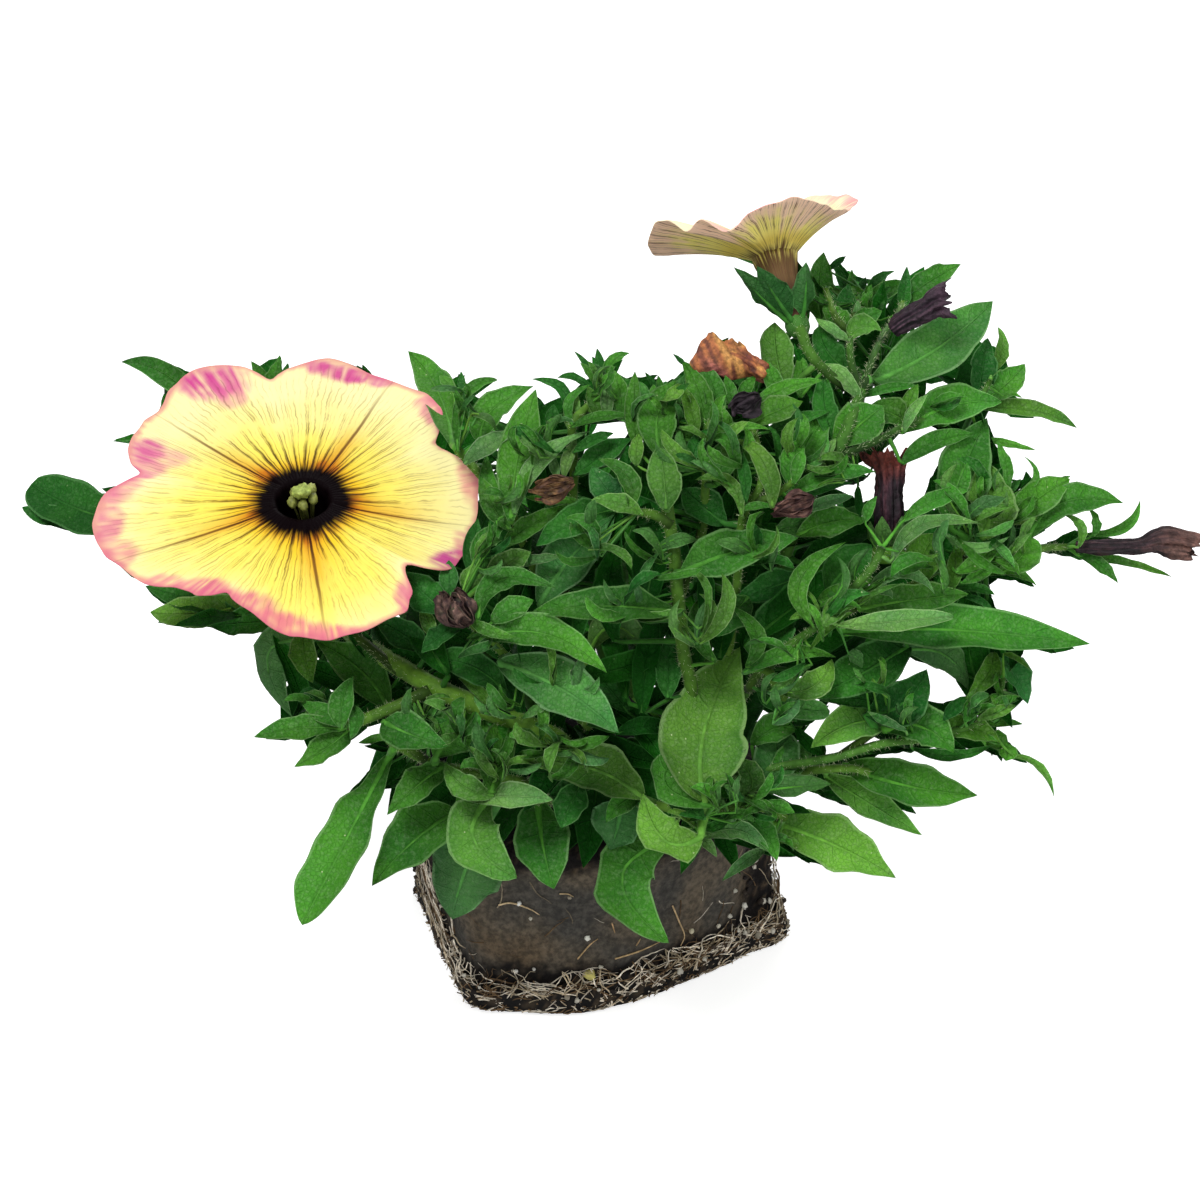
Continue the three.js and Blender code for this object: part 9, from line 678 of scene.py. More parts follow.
    ["g033","back_13",[-63.92,3.77,61.89],[-73.81,6.2,59.04],[-75.33,8.24,60.6],[-77.6,10.17,61.53],[-0.096,-0.55,0.829],0.9,0.45,1.0,10,0,"d"],
    ["g034","ulsh",[-2.37,-30.65,65.88],[-2.79,-29.32,66.34],[-5.16,-24.98,65.05],[-7.08,-23.17,65.93],[0.247,-0.536,0.807],0.99,0.45,1.0,14,0,"d"],
    ["g035","ursh",[17.71,-19.09,52.8],[25.33,-19.0,51.91],[25.0,-23.36,51.37],[24.11,-28.11,51.18],[-0.267,-0.533,0.803],0.78,0.45,1.0,9,0,"d"],
    ["g041","ulsh",[-3.96,-31.02,69.63],[-14.19,-29.43,65.59],[-13.78,-24.38,65.73],[-13.57,-19.26,65.93],[-0.014,-0.553,0.833],0.85,0.45,1.0,18,0,"k"],
    ["g042","back_04",[47.12,45.63,98.46],[44.09,44.79,102.31],[41.87,41.95,105.26],[39.46,38.24,108.29],[-0.051,-0.552,0.832],0.69,0.45,1.0,17,0,"k"],
    ["g044","trsh",[16.61,-27.18,60.19],[8.01,-23.2,65.3],[5.67,-21.7,65.32],[3.53,-19.51,65.57],[0.2,-0.542,0.816],0.91,0.45,1.0,7,0,"k"],
    ["g045","main",[-41.96,-19.05,67.92],[-31.47,-13.55,65.27],[-32.71,-11.71,66.83],[-34.51,-6.42,66.6],[0.311,-0.526,0.792],1.0,0.45,1.0,14,0,"n"],
    ["g047","trsh",[14.81,-23.59,56.16],[10.74,-18.0,62.9],[11.18,-20.12,66.63],[10.84,-19.55,69.09],[0.179,-0.544,0.82],0.84,0.45,1.0,16,0,"k"],
    ["g052","back_12",[-68.45,20.46,92.31],[-74.66,21.49,90.87],[-75.21,25.49,92.11],[-75.85,28.58,93.72],[0.077,-0.551,0.831],0.66,0.45,1.0,10,0,"k"],
    ["g053","main",[-44.87,-12.74,63.43],[-46.3,-11.48,60.86],[-44.12,-10.11,61.41],[-42.03,-6.12,60.11],[-0.084,-0.551,0.83],0.76,0.45,1.0,10,0,"n"],
    ["g054","ursha2",[44.08,16.84,112.95],[43.07,26.39,112.74],[45.74,27.97,111.34],[48.41,28.49,111.26],[0.354,-0.517,0.779],0.66,0.45,1.0,8,0,"d"],
    ["g055","back_12",[-68.45,20.46,92.31],[-70.1,24.41,95.31],[-72.77,25.36,95.63],[-75.32,28.43,96.14],[-0.3,-0.527,0.795],0.85,0.45,1.0,7,0,"k"],
    ["g059","trsh",[14.81,-23.59,56.16],[10.44,-23.35,58.24],[8.72,-26.98,62.12],[7.18,-29.84,65.69],[-0.233,-0.538,0.81],0.77,0.45,1.0,14,0,"n"],
    ["g064","back_01",[66.64,7.75,67.61],[75.78,5.7,74.54],[72.59,2.12,76.15],[70.1,1.94,77.24],[0.272,-0.532,0.802],1.01,0.45,1.0,16,0,"n"],
    ["g067","back_12",[-68.45,20.46,92.31],[-78.86,19.79,86.81],[-81.04,18.11,86.29],[-83.65,17.93,86.23],[-0.0,-0.553,0.833],0.68,0.45,1.0,12,0,"n"],
    ["g068","urshb",[45.33,-1.31,110.69],[46.63,0.2,100.32],[45.97,5.34,100.74],[45.59,10.86,101.19],[0.32,-0.524,0.789],0.8,0.45,1.0,17,0,"n"],
    ["g075","back_12",[-68.45,20.46,92.31],[-75.15,21.35,93.28],[-75.33,20.1,90.96],[-76.46,19.15,88.78],[-0.242,-0.537,0.808],0.68,0.45,1.0,9,0,"n"],
    ["g077","ulsh",[-2.37,-30.65,65.88],[-0.61,-26.99,67.07],[-1.81,-28.56,70.17],[-3.42,-26.21,71.04],[0.004,-0.553,0.833],0.72,0.45,1.0,15,0,"d"],
    ["g078","back_13",[-62.84,3.8,61.73],[-62.46,-7.35,62.28],[-64.67,-9.03,63.54],[-66.63,-12.52,65.3],[-0.169,-0.545,0.821],0.84,0.45,1.0,19,0,"k"],
    ["g079","ursha2",[44.08,16.84,112.95],[35.42,20.37,110.17],[34.85,18.44,108.18],[35.46,21.44,104.42],[-0.284,-0.53,0.799],0.8,0.45,1.0,8,0,"n"],
    ["g080","ursha2",[44.08,16.84,112.95],[35.65,25.54,111.55],[26.82,29.94,115.72],[16.61,34.45,116.1],[-0.22,-0.539,0.813],2.82,0.45,1.0,10,0,"d"],
    ["g085","back_01",[62.28,7.53,66.45],[62.76,-2.7,67.8],[66.28,-2.17,70.09],[70.17,-3.51,71.65],[-0.128,-0.548,0.826],1.3,0.45,1.0,15,0,"n"],
    ["g095","ursha2",[43.83,15.34,113.16],[41.23,14.89,102.41],[43.16,19.53,102.86],[45.35,23.06,103.4],[0.27,-0.532,0.802],0.76,0.45,1.0,16,0,"k"],
    ["g096","back_13",[-63.92,3.77,61.89],[-73.67,2.7,61.66],[-75.31,2.47,63.81],[-78.2,6.76,63.28],[-0.167,-0.545,0.822],0.89,0.45,1.0,9,0,"k"],
    ["g097","urshb",[45.97,0.68,110.92],[42.36,2.68,100.75],[40.18,1.37,99.84],[38.38,3.56,97.5],[0.327,-0.523,0.787],1.02,0.45,1.0,7,0,"d"],
    ["g101","ursh2",[46.06,-20.33,102.59],[42.89,-15.14,92.8],[40.98,-11.44,90.46],[38.84,-8.39,88.84],[-0.327,-0.523,0.787],0.66,0.45,1.0,7,0,"k"],
    ["g105","back_04",[47.12,45.63,98.46],[39.83,42.93,105.11],[42.43,42.48,104.79],[44.75,38.81,105.83],[-0.059,-0.552,0.832],0.96,0.45,1.0,7,0,"d"],
    ["g109","lowr2",[33.25,-42.43,54.08],[35.83,-32.37,49.03],[36.03,-27.24,49.08],[36.73,-26.11,51.18],[0.206,-0.541,0.815],0.96,0.45,1.0,15,0,"n"],
    ["g112","ursha2",[44.08,16.84,112.95],[44.29,26.59,111.14],[42.62,30.95,111.43],[41.52,34.77,112.53],[0.138,-0.548,0.825],0.73,0.45,1.0,7,0,"d"],
    ["g113","lowr",[16.08,-26.52,44.07],[25.85,-22.77,40.73],[27.9,-24.38,40.11],[30.27,-20.98,36.68],[-0.075,-0.551,0.831],0.77,0.45,1.0,9,0,"k"],
    ["g115","main",[-44.87,-12.74,63.43],[-44.44,-13.24,60.71],[-43.16,-9.63,61.12],[-41.7,-8.14,62.62],[-0.094,-0.551,0.83],0.94,0.45,1.0,8,0,"d"],
    ["g117","back_13",[-63.92,3.77,61.89],[-64.57,-2.98,60.25],[-67.26,-1.62,60.09],[-70.47,2.65,58.29],[0.227,-0.539,0.811],0.68,0.45,1.0,16,0,"n"],
    ["g247","back_01",[60.1,7.42,65.87],[60.4,-3.56,68.43],[63.91,-7.61,59.8],[69.39,-11.99,52.53],[-0.332,-0.522,0.786],3.83,0.45,1.0,9,0,"d"],
    ["g248","back_01",[63.37,7.58,66.74],[63.32,-0.55,69.99],[64.24,-2.98,66.73],[66.5,-1.61,62.01],[0.226,-0.539,0.812],1.33,0.45,1.0,16,0,"d"],
    ["g249","tcsh",[-0.04,-17.37,108.54],[-4.59,-11.48,100.19],[-0.89,-7.17,99.32],[2.94,-6.48,98.99],[-0.276,-0.531,0.801],0.96,0.45,1.0,14,0,"k"],
    ["g250","ursh",[28.54,-25.97,80.68],[31.13,-21.84,80.99],[32.64,-20.76,82.6],[33.88,-17.0,83.36],[0.139,-0.548,0.825],0.92,0.45,1.0,13,0,"d"],
    ["g251","main",[-44.87,-12.74,63.43],[-53.17,-13.97,54.8],[-51.95,-13.67,52.29],[-50.82,-10.1,48.32],[0.115,-0.549,0.828],1.0,0.45,1.0,16,0,"k"],
    ["g252","ursha2",[44.08,16.84,112.95],[44.63,19.87,102.78],[42.32,22.74,101.79],[40.06,26.2,101.0],[0.046,-0.552,0.832],1.01,0.45,1.0,11,0,"d"],
    ["g253","ursh",[31.08,-26.63,89.47],[33.72,-15.09,90.15],[36.53,-10.49,88.58],[39.09,-9.27,87.53],[-0.085,-0.551,0.83],1.01,0.45,1.0,8,0,"d"],
    ["g254","back_04",[47.81,46.51,99.42],[53.1,40.76,100.64],[54.34,35.34,100.46],[56.34,36.0,98.21],[0.251,-0.535,0.807],0.7,0.45,1.0,15,0,"d"],
    ["g256","ursh",[30.78,-26.54,88.57],[31.31,-18.19,88.77],[33.72,-16.46,86.95],[36.38,-14.15,85.83],[0.081,-0.551,0.83],0.99,0.45,1.0,6,0,"d"],
    ["g257","main",[-40.77,-21.27,68.04],[-45.22,-24.31,58.41],[-47.33,-21.46,54.94],[-49.97,-17.78,51.61],[-0.228,-0.538,0.811],0.72,0.45,1.0,19,0,"k"],
    ["g458","lowr",[61.42,-35.11,60.33],[61.91,-31.49,59.04],[59.0,-29.3,68.81],[58.59,-23.73,77.29],[0.002,-0.553,0.833],3.52,0.45,1.0,6,0,"d"],
    ["g459","back_01",[65.55,7.7,67.32],[67.34,4.29,58.92],[68.48,-1.13,53.1],[71.29,-5.98,47.66],[-0.117,-0.549,0.827],2.93,0.45,1.0,17,0,"k"],
    ["g460","back_01",[56.83,7.25,64.84],[67.34,7.89,57.84],[74.25,5.47,54.33],[82.27,5.15,52.33],[0.354,-0.517,0.779],2.62,0.45,1.0,8,0,"d"],
    ["g461","lowr",[59.64,-36.49,59.25],[66.0,-29.27,65.59],[67.12,-28.4,68.89],[68.66,-26.91,71.75],[-0.333,-0.521,0.786],1.37,0.45,1.0,17,0,"k"],
    ["g463","lowr",[49.38,-41.72,59.23],[55.7,-31.84,53.38],[59.37,-32.55,53.77],[62.91,-33.6,53.19],[-0.321,-0.524,0.789],1.37,0.45,1.0,16,0,"d"],
    ["g464","back_01",[54.66,7.13,64.09],[61.64,8.13,64.04],[66.89,7.48,65.84],[72.27,7.71,67.15],[-0.352,-0.518,0.78],2.33,0.45,1.0,15,0,"d"],
    ["g465","lowr2",[25.79,-40.35,52.41],[34.9,-35.43,46.53],[39.92,-38.09,46.71],[44.28,-39.81,44.26],[-0.109,-0.55,0.828],1.4,0.45,1.0,11,0,"d"],
    ["g467","back_05",[27.46,50.98,80.34],[31.52,56.04,78.48],[36.82,53.74,80.08],[42.03,52.2,81.88],[-0.128,-0.548,0.826],2.33,0.45,1.0,11,0,"d"],
    ["g468","rrsh",[60.67,-23.22,88.2],[64.22,-15.56,87.82],[66.44,-15.4,90.55],[69.22,-14.94,92.56],[-0.271,-0.532,0.802],1.16,0.45,1.0,18,0,"k"],
    ["g469","rrsh3",[61.5,-23.03,87.01],[63.98,-10.28,90.96],[64.13,-11.2,94.33],[63.27,-12.35,97.74],[-0.1,-0.55,0.829],0.92,0.45,1.0,13,0,"k"],
    ["g474","frsh",[28.09,-44.57,47.38],[31.05,-35.82,38.82],[33.13,-37.23,36.41],[35.79,-40.12,35.75],[0.07,-0.552,0.831],1.48,0.45,1.0,7,0,"d"],
    ["g476","rrsh2",[68.75,-20.34,82.05],[73.23,-9.57,77.88],[79.27,-11.2,79.21],[85.75,-10.51,79.37],[0.072,-0.552,0.831],2.49,0.45,1.0,8,0,"d"],
    ["g477","back_13",[-46.62,4.38,58.38],[-48.74,2.65,46.29],[-49.7,-2.32,41.92],[-48.98,-8.3,38.03],[0.13,-0.548,0.826],2.31,0.45,1.0,16,0,"d"],
    ["g479","cshoot",[-29.52,-42.28,57.55],[-32.41,-35.47,52.26],[-35.97,-37.9,49.49],[-39.87,-38.46,45.93],[-0.261,-0.534,0.804],2.11,0.45,1.0,7,0,"k"],
    ["g480","cshoot",[-31.33,-43.05,59.89],[-32.78,-34.67,49.94],[-32.77,-36.68,47.93],[-32.91,-36.78,44.87],[-0.083,-0.551,0.83],0.81,0.45,1.0,13,0,"k"],
    ["g481","tcsh",[-1.57,-20.41,107.3],[-0.31,-12.1,105.96],[1.6,-13.57,109.51],[3.61,-15.18,112.97],[-0.273,-0.532,0.801],1.2,0.45,1.0,10,0,"d"],
    ["g485","back_13",[-59.59,3.92,61.22],[-68.6,6.27,57.06],[-71.97,5.86,56.96],[-75.19,4.79,57.69],[-0.28,-0.531,0.8],1.41,0.45,1.0,16,0,"k"],
    ["g486","back_14",[7.05,23.74,76.88],[11.35,29.9,86.44],[15.81,30.86,92.13],[20.55,32.17,97.41],[-0.023,-0.553,0.833],2.0,0.45,1.0,16,0,"d"],
    ["g487","back_10",[-36.95,32.45,78.26],[-29.22,40.07,85.11],[-26.76,38.94,88.06],[-24.01,38.57,90.27],[0.288,-0.529,0.798],1.01,0.45,1.0,15,0,"d"],
    ["g488","back_08",[-11.92,41.76,70.48],[-6.21,48.3,79.72],[-1.86,49.35,82.92],[1.88,52.78,85.93],[0.094,-0.551,0.83],2.36,0.45,1.0,17,0,"k"],
    ["g490","lowr",[62.32,-34.41,60.87],[51.79,-35.4,58.49],[46.95,-36.9,55.8],[41.04,-40.85,56.43],[-0.112,-0.549,0.828],1.83,0.45,1.0,11,0,"d"],
    ["g493","back_05",[3.28,14.81,46.97],[9.38,23.08,52.91],[11.15,22.3,56.03],[13.8,24.68,56.77],[0.1,-0.55,0.829],1.32,0.45,1.0,12,0,"k"],
    ["g494","main",[-43.88,-14.97,65.33],[-48.58,-17.46,59.62],[-50.9,-20.04,55.09],[-51.7,-24.84,51.27],[-0.143,-0.547,0.825],1.7,0.45,1.0,16,0,"d"],
    ["g495","lowr3",[43.2,-41.94,60.72],[44.18,-34.75,56.88],[49.33,-37.04,56.31],[54.45,-40.3,57.76],[-0.136,-0.548,0.825],1.7,0.45,1.0,19,0,"k"],
    ["g496","tcsh",[-1.31,-19.9,107.51],[-0.45,-13.3,105.56],[4.77,-14.69,107.5],[9.95,-16.56,109.5],[-0.349,-0.518,0.781],1.95,0.45,1.0,14,0,"k"],
    ["g498","tmsh",[16.57,-27.65,102.3],[17.25,-19.9,99.38],[22.73,-18.88,102.43],[28.77,-17.84,104.22],[-0.057,-0.552,0.832],2.3,0.45,1.0,19,0,"d"],
    ["g500","back_10",[-32.67,27.63,73.31],[-36.88,32.47,83.54],[-40.84,34.44,88.44],[-44.72,36.07,93.5],[0.308,-0.526,0.793],2.91,0.45,1.0,19,0,"d"],
    ["g501","back_11",[-23.7,11.74,51.04],[-31.95,7.79,43.38],[-35.64,2.51,34.47],[-41.34,-0.42,25.3],[0.27,-0.532,0.802],3.46,0.45,1.0,14,0,"d"],
    ["g502","lowr",[62.32,-34.41,60.87],[63.52,-26.65,56.88],[63.34,-29.19,53.84],[63.53,-31.19,50.54],[0.235,-0.537,0.81],1.12,0.45,1.0,14,0,"d"],
    ["g506","trsh2",[28.17,-33.08,98.26],[33.71,-22.76,93.63],[36.16,-25.55,94.21],[38.54,-25.54,92.69],[-0.352,-0.518,0.78],1.11,0.45,1.0,8,0,"d"],
    ["g508","back_13",[-62.84,3.8,61.73],[-74.62,8.68,63.08],[-80.84,8.82,67.19],[-86.62,9.21,71.83],[-0.256,-0.535,0.805],2.38,0.45,1.0,7,0,"d"],
    ["g509","back_07",[0.24,42.41,57.41],[1.93,49.18,63.93],[2.84,49.86,66.92],[4.12,49.4,70.22],[-0.313,-0.525,0.791],1.01,0.45,1.0,11,0,"d"],
    ["g510","back_03",[22.73,11.29,49.67],[11.15,13.46,51.8],[8.16,12.17,52.87],[5.2,11.83,53.46],[-0.063,-0.552,0.832],1.25,0.45,1.0,10,0,"k"],
    ["g512","back_11",[-57.85,31.65,68.08],[-70.12,35.23,69.52],[-79.68,32.44,69.24],[-89.82,34.56,70.06],[-0.291,-0.529,0.797],3.4,0.45,1.0,17,0,"k"],
    ["g513","tmsh",[15.95,-30.59,92.45],[25.3,-29.47,90.8],[27.88,-29.92,90.28],[30.67,-28.41,89.56],[-0.169,-0.545,0.821],0.81,0.45,1.0,16,0,"d"],
    ["g515","back_01",[63.37,7.58,66.74],[63.98,11.87,64.8],[69.11,10.18,64.7],[74.14,8.12,64.64],[-0.133,-0.548,0.826],1.99,0.45,1.0,16,0,"d"],
    ["g517","rrsh3",[71.07,-17.09,87.25],[71.83,-12.61,85.33],[69.35,-13.93,89.51],[65.85,-15.35,92.61],[0.335,-0.521,0.785],1.24,0.45,1.0,13,0,"d"],
    ["g518","lowr2",[21.53,-38.83,51.31],[28.79,-34.97,39.37],[32.1,-38.51,37.81],[35.86,-40.07,35.61],[-0.337,-0.521,0.784],1.75,0.45,1.0,17,0,"k"],
    ["g519","lowr",[60.98,-35.45,60.06],[62.67,-27.21,53.47],[64.2,-30.03,52.21],[64.8,-33.44,50.8],[-0.295,-0.528,0.796],1.09,0.45,1.0,17,0,"d"],
    ["g520","lowr",[60.98,-35.45,60.06],[61.97,-28.92,56.68],[65.33,-30.29,58.95],[68.35,-31.65,61.83],[-0.259,-0.534,0.805],1.21,0.45,1.0,15,0,"k"],
    ["g522","lowr",[26.79,-41.33,53.79],[31.51,-35.6,48.5],[41.59,-37.04,48.34],[50.84,-38.36,43.97],[0.117,-0.549,0.827],3.06,0.45,1.0,15,0,"d"],
    ["g524","main",[-43.55,-15.72,65.96],[-48.68,-17.93,55.8],[-49.87,-19.23,53.61],[-50.47,-23.84,53.06],[0.196,-0.542,0.817],0.89,0.45,1.0,17,0,"d"],
    ["g525","back_04",[45.05,42.99,95.56],[52.66,51.14,100.36],[55.77,49.34,103.54],[58.34,50.47,106.63],[-0.339,-0.52,0.784],1.58,0.45,1.0,12,0,"d"],
    ["g526","pedic",[37.76,-14.06,108.89],[44.92,-6.78,104.41],[47.23,-9.09,104.1],[49.84,-9.05,103.03],[-0.212,-0.54,0.814],1.0,0.45,1.0,19,0,"d"],
    ["g527","cshoot",[-30.27,-42.51,58.34],[-33.53,-33.78,51.48],[-36.78,-36.37,48.58],[-39.82,-36.38,43.86],[0.35,-0.518,0.78],1.51,0.45,1.0,15,0,"d"],
    ["g528","back_13",[-63.92,3.77,61.89],[-69.41,7.72,57.65],[-72.81,5.64,58.09],[-76.42,5.32,57.2],[-0.257,-0.534,0.805],1.52,0.45,1.0,16,0,"d"],
    ["g529","back_05",[16.78,35.0,67.96],[12.01,43.15,76.84],[4.41,45.28,82.89],[-1.45,50.29,89.58],[-0.266,-0.533,0.803],3.38,0.45,1.0,12,0,"d"],
    ["g530","back_14",[8.82,27.44,84.95],[12.41,31.98,89.84],[14.56,30.51,92.57],[16.31,32.8,94.35],[0.257,-0.534,0.805],1.12,0.45,1.0,13,0,"d"],
    ["g532","lowleft",[-19.5,-41.37,53.01],[-30.55,-36.23,48.86],[-33.07,-38.0,49.02],[-35.57,-40.22,49.67],[0.104,-0.55,0.829],0.74,0.45,1.0,12,0,"d"],
    ["g533","rrsh",[61.13,-21.39,90.66],[54.0,-20.95,89.35],[51.01,-23.33,90.03],[47.95,-26.33,91.69],[-0.159,-0.546,0.823],1.18,0.45,1.0,16,0,"k"],
    ["g534","back_09",[-25.71,32.04,57.5],[-27.79,37.75,68.27],[-25.68,39.96,78.74],[-25.37,42.56,89.16],[0.15,-0.547,0.824],4.01,0.45,1.0,15,0,"k"],
    ["g535","ursh2",[61.9,-6.83,104.23],[63.14,1.77,100.96],[66.62,-0.27,99.47],[70.72,-0.63,98.42],[0.194,-0.542,0.817],1.65,0.45,1.0,14,0,"d"],
    ["g537","ursh",[33.62,-27.21,96.44],[27.12,-16.31,100.72],[21.53,-14.14,105.77],[16.42,-14.08,112.13],[0.043,-0.552,0.832],2.31,0.45,1.0,14,0,"d"],
    ["g538","back_01",[65.55,7.7,67.32],[66.66,9.15,64.11],[66.53,7.65,61.53],[67.35,6.67,58.82],[-0.192,-0.543,0.818],1.11,0.45,1.0,9,0,"k"],
    ["g539","back_10",[-34.5,29.7,75.43],[-38.4,37.75,83.84],[-40.82,37.02,88.43],[-43.05,35.35,93.37],[-0.265,-0.533,0.803],2.09,0.45,1.0,13,0,"d"],
    ["g540","ursh2",[53.58,-13.47,102.84],[62.72,-9.33,93.77],[64.54,-12.5,93.21],[65.8,-15.54,92.0],[0.082,-0.551,0.83],0.84,0.45,1.0,13,0,"d"],
    ["g541","main",[-30.75,-36.31,68.78],[-37.77,-33.4,57.57],[-39.9,-35.23,56.7],[-41.45,-35.39,54.12],[-0.261,-0.534,0.804],1.11,0.45,1.0,7,0,"d"],
    ["g542","lowr3",[44.02,-41.45,61.04],[53.2,-33.76,54.06],[55.73,-35.13,54.28],[58.23,-36.69,54.77],[0.118,-0.549,0.827],0.82,0.45,1.0,8,0,"d"],
    ["g544","ursh2",[61.4,-7.27,103.54],[63.18,5.21,98.77],[67.49,2.86,98.03],[71.63,-0.38,97.76],[-0.155,-0.546,0.823],1.52,0.45,1.0,14,0,"d"],
    ["g546","rrsh2",[60.3,-25.37,82.63],[61.02,-20.46,80.42],[64.0,-22.61,79.24],[67.67,-22.87,78.5],[0.011,-0.553,0.833],1.21,0.45,1.0,9,0,"k"],
    ["g548","rrsh3",[70.03,-18.13,87.18],[69.76,-13.45,87.34],[69.43,-12.57,89.94],[68.97,-11.95,92.64],[0.116,-0.549,0.828],1.14,0.45,1.0,6,0,"d"],
    ["g549","frsh",[12.71,-42.43,47.31],[22.77,-39.45,40.33],[26.96,-40.84,38.89],[31.49,-40.85,37.51],[0.08,-0.551,0.831],1.45,0.45,1.0,17,0,"d"],
    ["g550","lowr",[60.09,-36.14,59.52],[64.88,-26.48,56.14],[66.61,-27.19,58.67],[69.01,-24.7,59.41],[0.074,-0.551,0.831],1.21,0.45,1.0,8,0,"d"],
    ["g551","urshc",[50.31,13.29,111.75],[61.37,18.7,104.14],[65.92,14.79,101.87],[69.64,13.32,97.35],[0.153,-0.546,0.823],2.41,0.45,1.0,14,0,"d"],
    ["g553","main",[-44.54,-13.49,64.06],[-48.86,-16.19,54.4],[-50.24,-19.77,53.65],[-50.91,-22.21,51.85],[-0.126,-0.549,0.827],0.89,0.45,1.0,16,0,"d"],
    ["g555","pedic",[37.76,-14.06,108.89],[45.61,-7.07,104.23],[48.23,-7.49,103.38],[50.15,-10.61,102.77],[0.298,-0.528,0.795],0.79,0.45,1.0,8,0,"d"],
    ["g556","back_12",[-63.74,19.19,89.05],[-61.7,26.62,91.34],[-58.37,25.43,95.21],[-54.93,24.04,98.99],[-0.191,-0.543,0.818],1.84,0.45,1.0,16,0,"d"],
    ["g557","bsh1",[-47.36,-21.15,74.37],[-58.61,-17.74,69.56],[-63.81,-20.44,70.24],[-69.38,-20.12,68.68],[-0.273,-0.532,0.801],1.59,0.45,1.0,6,0,"d"],
    ["g558","tcsh",[-4.03,-22.95,105.35],[1.0,-11.36,105.14],[5.22,-13.08,107.41],[9.12,-15.2,110.43],[0.212,-0.54,0.814],1.63,0.45,1.0,6,0,"d"],
    ["g559","lowr",[58.59,-37.06,59.24],[59.96,-27.7,54.35],[64.42,-30.73,52.49],[68.81,-34.13,50.93],[0.231,-0.538,0.811],1.68,0.45,1.0,8,0,"k"],
    ["g560","back_14",[6.89,23.41,76.11],[10.96,28.04,86.33],[17.15,29.21,92.99],[22.38,29.49,100.68],[-0.223,-0.539,0.812],3.32,0.45,1.0,11,0,"d"],
    ["g563","ursha",[40.34,-10.06,109.98],[49.6,-7.62,102.0],[53.7,-9.99,100.85],[57.5,-13.37,99.8],[-0.172,-0.545,0.821],1.98,0.45,1.0,12,0,"k"],
    ["g564","main",[-23.92,-40.92,67.02],[-28.98,-35.25,55.75],[-34.41,-39.0,51.62],[-40.62,-41.77,48.01],[0.045,-0.552,0.832],2.22,0.45,1.0,13,0,"d"],
    ["g566","back_10",[-29.61,24.18,69.35],[-29.0,30.6,77.46],[-28.06,31.79,80.11],[-27.85,31.17,83.62],[-0.253,-0.535,0.806],1.26,0.45,1.0,13,0,"k"],
    ["g567","rrsh2",[64.23,-23.35,81.99],[65.31,-13.11,89.46],[62.25,-10.71,95.01],[61.35,-10.18,102.02],[-0.294,-0.529,0.796],2.1,0.45,1.0,6,0,"k"],
    ["g568","ursh",[34.05,-27.13,97.14],[27.28,-15.55,100.85],[19.67,-15.97,105.28],[14.2,-13.0,111.06],[-0.335,-0.521,0.785],3.44,0.45,1.0,11,0,"k"],
    ["g571","back_10",[-36.95,32.45,78.26],[-39.76,40.37,84.13],[-41.22,40.69,87.78],[-42.75,43.42,90.57],[-0.275,-0.532,0.801],1.3,0.45,1.0,6,0,"k"],
    ["g572","lowr3",[46.73,-39.61,62.12],[50.83,-34.84,56.92],[54.49,-36.3,55.78],[58.69,-35.38,54.2],[0.156,-0.546,0.823],1.66,0.45,1.0,19,0,"d"],
    ["g573","lowr",[61.42,-35.11,60.33],[62.33,-29.2,57.28],[65.26,-30.33,58.75],[68.25,-28.6,59.7],[-0.024,-0.553,0.833],0.89,0.45,1.0,14,0,"d"],
    ["g574","rrsh2",[63.63,-23.77,81.98],[65.26,-20.15,79.44],[67.46,-21.41,78.4],[69.16,-25.24,78.41],[-0.097,-0.55,0.829],1.18,0.45,1.0,16,0,"d"],
    ["g576","back_13",[-32.56,4.87,53.52],[-41.32,4.1,44.81],[-49.28,-0.34,41.75],[-58.02,-1.34,37.98],[0.155,-0.546,0.823],3.18,0.45,1.0,6,0,"d"],
    ["g577","lowr",[56.48,-38.2,59.21],[61.91,-27.72,50.97],[64.18,-30.41,51.47],[66.87,-30.33,50.41],[0.24,-0.537,0.809],0.95,0.45,1.0,18,0,"d"],
    ["g578","back_13",[-55.27,4.07,60.47],[-66.76,4.02,58.47],[-71.85,3.25,59.31],[-76.86,2.86,60.59],[-0.109,-0.55,0.828],2.08,0.45,1.0,15,0,"d"],
    ["g579","frsh",[26.04,-45.23,48.88],[28.34,-34.2,40.59],[32.31,-38.24,37.59],[37.59,-40.77,35.57],[0.185,-0.543,0.819],1.6,0.45,1.0,15,0,"d"],
    ["g580","pedic",[31.91,-7.88,115.63],[32.91,-6.06,104.68],[32.75,-9.63,103.11],[32.51,-9.9,100.29],[0.282,-0.531,0.799],1.09,0.45,1.0,7,0,"k"],
    ["g836","ursha3",[39.98,-2.96,113.42],[47.26,-3.41,104.5],[53.24,-6.9,100.61],[59.61,-11.41,98.11],[-0.094,-0.551,0.83],2.14,0.45,1.0,16,0,"k"],
    ["g837","lowr",[28.9,-42.33,54.78],[30.09,-37.65,56.05],[31.44,-37.7,58.67],[32.99,-36.4,60.5],[0.259,-0.534,0.805],0.94,0.45,1.0,14,0,"d"],
    ["g838","back_08",[-11.59,41.04,70.08],[-19.32,49.13,77.42],[-22.17,49.96,79.77],[-24.15,49.86,83.21],[0.259,-0.534,0.805],1.28,0.45,1.0,12,0,"d"],
    ["g839","back_01",[49.21,6.85,62.14],[44.88,11.88,71.82],[42.96,12.55,75.84],[39.68,11.07,79.84],[0.18,-0.544,0.82],1.75,0.45,1.0,18,0,"k"],
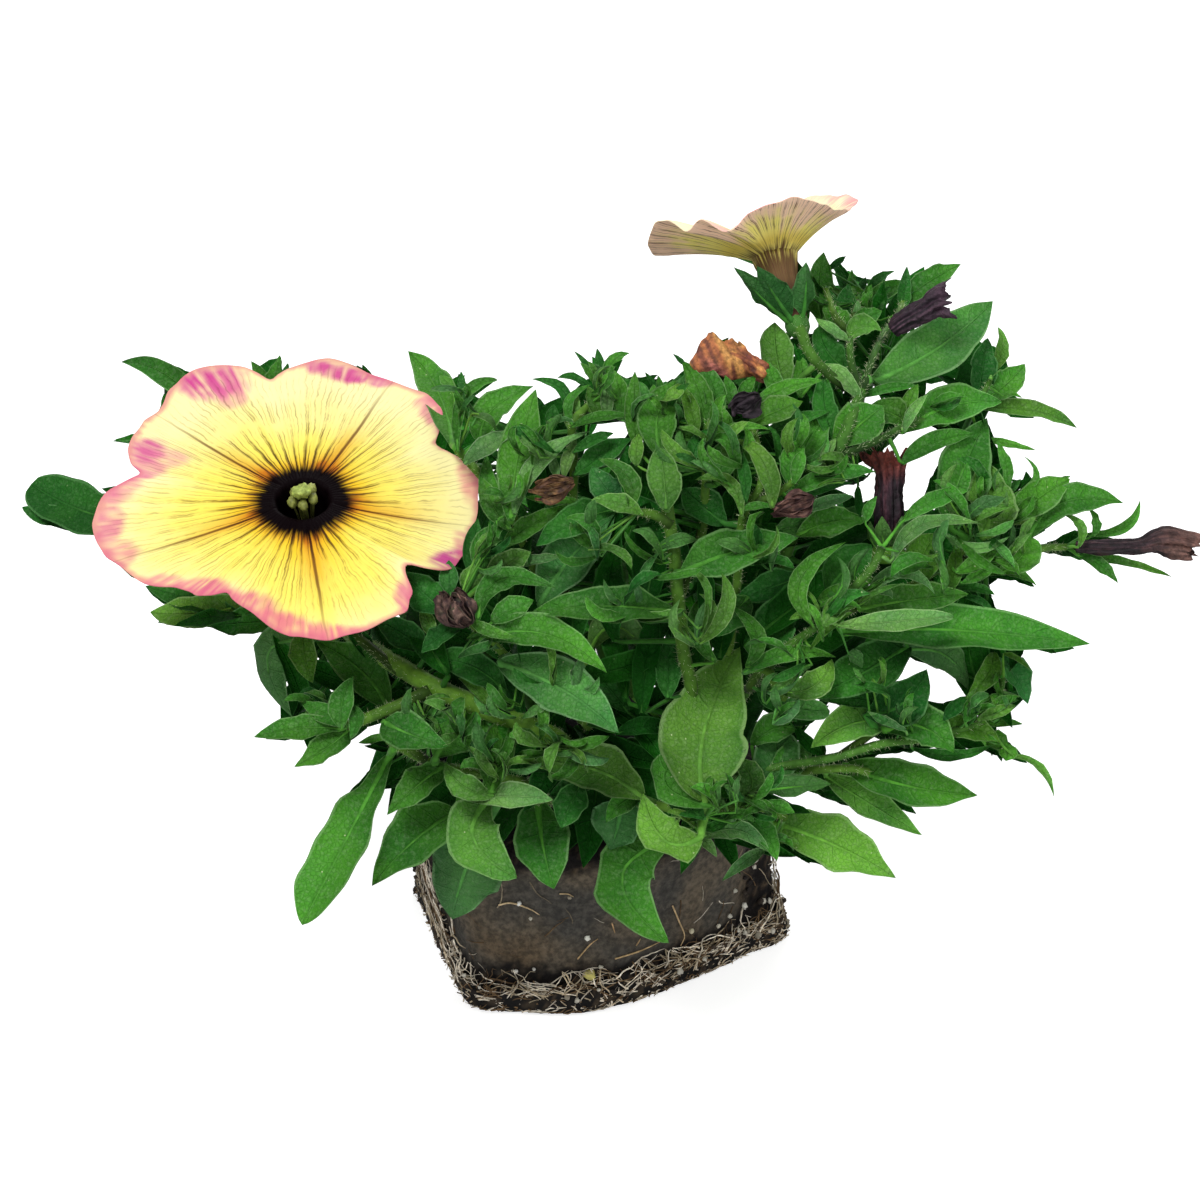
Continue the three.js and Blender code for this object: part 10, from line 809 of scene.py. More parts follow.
    ["g840","left",[-26.56,-41.26,67.72],[-33.16,-34.52,60.19],[-35.85,-36.66,59.62],[-39.13,-35.39,58.38],[-0.25,-0.535,0.807],0.85,0.45,1.0,11,0,"d"],
    ["g841","lowr2",[31.12,-42.06,53.7],[39.47,-36.16,53.04],[41.92,-38.56,54.66],[44.65,-37.53,54.75],[0.287,-0.53,0.798],1.09,0.45,1.0,7,0,"d"],
    ["g842","rrsh3",[63.42,-21.86,87.35],[66.13,-14.35,84.13],[71.03,-16.23,85.19],[75.81,-15.95,87.09],[-0.041,-0.553,0.833],1.47,0.45,1.0,14,0,"d"],
    ["g843","lowr",[59.64,-36.49,59.25],[58.87,-33.54,58.37],[54.76,-33.57,60.41],[50.04,-36.47,62.68],[-0.244,-0.536,0.808],1.17,0.45,1.0,17,0,"d"],
    ["g844","cshoot",[-29.52,-42.28,57.55],[-31.02,-37.59,55.11],[-33.94,-39.4,57.27],[-37.06,-40.84,58.3],[0.305,-0.527,0.793],1.18,0.45,1.0,18,0,"k"],
    ["g845","rrsh3",[70.03,-18.13,87.18],[67.76,-16.81,81.06],[63.47,-20.09,78.74],[60.03,-21.17,74.9],[0.125,-0.549,0.827],1.78,0.45,1.0,7,0,"k"],
    ["g846","back_01",[65.55,7.7,67.32],[77.39,12.62,68.71],[83.98,10.5,68.61],[91.11,12.81,69.21],[0.331,-0.522,0.786],2.03,0.45,1.0,11,0,"d"],
    ["g847","back_01",[62.28,7.53,66.45],[70.15,6.41,56.99],[74.25,4.57,54.4],[78.34,0.59,53.62],[-0.292,-0.529,0.797],1.78,0.45,1.0,14,0,"d"],
    ["g848","back_08",[-8.95,35.29,66.2],[-3.75,43.9,74.1],[-2.14,43.76,77.78],[0.34,46.75,79.6],[0.072,-0.552,0.831],1.18,0.45,1.0,11,0,"d"],
    ["g849","lowr",[58.59,-37.06,59.24],[52.8,-33.08,54.16],[48.6,-35.38,54.43],[44.2,-38.67,56.51],[-0.243,-0.536,0.808],1.15,0.45,1.0,9,0,"d"],
    ["g850","lowr",[24.69,-40.33,52.8],[35.12,-38.19,47.52],[38.45,-40.47,48.46],[42.03,-39.98,48.3],[-0.276,-0.531,0.801],1.13,0.45,1.0,6,0,"d"],
    ["g851","back_13",[-57.43,3.99,60.89],[-66.63,3.75,58.55],[-70.42,2.59,58.84],[-73.84,0.41,60.86],[0.258,-0.534,0.805],1.62,0.45,1.0,16,0,"k"],
    ["g852","urshb",[45.33,-1.31,110.69],[55.57,1.2,104.07],[57.91,-0.78,103.54],[60.02,-2.7,102.56],[-0.021,-0.553,0.833],0.8,0.45,1.0,8,0,"d"],
    ["g853","back_09",[-34.5,50.46,63.67],[-25.02,51.48,67.41],[-21.8,50.92,67.93],[-18.72,47.82,70.58],[-0.01,-0.553,0.833],1.27,0.45,1.0,14,0,"d"],
    ["g854","ursha2",[44.08,16.84,112.95],[45.34,29.82,108.53],[47.92,30.03,109.95],[49.6,28.18,112.91],[-0.058,-0.552,0.832],0.78,0.45,1.0,6,0,"d"],
    ["g855","rrsh2",[57.56,-26.54,83.29],[61.37,-23.13,76.59],[61.84,-26.06,75.06],[62.3,-28.51,73.3],[-0.261,-0.534,0.804],0.95,0.45,1.0,10,0,"d"],
    ["g856","tmsh",[17.2,-24.74,105.86],[13.49,-14.8,104.87],[7.5,-16.37,107.83],[1.36,-18.33,110.08],[0.338,-0.521,0.784],2.36,0.45,1.0,9,0,"d"],
    ["g857","rrsh2",[70.18,-19.6,82.05],[71.12,-13.99,79.55],[73.54,-16.01,80.54],[76.53,-14.6,80.12],[0.309,-0.526,0.792],0.92,0.45,1.0,9,0,"k"],
    ["g858","lowr",[27.84,-41.83,54.29],[33.83,-37.02,60.63],[35.26,-37.16,63.21],[36.92,-36.9,65.39],[-0.07,-0.552,0.831],0.83,0.45,1.0,6,0,"d"],
    ["g859","cshoot",[-29.52,-42.28,57.55],[-35.29,-35.49,50.42],[-37.82,-36.95,48.37],[-40.65,-39.85,47.83],[-0.008,-0.553,0.833],1.07,0.45,1.0,11,0,"d"],
    ["g860","tcsh",[-2.27,-21.14,106.74],[-2.63,-18.84,101.52],[-3.1,-20.55,99.31],[-4.45,-24.71,98.47],[-0.31,-0.526,0.792],0.77,0.45,1.0,8,0,"d"],
    ["g861","r3sh",[8.03,-38.08,45.57],[19.12,-33.44,44.02],[25.76,-36.15,44.24],[32.35,-38.72,44.52],[0.065,-0.552,0.831],2.68,0.45,1.0,16,0,"d"],
    ["g862","back_01",[50.3,6.91,62.6],[62.15,8.01,61.54],[64.87,6.83,62.69],[67.66,5.69,62.72],[-0.016,-0.553,0.833],1.06,0.45,1.0,17,0,"d"],
    ["g863","hairy",[23.8,-40.55,68.32],[30.87,-39.06,60.0],[32.95,-41.17,58.02],[35.49,-42.95,56.35],[-0.058,-0.552,0.832],1.16,0.45,1.0,10,0,"d"],
    ["g864","back_15",[-10.09,23.39,75.13],[-17.65,28.48,77.94],[-20.47,28.26,79.13],[-23.34,26.12,80.47],[-0.12,-0.549,0.827],1.17,0.45,1.0,10,0,"k"],
    ["g865","tcsh",[-2.62,-21.5,106.46],[-1.68,-17.6,104.73],[1.02,-18.43,104.38],[3.7,-21.91,105.06],[0.261,-0.534,0.804],0.84,0.45,1.0,6,0,"k"],
    ["g866","back_04",[31.27,25.37,73.98],[40.82,30.05,73.27],[44.07,27.84,75.1],[47.44,25.85,75.86],[0.329,-0.522,0.787],1.28,0.45,1.0,6,0,"d"],
    ["g867","lowleft",[-29.73,-42.39,57.27],[-31.73,-34.14,49.46],[-32.68,-36.58,46.83],[-33.94,-39.67,44.73],[0.195,-0.542,0.817],1.05,0.45,1.0,7,0,"d"],
    ["g868","lowr",[46.63,-42.7,59.35],[47.5,-35.35,55.46],[44.62,-37.61,57.59],[41.88,-38.67,59.02],[-0.222,-0.539,0.812],0.85,0.45,1.0,11,0,"d"],
    ["g869","pedic",[35.24,-13.52,110.97],[39.57,-16.95,101.68],[39.52,-20.09,97.99],[41.28,-20.8,93.63],[-0.147,-0.547,0.824],1.18,0.45,1.0,17,0,"d"],
    ["g870","urshc",[50.6,14.51,111.72],[59.72,14.09,104.18],[65.44,10.8,98.03],[73.18,9.36,93.47],[0.187,-0.543,0.818],3.31,0.45,1.0,7,0,"d"],
    ["g871","rrsh2",[61.21,-24.98,82.41],[62.68,-24.74,70.32],[62.81,-29.82,63.57],[65.67,-36.33,58.46],[0.042,-0.552,0.832],2.78,0.45,1.0,16,0,"d"],
    ["g872","tmsh",[17.39,-24.16,106.25],[9.54,-21.76,103.69],[6.03,-22.63,103.03],[2.88,-21.98,100.86],[-0.293,-0.529,0.797],1.53,0.45,1.0,7,0,"d"],
    ["g873","lowr",[59.64,-36.49,59.25],[62.35,-27.43,54.36],[64.7,-29.81,55.96],[67.06,-32.23,57.16],[0.065,-0.552,0.831],1.11,0.45,1.0,11,0,"k"],
    ["g874","rrsh",[54.2,-28.66,83.36],[53.93,-17.04,90.03],[54.01,-17.96,93.35],[54.3,-15.46,95.25],[-0.207,-0.541,0.815],1.05,0.45,1.0,15,0,"d"],
    ["g875","ursh",[39.87,-19.09,105.46],[39.57,-11.3,103.1],[34.41,-11.08,107.96],[30.99,-9.23,113.55],[0.219,-0.539,0.813],2.24,0.45,1.0,8,0,"d"],
    ["g876","ursh2",[58.98,-9.11,103.04],[57.44,-9.13,102.04],[53.3,-10.99,100.87],[49.05,-13.86,100.13],[-0.173,-0.545,0.821],1.55,0.45,1.0,17,0,"d"],
    ["g877","back_01",[65.55,7.7,67.32],[77.39,12.77,68.71],[84.16,11.86,68.25],[91.06,12.52,69.02],[0.061,-0.552,0.832],2.56,0.45,1.0,18,0,"d"],
    ["g878","back_01",[61.19,7.47,66.16],[70.75,8.67,70.7],[76.69,10.32,75.99],[84.5,13.45,78.25],[0.143,-0.547,0.825],2.91,0.45,1.0,16,0,"k"],
    ["g879","back_10",[-40.01,35.9,81.47],[-28.81,41.79,83.6],[-23.53,41.14,85.8],[-18.54,39.06,89.3],[0.209,-0.541,0.815],1.44,0.45,1.0,17,0,"k"],
    ["g880","lowr",[63.92,-32.52,63.71],[53.81,-29.9,66.35],[49.69,-30.62,68.75],[45.84,-28.29,69.33],[0.329,-0.522,0.787],1.13,0.45,1.0,19,0,"k"],
    ["g881","frsh",[27.68,-44.7,47.68],[28.05,-39.53,44.77],[30.73,-41.69,46.55],[33.36,-44.4,47.5],[-0.276,-0.531,0.801],1.05,0.45,1.0,17,0,"d"],
    ["g882","back_13",[-36.89,4.72,55.2],[-40.35,4.2,42.73],[-41.53,1.56,40.03],[-43.44,1.18,36.42],[0.071,-0.552,0.831],1.53,0.45,1.0,10,0,"d"],
    ["g883","cshoot",[-30.65,-42.63,58.74],[-31.0,-38.11,56.34],[-34.21,-38.68,56.08],[-37.31,-40.17,57.32],[0.098,-0.55,0.829],0.93,0.45,1.0,19,0,"k"],
    ["g884","ursh2",[40.02,-24.83,101.61],[40.76,-23.44,94.81],[40.65,-26.41,93.15],[41.22,-26.6,90.36],[0.304,-0.527,0.794],0.78,0.45,1.0,6,0,"k"],
    ["g885","urshc",[48.48,7.79,111.12],[51.89,8.94,105.06],[52.74,4.85,102.54],[53.67,3.84,98.8],[-0.122,-0.549,0.827],1.42,0.45,1.0,11,0,"d"],
    ["g886","rrsh",[61.08,-22.76,88.65],[66.01,-20.84,80.3],[67.55,-22.15,78.39],[69.74,-23.62,77.38],[-0.317,-0.524,0.79],1.02,0.45,1.0,11,0,"d"],
    ["g887","rmsh",[18.66,-38.36,60.14],[29.45,-37.66,60.2],[32.94,-39.4,61.9],[35.84,-41.48,65.14],[-0.321,-0.524,0.789],1.36,0.45,1.0,8,0,"d"],
    ["g888","back_08",[-9.28,36.01,66.69],[-10.55,42.74,77.17],[-10.81,44.13,80.88],[-12.46,44.12,84.71],[0.168,-0.545,0.821],1.54,0.45,1.0,12,0,"d"],
    ["g889","frsh",[28.09,-44.57,47.38],[30.57,-34.34,37.18],[32.19,-36.98,36.25],[34.01,-38.6,34.87],[0.146,-0.547,0.824],1.09,0.45,1.0,16,0,"k"],
    ["g890","lowr2",[31.12,-42.06,53.7],[37.06,-37.03,46.67],[39.65,-39.9,47.26],[42.37,-40.18,46.03],[0.009,-0.553,0.833],1.22,0.45,1.0,7,0,"d"],
    ["g891","back_01",[23.05,5.5,48.94],[26.94,8.98,41.75],[28.91,5.59,41.13],[31.08,4.73,39.28],[-0.024,-0.553,0.833],1.3,0.45,1.0,7,0,"k"],
    ["g892","lowr",[56.48,-38.2,59.21],[59.75,-26.8,52.13],[63.81,-29.85,51.93],[68.14,-30.75,50.44],[0.325,-0.523,0.788],1.94,0.45,1.0,9,0,"d"],
    ["g893","lowr",[38.38,-44.49,58.04],[45.76,-36.91,54.35],[48.32,-37.63,55.47],[50.72,-40.36,56.56],[-0.147,-0.547,0.824],0.88,0.45,1.0,9,0,"d"],
    ["g894","ursh2",[60.43,-8.03,103.14],[62.64,-4.58,98.75],[63.21,-6.63,96.64],[64.55,-7.57,94.35],[0.259,-0.534,0.805],0.94,0.45,1.0,14,0,"d"],
    ["g895","tcsh",[-0.04,-17.37,108.54],[2.98,-13.32,108.16],[5.64,-13.24,108.69],[8.35,-13.57,108.87],[0.22,-0.539,0.813],0.73,0.45,1.0,8,0,"k"],
    ["g896","tcsh",[-4.03,-22.95,105.35],[-4.09,-17.12,103.06],[-0.39,-17.94,104.11],[3.36,-17.46,103.94],[-0.039,-0.553,0.833],1.39,0.45,1.0,18,0,"d"],
    ["g897","lowr",[46.63,-42.7,59.35],[53.69,-31.31,58.44],[55.87,-33.21,61.02],[58.3,-35.59,63.0],[-0.125,-0.549,0.827],0.76,0.45,1.0,7,0,"k"],
    ["g898","lowr",[46.63,-42.7,59.35],[41.81,-38.29,54.76],[39.41,-39.57,53.88],[36.96,-40.79,53.1],[0.25,-0.535,0.807],0.76,0.45,1.0,15,0,"d"],
    ["g899","rrsh2",[58.47,-26.15,83.07],[61.22,-23.92,77.91],[62.26,-25.91,74.86],[63.11,-30.49,73.14],[-0.127,-0.549,0.826],1.0,0.45,1.0,8,0,"k"],
    ["g900","lowr2",[36.45,-42.99,54.65],[40.96,-37.05,52.89],[44.0,-38.93,55.7],[47.21,-39.83,57.75],[-0.254,-0.535,0.806],1.18,0.45,1.0,13,0,"d"],
    ["g901","back_04",[40.91,37.71,89.51],[39.34,42.08,95.59],[39.47,41.3,99.09],[39.07,43.93,101.34],[0.328,-0.522,0.787],0.9,0.45,1.0,9,0,"d"],
    ["g902","back_01",[51.39,6.97,62.97],[62.01,7.17,61.89],[64.87,6.59,62.12],[67.56,5.0,62.33],[0.088,-0.551,0.83],0.86,0.45,1.0,17,0,"d"],
    ["g903","urshb",[43.94,-6.15,109.67],[42.72,4.0,107.4],[39.68,3.12,109.85],[36.81,3.63,111.82],[0.273,-0.532,0.802],1.12,0.45,1.0,13,0,"d"],
    ["g904","hairy",[26.04,-44.08,72.0],[31.53,-38.75,66.9],[37.16,-39.81,66.06],[42.43,-40.15,63.29],[0.163,-0.546,0.822],1.7,0.45,1.0,7,0,"d"],
    ["h000","main",[-7.95,-41.25,59.36],[-6.01,-50.19,62.17],[-1.95,-53.25,62.2],[1.44,-50.68,60.66],[-0.328,-0.571,0.753],1.34,0.51,0.8,23,1,"g"],
    ["h001","main",[-7.95,-41.25,59.36],[-6.33,-50.14,62.33],[-3.07,-53.62,62.85],[-1.86,-51.45,58.57],[-0.361,-0.48,0.8],0.99,0.44,0.87,36,0,"y"],
    ["h002","main",[-7.95,-41.25,59.36],[-5.28,-49.45,64.01],[-7.7,-54.85,62.89],[-7.27,-52.34,57.35],[-0.445,-0.517,0.731],1.11,0.42,0.76,15,0,"y"],
    ["h003","main",[-7.95,-41.25,59.36],[-5.56,-49.81,62.61],[-7.78,-52.65,66.64],[-9.99,-49.97,66.18],[-0.421,-0.689,0.59],1.11,0.52,0.73,39,0,"g"],
    ["h004","main",[-6.31,-41.07,58.44],[-3.78,-46.93,61.15],[-4.82,-52.29,59.23],[-8.13,-52.32,58.36],[0.017,-0.448,0.894],1.35,0.4,0.74,22,0,"n"],
    ["h005","main",[-9.58,-41.43,60.28],[-7.11,-48.89,62.38],[-2.27,-52.64,63.93],[1.49,-52.27,65.4],[-0.314,-0.59,0.744],1.39,0.57,0.88,33,0,"n"],
    ["h006","main",[-9.58,-41.43,60.28],[-6.8,-49.5,64.15],[-3.79,-53.54,64.33],[-1.24,-49.7,63.83],[-0.145,-0.535,0.832],1.02,0.56,1.0,36,0,"n"],
    ["h007","main",[-16.12,-42.16,63.97],[-13.22,-46.52,67.02],[-16.47,-49.88,68.92],[-18.69,-46.94,66.47],[0.381,-0.62,0.686],1.13,0.41,1.06,26,0,"y"],
    ["h008","main",[-16.12,-42.16,63.97],[-13.72,-50.43,67.92],[-15.97,-52.52,72.21],[-17.24,-48.42,72.64],[-0.16,-0.481,0.862],1.03,0.44,0.97,24,0,"n"],
    ["h009","main",[-16.12,-42.16,63.97],[-12.95,-50.68,67.75],[-16.06,-53.47,70.79],[-16.33,-51.49,72.91],[0.433,-0.504,0.748],1.14,0.48,0.74,33,1,"n"],
    ["h010","csh",[-11.44,-40.53,69.67],[-12.14,-47.43,68.09],[-14.81,-49.36,70.49],[-15.26,-49.05,72.78],[0.101,-0.723,0.683],0.78,0.48,0.71,33,0,"n"],
    ["h011","csh",[-12.45,-40.89,71.01],[-13.38,-48.99,68.6],[-16.91,-52.99,70.6],[-19.22,-51.26,71.77],[0.263,-0.483,0.835],1.23,0.42,0.8,38,1,"n"],
    ["h012","trsh",[24.85,-30.1,100.14],[21.82,-28.34,98.44],[20.18,-30.43,103.56],[16.93,-30.31,105.54],[0.339,-0.566,0.751],1.08,0.45,0.94,30,0,"n"],
    ["h013","trsh2",[22.88,-33.47,95.81],[19.48,-35.39,100.5],[15.7,-36.9,104.46],[15.78,-35.76,107.97],[0.174,-0.71,0.682],1.35,0.43,1.09,24,0,"n"],
    ["h014","trsh",[24.62,-28.91,101.19],[20.67,-31.02,101.8],[19.97,-33.57,107.26],[17.42,-30.14,108.53],[0.044,-0.652,0.757],1.15,0.42,1.06,37,0,"g"],
    ["h015","tmsh",[16.51,-29.04,99.41],[20.31,-29.88,99.91],[19.87,-31.7,106.03],[22.82,-29.76,108.13],[-0.195,-0.622,0.758],1.22,0.57,0.9,18,0,"y"],
    ["h016","tmsh",[16.48,-29.55,98.36],[19.0,-34.13,99.76],[16.37,-37.06,103.98],[13.85,-34.96,103.65],[0.383,-0.522,0.763],1.01,0.55,0.99,23,1,"g"],
    ["h017","trsh",[24.4,-27.73,102.25],[20.72,-28.3,102.35],[17.64,-29.32,108.26],[19.45,-28.12,112.12],[0.232,-0.695,0.681],1.28,0.55,0.79,18,0,"n"],
    ["h018","trsh",[24.85,-30.1,100.14],[22.13,-32.39,101.79],[18.1,-36.23,104.51],[16.48,-35.18,106.6],[0.376,-0.626,0.683],1.15,0.54,0.94,14,0,"n"],
    ["h019","trsh",[24.55,-31.77,98.17],[20.99,-30.52,99.13],[20.0,-33.24,105.45],[17.0,-30.55,106.07],[-0.035,-0.601,0.799],1.51,0.58,1.06,24,0,"n"],
    ["h020","trsh",[24.62,-28.91,101.19],[21.52,-28.57,99.37],[22.82,-30.03,104.21],[22.11,-29.18,107.32],[0.231,-0.397,0.888],1.28,0.45,1.01,23,0,"n"],
    ["h021","tmsh",[16.58,-27.52,102.57],[19.55,-25.83,101.92],[19.23,-26.69,107.2],[16.82,-22.36,108.31],[0.512,-0.712,0.481],1.33,0.51,1.07,24,0,"n"],
    ["h022","trsh",[24.62,-28.91,101.19],[27.79,-26.99,99.85],[27.69,-27.7,104.28],[25.93,-26.6,106.2],[-0.364,-0.772,0.52],1.02,0.41,1.06,32,0,"d"],
    ["h023","trsh",[24.4,-27.73,102.25],[29.29,-25.39,100.45],[31.64,-27.01,105.04],[31.33,-22.85,107.0],[-0.113,-0.551,0.827],0.92,0.52,0.84,18,0,"n"],
    ["h024","ursh",[34.34,-27.08,97.61],[30.6,-27.29,99.3],[28.8,-29.26,104.75],[30.73,-27.53,108.01],[0.066,-0.457,0.887],1.25,0.53,1.07,23,0,"y"],
    ["h025","trsh2",[30.11,-32.22,99.47],[29.9,-29.15,101.49],[34.07,-32.58,100.93],[37.62,-29.18,101.57],[0.205,-0.543,0.815],0.98,0.42,0.89,27,0,"y"],
    ["h026","trsh",[24.4,-27.73,102.25],[29.07,-24.27,100.54],[31.28,-25.67,105.87],[29.93,-20.57,107.87],[0.176,-0.423,0.889],1.05,0.49,1.07,28,1,"d"],
    ["h027","ursh",[33.77,-27.18,96.67],[31.09,-28.28,98.9],[36.01,-32.14,100.16],[38.08,-31.1,103.49],[-0.003,-0.526,0.85],1.55,0.53,0.73,34,0,"n"],
    ["h028","trsh",[24.62,-28.91,101.19],[29.17,-26.68,99.69],[33.64,-28.61,101.64],[35.26,-26.34,104.91],[0.431,-0.746,0.507],1.44,0.46,1.04,36,0,"g"],
    ["h029","tmsh",[16.55,-28.03,101.52],[16.02,-29.82,102.94],[17.82,-32.46,108.86],[16.98,-30.13,111.81],[-0.243,-0.387,0.89],1.18,0.4,0.98,33,0,"g"],
    ["h030","tmsh",[16.53,-28.54,100.46],[16.43,-29.43,100.49],[12.9,-31.16,104.59],[12.62,-26.11,106.19],[0.409,-0.654,0.636],0.97,0.53,0.87,18,1,"n"],
    ["h031","cent",[9.83,-34.56,100.44],[15.19,-34.18,101.85],[10.5,-36.09,104.15],[8.42,-32.88,106.08],[-0.132,-0.686,0.716],1.28,0.58,0.88,36,1,"n"],
    ["h032","tmsh",[16.6,-27.02,103.62],[17.56,-28.66,103.83],[14.55,-29.55,106.28],[11.75,-27.42,106.3],[0.383,-0.517,0.766],0.87,0.47,0.85,22,0,"y"],
    ["h033","tmsh",[16.51,-29.04,99.41],[17.15,-31.33,100.8],[12.09,-33.69,104.17],[9.46,-29.35,106.82],[-0.276,-0.478,0.834],1.43,0.48,0.97,20,0,"y"],
    ["h034","tmsh",[16.51,-29.04,99.41],[16.5,-31.44,100.4],[13.44,-33.92,104.16],[10.58,-32.74,103.32],[-0.012,-0.585,0.811],0.92,0.43,0.9,39,1,"d"],
    ["h035","tcsh",[-0.89,-19.06,107.85],[-0.38,-19.18,108.66],[-0.41,-20.99,112.61],[1.76,-19.26,113.42],[0.272,-0.738,0.617],0.7,0.44,0.85,25,1,"y"],
    ["h036","tcsh",[-0.55,-18.38,108.12],[3.33,-19.42,106.8],[1.48,-22.24,110.62],[1.25,-17.51,111.51],[0.173,-0.751,0.637],0.68,0.58,0.97,23,1,"n"],
    ["h037","tcsh",[0.47,-16.35,108.95],[0.91,-14.54,108.34],[0.2,-16.94,111.65],[-1.24,-16.79,112.83],[-0.27,-0.705,0.656],0.54,0.48,0.91,19,1,"g"],
    ["h038","tcsh",[0.47,-16.35,108.95],[0.83,-16.0,108.1],[-0.18,-18.34,111.27],[-0.32,-14.22,111.57],[0.175,-0.692,0.7],0.74,0.43,0.97,24,0,"n"],
    ["h039","tcsh",[0.13,-17.03,108.67],[-0.05,-16.9,109.19],[-0.76,-19.37,112.62],[-1.99,-17.16,113.41],[-0.34,-0.617,0.71],0.54,0.43,0.93,16,0,"y"],
    ["h040","tcsh",[-1.57,-20.41,107.3],[-0.04,-21.88,109.41],[0.45,-24.59,112.63],[1.26,-24.37,114.15],[0.055,-0.51,0.858],0.58,0.5,0.85,16,0,"n"],
    ["h041","tcsh",[-1.23,-19.73,107.58],[-1.4,-20.61,109.32],[1.24,-22.07,111.58],[1.78,-19.93,113.62],[-0.106,-0.713,0.693],0.76,0.53,0.77,20,0,"n"],
    ["h042","tcsh",[-0.89,-19.06,107.85],[7.61,-23.08,107.96],[10.97,-27.02,111.23],[12.62,-22.62,111.69],[0.441,-0.438,0.783],1.27,0.6,0.99,22,0,"y"],
    ["h043","tcsh",[-1.57,-20.41,107.3],[5.18,-25.92,106.08],[6.13,-28.02,110.47],[8.58,-27.23,111.51],[-0.336,-0.514,0.789],1.09,0.52,1.1,35,0,"g"],
    ["h044","tmsh",[17.39,-24.16,106.25],[9.6,-21.65,105.66],[11.58,-23.3,108.74],[12.69,-22.63,111.11],[0.219,-0.507,0.834],0.99,0.48,1.04,18,1,"n"],
    ["h045","tmsh",[16.63,-26.51,104.67],[8.0,-23.99,104.55],[9.47,-25.08,109.46],[12.19,-23.02,110.56],[-0.267,-0.525,0.808],1.17,0.42,1.02,32,1,"n"],
    ["h046","tcsh",[-0.89,-19.06,107.85],[5.29,-20.34,104.24],[7.59,-23.21,108.79],[8.42,-19.37,110.38],[-0.39,-0.372,0.842],1.17,0.49,0.89,16,0,"n"],
    ["h047","tcsh",[-1.23,-19.73,107.58],[7.36,-22.92,105.03],[7.31,-23.75,109.41],[6.11,-21.15,111.52],[-0.143,-0.819,0.555],1.36,0.46,0.89,28,0,"g"],
    ["h048","ursha3",[37.16,7.19,116.89],[38.36,11.79,115.9],[40.7,9.32,114.84],[42.79,8.58,115.17],[0.08,-0.599,0.797],0.87,0.45,0.92,21,0,"y"],
    ["h049","ursha2",[44.34,18.35,112.74],[39.43,21.0,111.16],[37.08,17.94,114.16],[37.34,20.82,115.46],[-0.129,-0.763,0.633],0.85,0.49,0.79,30,1,"y"],
    ["h050","ursha2",[44.34,18.35,112.74],[39.34,19.06,110.35],[36.64,17.61,114.62],[38.02,20.92,117.01],[-0.408,-0.743,0.53],1.0,0.57,0.94,24,0,"n"],
    ["h051","ursha2",[42.28,6.3,114.42],[40.4,7.26,114.33],[37.84,4.89,116.39],[37.45,9.48,116.99],[0.041,-0.416,0.908],0.88,0.44,0.95,16,0,"d"],
    ["h052","ursha2",[44.34,18.35,112.74],[40.96,19.09,111.31],[38.12,17.79,114.22],[37.29,19.71,116.55],[-0.239,-0.409,0.88],0.87,0.61,0.9,28,0,"n"],
    ["h053","ursha2",[43.31,12.33,113.58],[39.39,13.75,112.89],[36.26,11.04,115.6],[35.62,14.49,116.94],[-0.481,-0.577,0.66],0.88,0.61,1.05,37,0,"d"],
    ["h054","ursha3",[37.5,4.15,116.34],[38.79,3.97,115.21],[35.29,1.65,116.74],[34.22,5.32,117.65],[0.09,-0.72,0.688],1.17,0.44,1.09,39,0,"g"],
    ["h055","ursha2",[44.0,16.34,113.02],[38.18,17.09,111.68],[36.5,14.1,115.19],[34.3,15.39,115.23],[-0.466,-0.661,0.589],0.61,0.46,0.85,25,1,"n"],
    ["h056","ursha2",[42.28,6.3,114.42],[41.42,6.39,114.9],[37.79,3.7,115.44],[35.9,4.88,117.26],[-0.317,-0.58,0.75],0.99,0.59,0.94,39,0,"n"],
    ["h057","ursha2",[43.65,14.33,113.3],[40.42,14.22,112.56],[42.97,12.0,114.28],[44.83,16.21,114.52],[0.354,-0.541,0.763],0.73,0.61,0.85,38,1,"d"],
    ["h058","ursha2",[43.31,12.33,113.58],[43.64,11.32,108.82],[43.47,8.03,113.43],[43.03,11.4,114.88],[-0.463,-0.621,0.632],0.98,0.57,0.81,32,0,"n"],
    ["h059","ursha2",[44.0,16.34,113.02],[43.54,15.13,108.56],[43.54,12.42,113.4],[42.0,16.71,114.39],[-0.439,-0.44,0.783],1.1,0.45,0.8,17,0,"n"],
    ["h060","ursha2",[44.34,18.35,112.74],[46.64,21.89,106.16],[47.3,20.79,110.6],[49.46,21.15,112.71],[0.447,-0.635,0.629],1.01,0.56,0.7,27,0,"g"],
    ["h061","ursha2",[42.97,10.32,113.86],[44.43,9.5,110.43],[43.52,7.42,114.47],[45.07,9.63,115.84],[-0.419,-0.72,0.553],0.85,0.56,0.88,20,0,"n"],
    ["h062","urshc",[49.32,9.84,111.57],[46.26,11.35,110.04],[43.87,8.96,114.37],[44.67,10.67,117.2],[0.238,-0.526,0.816],0.88,0.4,0.95,39,0,"n"],
    ["h063","ursha2",[44.34,18.35,112.74],[45.85,16.84,109.06],[47.32,14.53,111.72],[48.52,19.18,111.96],[-0.437,-0.602,0.668],0.57,0.41,0.81,16,1,"d"],
    ["h064","rrsh",[55.89,-27.61,84.15],[55.7,-30.14,89.24],[58.83,-35.52,87.07],[63.23,-34.91,84.81],[-0.105,-0.755,0.648],1.25,0.56,0.99,38,0,"n"],
    ["h065","rrsh",[58.36,-25.81,85.66],[58.1,-29.73,89.87],[55.44,-29.98,95.43],[52.29,-25.4,96.55],[-0.034,-0.475,0.879],1.25,0.61,0.73,35,0,"n"],
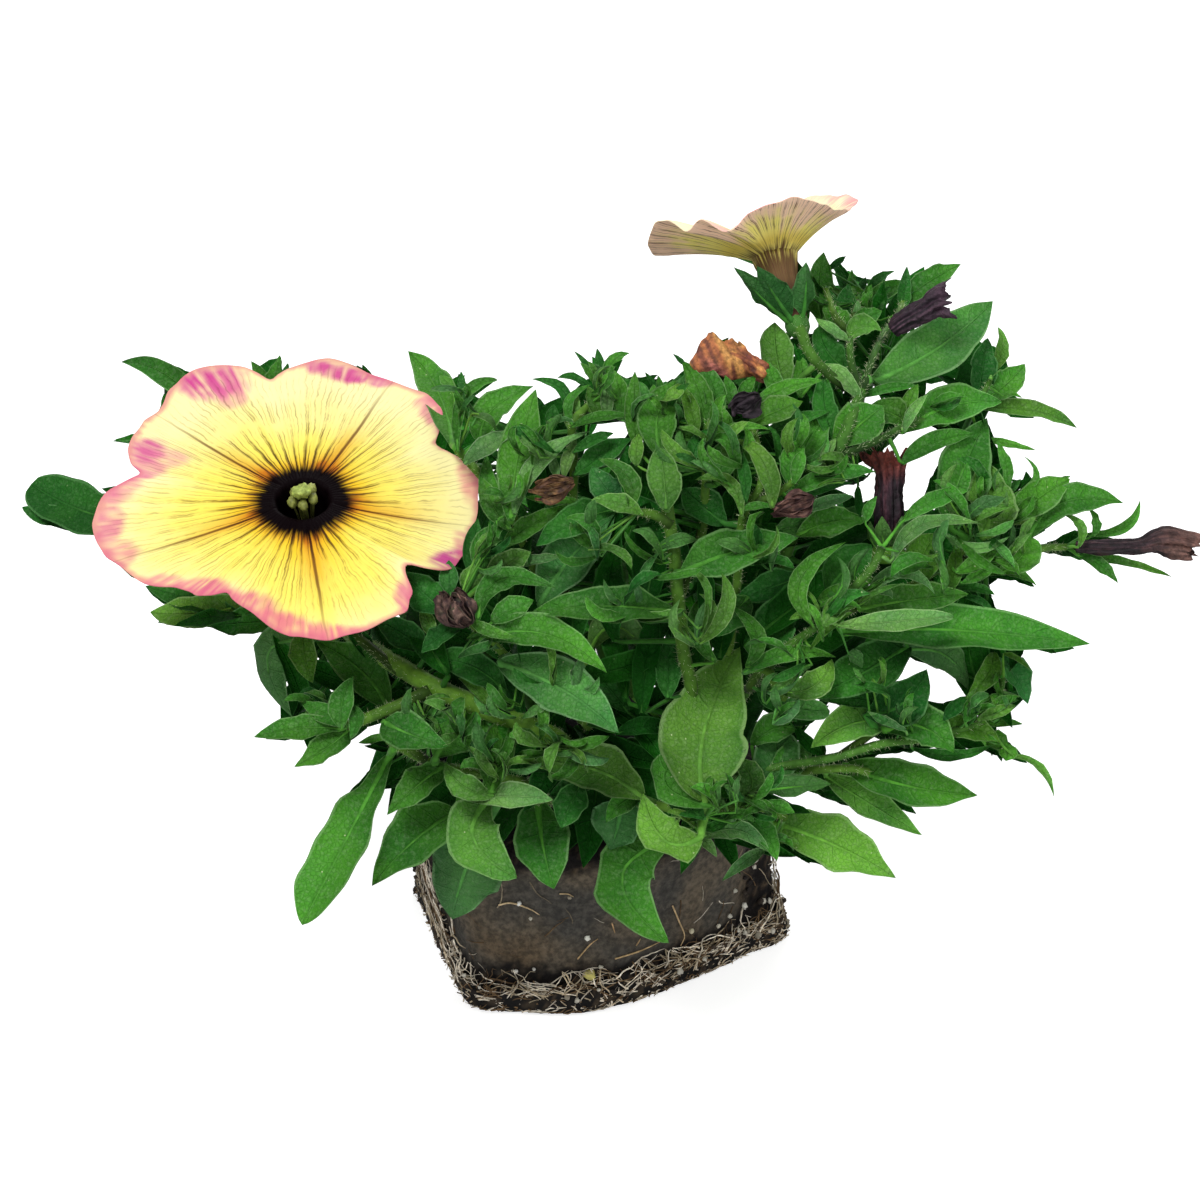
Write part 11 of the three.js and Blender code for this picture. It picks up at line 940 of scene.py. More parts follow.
    ["h066","rrsh2",[59.38,-25.76,82.85],[59.82,-26.68,83.37],[63.55,-30.02,84.3],[66.33,-29.49,81.67],[0.206,-0.546,0.812],1.29,0.61,1.0,25,0,"n"],
    ["h067","rrsh",[58.91,-25.2,86.26],[56.85,-27.19,90.52],[54.04,-27.96,96.02],[55.89,-25.45,99.44],[0.501,-0.628,0.596],1.05,0.56,0.89,23,1,"y"],
    ["h068","rrsh",[59.45,-24.59,86.86],[60.58,-25.67,87.15],[63.09,-29.88,86.28],[65.15,-31.05,83.89],[0.177,-0.487,0.855],1.19,0.44,0.92,28,0,"g"],
    ["h069","rrsh",[58.91,-25.2,86.26],[54.85,-25.71,91.18],[56.63,-27.4,96.2],[57.55,-24.8,99.45],[0.291,-0.644,0.707],1.1,0.59,1.07,18,0,"n"],
    ["h070","rrsh",[58.36,-25.81,85.66],[56.24,-27.65,89.14],[59.54,-28.34,93.59],[63.47,-28.13,94.68],[0.341,-0.66,0.669],1.55,0.57,0.72,33,1,"g"],
    ["h071","rrsh",[58.91,-25.2,86.26],[57.65,-26.05,88.94],[61.16,-28.73,92.73],[65.23,-25.97,92.53],[0.33,-0.589,0.738],1.1,0.44,1.06,30,0,"y"],
    ["h072","rrsh",[58.91,-25.2,86.26],[58.74,-27.87,88.3],[62.32,-30.05,89.89],[65.29,-26.42,90.41],[0.136,-0.569,0.811],0.86,0.57,1.02,15,0,"g"],
    ["h073","rrsh",[60.54,-23.37,88.05],[60.53,-25.27,89.7],[63.02,-27.56,93.0],[63.81,-25.89,95.05],[-0.115,-0.453,0.884],0.94,0.55,0.72,37,1,"y"],
    ["h074","rrsh3",[66.84,-20.13,87.34],[65.99,-18.53,86.8],[67.45,-21.22,90.74],[70.34,-17.14,90.0],[0.355,-0.766,0.536],0.81,0.57,0.81,20,0,"n"],
    ["h075","rrsh",[61.13,-21.39,90.66],[61.76,-19.5,89.05],[63.35,-21.73,92.71],[64.07,-18.65,94.24],[-0.305,-0.727,0.615],0.69,0.53,0.92,38,0,"y"],
    ["h076","rrsh",[61.11,-21.84,89.99],[60.45,-22.28,90.6],[59.56,-25.69,95.38],[60.83,-20.56,95.41],[0.188,-0.575,0.796],0.73,0.54,1.09,21,0,"n"],
    ["h077","rrsh3",[64.7,-21.09,87.58],[64.4,-20.48,90.38],[62.08,-22.19,94.76],[63.7,-21.5,97.32],[-0.413,-0.465,0.783],0.63,0.41,0.94,36,1,"n"],
    ["h078","rrsh",[61.16,-20.47,92.0],[62.39,-21.01,92.26],[59.69,-21.73,97.14],[56.74,-19.69,97.84],[-0.271,-0.63,0.728],1.18,0.51,1.02,24,0,"d"],
    ["h079","rrsh3",[64.7,-21.09,87.58],[64.32,-19.72,86.7],[67.71,-22.94,89.76],[69.04,-19.15,91.53],[0.03,-0.654,0.756],0.74,0.61,1.0,33,0,"n"],
    ["h080","rrsh2",[63.04,-24.19,81.97],[64.95,-28.09,84.58],[65.88,-30.01,88.22],[67.93,-28.35,88.89],[-0.33,-0.598,0.73],0.78,0.41,1.02,34,1,"y"],
    ["h081","rrsh2",[65.42,-22.52,82.01],[67.38,-25.06,83.82],[66.9,-26.99,88.56],[68.74,-26.46,90.83],[0.18,-0.55,0.815],0.86,0.5,0.82,14,1,"y"],
    ["h082","rrsh2",[64.62,-23.07,82.0],[64.76,-23.49,82.72],[65.14,-25.15,86.76],[65.45,-23.02,88.47],[-0.298,-0.651,0.698],0.91,0.56,0.77,31,1,"g"],
    ["h083","rrsh",[52.03,-30.0,82.34],[52.42,-32.82,84.88],[47.92,-36.09,87.14],[45.22,-33.68,87.99],[-0.07,-0.6,0.797],0.92,0.44,0.76,26,0,"n"],
    ["h084","rrsh",[52.03,-30.0,82.34],[51.58,-31.95,87.28],[53.83,-36.7,85.7],[53.44,-34.07,80.59],[0.302,-0.481,0.823],1.3,0.61,1.01,34,1,"n"],
    ["h085","rrsh",[52.03,-30.0,82.34],[52.58,-35.18,88.27],[47.87,-38.03,88.14],[44.07,-36.61,88.97],[0.181,-0.541,0.821],1.23,0.52,1.1,35,0,"y"],
    ["h086","rrsh",[50.66,-30.75,81.97],[51.06,-34.44,86.93],[47.28,-38.06,86.35],[44.32,-35.41,84.95],[-0.02,-0.55,0.835],1.0,0.41,1.01,28,0,"n"],
    ["h087","rrsh",[52.03,-30.0,82.34],[53.89,-35.01,85.67],[52.48,-34.94,90.56],[53.91,-34.69,93.91],[0.009,-0.482,0.876],1.23,0.6,0.81,31,1,"g"],
    ["h088","rmsh",[43.24,-39.49,91.21],[51.43,-38.45,88.59],[46.75,-40.86,89.8],[44.53,-42.05,87.33],[0.342,-0.644,0.684],1.21,0.55,1.04,21,0,"n"],
    ["h089","lowr",[58.24,-37.25,59.23],[58.49,-36.68,61.45],[58.15,-40.21,65.94],[59.88,-35.44,65.16],[-0.394,-0.526,0.754],0.57,0.44,0.71,32,0,"y"],
    ["h090","lowr",[60.83,-35.57,59.97],[59.62,-35.73,61.24],[60.53,-37.7,64.13],[62.84,-33.89,61.95],[-0.475,-0.662,0.581],0.55,0.45,0.73,21,0,"n"],
    ["h091","lowr",[60.23,-36.03,59.61],[60.1,-33.51,57.05],[61.61,-37.8,57.17],[63.98,-36.64,55.76],[0.37,-0.512,0.775],0.91,0.51,1.07,33,0,"n"],
    ["h092","lowr",[58.24,-37.25,59.23],[59.4,-38.73,61.61],[58.91,-40.96,65.06],[59.95,-39.39,65.72],[0.095,-0.478,0.873],0.71,0.62,0.97,39,0,"d"],
    ["h093","lowr",[56.83,-38.01,59.22],[58.04,-39.53,61.46],[58.48,-41.24,65.97],[61.55,-37.32,64.68],[0.471,-0.731,0.495],0.96,0.58,0.8,19,0,"g"],
    ["h094","lowr",[59.64,-36.49,59.25],[59.84,-36.36,59.21],[57.65,-38.45,62.04],[57.01,-37.41,63.04],[-0.302,-0.492,0.817],0.62,0.55,1.05,20,0,"n"],
    ["h095","lowr",[58.24,-37.25,59.23],[58.31,-37.13,59.49],[60.08,-38.79,62.99],[62.53,-38.66,63.41],[-0.243,-0.434,0.868],0.99,0.41,0.86,23,0,"n"],
    ["h096","lowr",[60.83,-35.57,59.97],[61.15,-32.17,55.91],[62.68,-35.4,58.58],[64.14,-34.25,59.12],[-0.054,-0.655,0.754],0.54,0.6,0.94,38,0,"g"],
    ["h097","lowr",[63.21,-33.72,61.41],[63.83,-33.19,59.68],[64.76,-36.01,62.85],[65.6,-34.74,63.59],[0.392,-0.606,0.692],0.57,0.49,0.91,37,0,"n"],
    ["h098","lowr",[63.21,-33.72,61.41],[64.4,-30.52,58.72],[65.51,-33.57,61.55],[67.1,-31.58,60.95],[0.24,-0.463,0.853],0.54,0.47,0.72,30,0,"n"],
    ["h099","lowr",[63.21,-33.72,61.41],[64.75,-33.84,59.45],[64.25,-36.56,63.23],[63.91,-32.46,62.56],[-0.008,-0.498,0.867],0.56,0.46,0.81,32,0,"g"],
    ["h100","lowr",[62.62,-34.18,61.05],[63.6,-34.36,60.31],[62.3,-37.37,63.72],[62.03,-33.77,63.11],[-0.364,-0.484,0.796],0.5,0.45,1.02,33,0,"y"],
    ["h101","lowr",[63.4,-33.4,62.02],[64.35,-32.94,61.78],[62.67,-35.2,65.9],[63.74,-31.91,66.36],[-0.049,-0.701,0.711],0.81,0.47,1.06,35,0,"n"],
    ["h102","lowr",[47.55,-42.37,59.31],[47.44,-42.32,61.19],[47.42,-45.43,65.74],[49.68,-43.62,65.94],[0.084,-0.811,0.579],0.78,0.46,0.73,21,1,"y"],
    ["h103","lowr",[47.55,-42.37,59.31],[48.41,-42.8,62.65],[47.35,-44.43,67.02],[48.84,-40.55,67.89],[-0.017,-0.544,0.839],0.74,0.44,0.8,38,0,"n"],
    ["h104","lowr",[46.33,-42.81,59.36],[46.99,-42.9,61.73],[43.78,-45.43,64.51],[42.05,-42.27,64.58],[0.293,-0.793,0.534],0.79,0.58,0.98,21,0,"g"],
    ["h105","lowr",[48.77,-41.93,59.26],[48.65,-43.06,62.83],[46.9,-44.37,65.5],[46.2,-44.54,67.27],[0.335,-0.629,0.701],0.77,0.57,1.04,31,1,"d"],
    ["h106","lowr",[48.77,-41.93,59.26],[48.88,-43.62,62.26],[47.61,-44.69,66.38],[48.84,-43.75,68.46],[0.278,-0.531,0.8],0.98,0.6,0.95,34,0,"n"],
    ["h107","r3sh",[16.02,-51.49,50.95],[19.45,-49.8,49.32],[22.14,-52.12,51.65],[23.88,-51.35,49.72],[-0.347,-0.678,0.648],0.93,0.57,0.85,14,0,"n"],
    ["h108","frsh",[20.77,-45.28,48.91],[20.69,-46.09,48.55],[17.98,-50.92,48.79],[15.21,-48.83,47.34],[0.44,-0.637,0.633],0.99,0.41,0.94,17,0,"d"],
    ["h109","r3sh",[16.02,-51.49,50.95],[20.37,-50.4,52.81],[20.02,-53.8,58.03],[19.14,-49.89,58.02],[0.375,-0.464,0.802],0.8,0.41,1.06,26,0,"n"],
    ["h110","r3sh",[16.02,-51.49,50.95],[16.86,-52.74,54.0],[17.69,-55.4,58.26],[20.03,-53.08,57.87],[0.181,-0.578,0.796],0.67,0.54,0.95,37,0,"n"],
    ["h111","r3sh",[16.02,-51.49,50.95],[18.4,-53.67,53.31],[16.42,-54.88,57.14],[17.61,-50.59,57.7],[0.21,-0.568,0.795],1.05,0.57,0.91,37,0,"n"],
    ["h112","frsh",[22.88,-45.26,48.89],[23.11,-50.52,50.83],[25.22,-54.09,51.84],[27.28,-52.83,51.18],[0.176,-0.687,0.705],0.9,0.47,0.77,37,0,"d"],
    ["h113","r3sh",[16.02,-51.49,50.95],[18.27,-52.6,51.95],[16.53,-54.85,57.15],[13.8,-53.62,57.11],[0.394,-0.586,0.708],1.11,0.51,0.99,18,0,"n"],
    ["h114","frsh",[19.72,-45.29,48.91],[19.82,-49.39,50.39],[18.92,-51.16,53.77],[17.47,-47.77,52.93],[0.404,-0.695,0.594],0.68,0.52,0.93,35,1,"y"],
    ["h115","r3sh",[16.02,-51.49,50.95],[19.33,-50.37,52.0],[17.28,-52.32,56.21],[16.61,-49.82,57.23],[-0.342,-0.393,0.854],1.22,0.53,0.84,33,0,"n"],
    ["h116","r3sh",[16.02,-51.49,50.95],[21.0,-50.94,49.26],[23.65,-52.93,52.89],[26.28,-52.56,52.76],[-0.373,-0.395,0.839],0.84,0.53,0.93,14,0,"n"],
    ["h117","r3sh",[16.02,-51.49,50.95],[18.41,-51.81,52.98],[17.96,-53.82,56.82],[18.22,-50.17,57.21],[-0.321,-0.684,0.655],0.8,0.5,0.92,30,1,"n"],
    ["h118","frsh",[19.72,-45.29,48.91],[19.91,-45.34,46.71],[22.02,-49.04,46.32],[24.67,-47.52,45.77],[-0.077,-0.596,0.799],0.88,0.56,1.07,22,0,"n"],
    ["h119","r3sh",[16.02,-51.49,50.95],[21.14,-52.13,52.08],[20.22,-53.62,56.89],[17.88,-49.82,55.52],[-0.131,-0.788,0.601],0.79,0.45,0.75,32,1,"n"],
    ["h120","frsh",[22.88,-45.26,48.89],[23.37,-49.22,52.15],[20.74,-51.83,55.33],[19.44,-48.64,55.62],[-0.101,-0.767,0.633],1.0,0.56,0.93,16,1,"d"],
    ["h121","r3sh",[16.02,-51.49,50.95],[22.09,-50.27,53.31],[24.77,-54.46,54.18],[26.53,-51.49,50.93],[0.331,-0.386,0.861],1.11,0.61,0.96,31,0,"n"],
    ["h122","frsh",[22.88,-45.26,48.89],[23.3,-50.91,53.2],[25.6,-53.47,56.75],[26.3,-52.04,59.02],[-0.108,-0.648,0.754],0.93,0.61,0.84,21,0,"n"],
    ["h123","r3sh",[16.02,-51.49,50.95],[21.16,-53.82,55.11],[20.85,-55.57,58.66],[21.51,-52.63,58.82],[-0.086,-0.736,0.672],0.8,0.42,1.02,31,1,"g"],
    ["h124","frsh",[23.93,-45.25,48.89],[24.44,-48.14,53.51],[27.27,-50.21,56.38],[28.09,-49.54,58.95],[0.481,-0.573,0.663],0.84,0.58,0.95,22,0,"d"],
    ["h125","frsh",[22.88,-45.26,48.89],[22.94,-48.91,52.28],[20.52,-51.9,56.01],[20.39,-49.07,57.08],[-0.277,-0.53,0.802],0.82,0.49,1.05,20,1,"n"],
    ["h126","frsh",[22.88,-45.26,48.89],[23.06,-47.7,52.85],[24.79,-52.15,55.02],[26.03,-50.42,55.11],[0.506,-0.706,0.496],0.71,0.48,1.04,37,0,"y"],
    ["h127","r3sh",[14.7,-49.05,49.94],[16.19,-49.43,46.06],[14.35,-52.11,48.44],[13.13,-49.98,46.51],[-0.288,-0.533,0.796],0.44,0.62,1.01,17,0,"g"],
    ["h128","frsh",[16.21,-43.86,48.11],[15.95,-47.04,45.91],[14.01,-49.98,45.83],[12.53,-49.15,44.62],[0.2,-0.785,0.586],0.6,0.62,0.88,24,0,"y"],
    ["h129","r3sh",[13.81,-47.43,49.27],[16.08,-48.46,44.75],[13.11,-50.92,46.91],[11.58,-52.56,45.82],[-0.271,-0.705,0.655],0.75,0.43,0.75,21,0,"n"],
    ["h130","r3sh",[13.81,-47.43,49.27],[15.1,-47.89,47.12],[13.1,-49.92,47.61],[11.59,-50.44,48.56],[0.145,-0.717,0.682],0.52,0.46,0.74,20,1,"y"],
    ["h131","r3sh",[15.58,-50.68,50.61],[16.78,-49.85,50.54],[14.6,-54.11,51.93],[13.26,-49.91,50.52],[-0.299,-0.647,0.702],0.75,0.46,0.89,17,0,"n"],
    ["h132","r3sh",[16.02,-51.49,50.95],[14.73,-53.08,49.84],[12.3,-55.05,53.1],[10.29,-54.66,53.37],[0.329,-0.48,0.813],1.03,0.46,0.92,20,0,"y"],
    ["h133","frsh",[29.32,-44.18,46.48],[28.31,-44.4,42.2],[30.14,-47.23,44.24],[31.7,-46.13,42.59],[-0.073,-0.726,0.684],0.51,0.43,1.09,27,0,"y"],
    ["h134","frsh",[29.32,-44.18,46.48],[27.11,-43.95,42.06],[28.71,-48.23,44.83],[30.27,-46.24,42.82],[-0.114,-0.815,0.568],0.59,0.48,1.05,17,0,"y"],
    ["h135","frsh",[28.77,-44.36,46.88],[27.29,-46.73,44.0],[29.3,-49.87,45.4],[30.43,-49.19,43.31],[-0.008,-0.449,0.893],0.72,0.49,0.92,27,0,"n"],
    ["h136","frsh",[27.68,-44.7,47.68],[26.37,-47.35,44.67],[28.6,-49.26,45.73],[30.14,-49.2,44.19],[0.379,-0.617,0.69],0.78,0.43,1.08,17,0,"g"],
    ["h137","rmsh",[31.32,-43.5,78.16],[32.43,-44.15,76.26],[35.46,-45.82,81.12],[38.81,-42.84,81.88],[0.016,-0.724,0.69],1.08,0.52,0.98,35,0,"y"],
    ["h138","rmsh",[33.12,-44.17,80.07],[34.37,-42.72,78.84],[31.38,-44.01,81.88],[28.93,-44.76,81.46],[0.505,-0.691,0.517],0.92,0.49,0.82,27,0,"y"],
    ["h139","rrsh",[34.56,-43.26,81.12],[33.44,-41.5,82.06],[36.74,-45.27,84.85],[39.99,-44.37,83.19],[0.177,-0.691,0.701],0.91,0.46,1.04,24,0,"n"],
    ["h140","rmsh",[33.12,-44.17,80.07],[35.2,-45.04,78.74],[36.47,-45.61,84.81],[41.35,-43.8,85.49],[0.098,-0.692,0.715],1.32,0.55,0.91,20,0,"d"],
    ["h141","rmsh",[34.02,-44.5,81.03],[33.82,-45.46,81.48],[35.96,-46.44,84.66],[37.3,-44.18,85.77],[-0.031,-0.853,0.521],1.0,0.59,1.08,29,0,"d"],
    ["h142","rmsh",[35.45,-43.84,82.41],[34.69,-44.87,83.74],[37.01,-45.64,88.56],[36.29,-40.64,90.29],[-0.38,-0.757,0.532],1.21,0.49,0.91,38,1,"n"],
    ["h143","rmsh",[33.12,-44.17,80.07],[34.24,-46.05,78.54],[32.97,-47.3,82.92],[31.16,-45.48,84.88],[0.205,-0.531,0.822],0.89,0.61,0.95,20,0,"n"],
    ["h144","rmsh",[34.02,-44.5,81.03],[34.09,-44.46,80.38],[32.75,-45.59,84.82],[30.88,-41.65,85.16],[-0.137,-0.666,0.733],0.81,0.59,0.71,39,0,"y"],
    ["h145","rmsh",[34.02,-44.5,81.03],[34.26,-44.46,80.08],[36.08,-46.31,83.77],[38.78,-45.0,84.26],[0.364,-0.39,0.846],0.93,0.46,0.93,16,0,"n"],
    ["h146","rrsh",[37.65,-40.34,80.78],[39.61,-41.07,82.21],[42.59,-43.34,85.5],[46.02,-40.76,85.62],[0.114,-0.629,0.769],0.86,0.42,1.08,39,0,"y"],
    ["h147","rrsh",[39.2,-38.88,80.61],[40.03,-40.0,83.57],[43.0,-42.07,85.03],[45.71,-39.76,85.33],[-0.459,-0.574,0.678],0.84,0.51,1.03,35,0,"d"],
    ["h148","rrsh",[39.2,-38.88,80.61],[38.17,-37.51,81.38],[40.76,-39.65,85.6],[44.12,-37.16,84.0],[0.167,-0.724,0.669],0.96,0.45,1.0,26,0,"n"],
    ["h149","rrsh",[39.2,-38.88,80.61],[39.89,-40.47,82.82],[42.41,-41.93,86.28],[45.73,-39.53,86.08],[0.197,-0.554,0.809],0.72,0.44,0.77,39,0,"n"],
    ["h150","rrsh",[39.2,-38.88,80.61],[39.28,-37.84,82.2],[39.34,-39.27,88.25],[41.72,-37.6,90.34],[0.447,-0.571,0.689],1.22,0.4,1.04,29,1,"n"],
    ["h151","rrsh",[37.65,-40.34,80.78],[38.37,-39.99,83.57],[41.65,-41.39,85.18],[43.83,-41.52,87.55],[0.424,-0.596,0.682],1.03,0.56,0.92,35,0,"y"],
    ["h152","rmsh",[29.52,-42.84,76.25],[31.28,-45.71,74.37],[28.57,-51.57,73.24],[24.85,-48.91,71.46],[0.507,-0.658,0.557],0.87,0.44,0.77,29,1,"g"],
    ["h153","rmsh",[30.42,-43.17,77.2],[30.26,-47.48,75.04],[27.93,-51.21,73.67],[25.06,-48.88,71.63],[0.367,-0.666,0.649],0.89,0.51,0.99,17,0,"y"],
    ["h154","rmsh",[30.42,-43.17,77.2],[31.33,-47.67,75.57],[28.51,-51.02,75.23],[26.01,-50.03,73.87],[0.122,-0.8,0.588],0.97,0.56,1.01,30,0,"d"],
    ["h155","rmsh",[30.42,-43.17,77.2],[32.68,-45.16,74.06],[29.87,-47.94,73.72],[28.84,-45.55,70.17],[-0.356,-0.59,0.725],0.7,0.5,0.72,20,1,"n"],
    ["h156","rmsh",[31.32,-43.5,78.16],[29.34,-48.89,77.27],[25.43,-51.56,81.05],[22.17,-48.01,78.69],[0.432,-0.407,0.805],0.93,0.56,0.83,23,0,"n"],
    ["h157","cent",[12.14,-41.54,81.95],[15.43,-49.39,81.72],[16.18,-49.9,88.26],[13.92,-46.59,90.5],[0.081,-0.663,0.744],1.21,0.6,0.91,39,0,"y"],
    ["h158","cent",[12.58,-41.55,77.68],[14.79,-46.29,78.25],[15.25,-47.78,83.75],[17.2,-45.76,85.9],[-0.003,-0.662,0.75],0.87,0.42,0.81,25,1,"g"],
    ["h159","cent",[12.43,-41.55,79.1],[15.3,-48.22,79.7],[16.9,-50.38,85.49],[15.04,-46.01,86.52],[0.362,-0.49,0.793],1.0,0.5,0.94,19,0,"y"],
    ["h160","cent",[12.43,-41.55,79.1],[14.42,-48.98,79.05],[10.95,-51.75,84.23],[12.03,-48.7,86.76],[-0.384,-0.422,0.821],1.15,0.4,0.92,24,1,"y"],
    ["h161","cent",[12.29,-41.55,80.52],[15.16,-50.26,80.17],[18.93,-51.52,86.33],[18.39,-46.24,90.1],[0.052,-0.725,0.687],1.46,0.5,1.01,17,0,"y"],
    ["h162","tcsh",[-4.33,-23.71,103.97],[-9.16,-25.35,104.34],[-6.72,-26.21,107.32],[-3.93,-26.16,106.62],[-0.388,-0.614,0.687],0.93,0.52,0.7,36,1,"g"],
    ["h163","ulsh",[-15.84,-29.23,95.28],[-10.48,-30.21,101.25],[-9.81,-30.12,105.47],[-8.27,-30.45,107.94],[-0.018,-0.524,0.851],1.02,0.45,0.76,39,0,"n"],
    ["h164","ulsh",[-16.56,-28.48,95.95],[-11.63,-29.25,102.07],[-13.56,-31.98,105.82],[-12.81,-28.47,107.23],[0.034,-0.431,0.902],0.88,0.61,0.73,28,0,"n"],
    ["h165","tcsh",[-4.17,-24.9,100.66],[-8.42,-28.91,101.79],[-10.38,-31.08,106.04],[-12.55,-28.87,107.42],[-0.296,-0.425,0.855],0.95,0.59,0.96,38,0,"n"],
    ["h166","tcsh",[-4.22,-24.5,101.76],[-7.08,-29.86,103.06],[-10.89,-30.8,106.1],[-14.02,-29.6,106.93],[0.418,-0.719,0.555],1.2,0.56,0.84,24,0,"d"],
    ["h167","tcsh",[-4.17,-24.9,100.66],[-8.0,-25.98,100.88],[-7.59,-27.04,105.87],[-5.8,-26.12,108.07],[0.446,-0.466,0.764],1.32,0.58,0.83,38,1,"n"],
    ["h168","tcsh",[-4.17,-24.9,100.66],[-9.25,-30.8,102.49],[-11.0,-32.79,105.91],[-12.72,-28.76,105.78],[0.251,-0.578,0.776],0.93,0.46,0.79,36,1,"y"],
    ["h169","ulsh",[-15.12,-29.99,94.61],[-15.24,-31.2,95.1],[-13.46,-32.13,98.41],[-14.2,-29.22,99.61],[0.345,-0.676,0.651],0.97,0.51,0.89,34,0,"y"],
    ["h170","ulsh",[-13.69,-31.51,93.28],[-13.63,-32.69,95.54],[-16.06,-35.79,98.93],[-18.69,-32.27,97.06],[-0.368,-0.595,0.715],0.76,0.61,0.92,20,0,"n"],
    ["h171","ulsh",[-14.41,-30.75,93.95],[-15.17,-34.32,96.21],[-12.3,-36.13,99.26],[-12.76,-34.1,101.5],[-0.233,-0.612,0.756],0.9,0.54,0.71,18,0,"n"],
    ["h172","ulsh",[-15.12,-29.99,94.61],[-16.28,-33.56,96.3],[-13.15,-36.07,99.03],[-12.29,-33.82,101.24],[-0.296,-0.524,0.799],1.08,0.51,0.73,22,1,"n"],
    ["h173","ulsh",[-13.69,-31.51,93.28],[-15.76,-37.96,95.4],[-16.68,-41.8,93.42],[-19.03,-42.55,91.42],[-0.301,-0.657,0.691],0.94,0.42,0.95,35,0,"n"],
    ["h174","ulsh",[-22.31,-23.13,100.79],[-21.96,-20.47,106.23],[-20.47,-21.84,109.43],[-21.37,-21.98,111.79],[0.014,-0.449,0.893],0.61,0.52,0.73,38,0,"n"],
    ["h175","ulsh",[-22.31,-23.13,100.79],[-19.16,-20.83,105.94],[-20.83,-22.5,108.4],[-21.22,-22.62,110.48],[-0.017,-0.408,0.913],0.58,0.43,0.7,35,0,"g"],
    ["h176","ulsh",[-22.31,-23.13,100.79],[-21.85,-23.09,106.25],[-20.9,-25.61,109.79],[-19.48,-21.17,109.27],[-0.297,-0.681,0.67],0.63,0.54,0.87,26,1,"d"],
    ["h177","ulsh",[-22.31,-23.13,100.79],[-20.87,-20.9,105.18],[-22.03,-22.24,108.49],[-22.52,-22.25,110.64],[-0.086,-0.533,0.842],0.87,0.44,0.88,23,0,"n"],
    ["h178","ulsh",[-22.31,-23.13,100.79],[-21.25,-18.31,108.89],[-24.25,-20.52,110.37],[-26.71,-17.48,108.82],[0.176,-0.647,0.742],0.78,0.56,0.9,29,1,"g"],
    ["h179","ulsh",[-22.31,-23.13,100.79],[-20.17,-23.95,107.01],[-17.31,-27.24,107.86],[-16.23,-25.25,104.74],[0.08,-0.844,0.531],0.73,0.41,0.8,24,1,"y"],
    ["h180","dshoot",[-18.48,-46.89,53.38],[-15.07,-50.62,56.67],[-14.82,-51.86,61.04],[-17.19,-51.42,62.63],[0.318,-0.388,0.865],1.03,0.55,0.91,25,0,"y"],
    ["h181","dshoot",[-18.48,-46.89,53.38],[-15.64,-52.0,57.85],[-18.36,-53.24,61.42],[-18.25,-52.74,64.32],[0.186,-0.425,0.886],1.41,0.46,1.01,20,0,"y"],
    ["h182","dshoot",[-18.48,-46.89,53.38],[-14.46,-49.84,58.19],[-11.07,-52.12,59.62],[-8.98,-52.01,60.61],[0.35,-0.651,0.674],0.92,0.42,0.75,26,1,"g"],
    ["h183","dshoot",[-18.48,-46.89,53.38],[-15.87,-48.77,58.01],[-13.93,-51.69,63.4],[-13.94,-49.03,65.23],[-0.021,-0.703,0.711],1.48,0.41,0.87,38,0,"n"],
    ["h184","dshoot",[-18.48,-46.89,53.38],[-15.76,-48.7,58.49],[-18.52,-52.49,61.89],[-20.29,-50.1,62.49],[0.24,-0.589,0.772],1.08,0.53,1.02,38,0,"y"],
    ["h185","dshoot",[-18.48,-46.89,53.38],[-16.79,-50.3,58.59],[-16.96,-50.86,62.39],[-15.46,-50.55,64.01],[-0.47,-0.583,0.663],0.94,0.57,0.84,37,0,"d"],
    ["h186","dshoot",[-18.48,-46.89,53.38],[-17.26,-48.72,56.96],[-19.14,-49.73,61.61],[-17.31,-49.55,64.71],[0.233,-0.801,0.551],1.22,0.51,0.85,26,1,"d"],
    ["h187","dshoot",[-18.48,-46.89,53.38],[-17.16,-50.81,58.03],[-19.41,-52.67,60.92],[-21.51,-53.22,60.23],[0.453,-0.537,0.712],1.03,0.59,1.07,16,0,"n"],
    ["h188","dshoot",[-18.48,-46.89,53.38],[-16.53,-51.44,60.7],[-18.17,-53.13,65.12],[-18.87,-51.11,67.25],[0.137,-0.399,0.907],1.33,0.52,0.81,22,1,"n"],
    ["h189","main",[-9.58,-41.43,60.28],[-8.87,-49.18,58.29],[-12.13,-52.09,60.99],[-14.41,-51.31,59.26],[-0.302,-0.565,0.768],1.08,0.47,0.95,35,0,"y"],
    ["h190","main",[-7.95,-41.25,59.36],[-7.43,-48.45,60.63],[-10.26,-51.78,61.66],[-12.87,-48.88,60.47],[-0.368,-0.552,0.748],1.13,0.59,0.84,26,0,"n"],
    ["h191","main",[-9.58,-41.43,60.28],[-9.02,-47.73,61.47],[-11.66,-51.44,65.19],[-13.98,-51.53,64.95],[0.399,-0.702,0.589],1.15,0.44,0.75,15,0,"n"],
    ["h192","main",[-9.58,-41.43,60.28],[-7.66,-50.59,62.74],[-11.63,-53.39,65.39],[-12.77,-52.78,68.18],[-0.113,-0.477,0.871],1.51,0.45,1.05,18,0,"y"],
    ["h193","main",[-11.21,-41.61,61.2],[-9.2,-50.9,64.12],[-8.69,-52.42,68.74],[-9.9,-48.72,69.82],[0.273,-0.815,0.511],1.08,0.62,0.86,14,0,"n"],
    ["h194","main",[-9.58,-41.43,60.28],[-8.06,-50.1,61.56],[-4.68,-52.93,63.17],[-3.03,-48.93,63.53],[-0.197,-0.668,0.718],1.2,0.6,0.84,39,1,"n"],
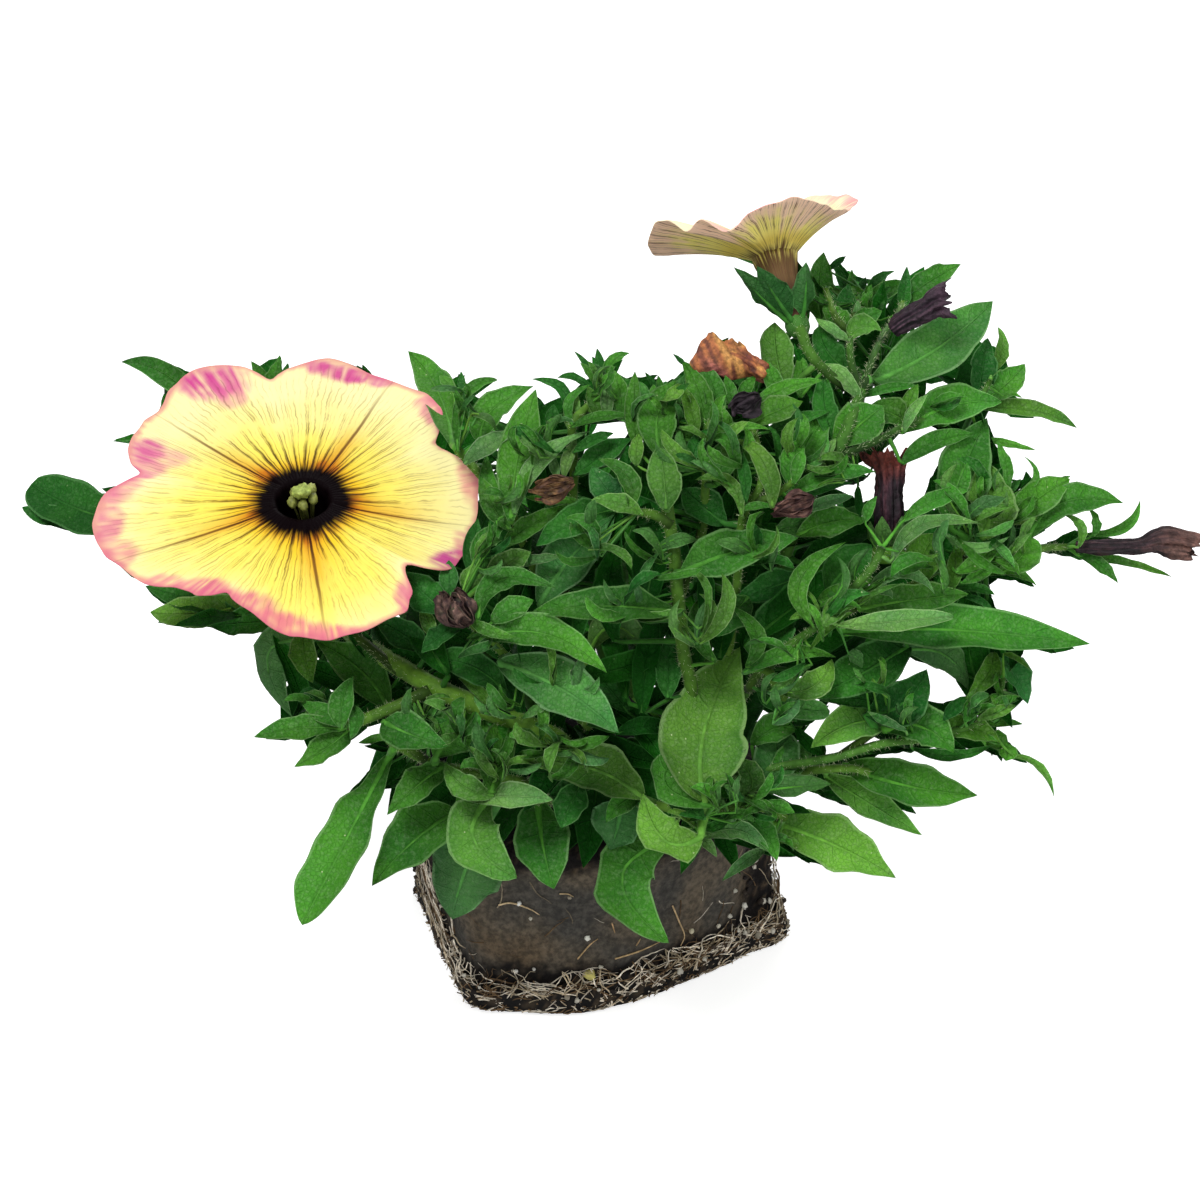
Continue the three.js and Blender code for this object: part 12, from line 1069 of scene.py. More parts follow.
    ["h195","main",[-19.09,-41.69,65.13],[-21.63,-49.23,63.44],[-19.21,-51.04,66.59],[-19.17,-49.96,68.5],[0.328,-0.538,0.776],0.99,0.54,1.08,22,0,"n"],
    ["h196","main",[-20.58,-41.45,65.72],[-22.12,-49.46,65.92],[-24.03,-52.74,70.76],[-26.99,-51.25,70.66],[-0.419,-0.415,0.807],0.96,0.53,0.87,17,0,"y"],
    ["h197","main",[-20.58,-41.45,65.72],[-21.71,-46.26,63.26],[-24.0,-49.65,63.26],[-26.44,-45.99,61.95],[0.164,-0.744,0.647],0.98,0.57,0.74,14,0,"y"],
    ["h198","main",[-19.09,-41.69,65.13],[-21.16,-48.04,61.87],[-21.15,-50.51,66.48],[-21.8,-47.65,67.24],[-0.363,-0.595,0.717],0.99,0.52,1.07,27,0,"g"],
    ["h199","main",[-20.58,-41.45,65.72],[-22.12,-46.84,62.61],[-22.18,-48.88,67.8],[-21.07,-44.29,67.82],[0.118,-0.588,0.8],1.37,0.52,0.92,17,0,"n"],
    ["h200","left",[-39.42,-44.73,63.19],[-43.43,-36.67,62.79],[-45.37,-37.89,65.66],[-47.81,-37.64,64.81],[-0.497,-0.635,0.591],0.98,0.42,1.07,38,0,"d"],
    ["h201","left",[-39.42,-44.73,63.19],[-44.83,-39.25,64.41],[-47.31,-41.21,66.31],[-49.43,-41.68,65.96],[0.069,-0.714,0.697],0.9,0.54,1.01,32,0,"n"],
    ["h202","left",[-39.42,-44.73,63.19],[-42.23,-39.7,63.78],[-43.98,-42.55,67.5],[-46.64,-38.95,65.98],[0.107,-0.504,0.857],0.75,0.41,0.95,35,0,"y"],
    ["h203","left",[-39.42,-44.73,63.19],[-45.67,-41.67,61.61],[-43.49,-43.25,63.64],[-42.03,-43.01,62.87],[0.416,-0.398,0.818],0.69,0.57,0.97,17,1,"n"],
    ["h204","left",[-39.42,-44.73,63.19],[-43.75,-38.04,61.35],[-45.49,-41.72,63.85],[-47.22,-39.74,62.17],[0.263,-0.455,0.851],0.71,0.52,1.06,21,0,"y"],
    ["h205","left",[-29.48,-41.87,66.39],[-27.9,-44.18,63.27],[-29.79,-46.72,67.6],[-29.18,-44.56,69.9],[0.076,-0.758,0.647],1.24,0.42,0.82,26,1,"n"],
    ["h206","left",[-29.48,-41.87,66.39],[-27.67,-45.12,63.93],[-25.84,-47.14,67.16],[-25.32,-43.42,67.23],[0.458,-0.651,0.605],0.68,0.44,0.98,30,0,"n"],
    ["h207","left",[-28.75,-41.72,66.72],[-27.31,-45.86,65.7],[-24.94,-49.48,65.83],[-25.0,-47.33,62.39],[-0.349,-0.449,0.822],0.81,0.59,1.0,34,0,"y"],
    ["h208","left",[-29.48,-41.87,66.39],[-28.11,-44.24,65.3],[-25.76,-47.24,65.34],[-23.56,-47.32,65.75],[0.391,-0.591,0.706],0.79,0.52,0.77,30,0,"n"],
    ["h209","left",[-28.75,-41.72,66.72],[-27.53,-44.1,64.59],[-25.47,-47.37,69.34],[-23.03,-46.68,69.0],[-0.005,-0.601,0.799],0.96,0.44,0.95,38,0,"y"],
    ["h210","tee",[5.79,-39.93,97.4],[-0.98,-39.85,93.09],[-1.43,-43.11,98.22],[-0.74,-42.34,100.46],[0.113,-0.737,0.667],1.05,0.43,0.72,15,1,"n"],
    ["h211","tee",[5.79,-39.93,97.4],[-0.19,-41.01,90.23],[-1.54,-42.84,96.46],[-5.28,-39.36,96.08],[0.463,-0.755,0.465],1.26,0.59,0.94,20,0,"n"],
    ["h212","tee",[5.79,-39.93,97.4],[0.09,-38.44,90.29],[-3.31,-40.19,93.89],[-3.25,-35.75,95.31],[-0.148,-0.817,0.558],1.32,0.57,1.02,27,0,"n"],
    ["h213","tee",[5.79,-39.93,97.4],[-1.78,-43.03,92.71],[2.86,-46.36,93.56],[4.74,-47.31,91.05],[-0.001,-0.557,0.831],1.02,0.48,0.99,23,0,"y"],
    ["h214","tee",[5.79,-39.93,97.4],[-0.38,-43.27,90.77],[-0.54,-44.23,94.78],[-2.2,-42.09,95.95],[-0.469,-0.575,0.671],0.96,0.52,1.07,30,0,"g"],
    ["h215","tee",[5.79,-39.93,97.4],[-0.36,-40.42,90.36],[-4.38,-44.48,90.98],[-6.9,-41.47,91.77],[0.388,-0.55,0.739],0.87,0.5,0.94,20,0,"n"],
    ["h216","cent",[12.0,-41.54,83.37],[4.98,-45.42,83.19],[0.36,-49.49,84.45],[-2.19,-48.21,87.33],[-0.284,-0.708,0.647],1.18,0.43,0.72,24,0,"n"],
    ["h217","cent",[12.0,-41.54,83.37],[4.44,-43.43,83.1],[1.68,-46.69,86.6],[0.52,-44.04,88.08],[-0.232,-0.522,0.821],0.83,0.48,0.97,39,1,"n"],
    ["h218","cent",[12.14,-41.54,81.95],[4.24,-42.79,81.57],[9.02,-47.19,82.64],[13.04,-45.52,83.67],[-0.401,-0.501,0.767],1.61,0.57,0.75,30,0,"y"],
    ["h219","cent",[12.14,-41.54,81.95],[3.82,-43.67,81.26],[5.96,-45.47,85.94],[4.51,-43.31,87.89],[0.186,-0.405,0.895],0.86,0.44,0.84,18,1,"g"],
    ["h220","cent",[11.89,-41.25,84.59],[3.64,-45.39,84.18],[5.93,-47.96,89.35],[9.51,-45.57,89.53],[0.008,-0.404,0.915],1.21,0.53,0.77,20,0,"d"],
    ["h221","csh",[-9.41,-39.81,66.99],[-4.53,-46.45,69.31],[-1.53,-50.34,72.07],[-0.11,-49.1,73.99],[0.37,-0.742,0.559],0.72,0.48,0.83,16,0,"g"],
    ["h222","csh",[-10.42,-40.17,68.33],[-6.39,-46.68,69.26],[-9.68,-51.8,70.12],[-12.02,-48.47,66.45],[-0.417,-0.518,0.747],1.06,0.55,0.9,19,1,"n"],
    ["h223","csh",[-12.45,-40.89,71.01],[-7.22,-49.01,72.34],[-6.99,-49.24,77.75],[-9.59,-46.16,79.52],[-0.349,-0.387,0.854],1.5,0.5,0.77,37,0,"y"],
    ["h224","csh",[-10.42,-40.17,68.33],[-6.38,-45.67,69.69],[-10.47,-48.69,72.37],[-13.23,-47.47,74.67],[-0.475,-0.726,0.498],1.17,0.52,0.77,24,0,"d"],
    ["h225","csh",[-9.41,-39.81,66.99],[-4.14,-47.48,68.28],[-3.14,-49.2,73.71],[-2.98,-48.2,76.96],[0.333,-0.559,0.76],1.37,0.55,0.97,18,1,"g"],
    ["h226","csh",[-21.53,-44.67,84.16],[-18.76,-41.68,88.66],[-16.24,-44.31,89.74],[-14.9,-43.22,91.01],[-0.217,-0.548,0.808],0.8,0.45,0.79,19,1,"n"],
    ["h227","csh",[-21.53,-44.67,84.16],[-18.42,-39.77,88.04],[-17.17,-41.18,91.26],[-15.04,-40.04,91.49],[0.268,-0.503,0.822],0.61,0.61,0.75,32,0,"d"],
    ["h228","csh",[-21.53,-44.67,84.16],[-18.41,-39.1,89.42],[-16.68,-41.85,93.01],[-15.06,-37.81,91.61],[0.105,-0.653,0.75],0.94,0.49,1.01,33,0,"y"],
    ["h229","csh",[-21.53,-44.67,84.16],[-17.86,-40.94,90.29],[-16.39,-42.17,93.91],[-16.98,-40.5,96.19],[-0.472,-0.726,0.5],1.04,0.49,0.96,37,0,"n"],
    ["h230","csh",[-21.53,-44.67,84.16],[-17.89,-38.53,89.15],[-15.11,-41.76,92.17],[-13.86,-37.07,92.25],[0.313,-0.693,0.649],1.01,0.47,0.99,38,0,"d"],
    ["h231","csh",[-21.53,-44.67,84.16],[-19.27,-41.11,90.16],[-18.06,-43.26,93.72],[-16.87,-39.42,93.99],[-0.437,-0.485,0.757],0.74,0.53,0.77,20,0,"y"],
    ["h232","csh",[-18.71,-43.37,79.27],[-21.65,-46.59,75.95],[-18.03,-49.7,78.93],[-15.34,-46.49,77.5],[-0.475,-0.679,0.559],1.31,0.51,0.98,29,0,"g"],
    ["h233","csh",[-18.07,-43.09,78.42],[-20.56,-45.02,76.34],[-17.38,-49.2,78.71],[-16.49,-47.2,80.06],[-0.373,-0.644,0.668],0.67,0.45,0.88,29,0,"n"],
    ["h234","csh",[-18.07,-43.09,78.42],[-21.12,-44.98,75.72],[-17.4,-48.39,78.71],[-16.51,-44.46,79.59],[-0.434,-0.541,0.721],1.29,0.54,1.09,32,0,"g"],
    ["h235","csh",[-18.71,-43.37,79.27],[-20.65,-43.67,77.62],[-17.39,-45.94,79.51],[-14.91,-44.39,78.64],[0.136,-0.813,0.566],0.9,0.56,0.75,32,0,"n"],
    ["h236","trsh",[21.85,-33.8,91.14],[24.66,-39.9,89.31],[20.61,-42.9,93.32],[17.55,-42.64,93.57],[-0.173,-0.754,0.633],1.32,0.43,0.75,24,1,"n"],
    ["h237","trsh",[21.85,-33.8,91.14],[24.14,-40.75,90.24],[23.01,-41.41,95.33],[25.26,-37.11,96.16],[-0.238,-0.472,0.849],1.33,0.54,0.81,35,0,"n"],
    ["h238","trsh",[21.73,-33.39,88.67],[22.54,-40.0,88.45],[26.39,-42.21,90.42],[29.76,-41.54,88.7],[-0.36,-0.557,0.748],1.23,0.52,0.83,31,0,"d"],
    ["h239","trsh",[21.73,-33.39,88.67],[26.31,-40.75,87.84],[26.06,-43.91,92.92],[27.22,-41.88,94.16],[-0.436,-0.736,0.518],0.95,0.47,0.9,19,1,"g"],
    ["h240","trsh",[21.85,-33.8,91.14],[24.37,-39.05,89.76],[23.99,-40.25,94.04],[22.24,-36.76,94.18],[-0.087,-0.643,0.761],0.78,0.54,0.97,14,0,"d"],
    ["h241","trsh",[21.85,-33.8,91.14],[23.09,-42.59,90.89],[26.16,-44.18,93.71],[26.8,-40.63,95.52],[0.496,-0.713,0.495],0.85,0.52,1.05,35,0,"y"],
    ["h242","ursh2",[36.14,-27.18,101.08],[38.02,-31.13,98.84],[35.25,-34.79,100.18],[33.42,-33.73,98.98],[-0.364,-0.709,0.604],0.68,0.49,1.06,39,0,"y"],
    ["h243","ursh",[35.49,-26.86,99.49],[38.02,-27.36,97.53],[35.28,-29.55,99.29],[33.03,-28.42,99.07],[0.146,-0.511,0.847],0.62,0.6,0.86,34,0,"d"],
    ["h244","ursh2",[39.25,-25.3,101.5],[39.94,-26.68,98.49],[36.4,-29.34,102.01],[33.44,-28.6,100.89],[0.253,-0.632,0.732],1.07,0.51,1.05,27,0,"y"],
    ["h245","ursh2",[39.25,-25.3,101.5],[39.51,-24.48,98.34],[37.22,-25.79,102.17],[35.27,-21.79,101.91],[-0.203,-0.609,0.767],0.78,0.43,0.78,17,0,"d"],
    ["h246","lowr3",[42.93,-42.1,60.61],[41.27,-44.36,69.33],[40.03,-48.0,73.51],[38.76,-46.95,74.41],[0.017,-0.477,0.879],0.66,0.54,1.01,19,1,"n"],
    ["h247","lowr3",[45.1,-40.79,61.47],[44.95,-44.42,68.21],[42.81,-46.21,70.47],[42.29,-42.94,70.7],[-0.112,-0.634,0.766],0.66,0.49,0.92,35,0,"y"],
    ["h248","lowr3",[44.02,-41.45,61.04],[42.52,-43.99,69.04],[43.54,-46.16,73.11],[42.76,-45.13,75.07],[0.398,-0.691,0.604],0.64,0.44,1.07,18,0,"y"],
    ["h249","lowr3",[45.65,-40.46,61.68],[43.89,-43.22,69.92],[43.86,-45.37,73.6],[43.29,-42.69,74.22],[-0.427,-0.398,0.812],0.66,0.54,0.77,30,0,"n"],
    ["h250","lowr3",[45.1,-40.79,61.47],[44.68,-45.92,69.47],[41.5,-48.68,71.97],[39.44,-44.53,70.32],[0.261,-0.726,0.636],0.96,0.41,1.03,20,0,"d"],
    ["h251","cent",[11.34,-39.81,90.68],[9.48,-44.23,91.31],[7.84,-46.94,96.69],[4.82,-45.83,96.87],[0.435,-0.575,0.693],1.22,0.44,0.85,16,1,"n"],
    ["h252","cent",[11.18,-39.56,91.6],[8.83,-42.19,91.48],[7.0,-45.34,90.31],[6.3,-45.54,88.33],[-0.044,-0.741,0.671],0.94,0.56,0.93,36,0,"g"],
    ["h253","cent",[11.34,-39.81,90.68],[8.01,-38.09,89.9],[11.54,-41.44,93.47],[14.85,-38.69,92.32],[0.296,-0.698,0.652],1.25,0.54,0.79,15,1,"n"],
    ["h254","cent",[11.56,-40.39,88.24],[8.1,-46.71,89.36],[12.39,-49.89,91.15],[15.39,-48.43,91.81],[-0.203,-0.428,0.88],1.03,0.53,0.8,29,0,"n"],
    ["h255","cent",[11.45,-40.1,89.46],[9.72,-40.97,89.2],[5.8,-44.45,92.87],[3.73,-43.16,95.69],[-0.207,-0.789,0.579],1.11,0.49,0.76,38,0,"n"],
    ["h256","hairy",[27.55,-45.05,69.64],[27.89,-51.07,68.79],[26.52,-54.18,72.79],[26.78,-50.73,73.16],[-0.13,-0.839,0.529],0.79,0.53,0.77,15,1,"n"],
    ["h257","hairy",[28.05,-44.91,68.81],[26.72,-50.95,67.24],[28.33,-53.18,70.92],[30.76,-50.51,69.49],[0.335,-0.615,0.713],0.7,0.53,0.74,24,0,"n"],
    ["h258","hairy",[27.55,-45.05,69.64],[26.49,-51.96,67.35],[28.91,-54.18,70.44],[30.45,-49.37,70.4],[-0.129,-0.437,0.89],1.11,0.42,0.76,25,1,"g"],
    ["h259","hairy",[28.54,-44.78,67.99],[27.4,-46.01,67.57],[27.73,-48.56,71.73],[29.29,-43.97,71.61],[0.116,-0.58,0.806],0.79,0.52,1.01,24,0,"n"],
    ["h260","hairy",[27.55,-45.05,69.64],[25.52,-47.64,68.54],[24.94,-50.88,73.61],[27.19,-48.87,74.58],[-0.342,-0.785,0.516],0.67,0.54,0.8,28,1,"n"],
    ["h261","ursh2",[52.99,-14.02,102.85],[52.33,-13.16,103.84],[55.13,-15.18,106.53],[58.52,-14.01,106.29],[0.023,-0.466,0.885],0.94,0.43,0.93,25,0,"n"],
    ["h262","ursh2",[52.99,-14.02,102.85],[52.24,-12.51,104.06],[54.98,-14.65,104.89],[57.36,-10.59,105.34],[0.191,-0.601,0.776],0.81,0.4,0.99,22,0,"n"],
    ["h263","ursh2",[54.17,-12.91,102.82],[52.56,-11.55,101.21],[54.82,-16.05,102.29],[57.16,-11.52,102.11],[-0.398,-0.689,0.606],0.61,0.55,0.78,20,0,"n"],
    ["h264","ursh2",[54.17,-12.91,102.82],[51.96,-10.71,104.04],[55.26,-15.8,105.08],[57.87,-11.85,105.95],[-0.373,-0.62,0.69],0.81,0.55,0.96,14,0,"d"],
    ["h265","tmsh",[17.64,-23.37,106.78],[11.13,-20.7,106.07],[12.01,-21.95,110.39],[13.36,-20.3,112.46],[-0.066,-0.849,0.525],0.88,0.53,0.97,27,1,"d"],
    ["h266","tmsh",[16.88,-25.73,105.2],[10.35,-25.33,107.07],[8.96,-28.08,110.37],[7.45,-27.07,111.08],[-0.475,-0.584,0.659],0.73,0.52,1.0,34,0,"n"],
    ["h267","tmsh",[17.14,-24.94,105.73],[10.37,-23.32,106.9],[11.71,-26.0,111.12],[13.91,-22.68,111.78],[0.242,-0.668,0.703],0.77,0.61,0.99,25,0,"d"],
    ["h268","tmsh",[16.63,-26.51,104.67],[10.54,-25.18,104.54],[14.42,-28.7,104.87],[17.89,-26.08,104.4],[0.423,-0.716,0.555],1.32,0.54,0.84,38,0,"n"],
    ["h269","tmsh",[16.88,-25.73,105.2],[12.15,-23.82,104.65],[12.23,-26.57,108.29],[11.49,-26.4,109.93],[0.177,-0.639,0.749],0.72,0.4,0.7,18,0,"g"],
]
SINGLE = dict([["l59","leaf_01"],["l81","leaf_02"],["l206","leaf_03"],["l22","leaf_04"],["l03","leaf_05"],["l57","leaf_06"],["l218","leaf_07"],["l65","leaf_08"],["l44","leaf_09"],["l27","leaf_10"],["l160","leaf_11"],["l68","leaf_12"],["l25","leaf_13"],["l184","leaf_14"],["l51","leaf_15"],["l101","leaf_16"],["l165","leaf_17"],["l26","leaf_18"],["l72","leaf_19"],["l45","leaf_20"]])
FRONT = {"c":[-46.93,-24.14,92.69],"n":[0.0,-0.3665,0.9304],"e1":[1.0,0.0,0.0],"e2":[-0.0,0.9304,0.3665],"tr":4.3,"rim":[[-19.3,-23.91,92.11],[-19.32,-22.71,93.0],[-19.17,-21.43,93.79],[-19.25,-20.07,94.31],[-19.87,-18.72,94.63],[-20.22,-17.36,95.01],[-20.74,-16.12,95.56],[-22.07,-15.25,96.16],[-23.45,-14.49,96.73],[-24.63,-13.68,97.15],[-25.77,-12.84,97.34],[-26.53,-11.79,97.49],[-26.28,-10.02,97.78],[-25.9,-8.1,98.44],[-25.58,-6.13,99.44],[-25.83,-4.48,100.36],[-26.73,-3.27,100.93],[-27.6,-1.87,101.29],[-28.56,-0.42,101.48],[-29.82,0.68,101.56],[-31.21,1.56,101.74],[-32.69,2.22,102.0],[-34.17,2.9,102.26],[-35.65,3.52,102.62],[-37.04,4.57,102.88],[-38.41,5.92,103.08],[-39.89,7.26,103.37],[-41.54,8.07,103.76],[-43.31,8.33,104.24],[-45.13,8.11,104.66],[-46.93,7.23,104.72],[-48.63,6.16,104.48],[-50.23,5.16,104.13],[-51.74,4.12,103.84],[-53.07,2.62,103.61],[-54.23,0.91,103.5],[-56.27,2.2,104.22],[-58.48,3.48,104.7],[-60.64,4.26,104.64],[-62.99,5.14,104.37],[-65.38,5.76,103.99],[-67.49,5.63,103.52],[-68.97,4.46,102.89],[-70.04,2.8,102.18],[-71.22,1.41,101.47],[-71.74,-0.5,100.37],[-72.6,-1.91,99.32],[-73.81,-3.09,98.64],[-74.47,-4.86,98.36],[-74.63,-6.97,98.2],[-74.91,-8.92,98.15],[-75.39,-10.66,98.06],[-75.66,-12.37,97.72],[-75.8,-13.98,97.15],[-75.43,-15.69,96.5],[-74.75,-17.42,95.98],[-73.25,-19.2,95.41],[-74.53,-20.33,94.96],[-76.18,-21.48,94.32],[-78.12,-22.66,93.39],[-79.17,-23.99,92.33],[-79.71,-25.38,91.16],[-80.01,-26.87,90.13],[-79.7,-28.46,89.51],[-79.21,-30.08,89.06],[-78.56,-31.63,88.58],[-77.73,-33.03,87.97],[-76.8,-34.31,87.22],[-75.27,-35.28,86.55],[-74.19,-36.57,86.36],[-73.19,-37.93,86.32],[-72.12,-39.22,86.33],[-70.95,-40.36,86.25],[-69.51,-41.16,85.99],[-67.61,-41.39,85.68],[-65.49,-41.24,85.45],[-63.99,-41.55,85.2],[-62.78,-42.2,85.14],[-61.84,-43.21,85.1],[-60.53,-43.72,85.23],[-59.05,-43.8,85.34],[-57.19,-42.9,85.37],[-56.3,-43.62,84.72],[-55.37,-44.45,84.26],[-54.44,-45.55,84.0],[-53.45,-46.81,83.84],[-52.36,-48.02,83.6],[-51.15,-49.03,83.15],[-49.82,-49.73,82.5],[-48.4,-50.06,81.88],[-46.93,-50.23,81.41],[-45.45,-50.03,81.32],[-43.95,-50.11,81.25],[-42.41,-50.24,81.08],[-40.87,-50.13,80.86],[-39.44,-49.52,80.9],[-38.06,-48.84,80.94],[-36.65,-48.35,81.13],[-35.21,-48.06,81.61],[-33.76,-47.83,82.31],[-32.27,-47.61,82.99],[-30.68,-47.39,83.48],[-29.32,-46.72,83.89],[-29.07,-44.7,84.72],[-28.68,-43.09,85.5],[-29.81,-40.27,86.95],[-29.64,-38.99,87.91],[-26.94,-39.63,87.86],[-24.88,-39.35,87.61],[-23.47,-38.42,87.38],[-22.56,-37.11,87.22],[-22.08,-35.6,87.23],[-21.53,-34.22,87.44],[-20.71,-33.05,87.86],[-20.44,-31.7,88.41],[-20.3,-30.29,88.85],[-20.18,-28.85,89.13],[-20.01,-27.4,89.34],[-19.62,-26.15,89.97],[-19.33,-25.04,91.04]],"tube":[[-46.93,-23.77,91.76],[-46.73,-20.57,86.18],[-45.8,-15.6,73.0],[-45.2,-12.4,65.6]],"tuber":[4.3,3.4,2.7,1.7],"mids":[1.155,2.435,3.554,4.909,6.122],"notches":[0.564,1.83,2.905,4.198,5.57]}
TOP = {"c":[28.39,3.65,123.88],"n":[-0.1599,0.5196,0.8393],"e1":[0.9871,0.0841,0.1359],"e2":[0.0,0.8503,-0.5264],"tr":3.4,"rim":[[7.82,6.25,124.73],[7.76,5.14,125.57],[7.86,4.25,126.38],[8.04,3.32,127.24],[8.19,2.36,128.08],[8.36,1.35,128.98],[8.58,0.33,129.88],[8.86,-0.6,130.66],[9.37,-1.62,131.46],[10.07,-2.57,132.13],[10.78,-3.37,132.47],[11.72,-4.24,132.15],[12.62,-4.98,131.58],[13.53,-5.84,131.13],[14.33,-6.51,131.64],[15.07,-7.07,132.76],[15.94,-7.7,133.35],[17.03,-8.45,133.12],[18.12,-8.97,132.61],[19.26,-9.03,132.11],[20.38,-8.44,132.09],[21.51,-7.77,132.46],[22.41,-7.3,133.24],[23.33,-6.95,134.17],[24.33,-6.94,134.95],[25.41,-7.2,135.65],[26.58,-7.27,136.17],[27.83,-7.22,136.53],[29.13,-6.96,136.68],[30.22,-6.51,136.59],[31.32,-5.89,136.34],[32.46,-5.08,135.95],[33.32,-4.39,135.59],[34.2,-3.61,135.16],[35.08,-2.73,134.68],[35.95,-1.74,134.15],[36.64,-0.85,133.66],[37.3,0.04,133.12],[37.95,0.99,132.56],[38.58,2.04,132.03],[39.19,3.2,131.57],[39.72,4.36,131.28],[40.21,5.55,131.1],[40.71,6.85,130.98],[41.19,8.21,130.89],[41.63,9.55,130.83],[41.99,10.81,130.76],[42.24,11.91,130.68],[42.38,13.31,130.51],[42.14,14.63,130.3],[41.68,15.68,130.08],[41.2,16.76,129.82],[40.59,17.79,129.49],[39.9,18.81,129.15],[39.3,19.92,128.91],[38.77,21.08,128.75],[38.2,22.28,128.57],[37.57,23.42,128.29],[36.9,24.42,127.9],[36.17,25.38,127.43],[35.41,26.32,126.91],[34.64,27.22,126.35],[33.89,28.13,125.75],[33.11,29.02,125.11],[32.3,29.81,124.48],[31.39,30.47,123.89],[30.29,30.97,123.31],[29.17,31.32,122.77],[28.07,31.6,122.25],[26.9,31.92,121.67],[25.75,32.11,121.13],[24.58,31.92,120.68],[23.53,31.39,120.37],[22.43,30.64,120.1],[21.38,29.78,119.88],[20.44,28.91,119.71],[19.59,27.97,119.59],[18.81,26.96,119.52],[18.02,25.87,119.47],[17.33,24.86,119.43],[16.63,23.8,119.41],[15.94,22.68,119.42],[15.21,21.52,119.47],[14.55,20.45,119.55],[13.88,19.34,119.65],[13.19,18.21,119.78],[12.52,17.09,119.95],[11.87,16.0,120.17],[11.19,14.91,120.44],[10.52,13.85,120.75],[9.9,12.78,121.11],[9.35,11.7,121.56],[8.92,10.6,122.09],[8.54,9.45,122.72],[8.23,8.3,123.4],[7.99,7.21,124.09]],"tube":[[28.49,2.28,123.31],[29.3,-1.54,121.03],[30.65,-4.33,118.61],[31.41,-5.91,116.62]],"tuber":[3.3,2.5,2.0,1.5],"mids":[],"notches":[]}
CALYCES = {"calyx_main":{"c":[-45.2,-12.0,64.2],"ax":[-0.074,-0.396,0.915],"r":2.3,"h":3.0,"rows":[[[-45.96,-10.69,64.71],[-47.68,-11.41,71.9],[-49.31,-12.02,78.61],[0.437,-0.899,-0.039],1.5,0.4,1.0,14,0],[[-46.77,-12.23,63.98],[-49.74,-15.35,70.03],[-52.57,-18.26,75.65],[0.917,0.021,0.397],1.5,0.4,1.0,14,0],[[-45.4,-13.45,63.56],[-46.24,-18.49,68.96],[-47.03,-23.24,73.94],[0.101,0.755,0.648],1.5,0.4,1.0,14,0],[[-43.76,-12.67,64.03],[-42.02,-16.49,70.16],[-40.34,-20.07,75.85],[-0.885,0.288,0.367],1.5,0.4,1.0,14,0],[[-44.1,-10.96,64.74],[-42.91,-12.12,71.98],[-41.75,-13.14,78.74],[-0.677,-0.734,-0.058],1.5,0.4,1.0,14,0]]},"calyx_top":{"c":[31.56,-6.51,115.82],"ax":[-0.287,0.599,0.748],"r":2.0,"h":2.6,"rows":[[[30.53,-7.27,116.04],[25.72,-6.64,120.61],[21.31,-5.71,125.11],[0.791,0.588,-0.167],1.5,0.4,1.0,14,0],[[30.91,-7.5,116.36],[27.76,-7.72,121.23],[24.86,-7.55,125.88],[0.5,0.76,-0.416],1.5,0.4,1.0,14,0],[[32.25,-7.22,116.66],[32.64,-6.43,121.4],[32.77,-5.37,125.83],[-0.534,0.548,-0.644],1.5,0.4,1.0,14,0],[[32.54,-5.7,115.55],[32.36,-0.94,119.51],[31.8,3.51,123.59],[-0.752,-0.624,0.211],1.5,0.4,1.0,14,0],[[31.61,-5.49,115.02],[29.76,1.46,118.07],[27.88,8.02,121.42],[-0.041,-0.788,0.615],1.5,0.4,1.0,14,0]]},"calyx_upright":{"c":[45.91,-24.02,83.47],"ax":[0.019,0.423,0.906],"r":1.8,"h":2.2,"rows":[[[45.07,-24.5,83.71],[43.03,-24.63,86.56],[42.85,-23.7,88.89],[0.844,0.479,-0.241],1.35,0.4,1.0,14,0],[[45.59,-24.88,83.88],[44.7,-26.21,87.68],[44.51,-25.66,90.6],[0.319,0.857,-0.406],1.35,0.4,1.0,14,0],[[46.36,-24.84,83.84],[47.56,-25.69,87.43],[47.77,-24.75,90.2],[-0.447,0.814,-0.37],1.35,0.4,1.0,14,0],[[46.91,-24.03,83.45],[49.35,-23.16,85.32],[49.58,-22.27,87.23],[-1.0,0.008,0.017],1.35,0.4,1.0,14,0],[[46.23,-23.16,83.06],[46.97,-19.96,85.04],[47.02,-18.64,87.92],[-0.313,-0.858,0.407],1.35,0.4,1.0,14,0]]}}
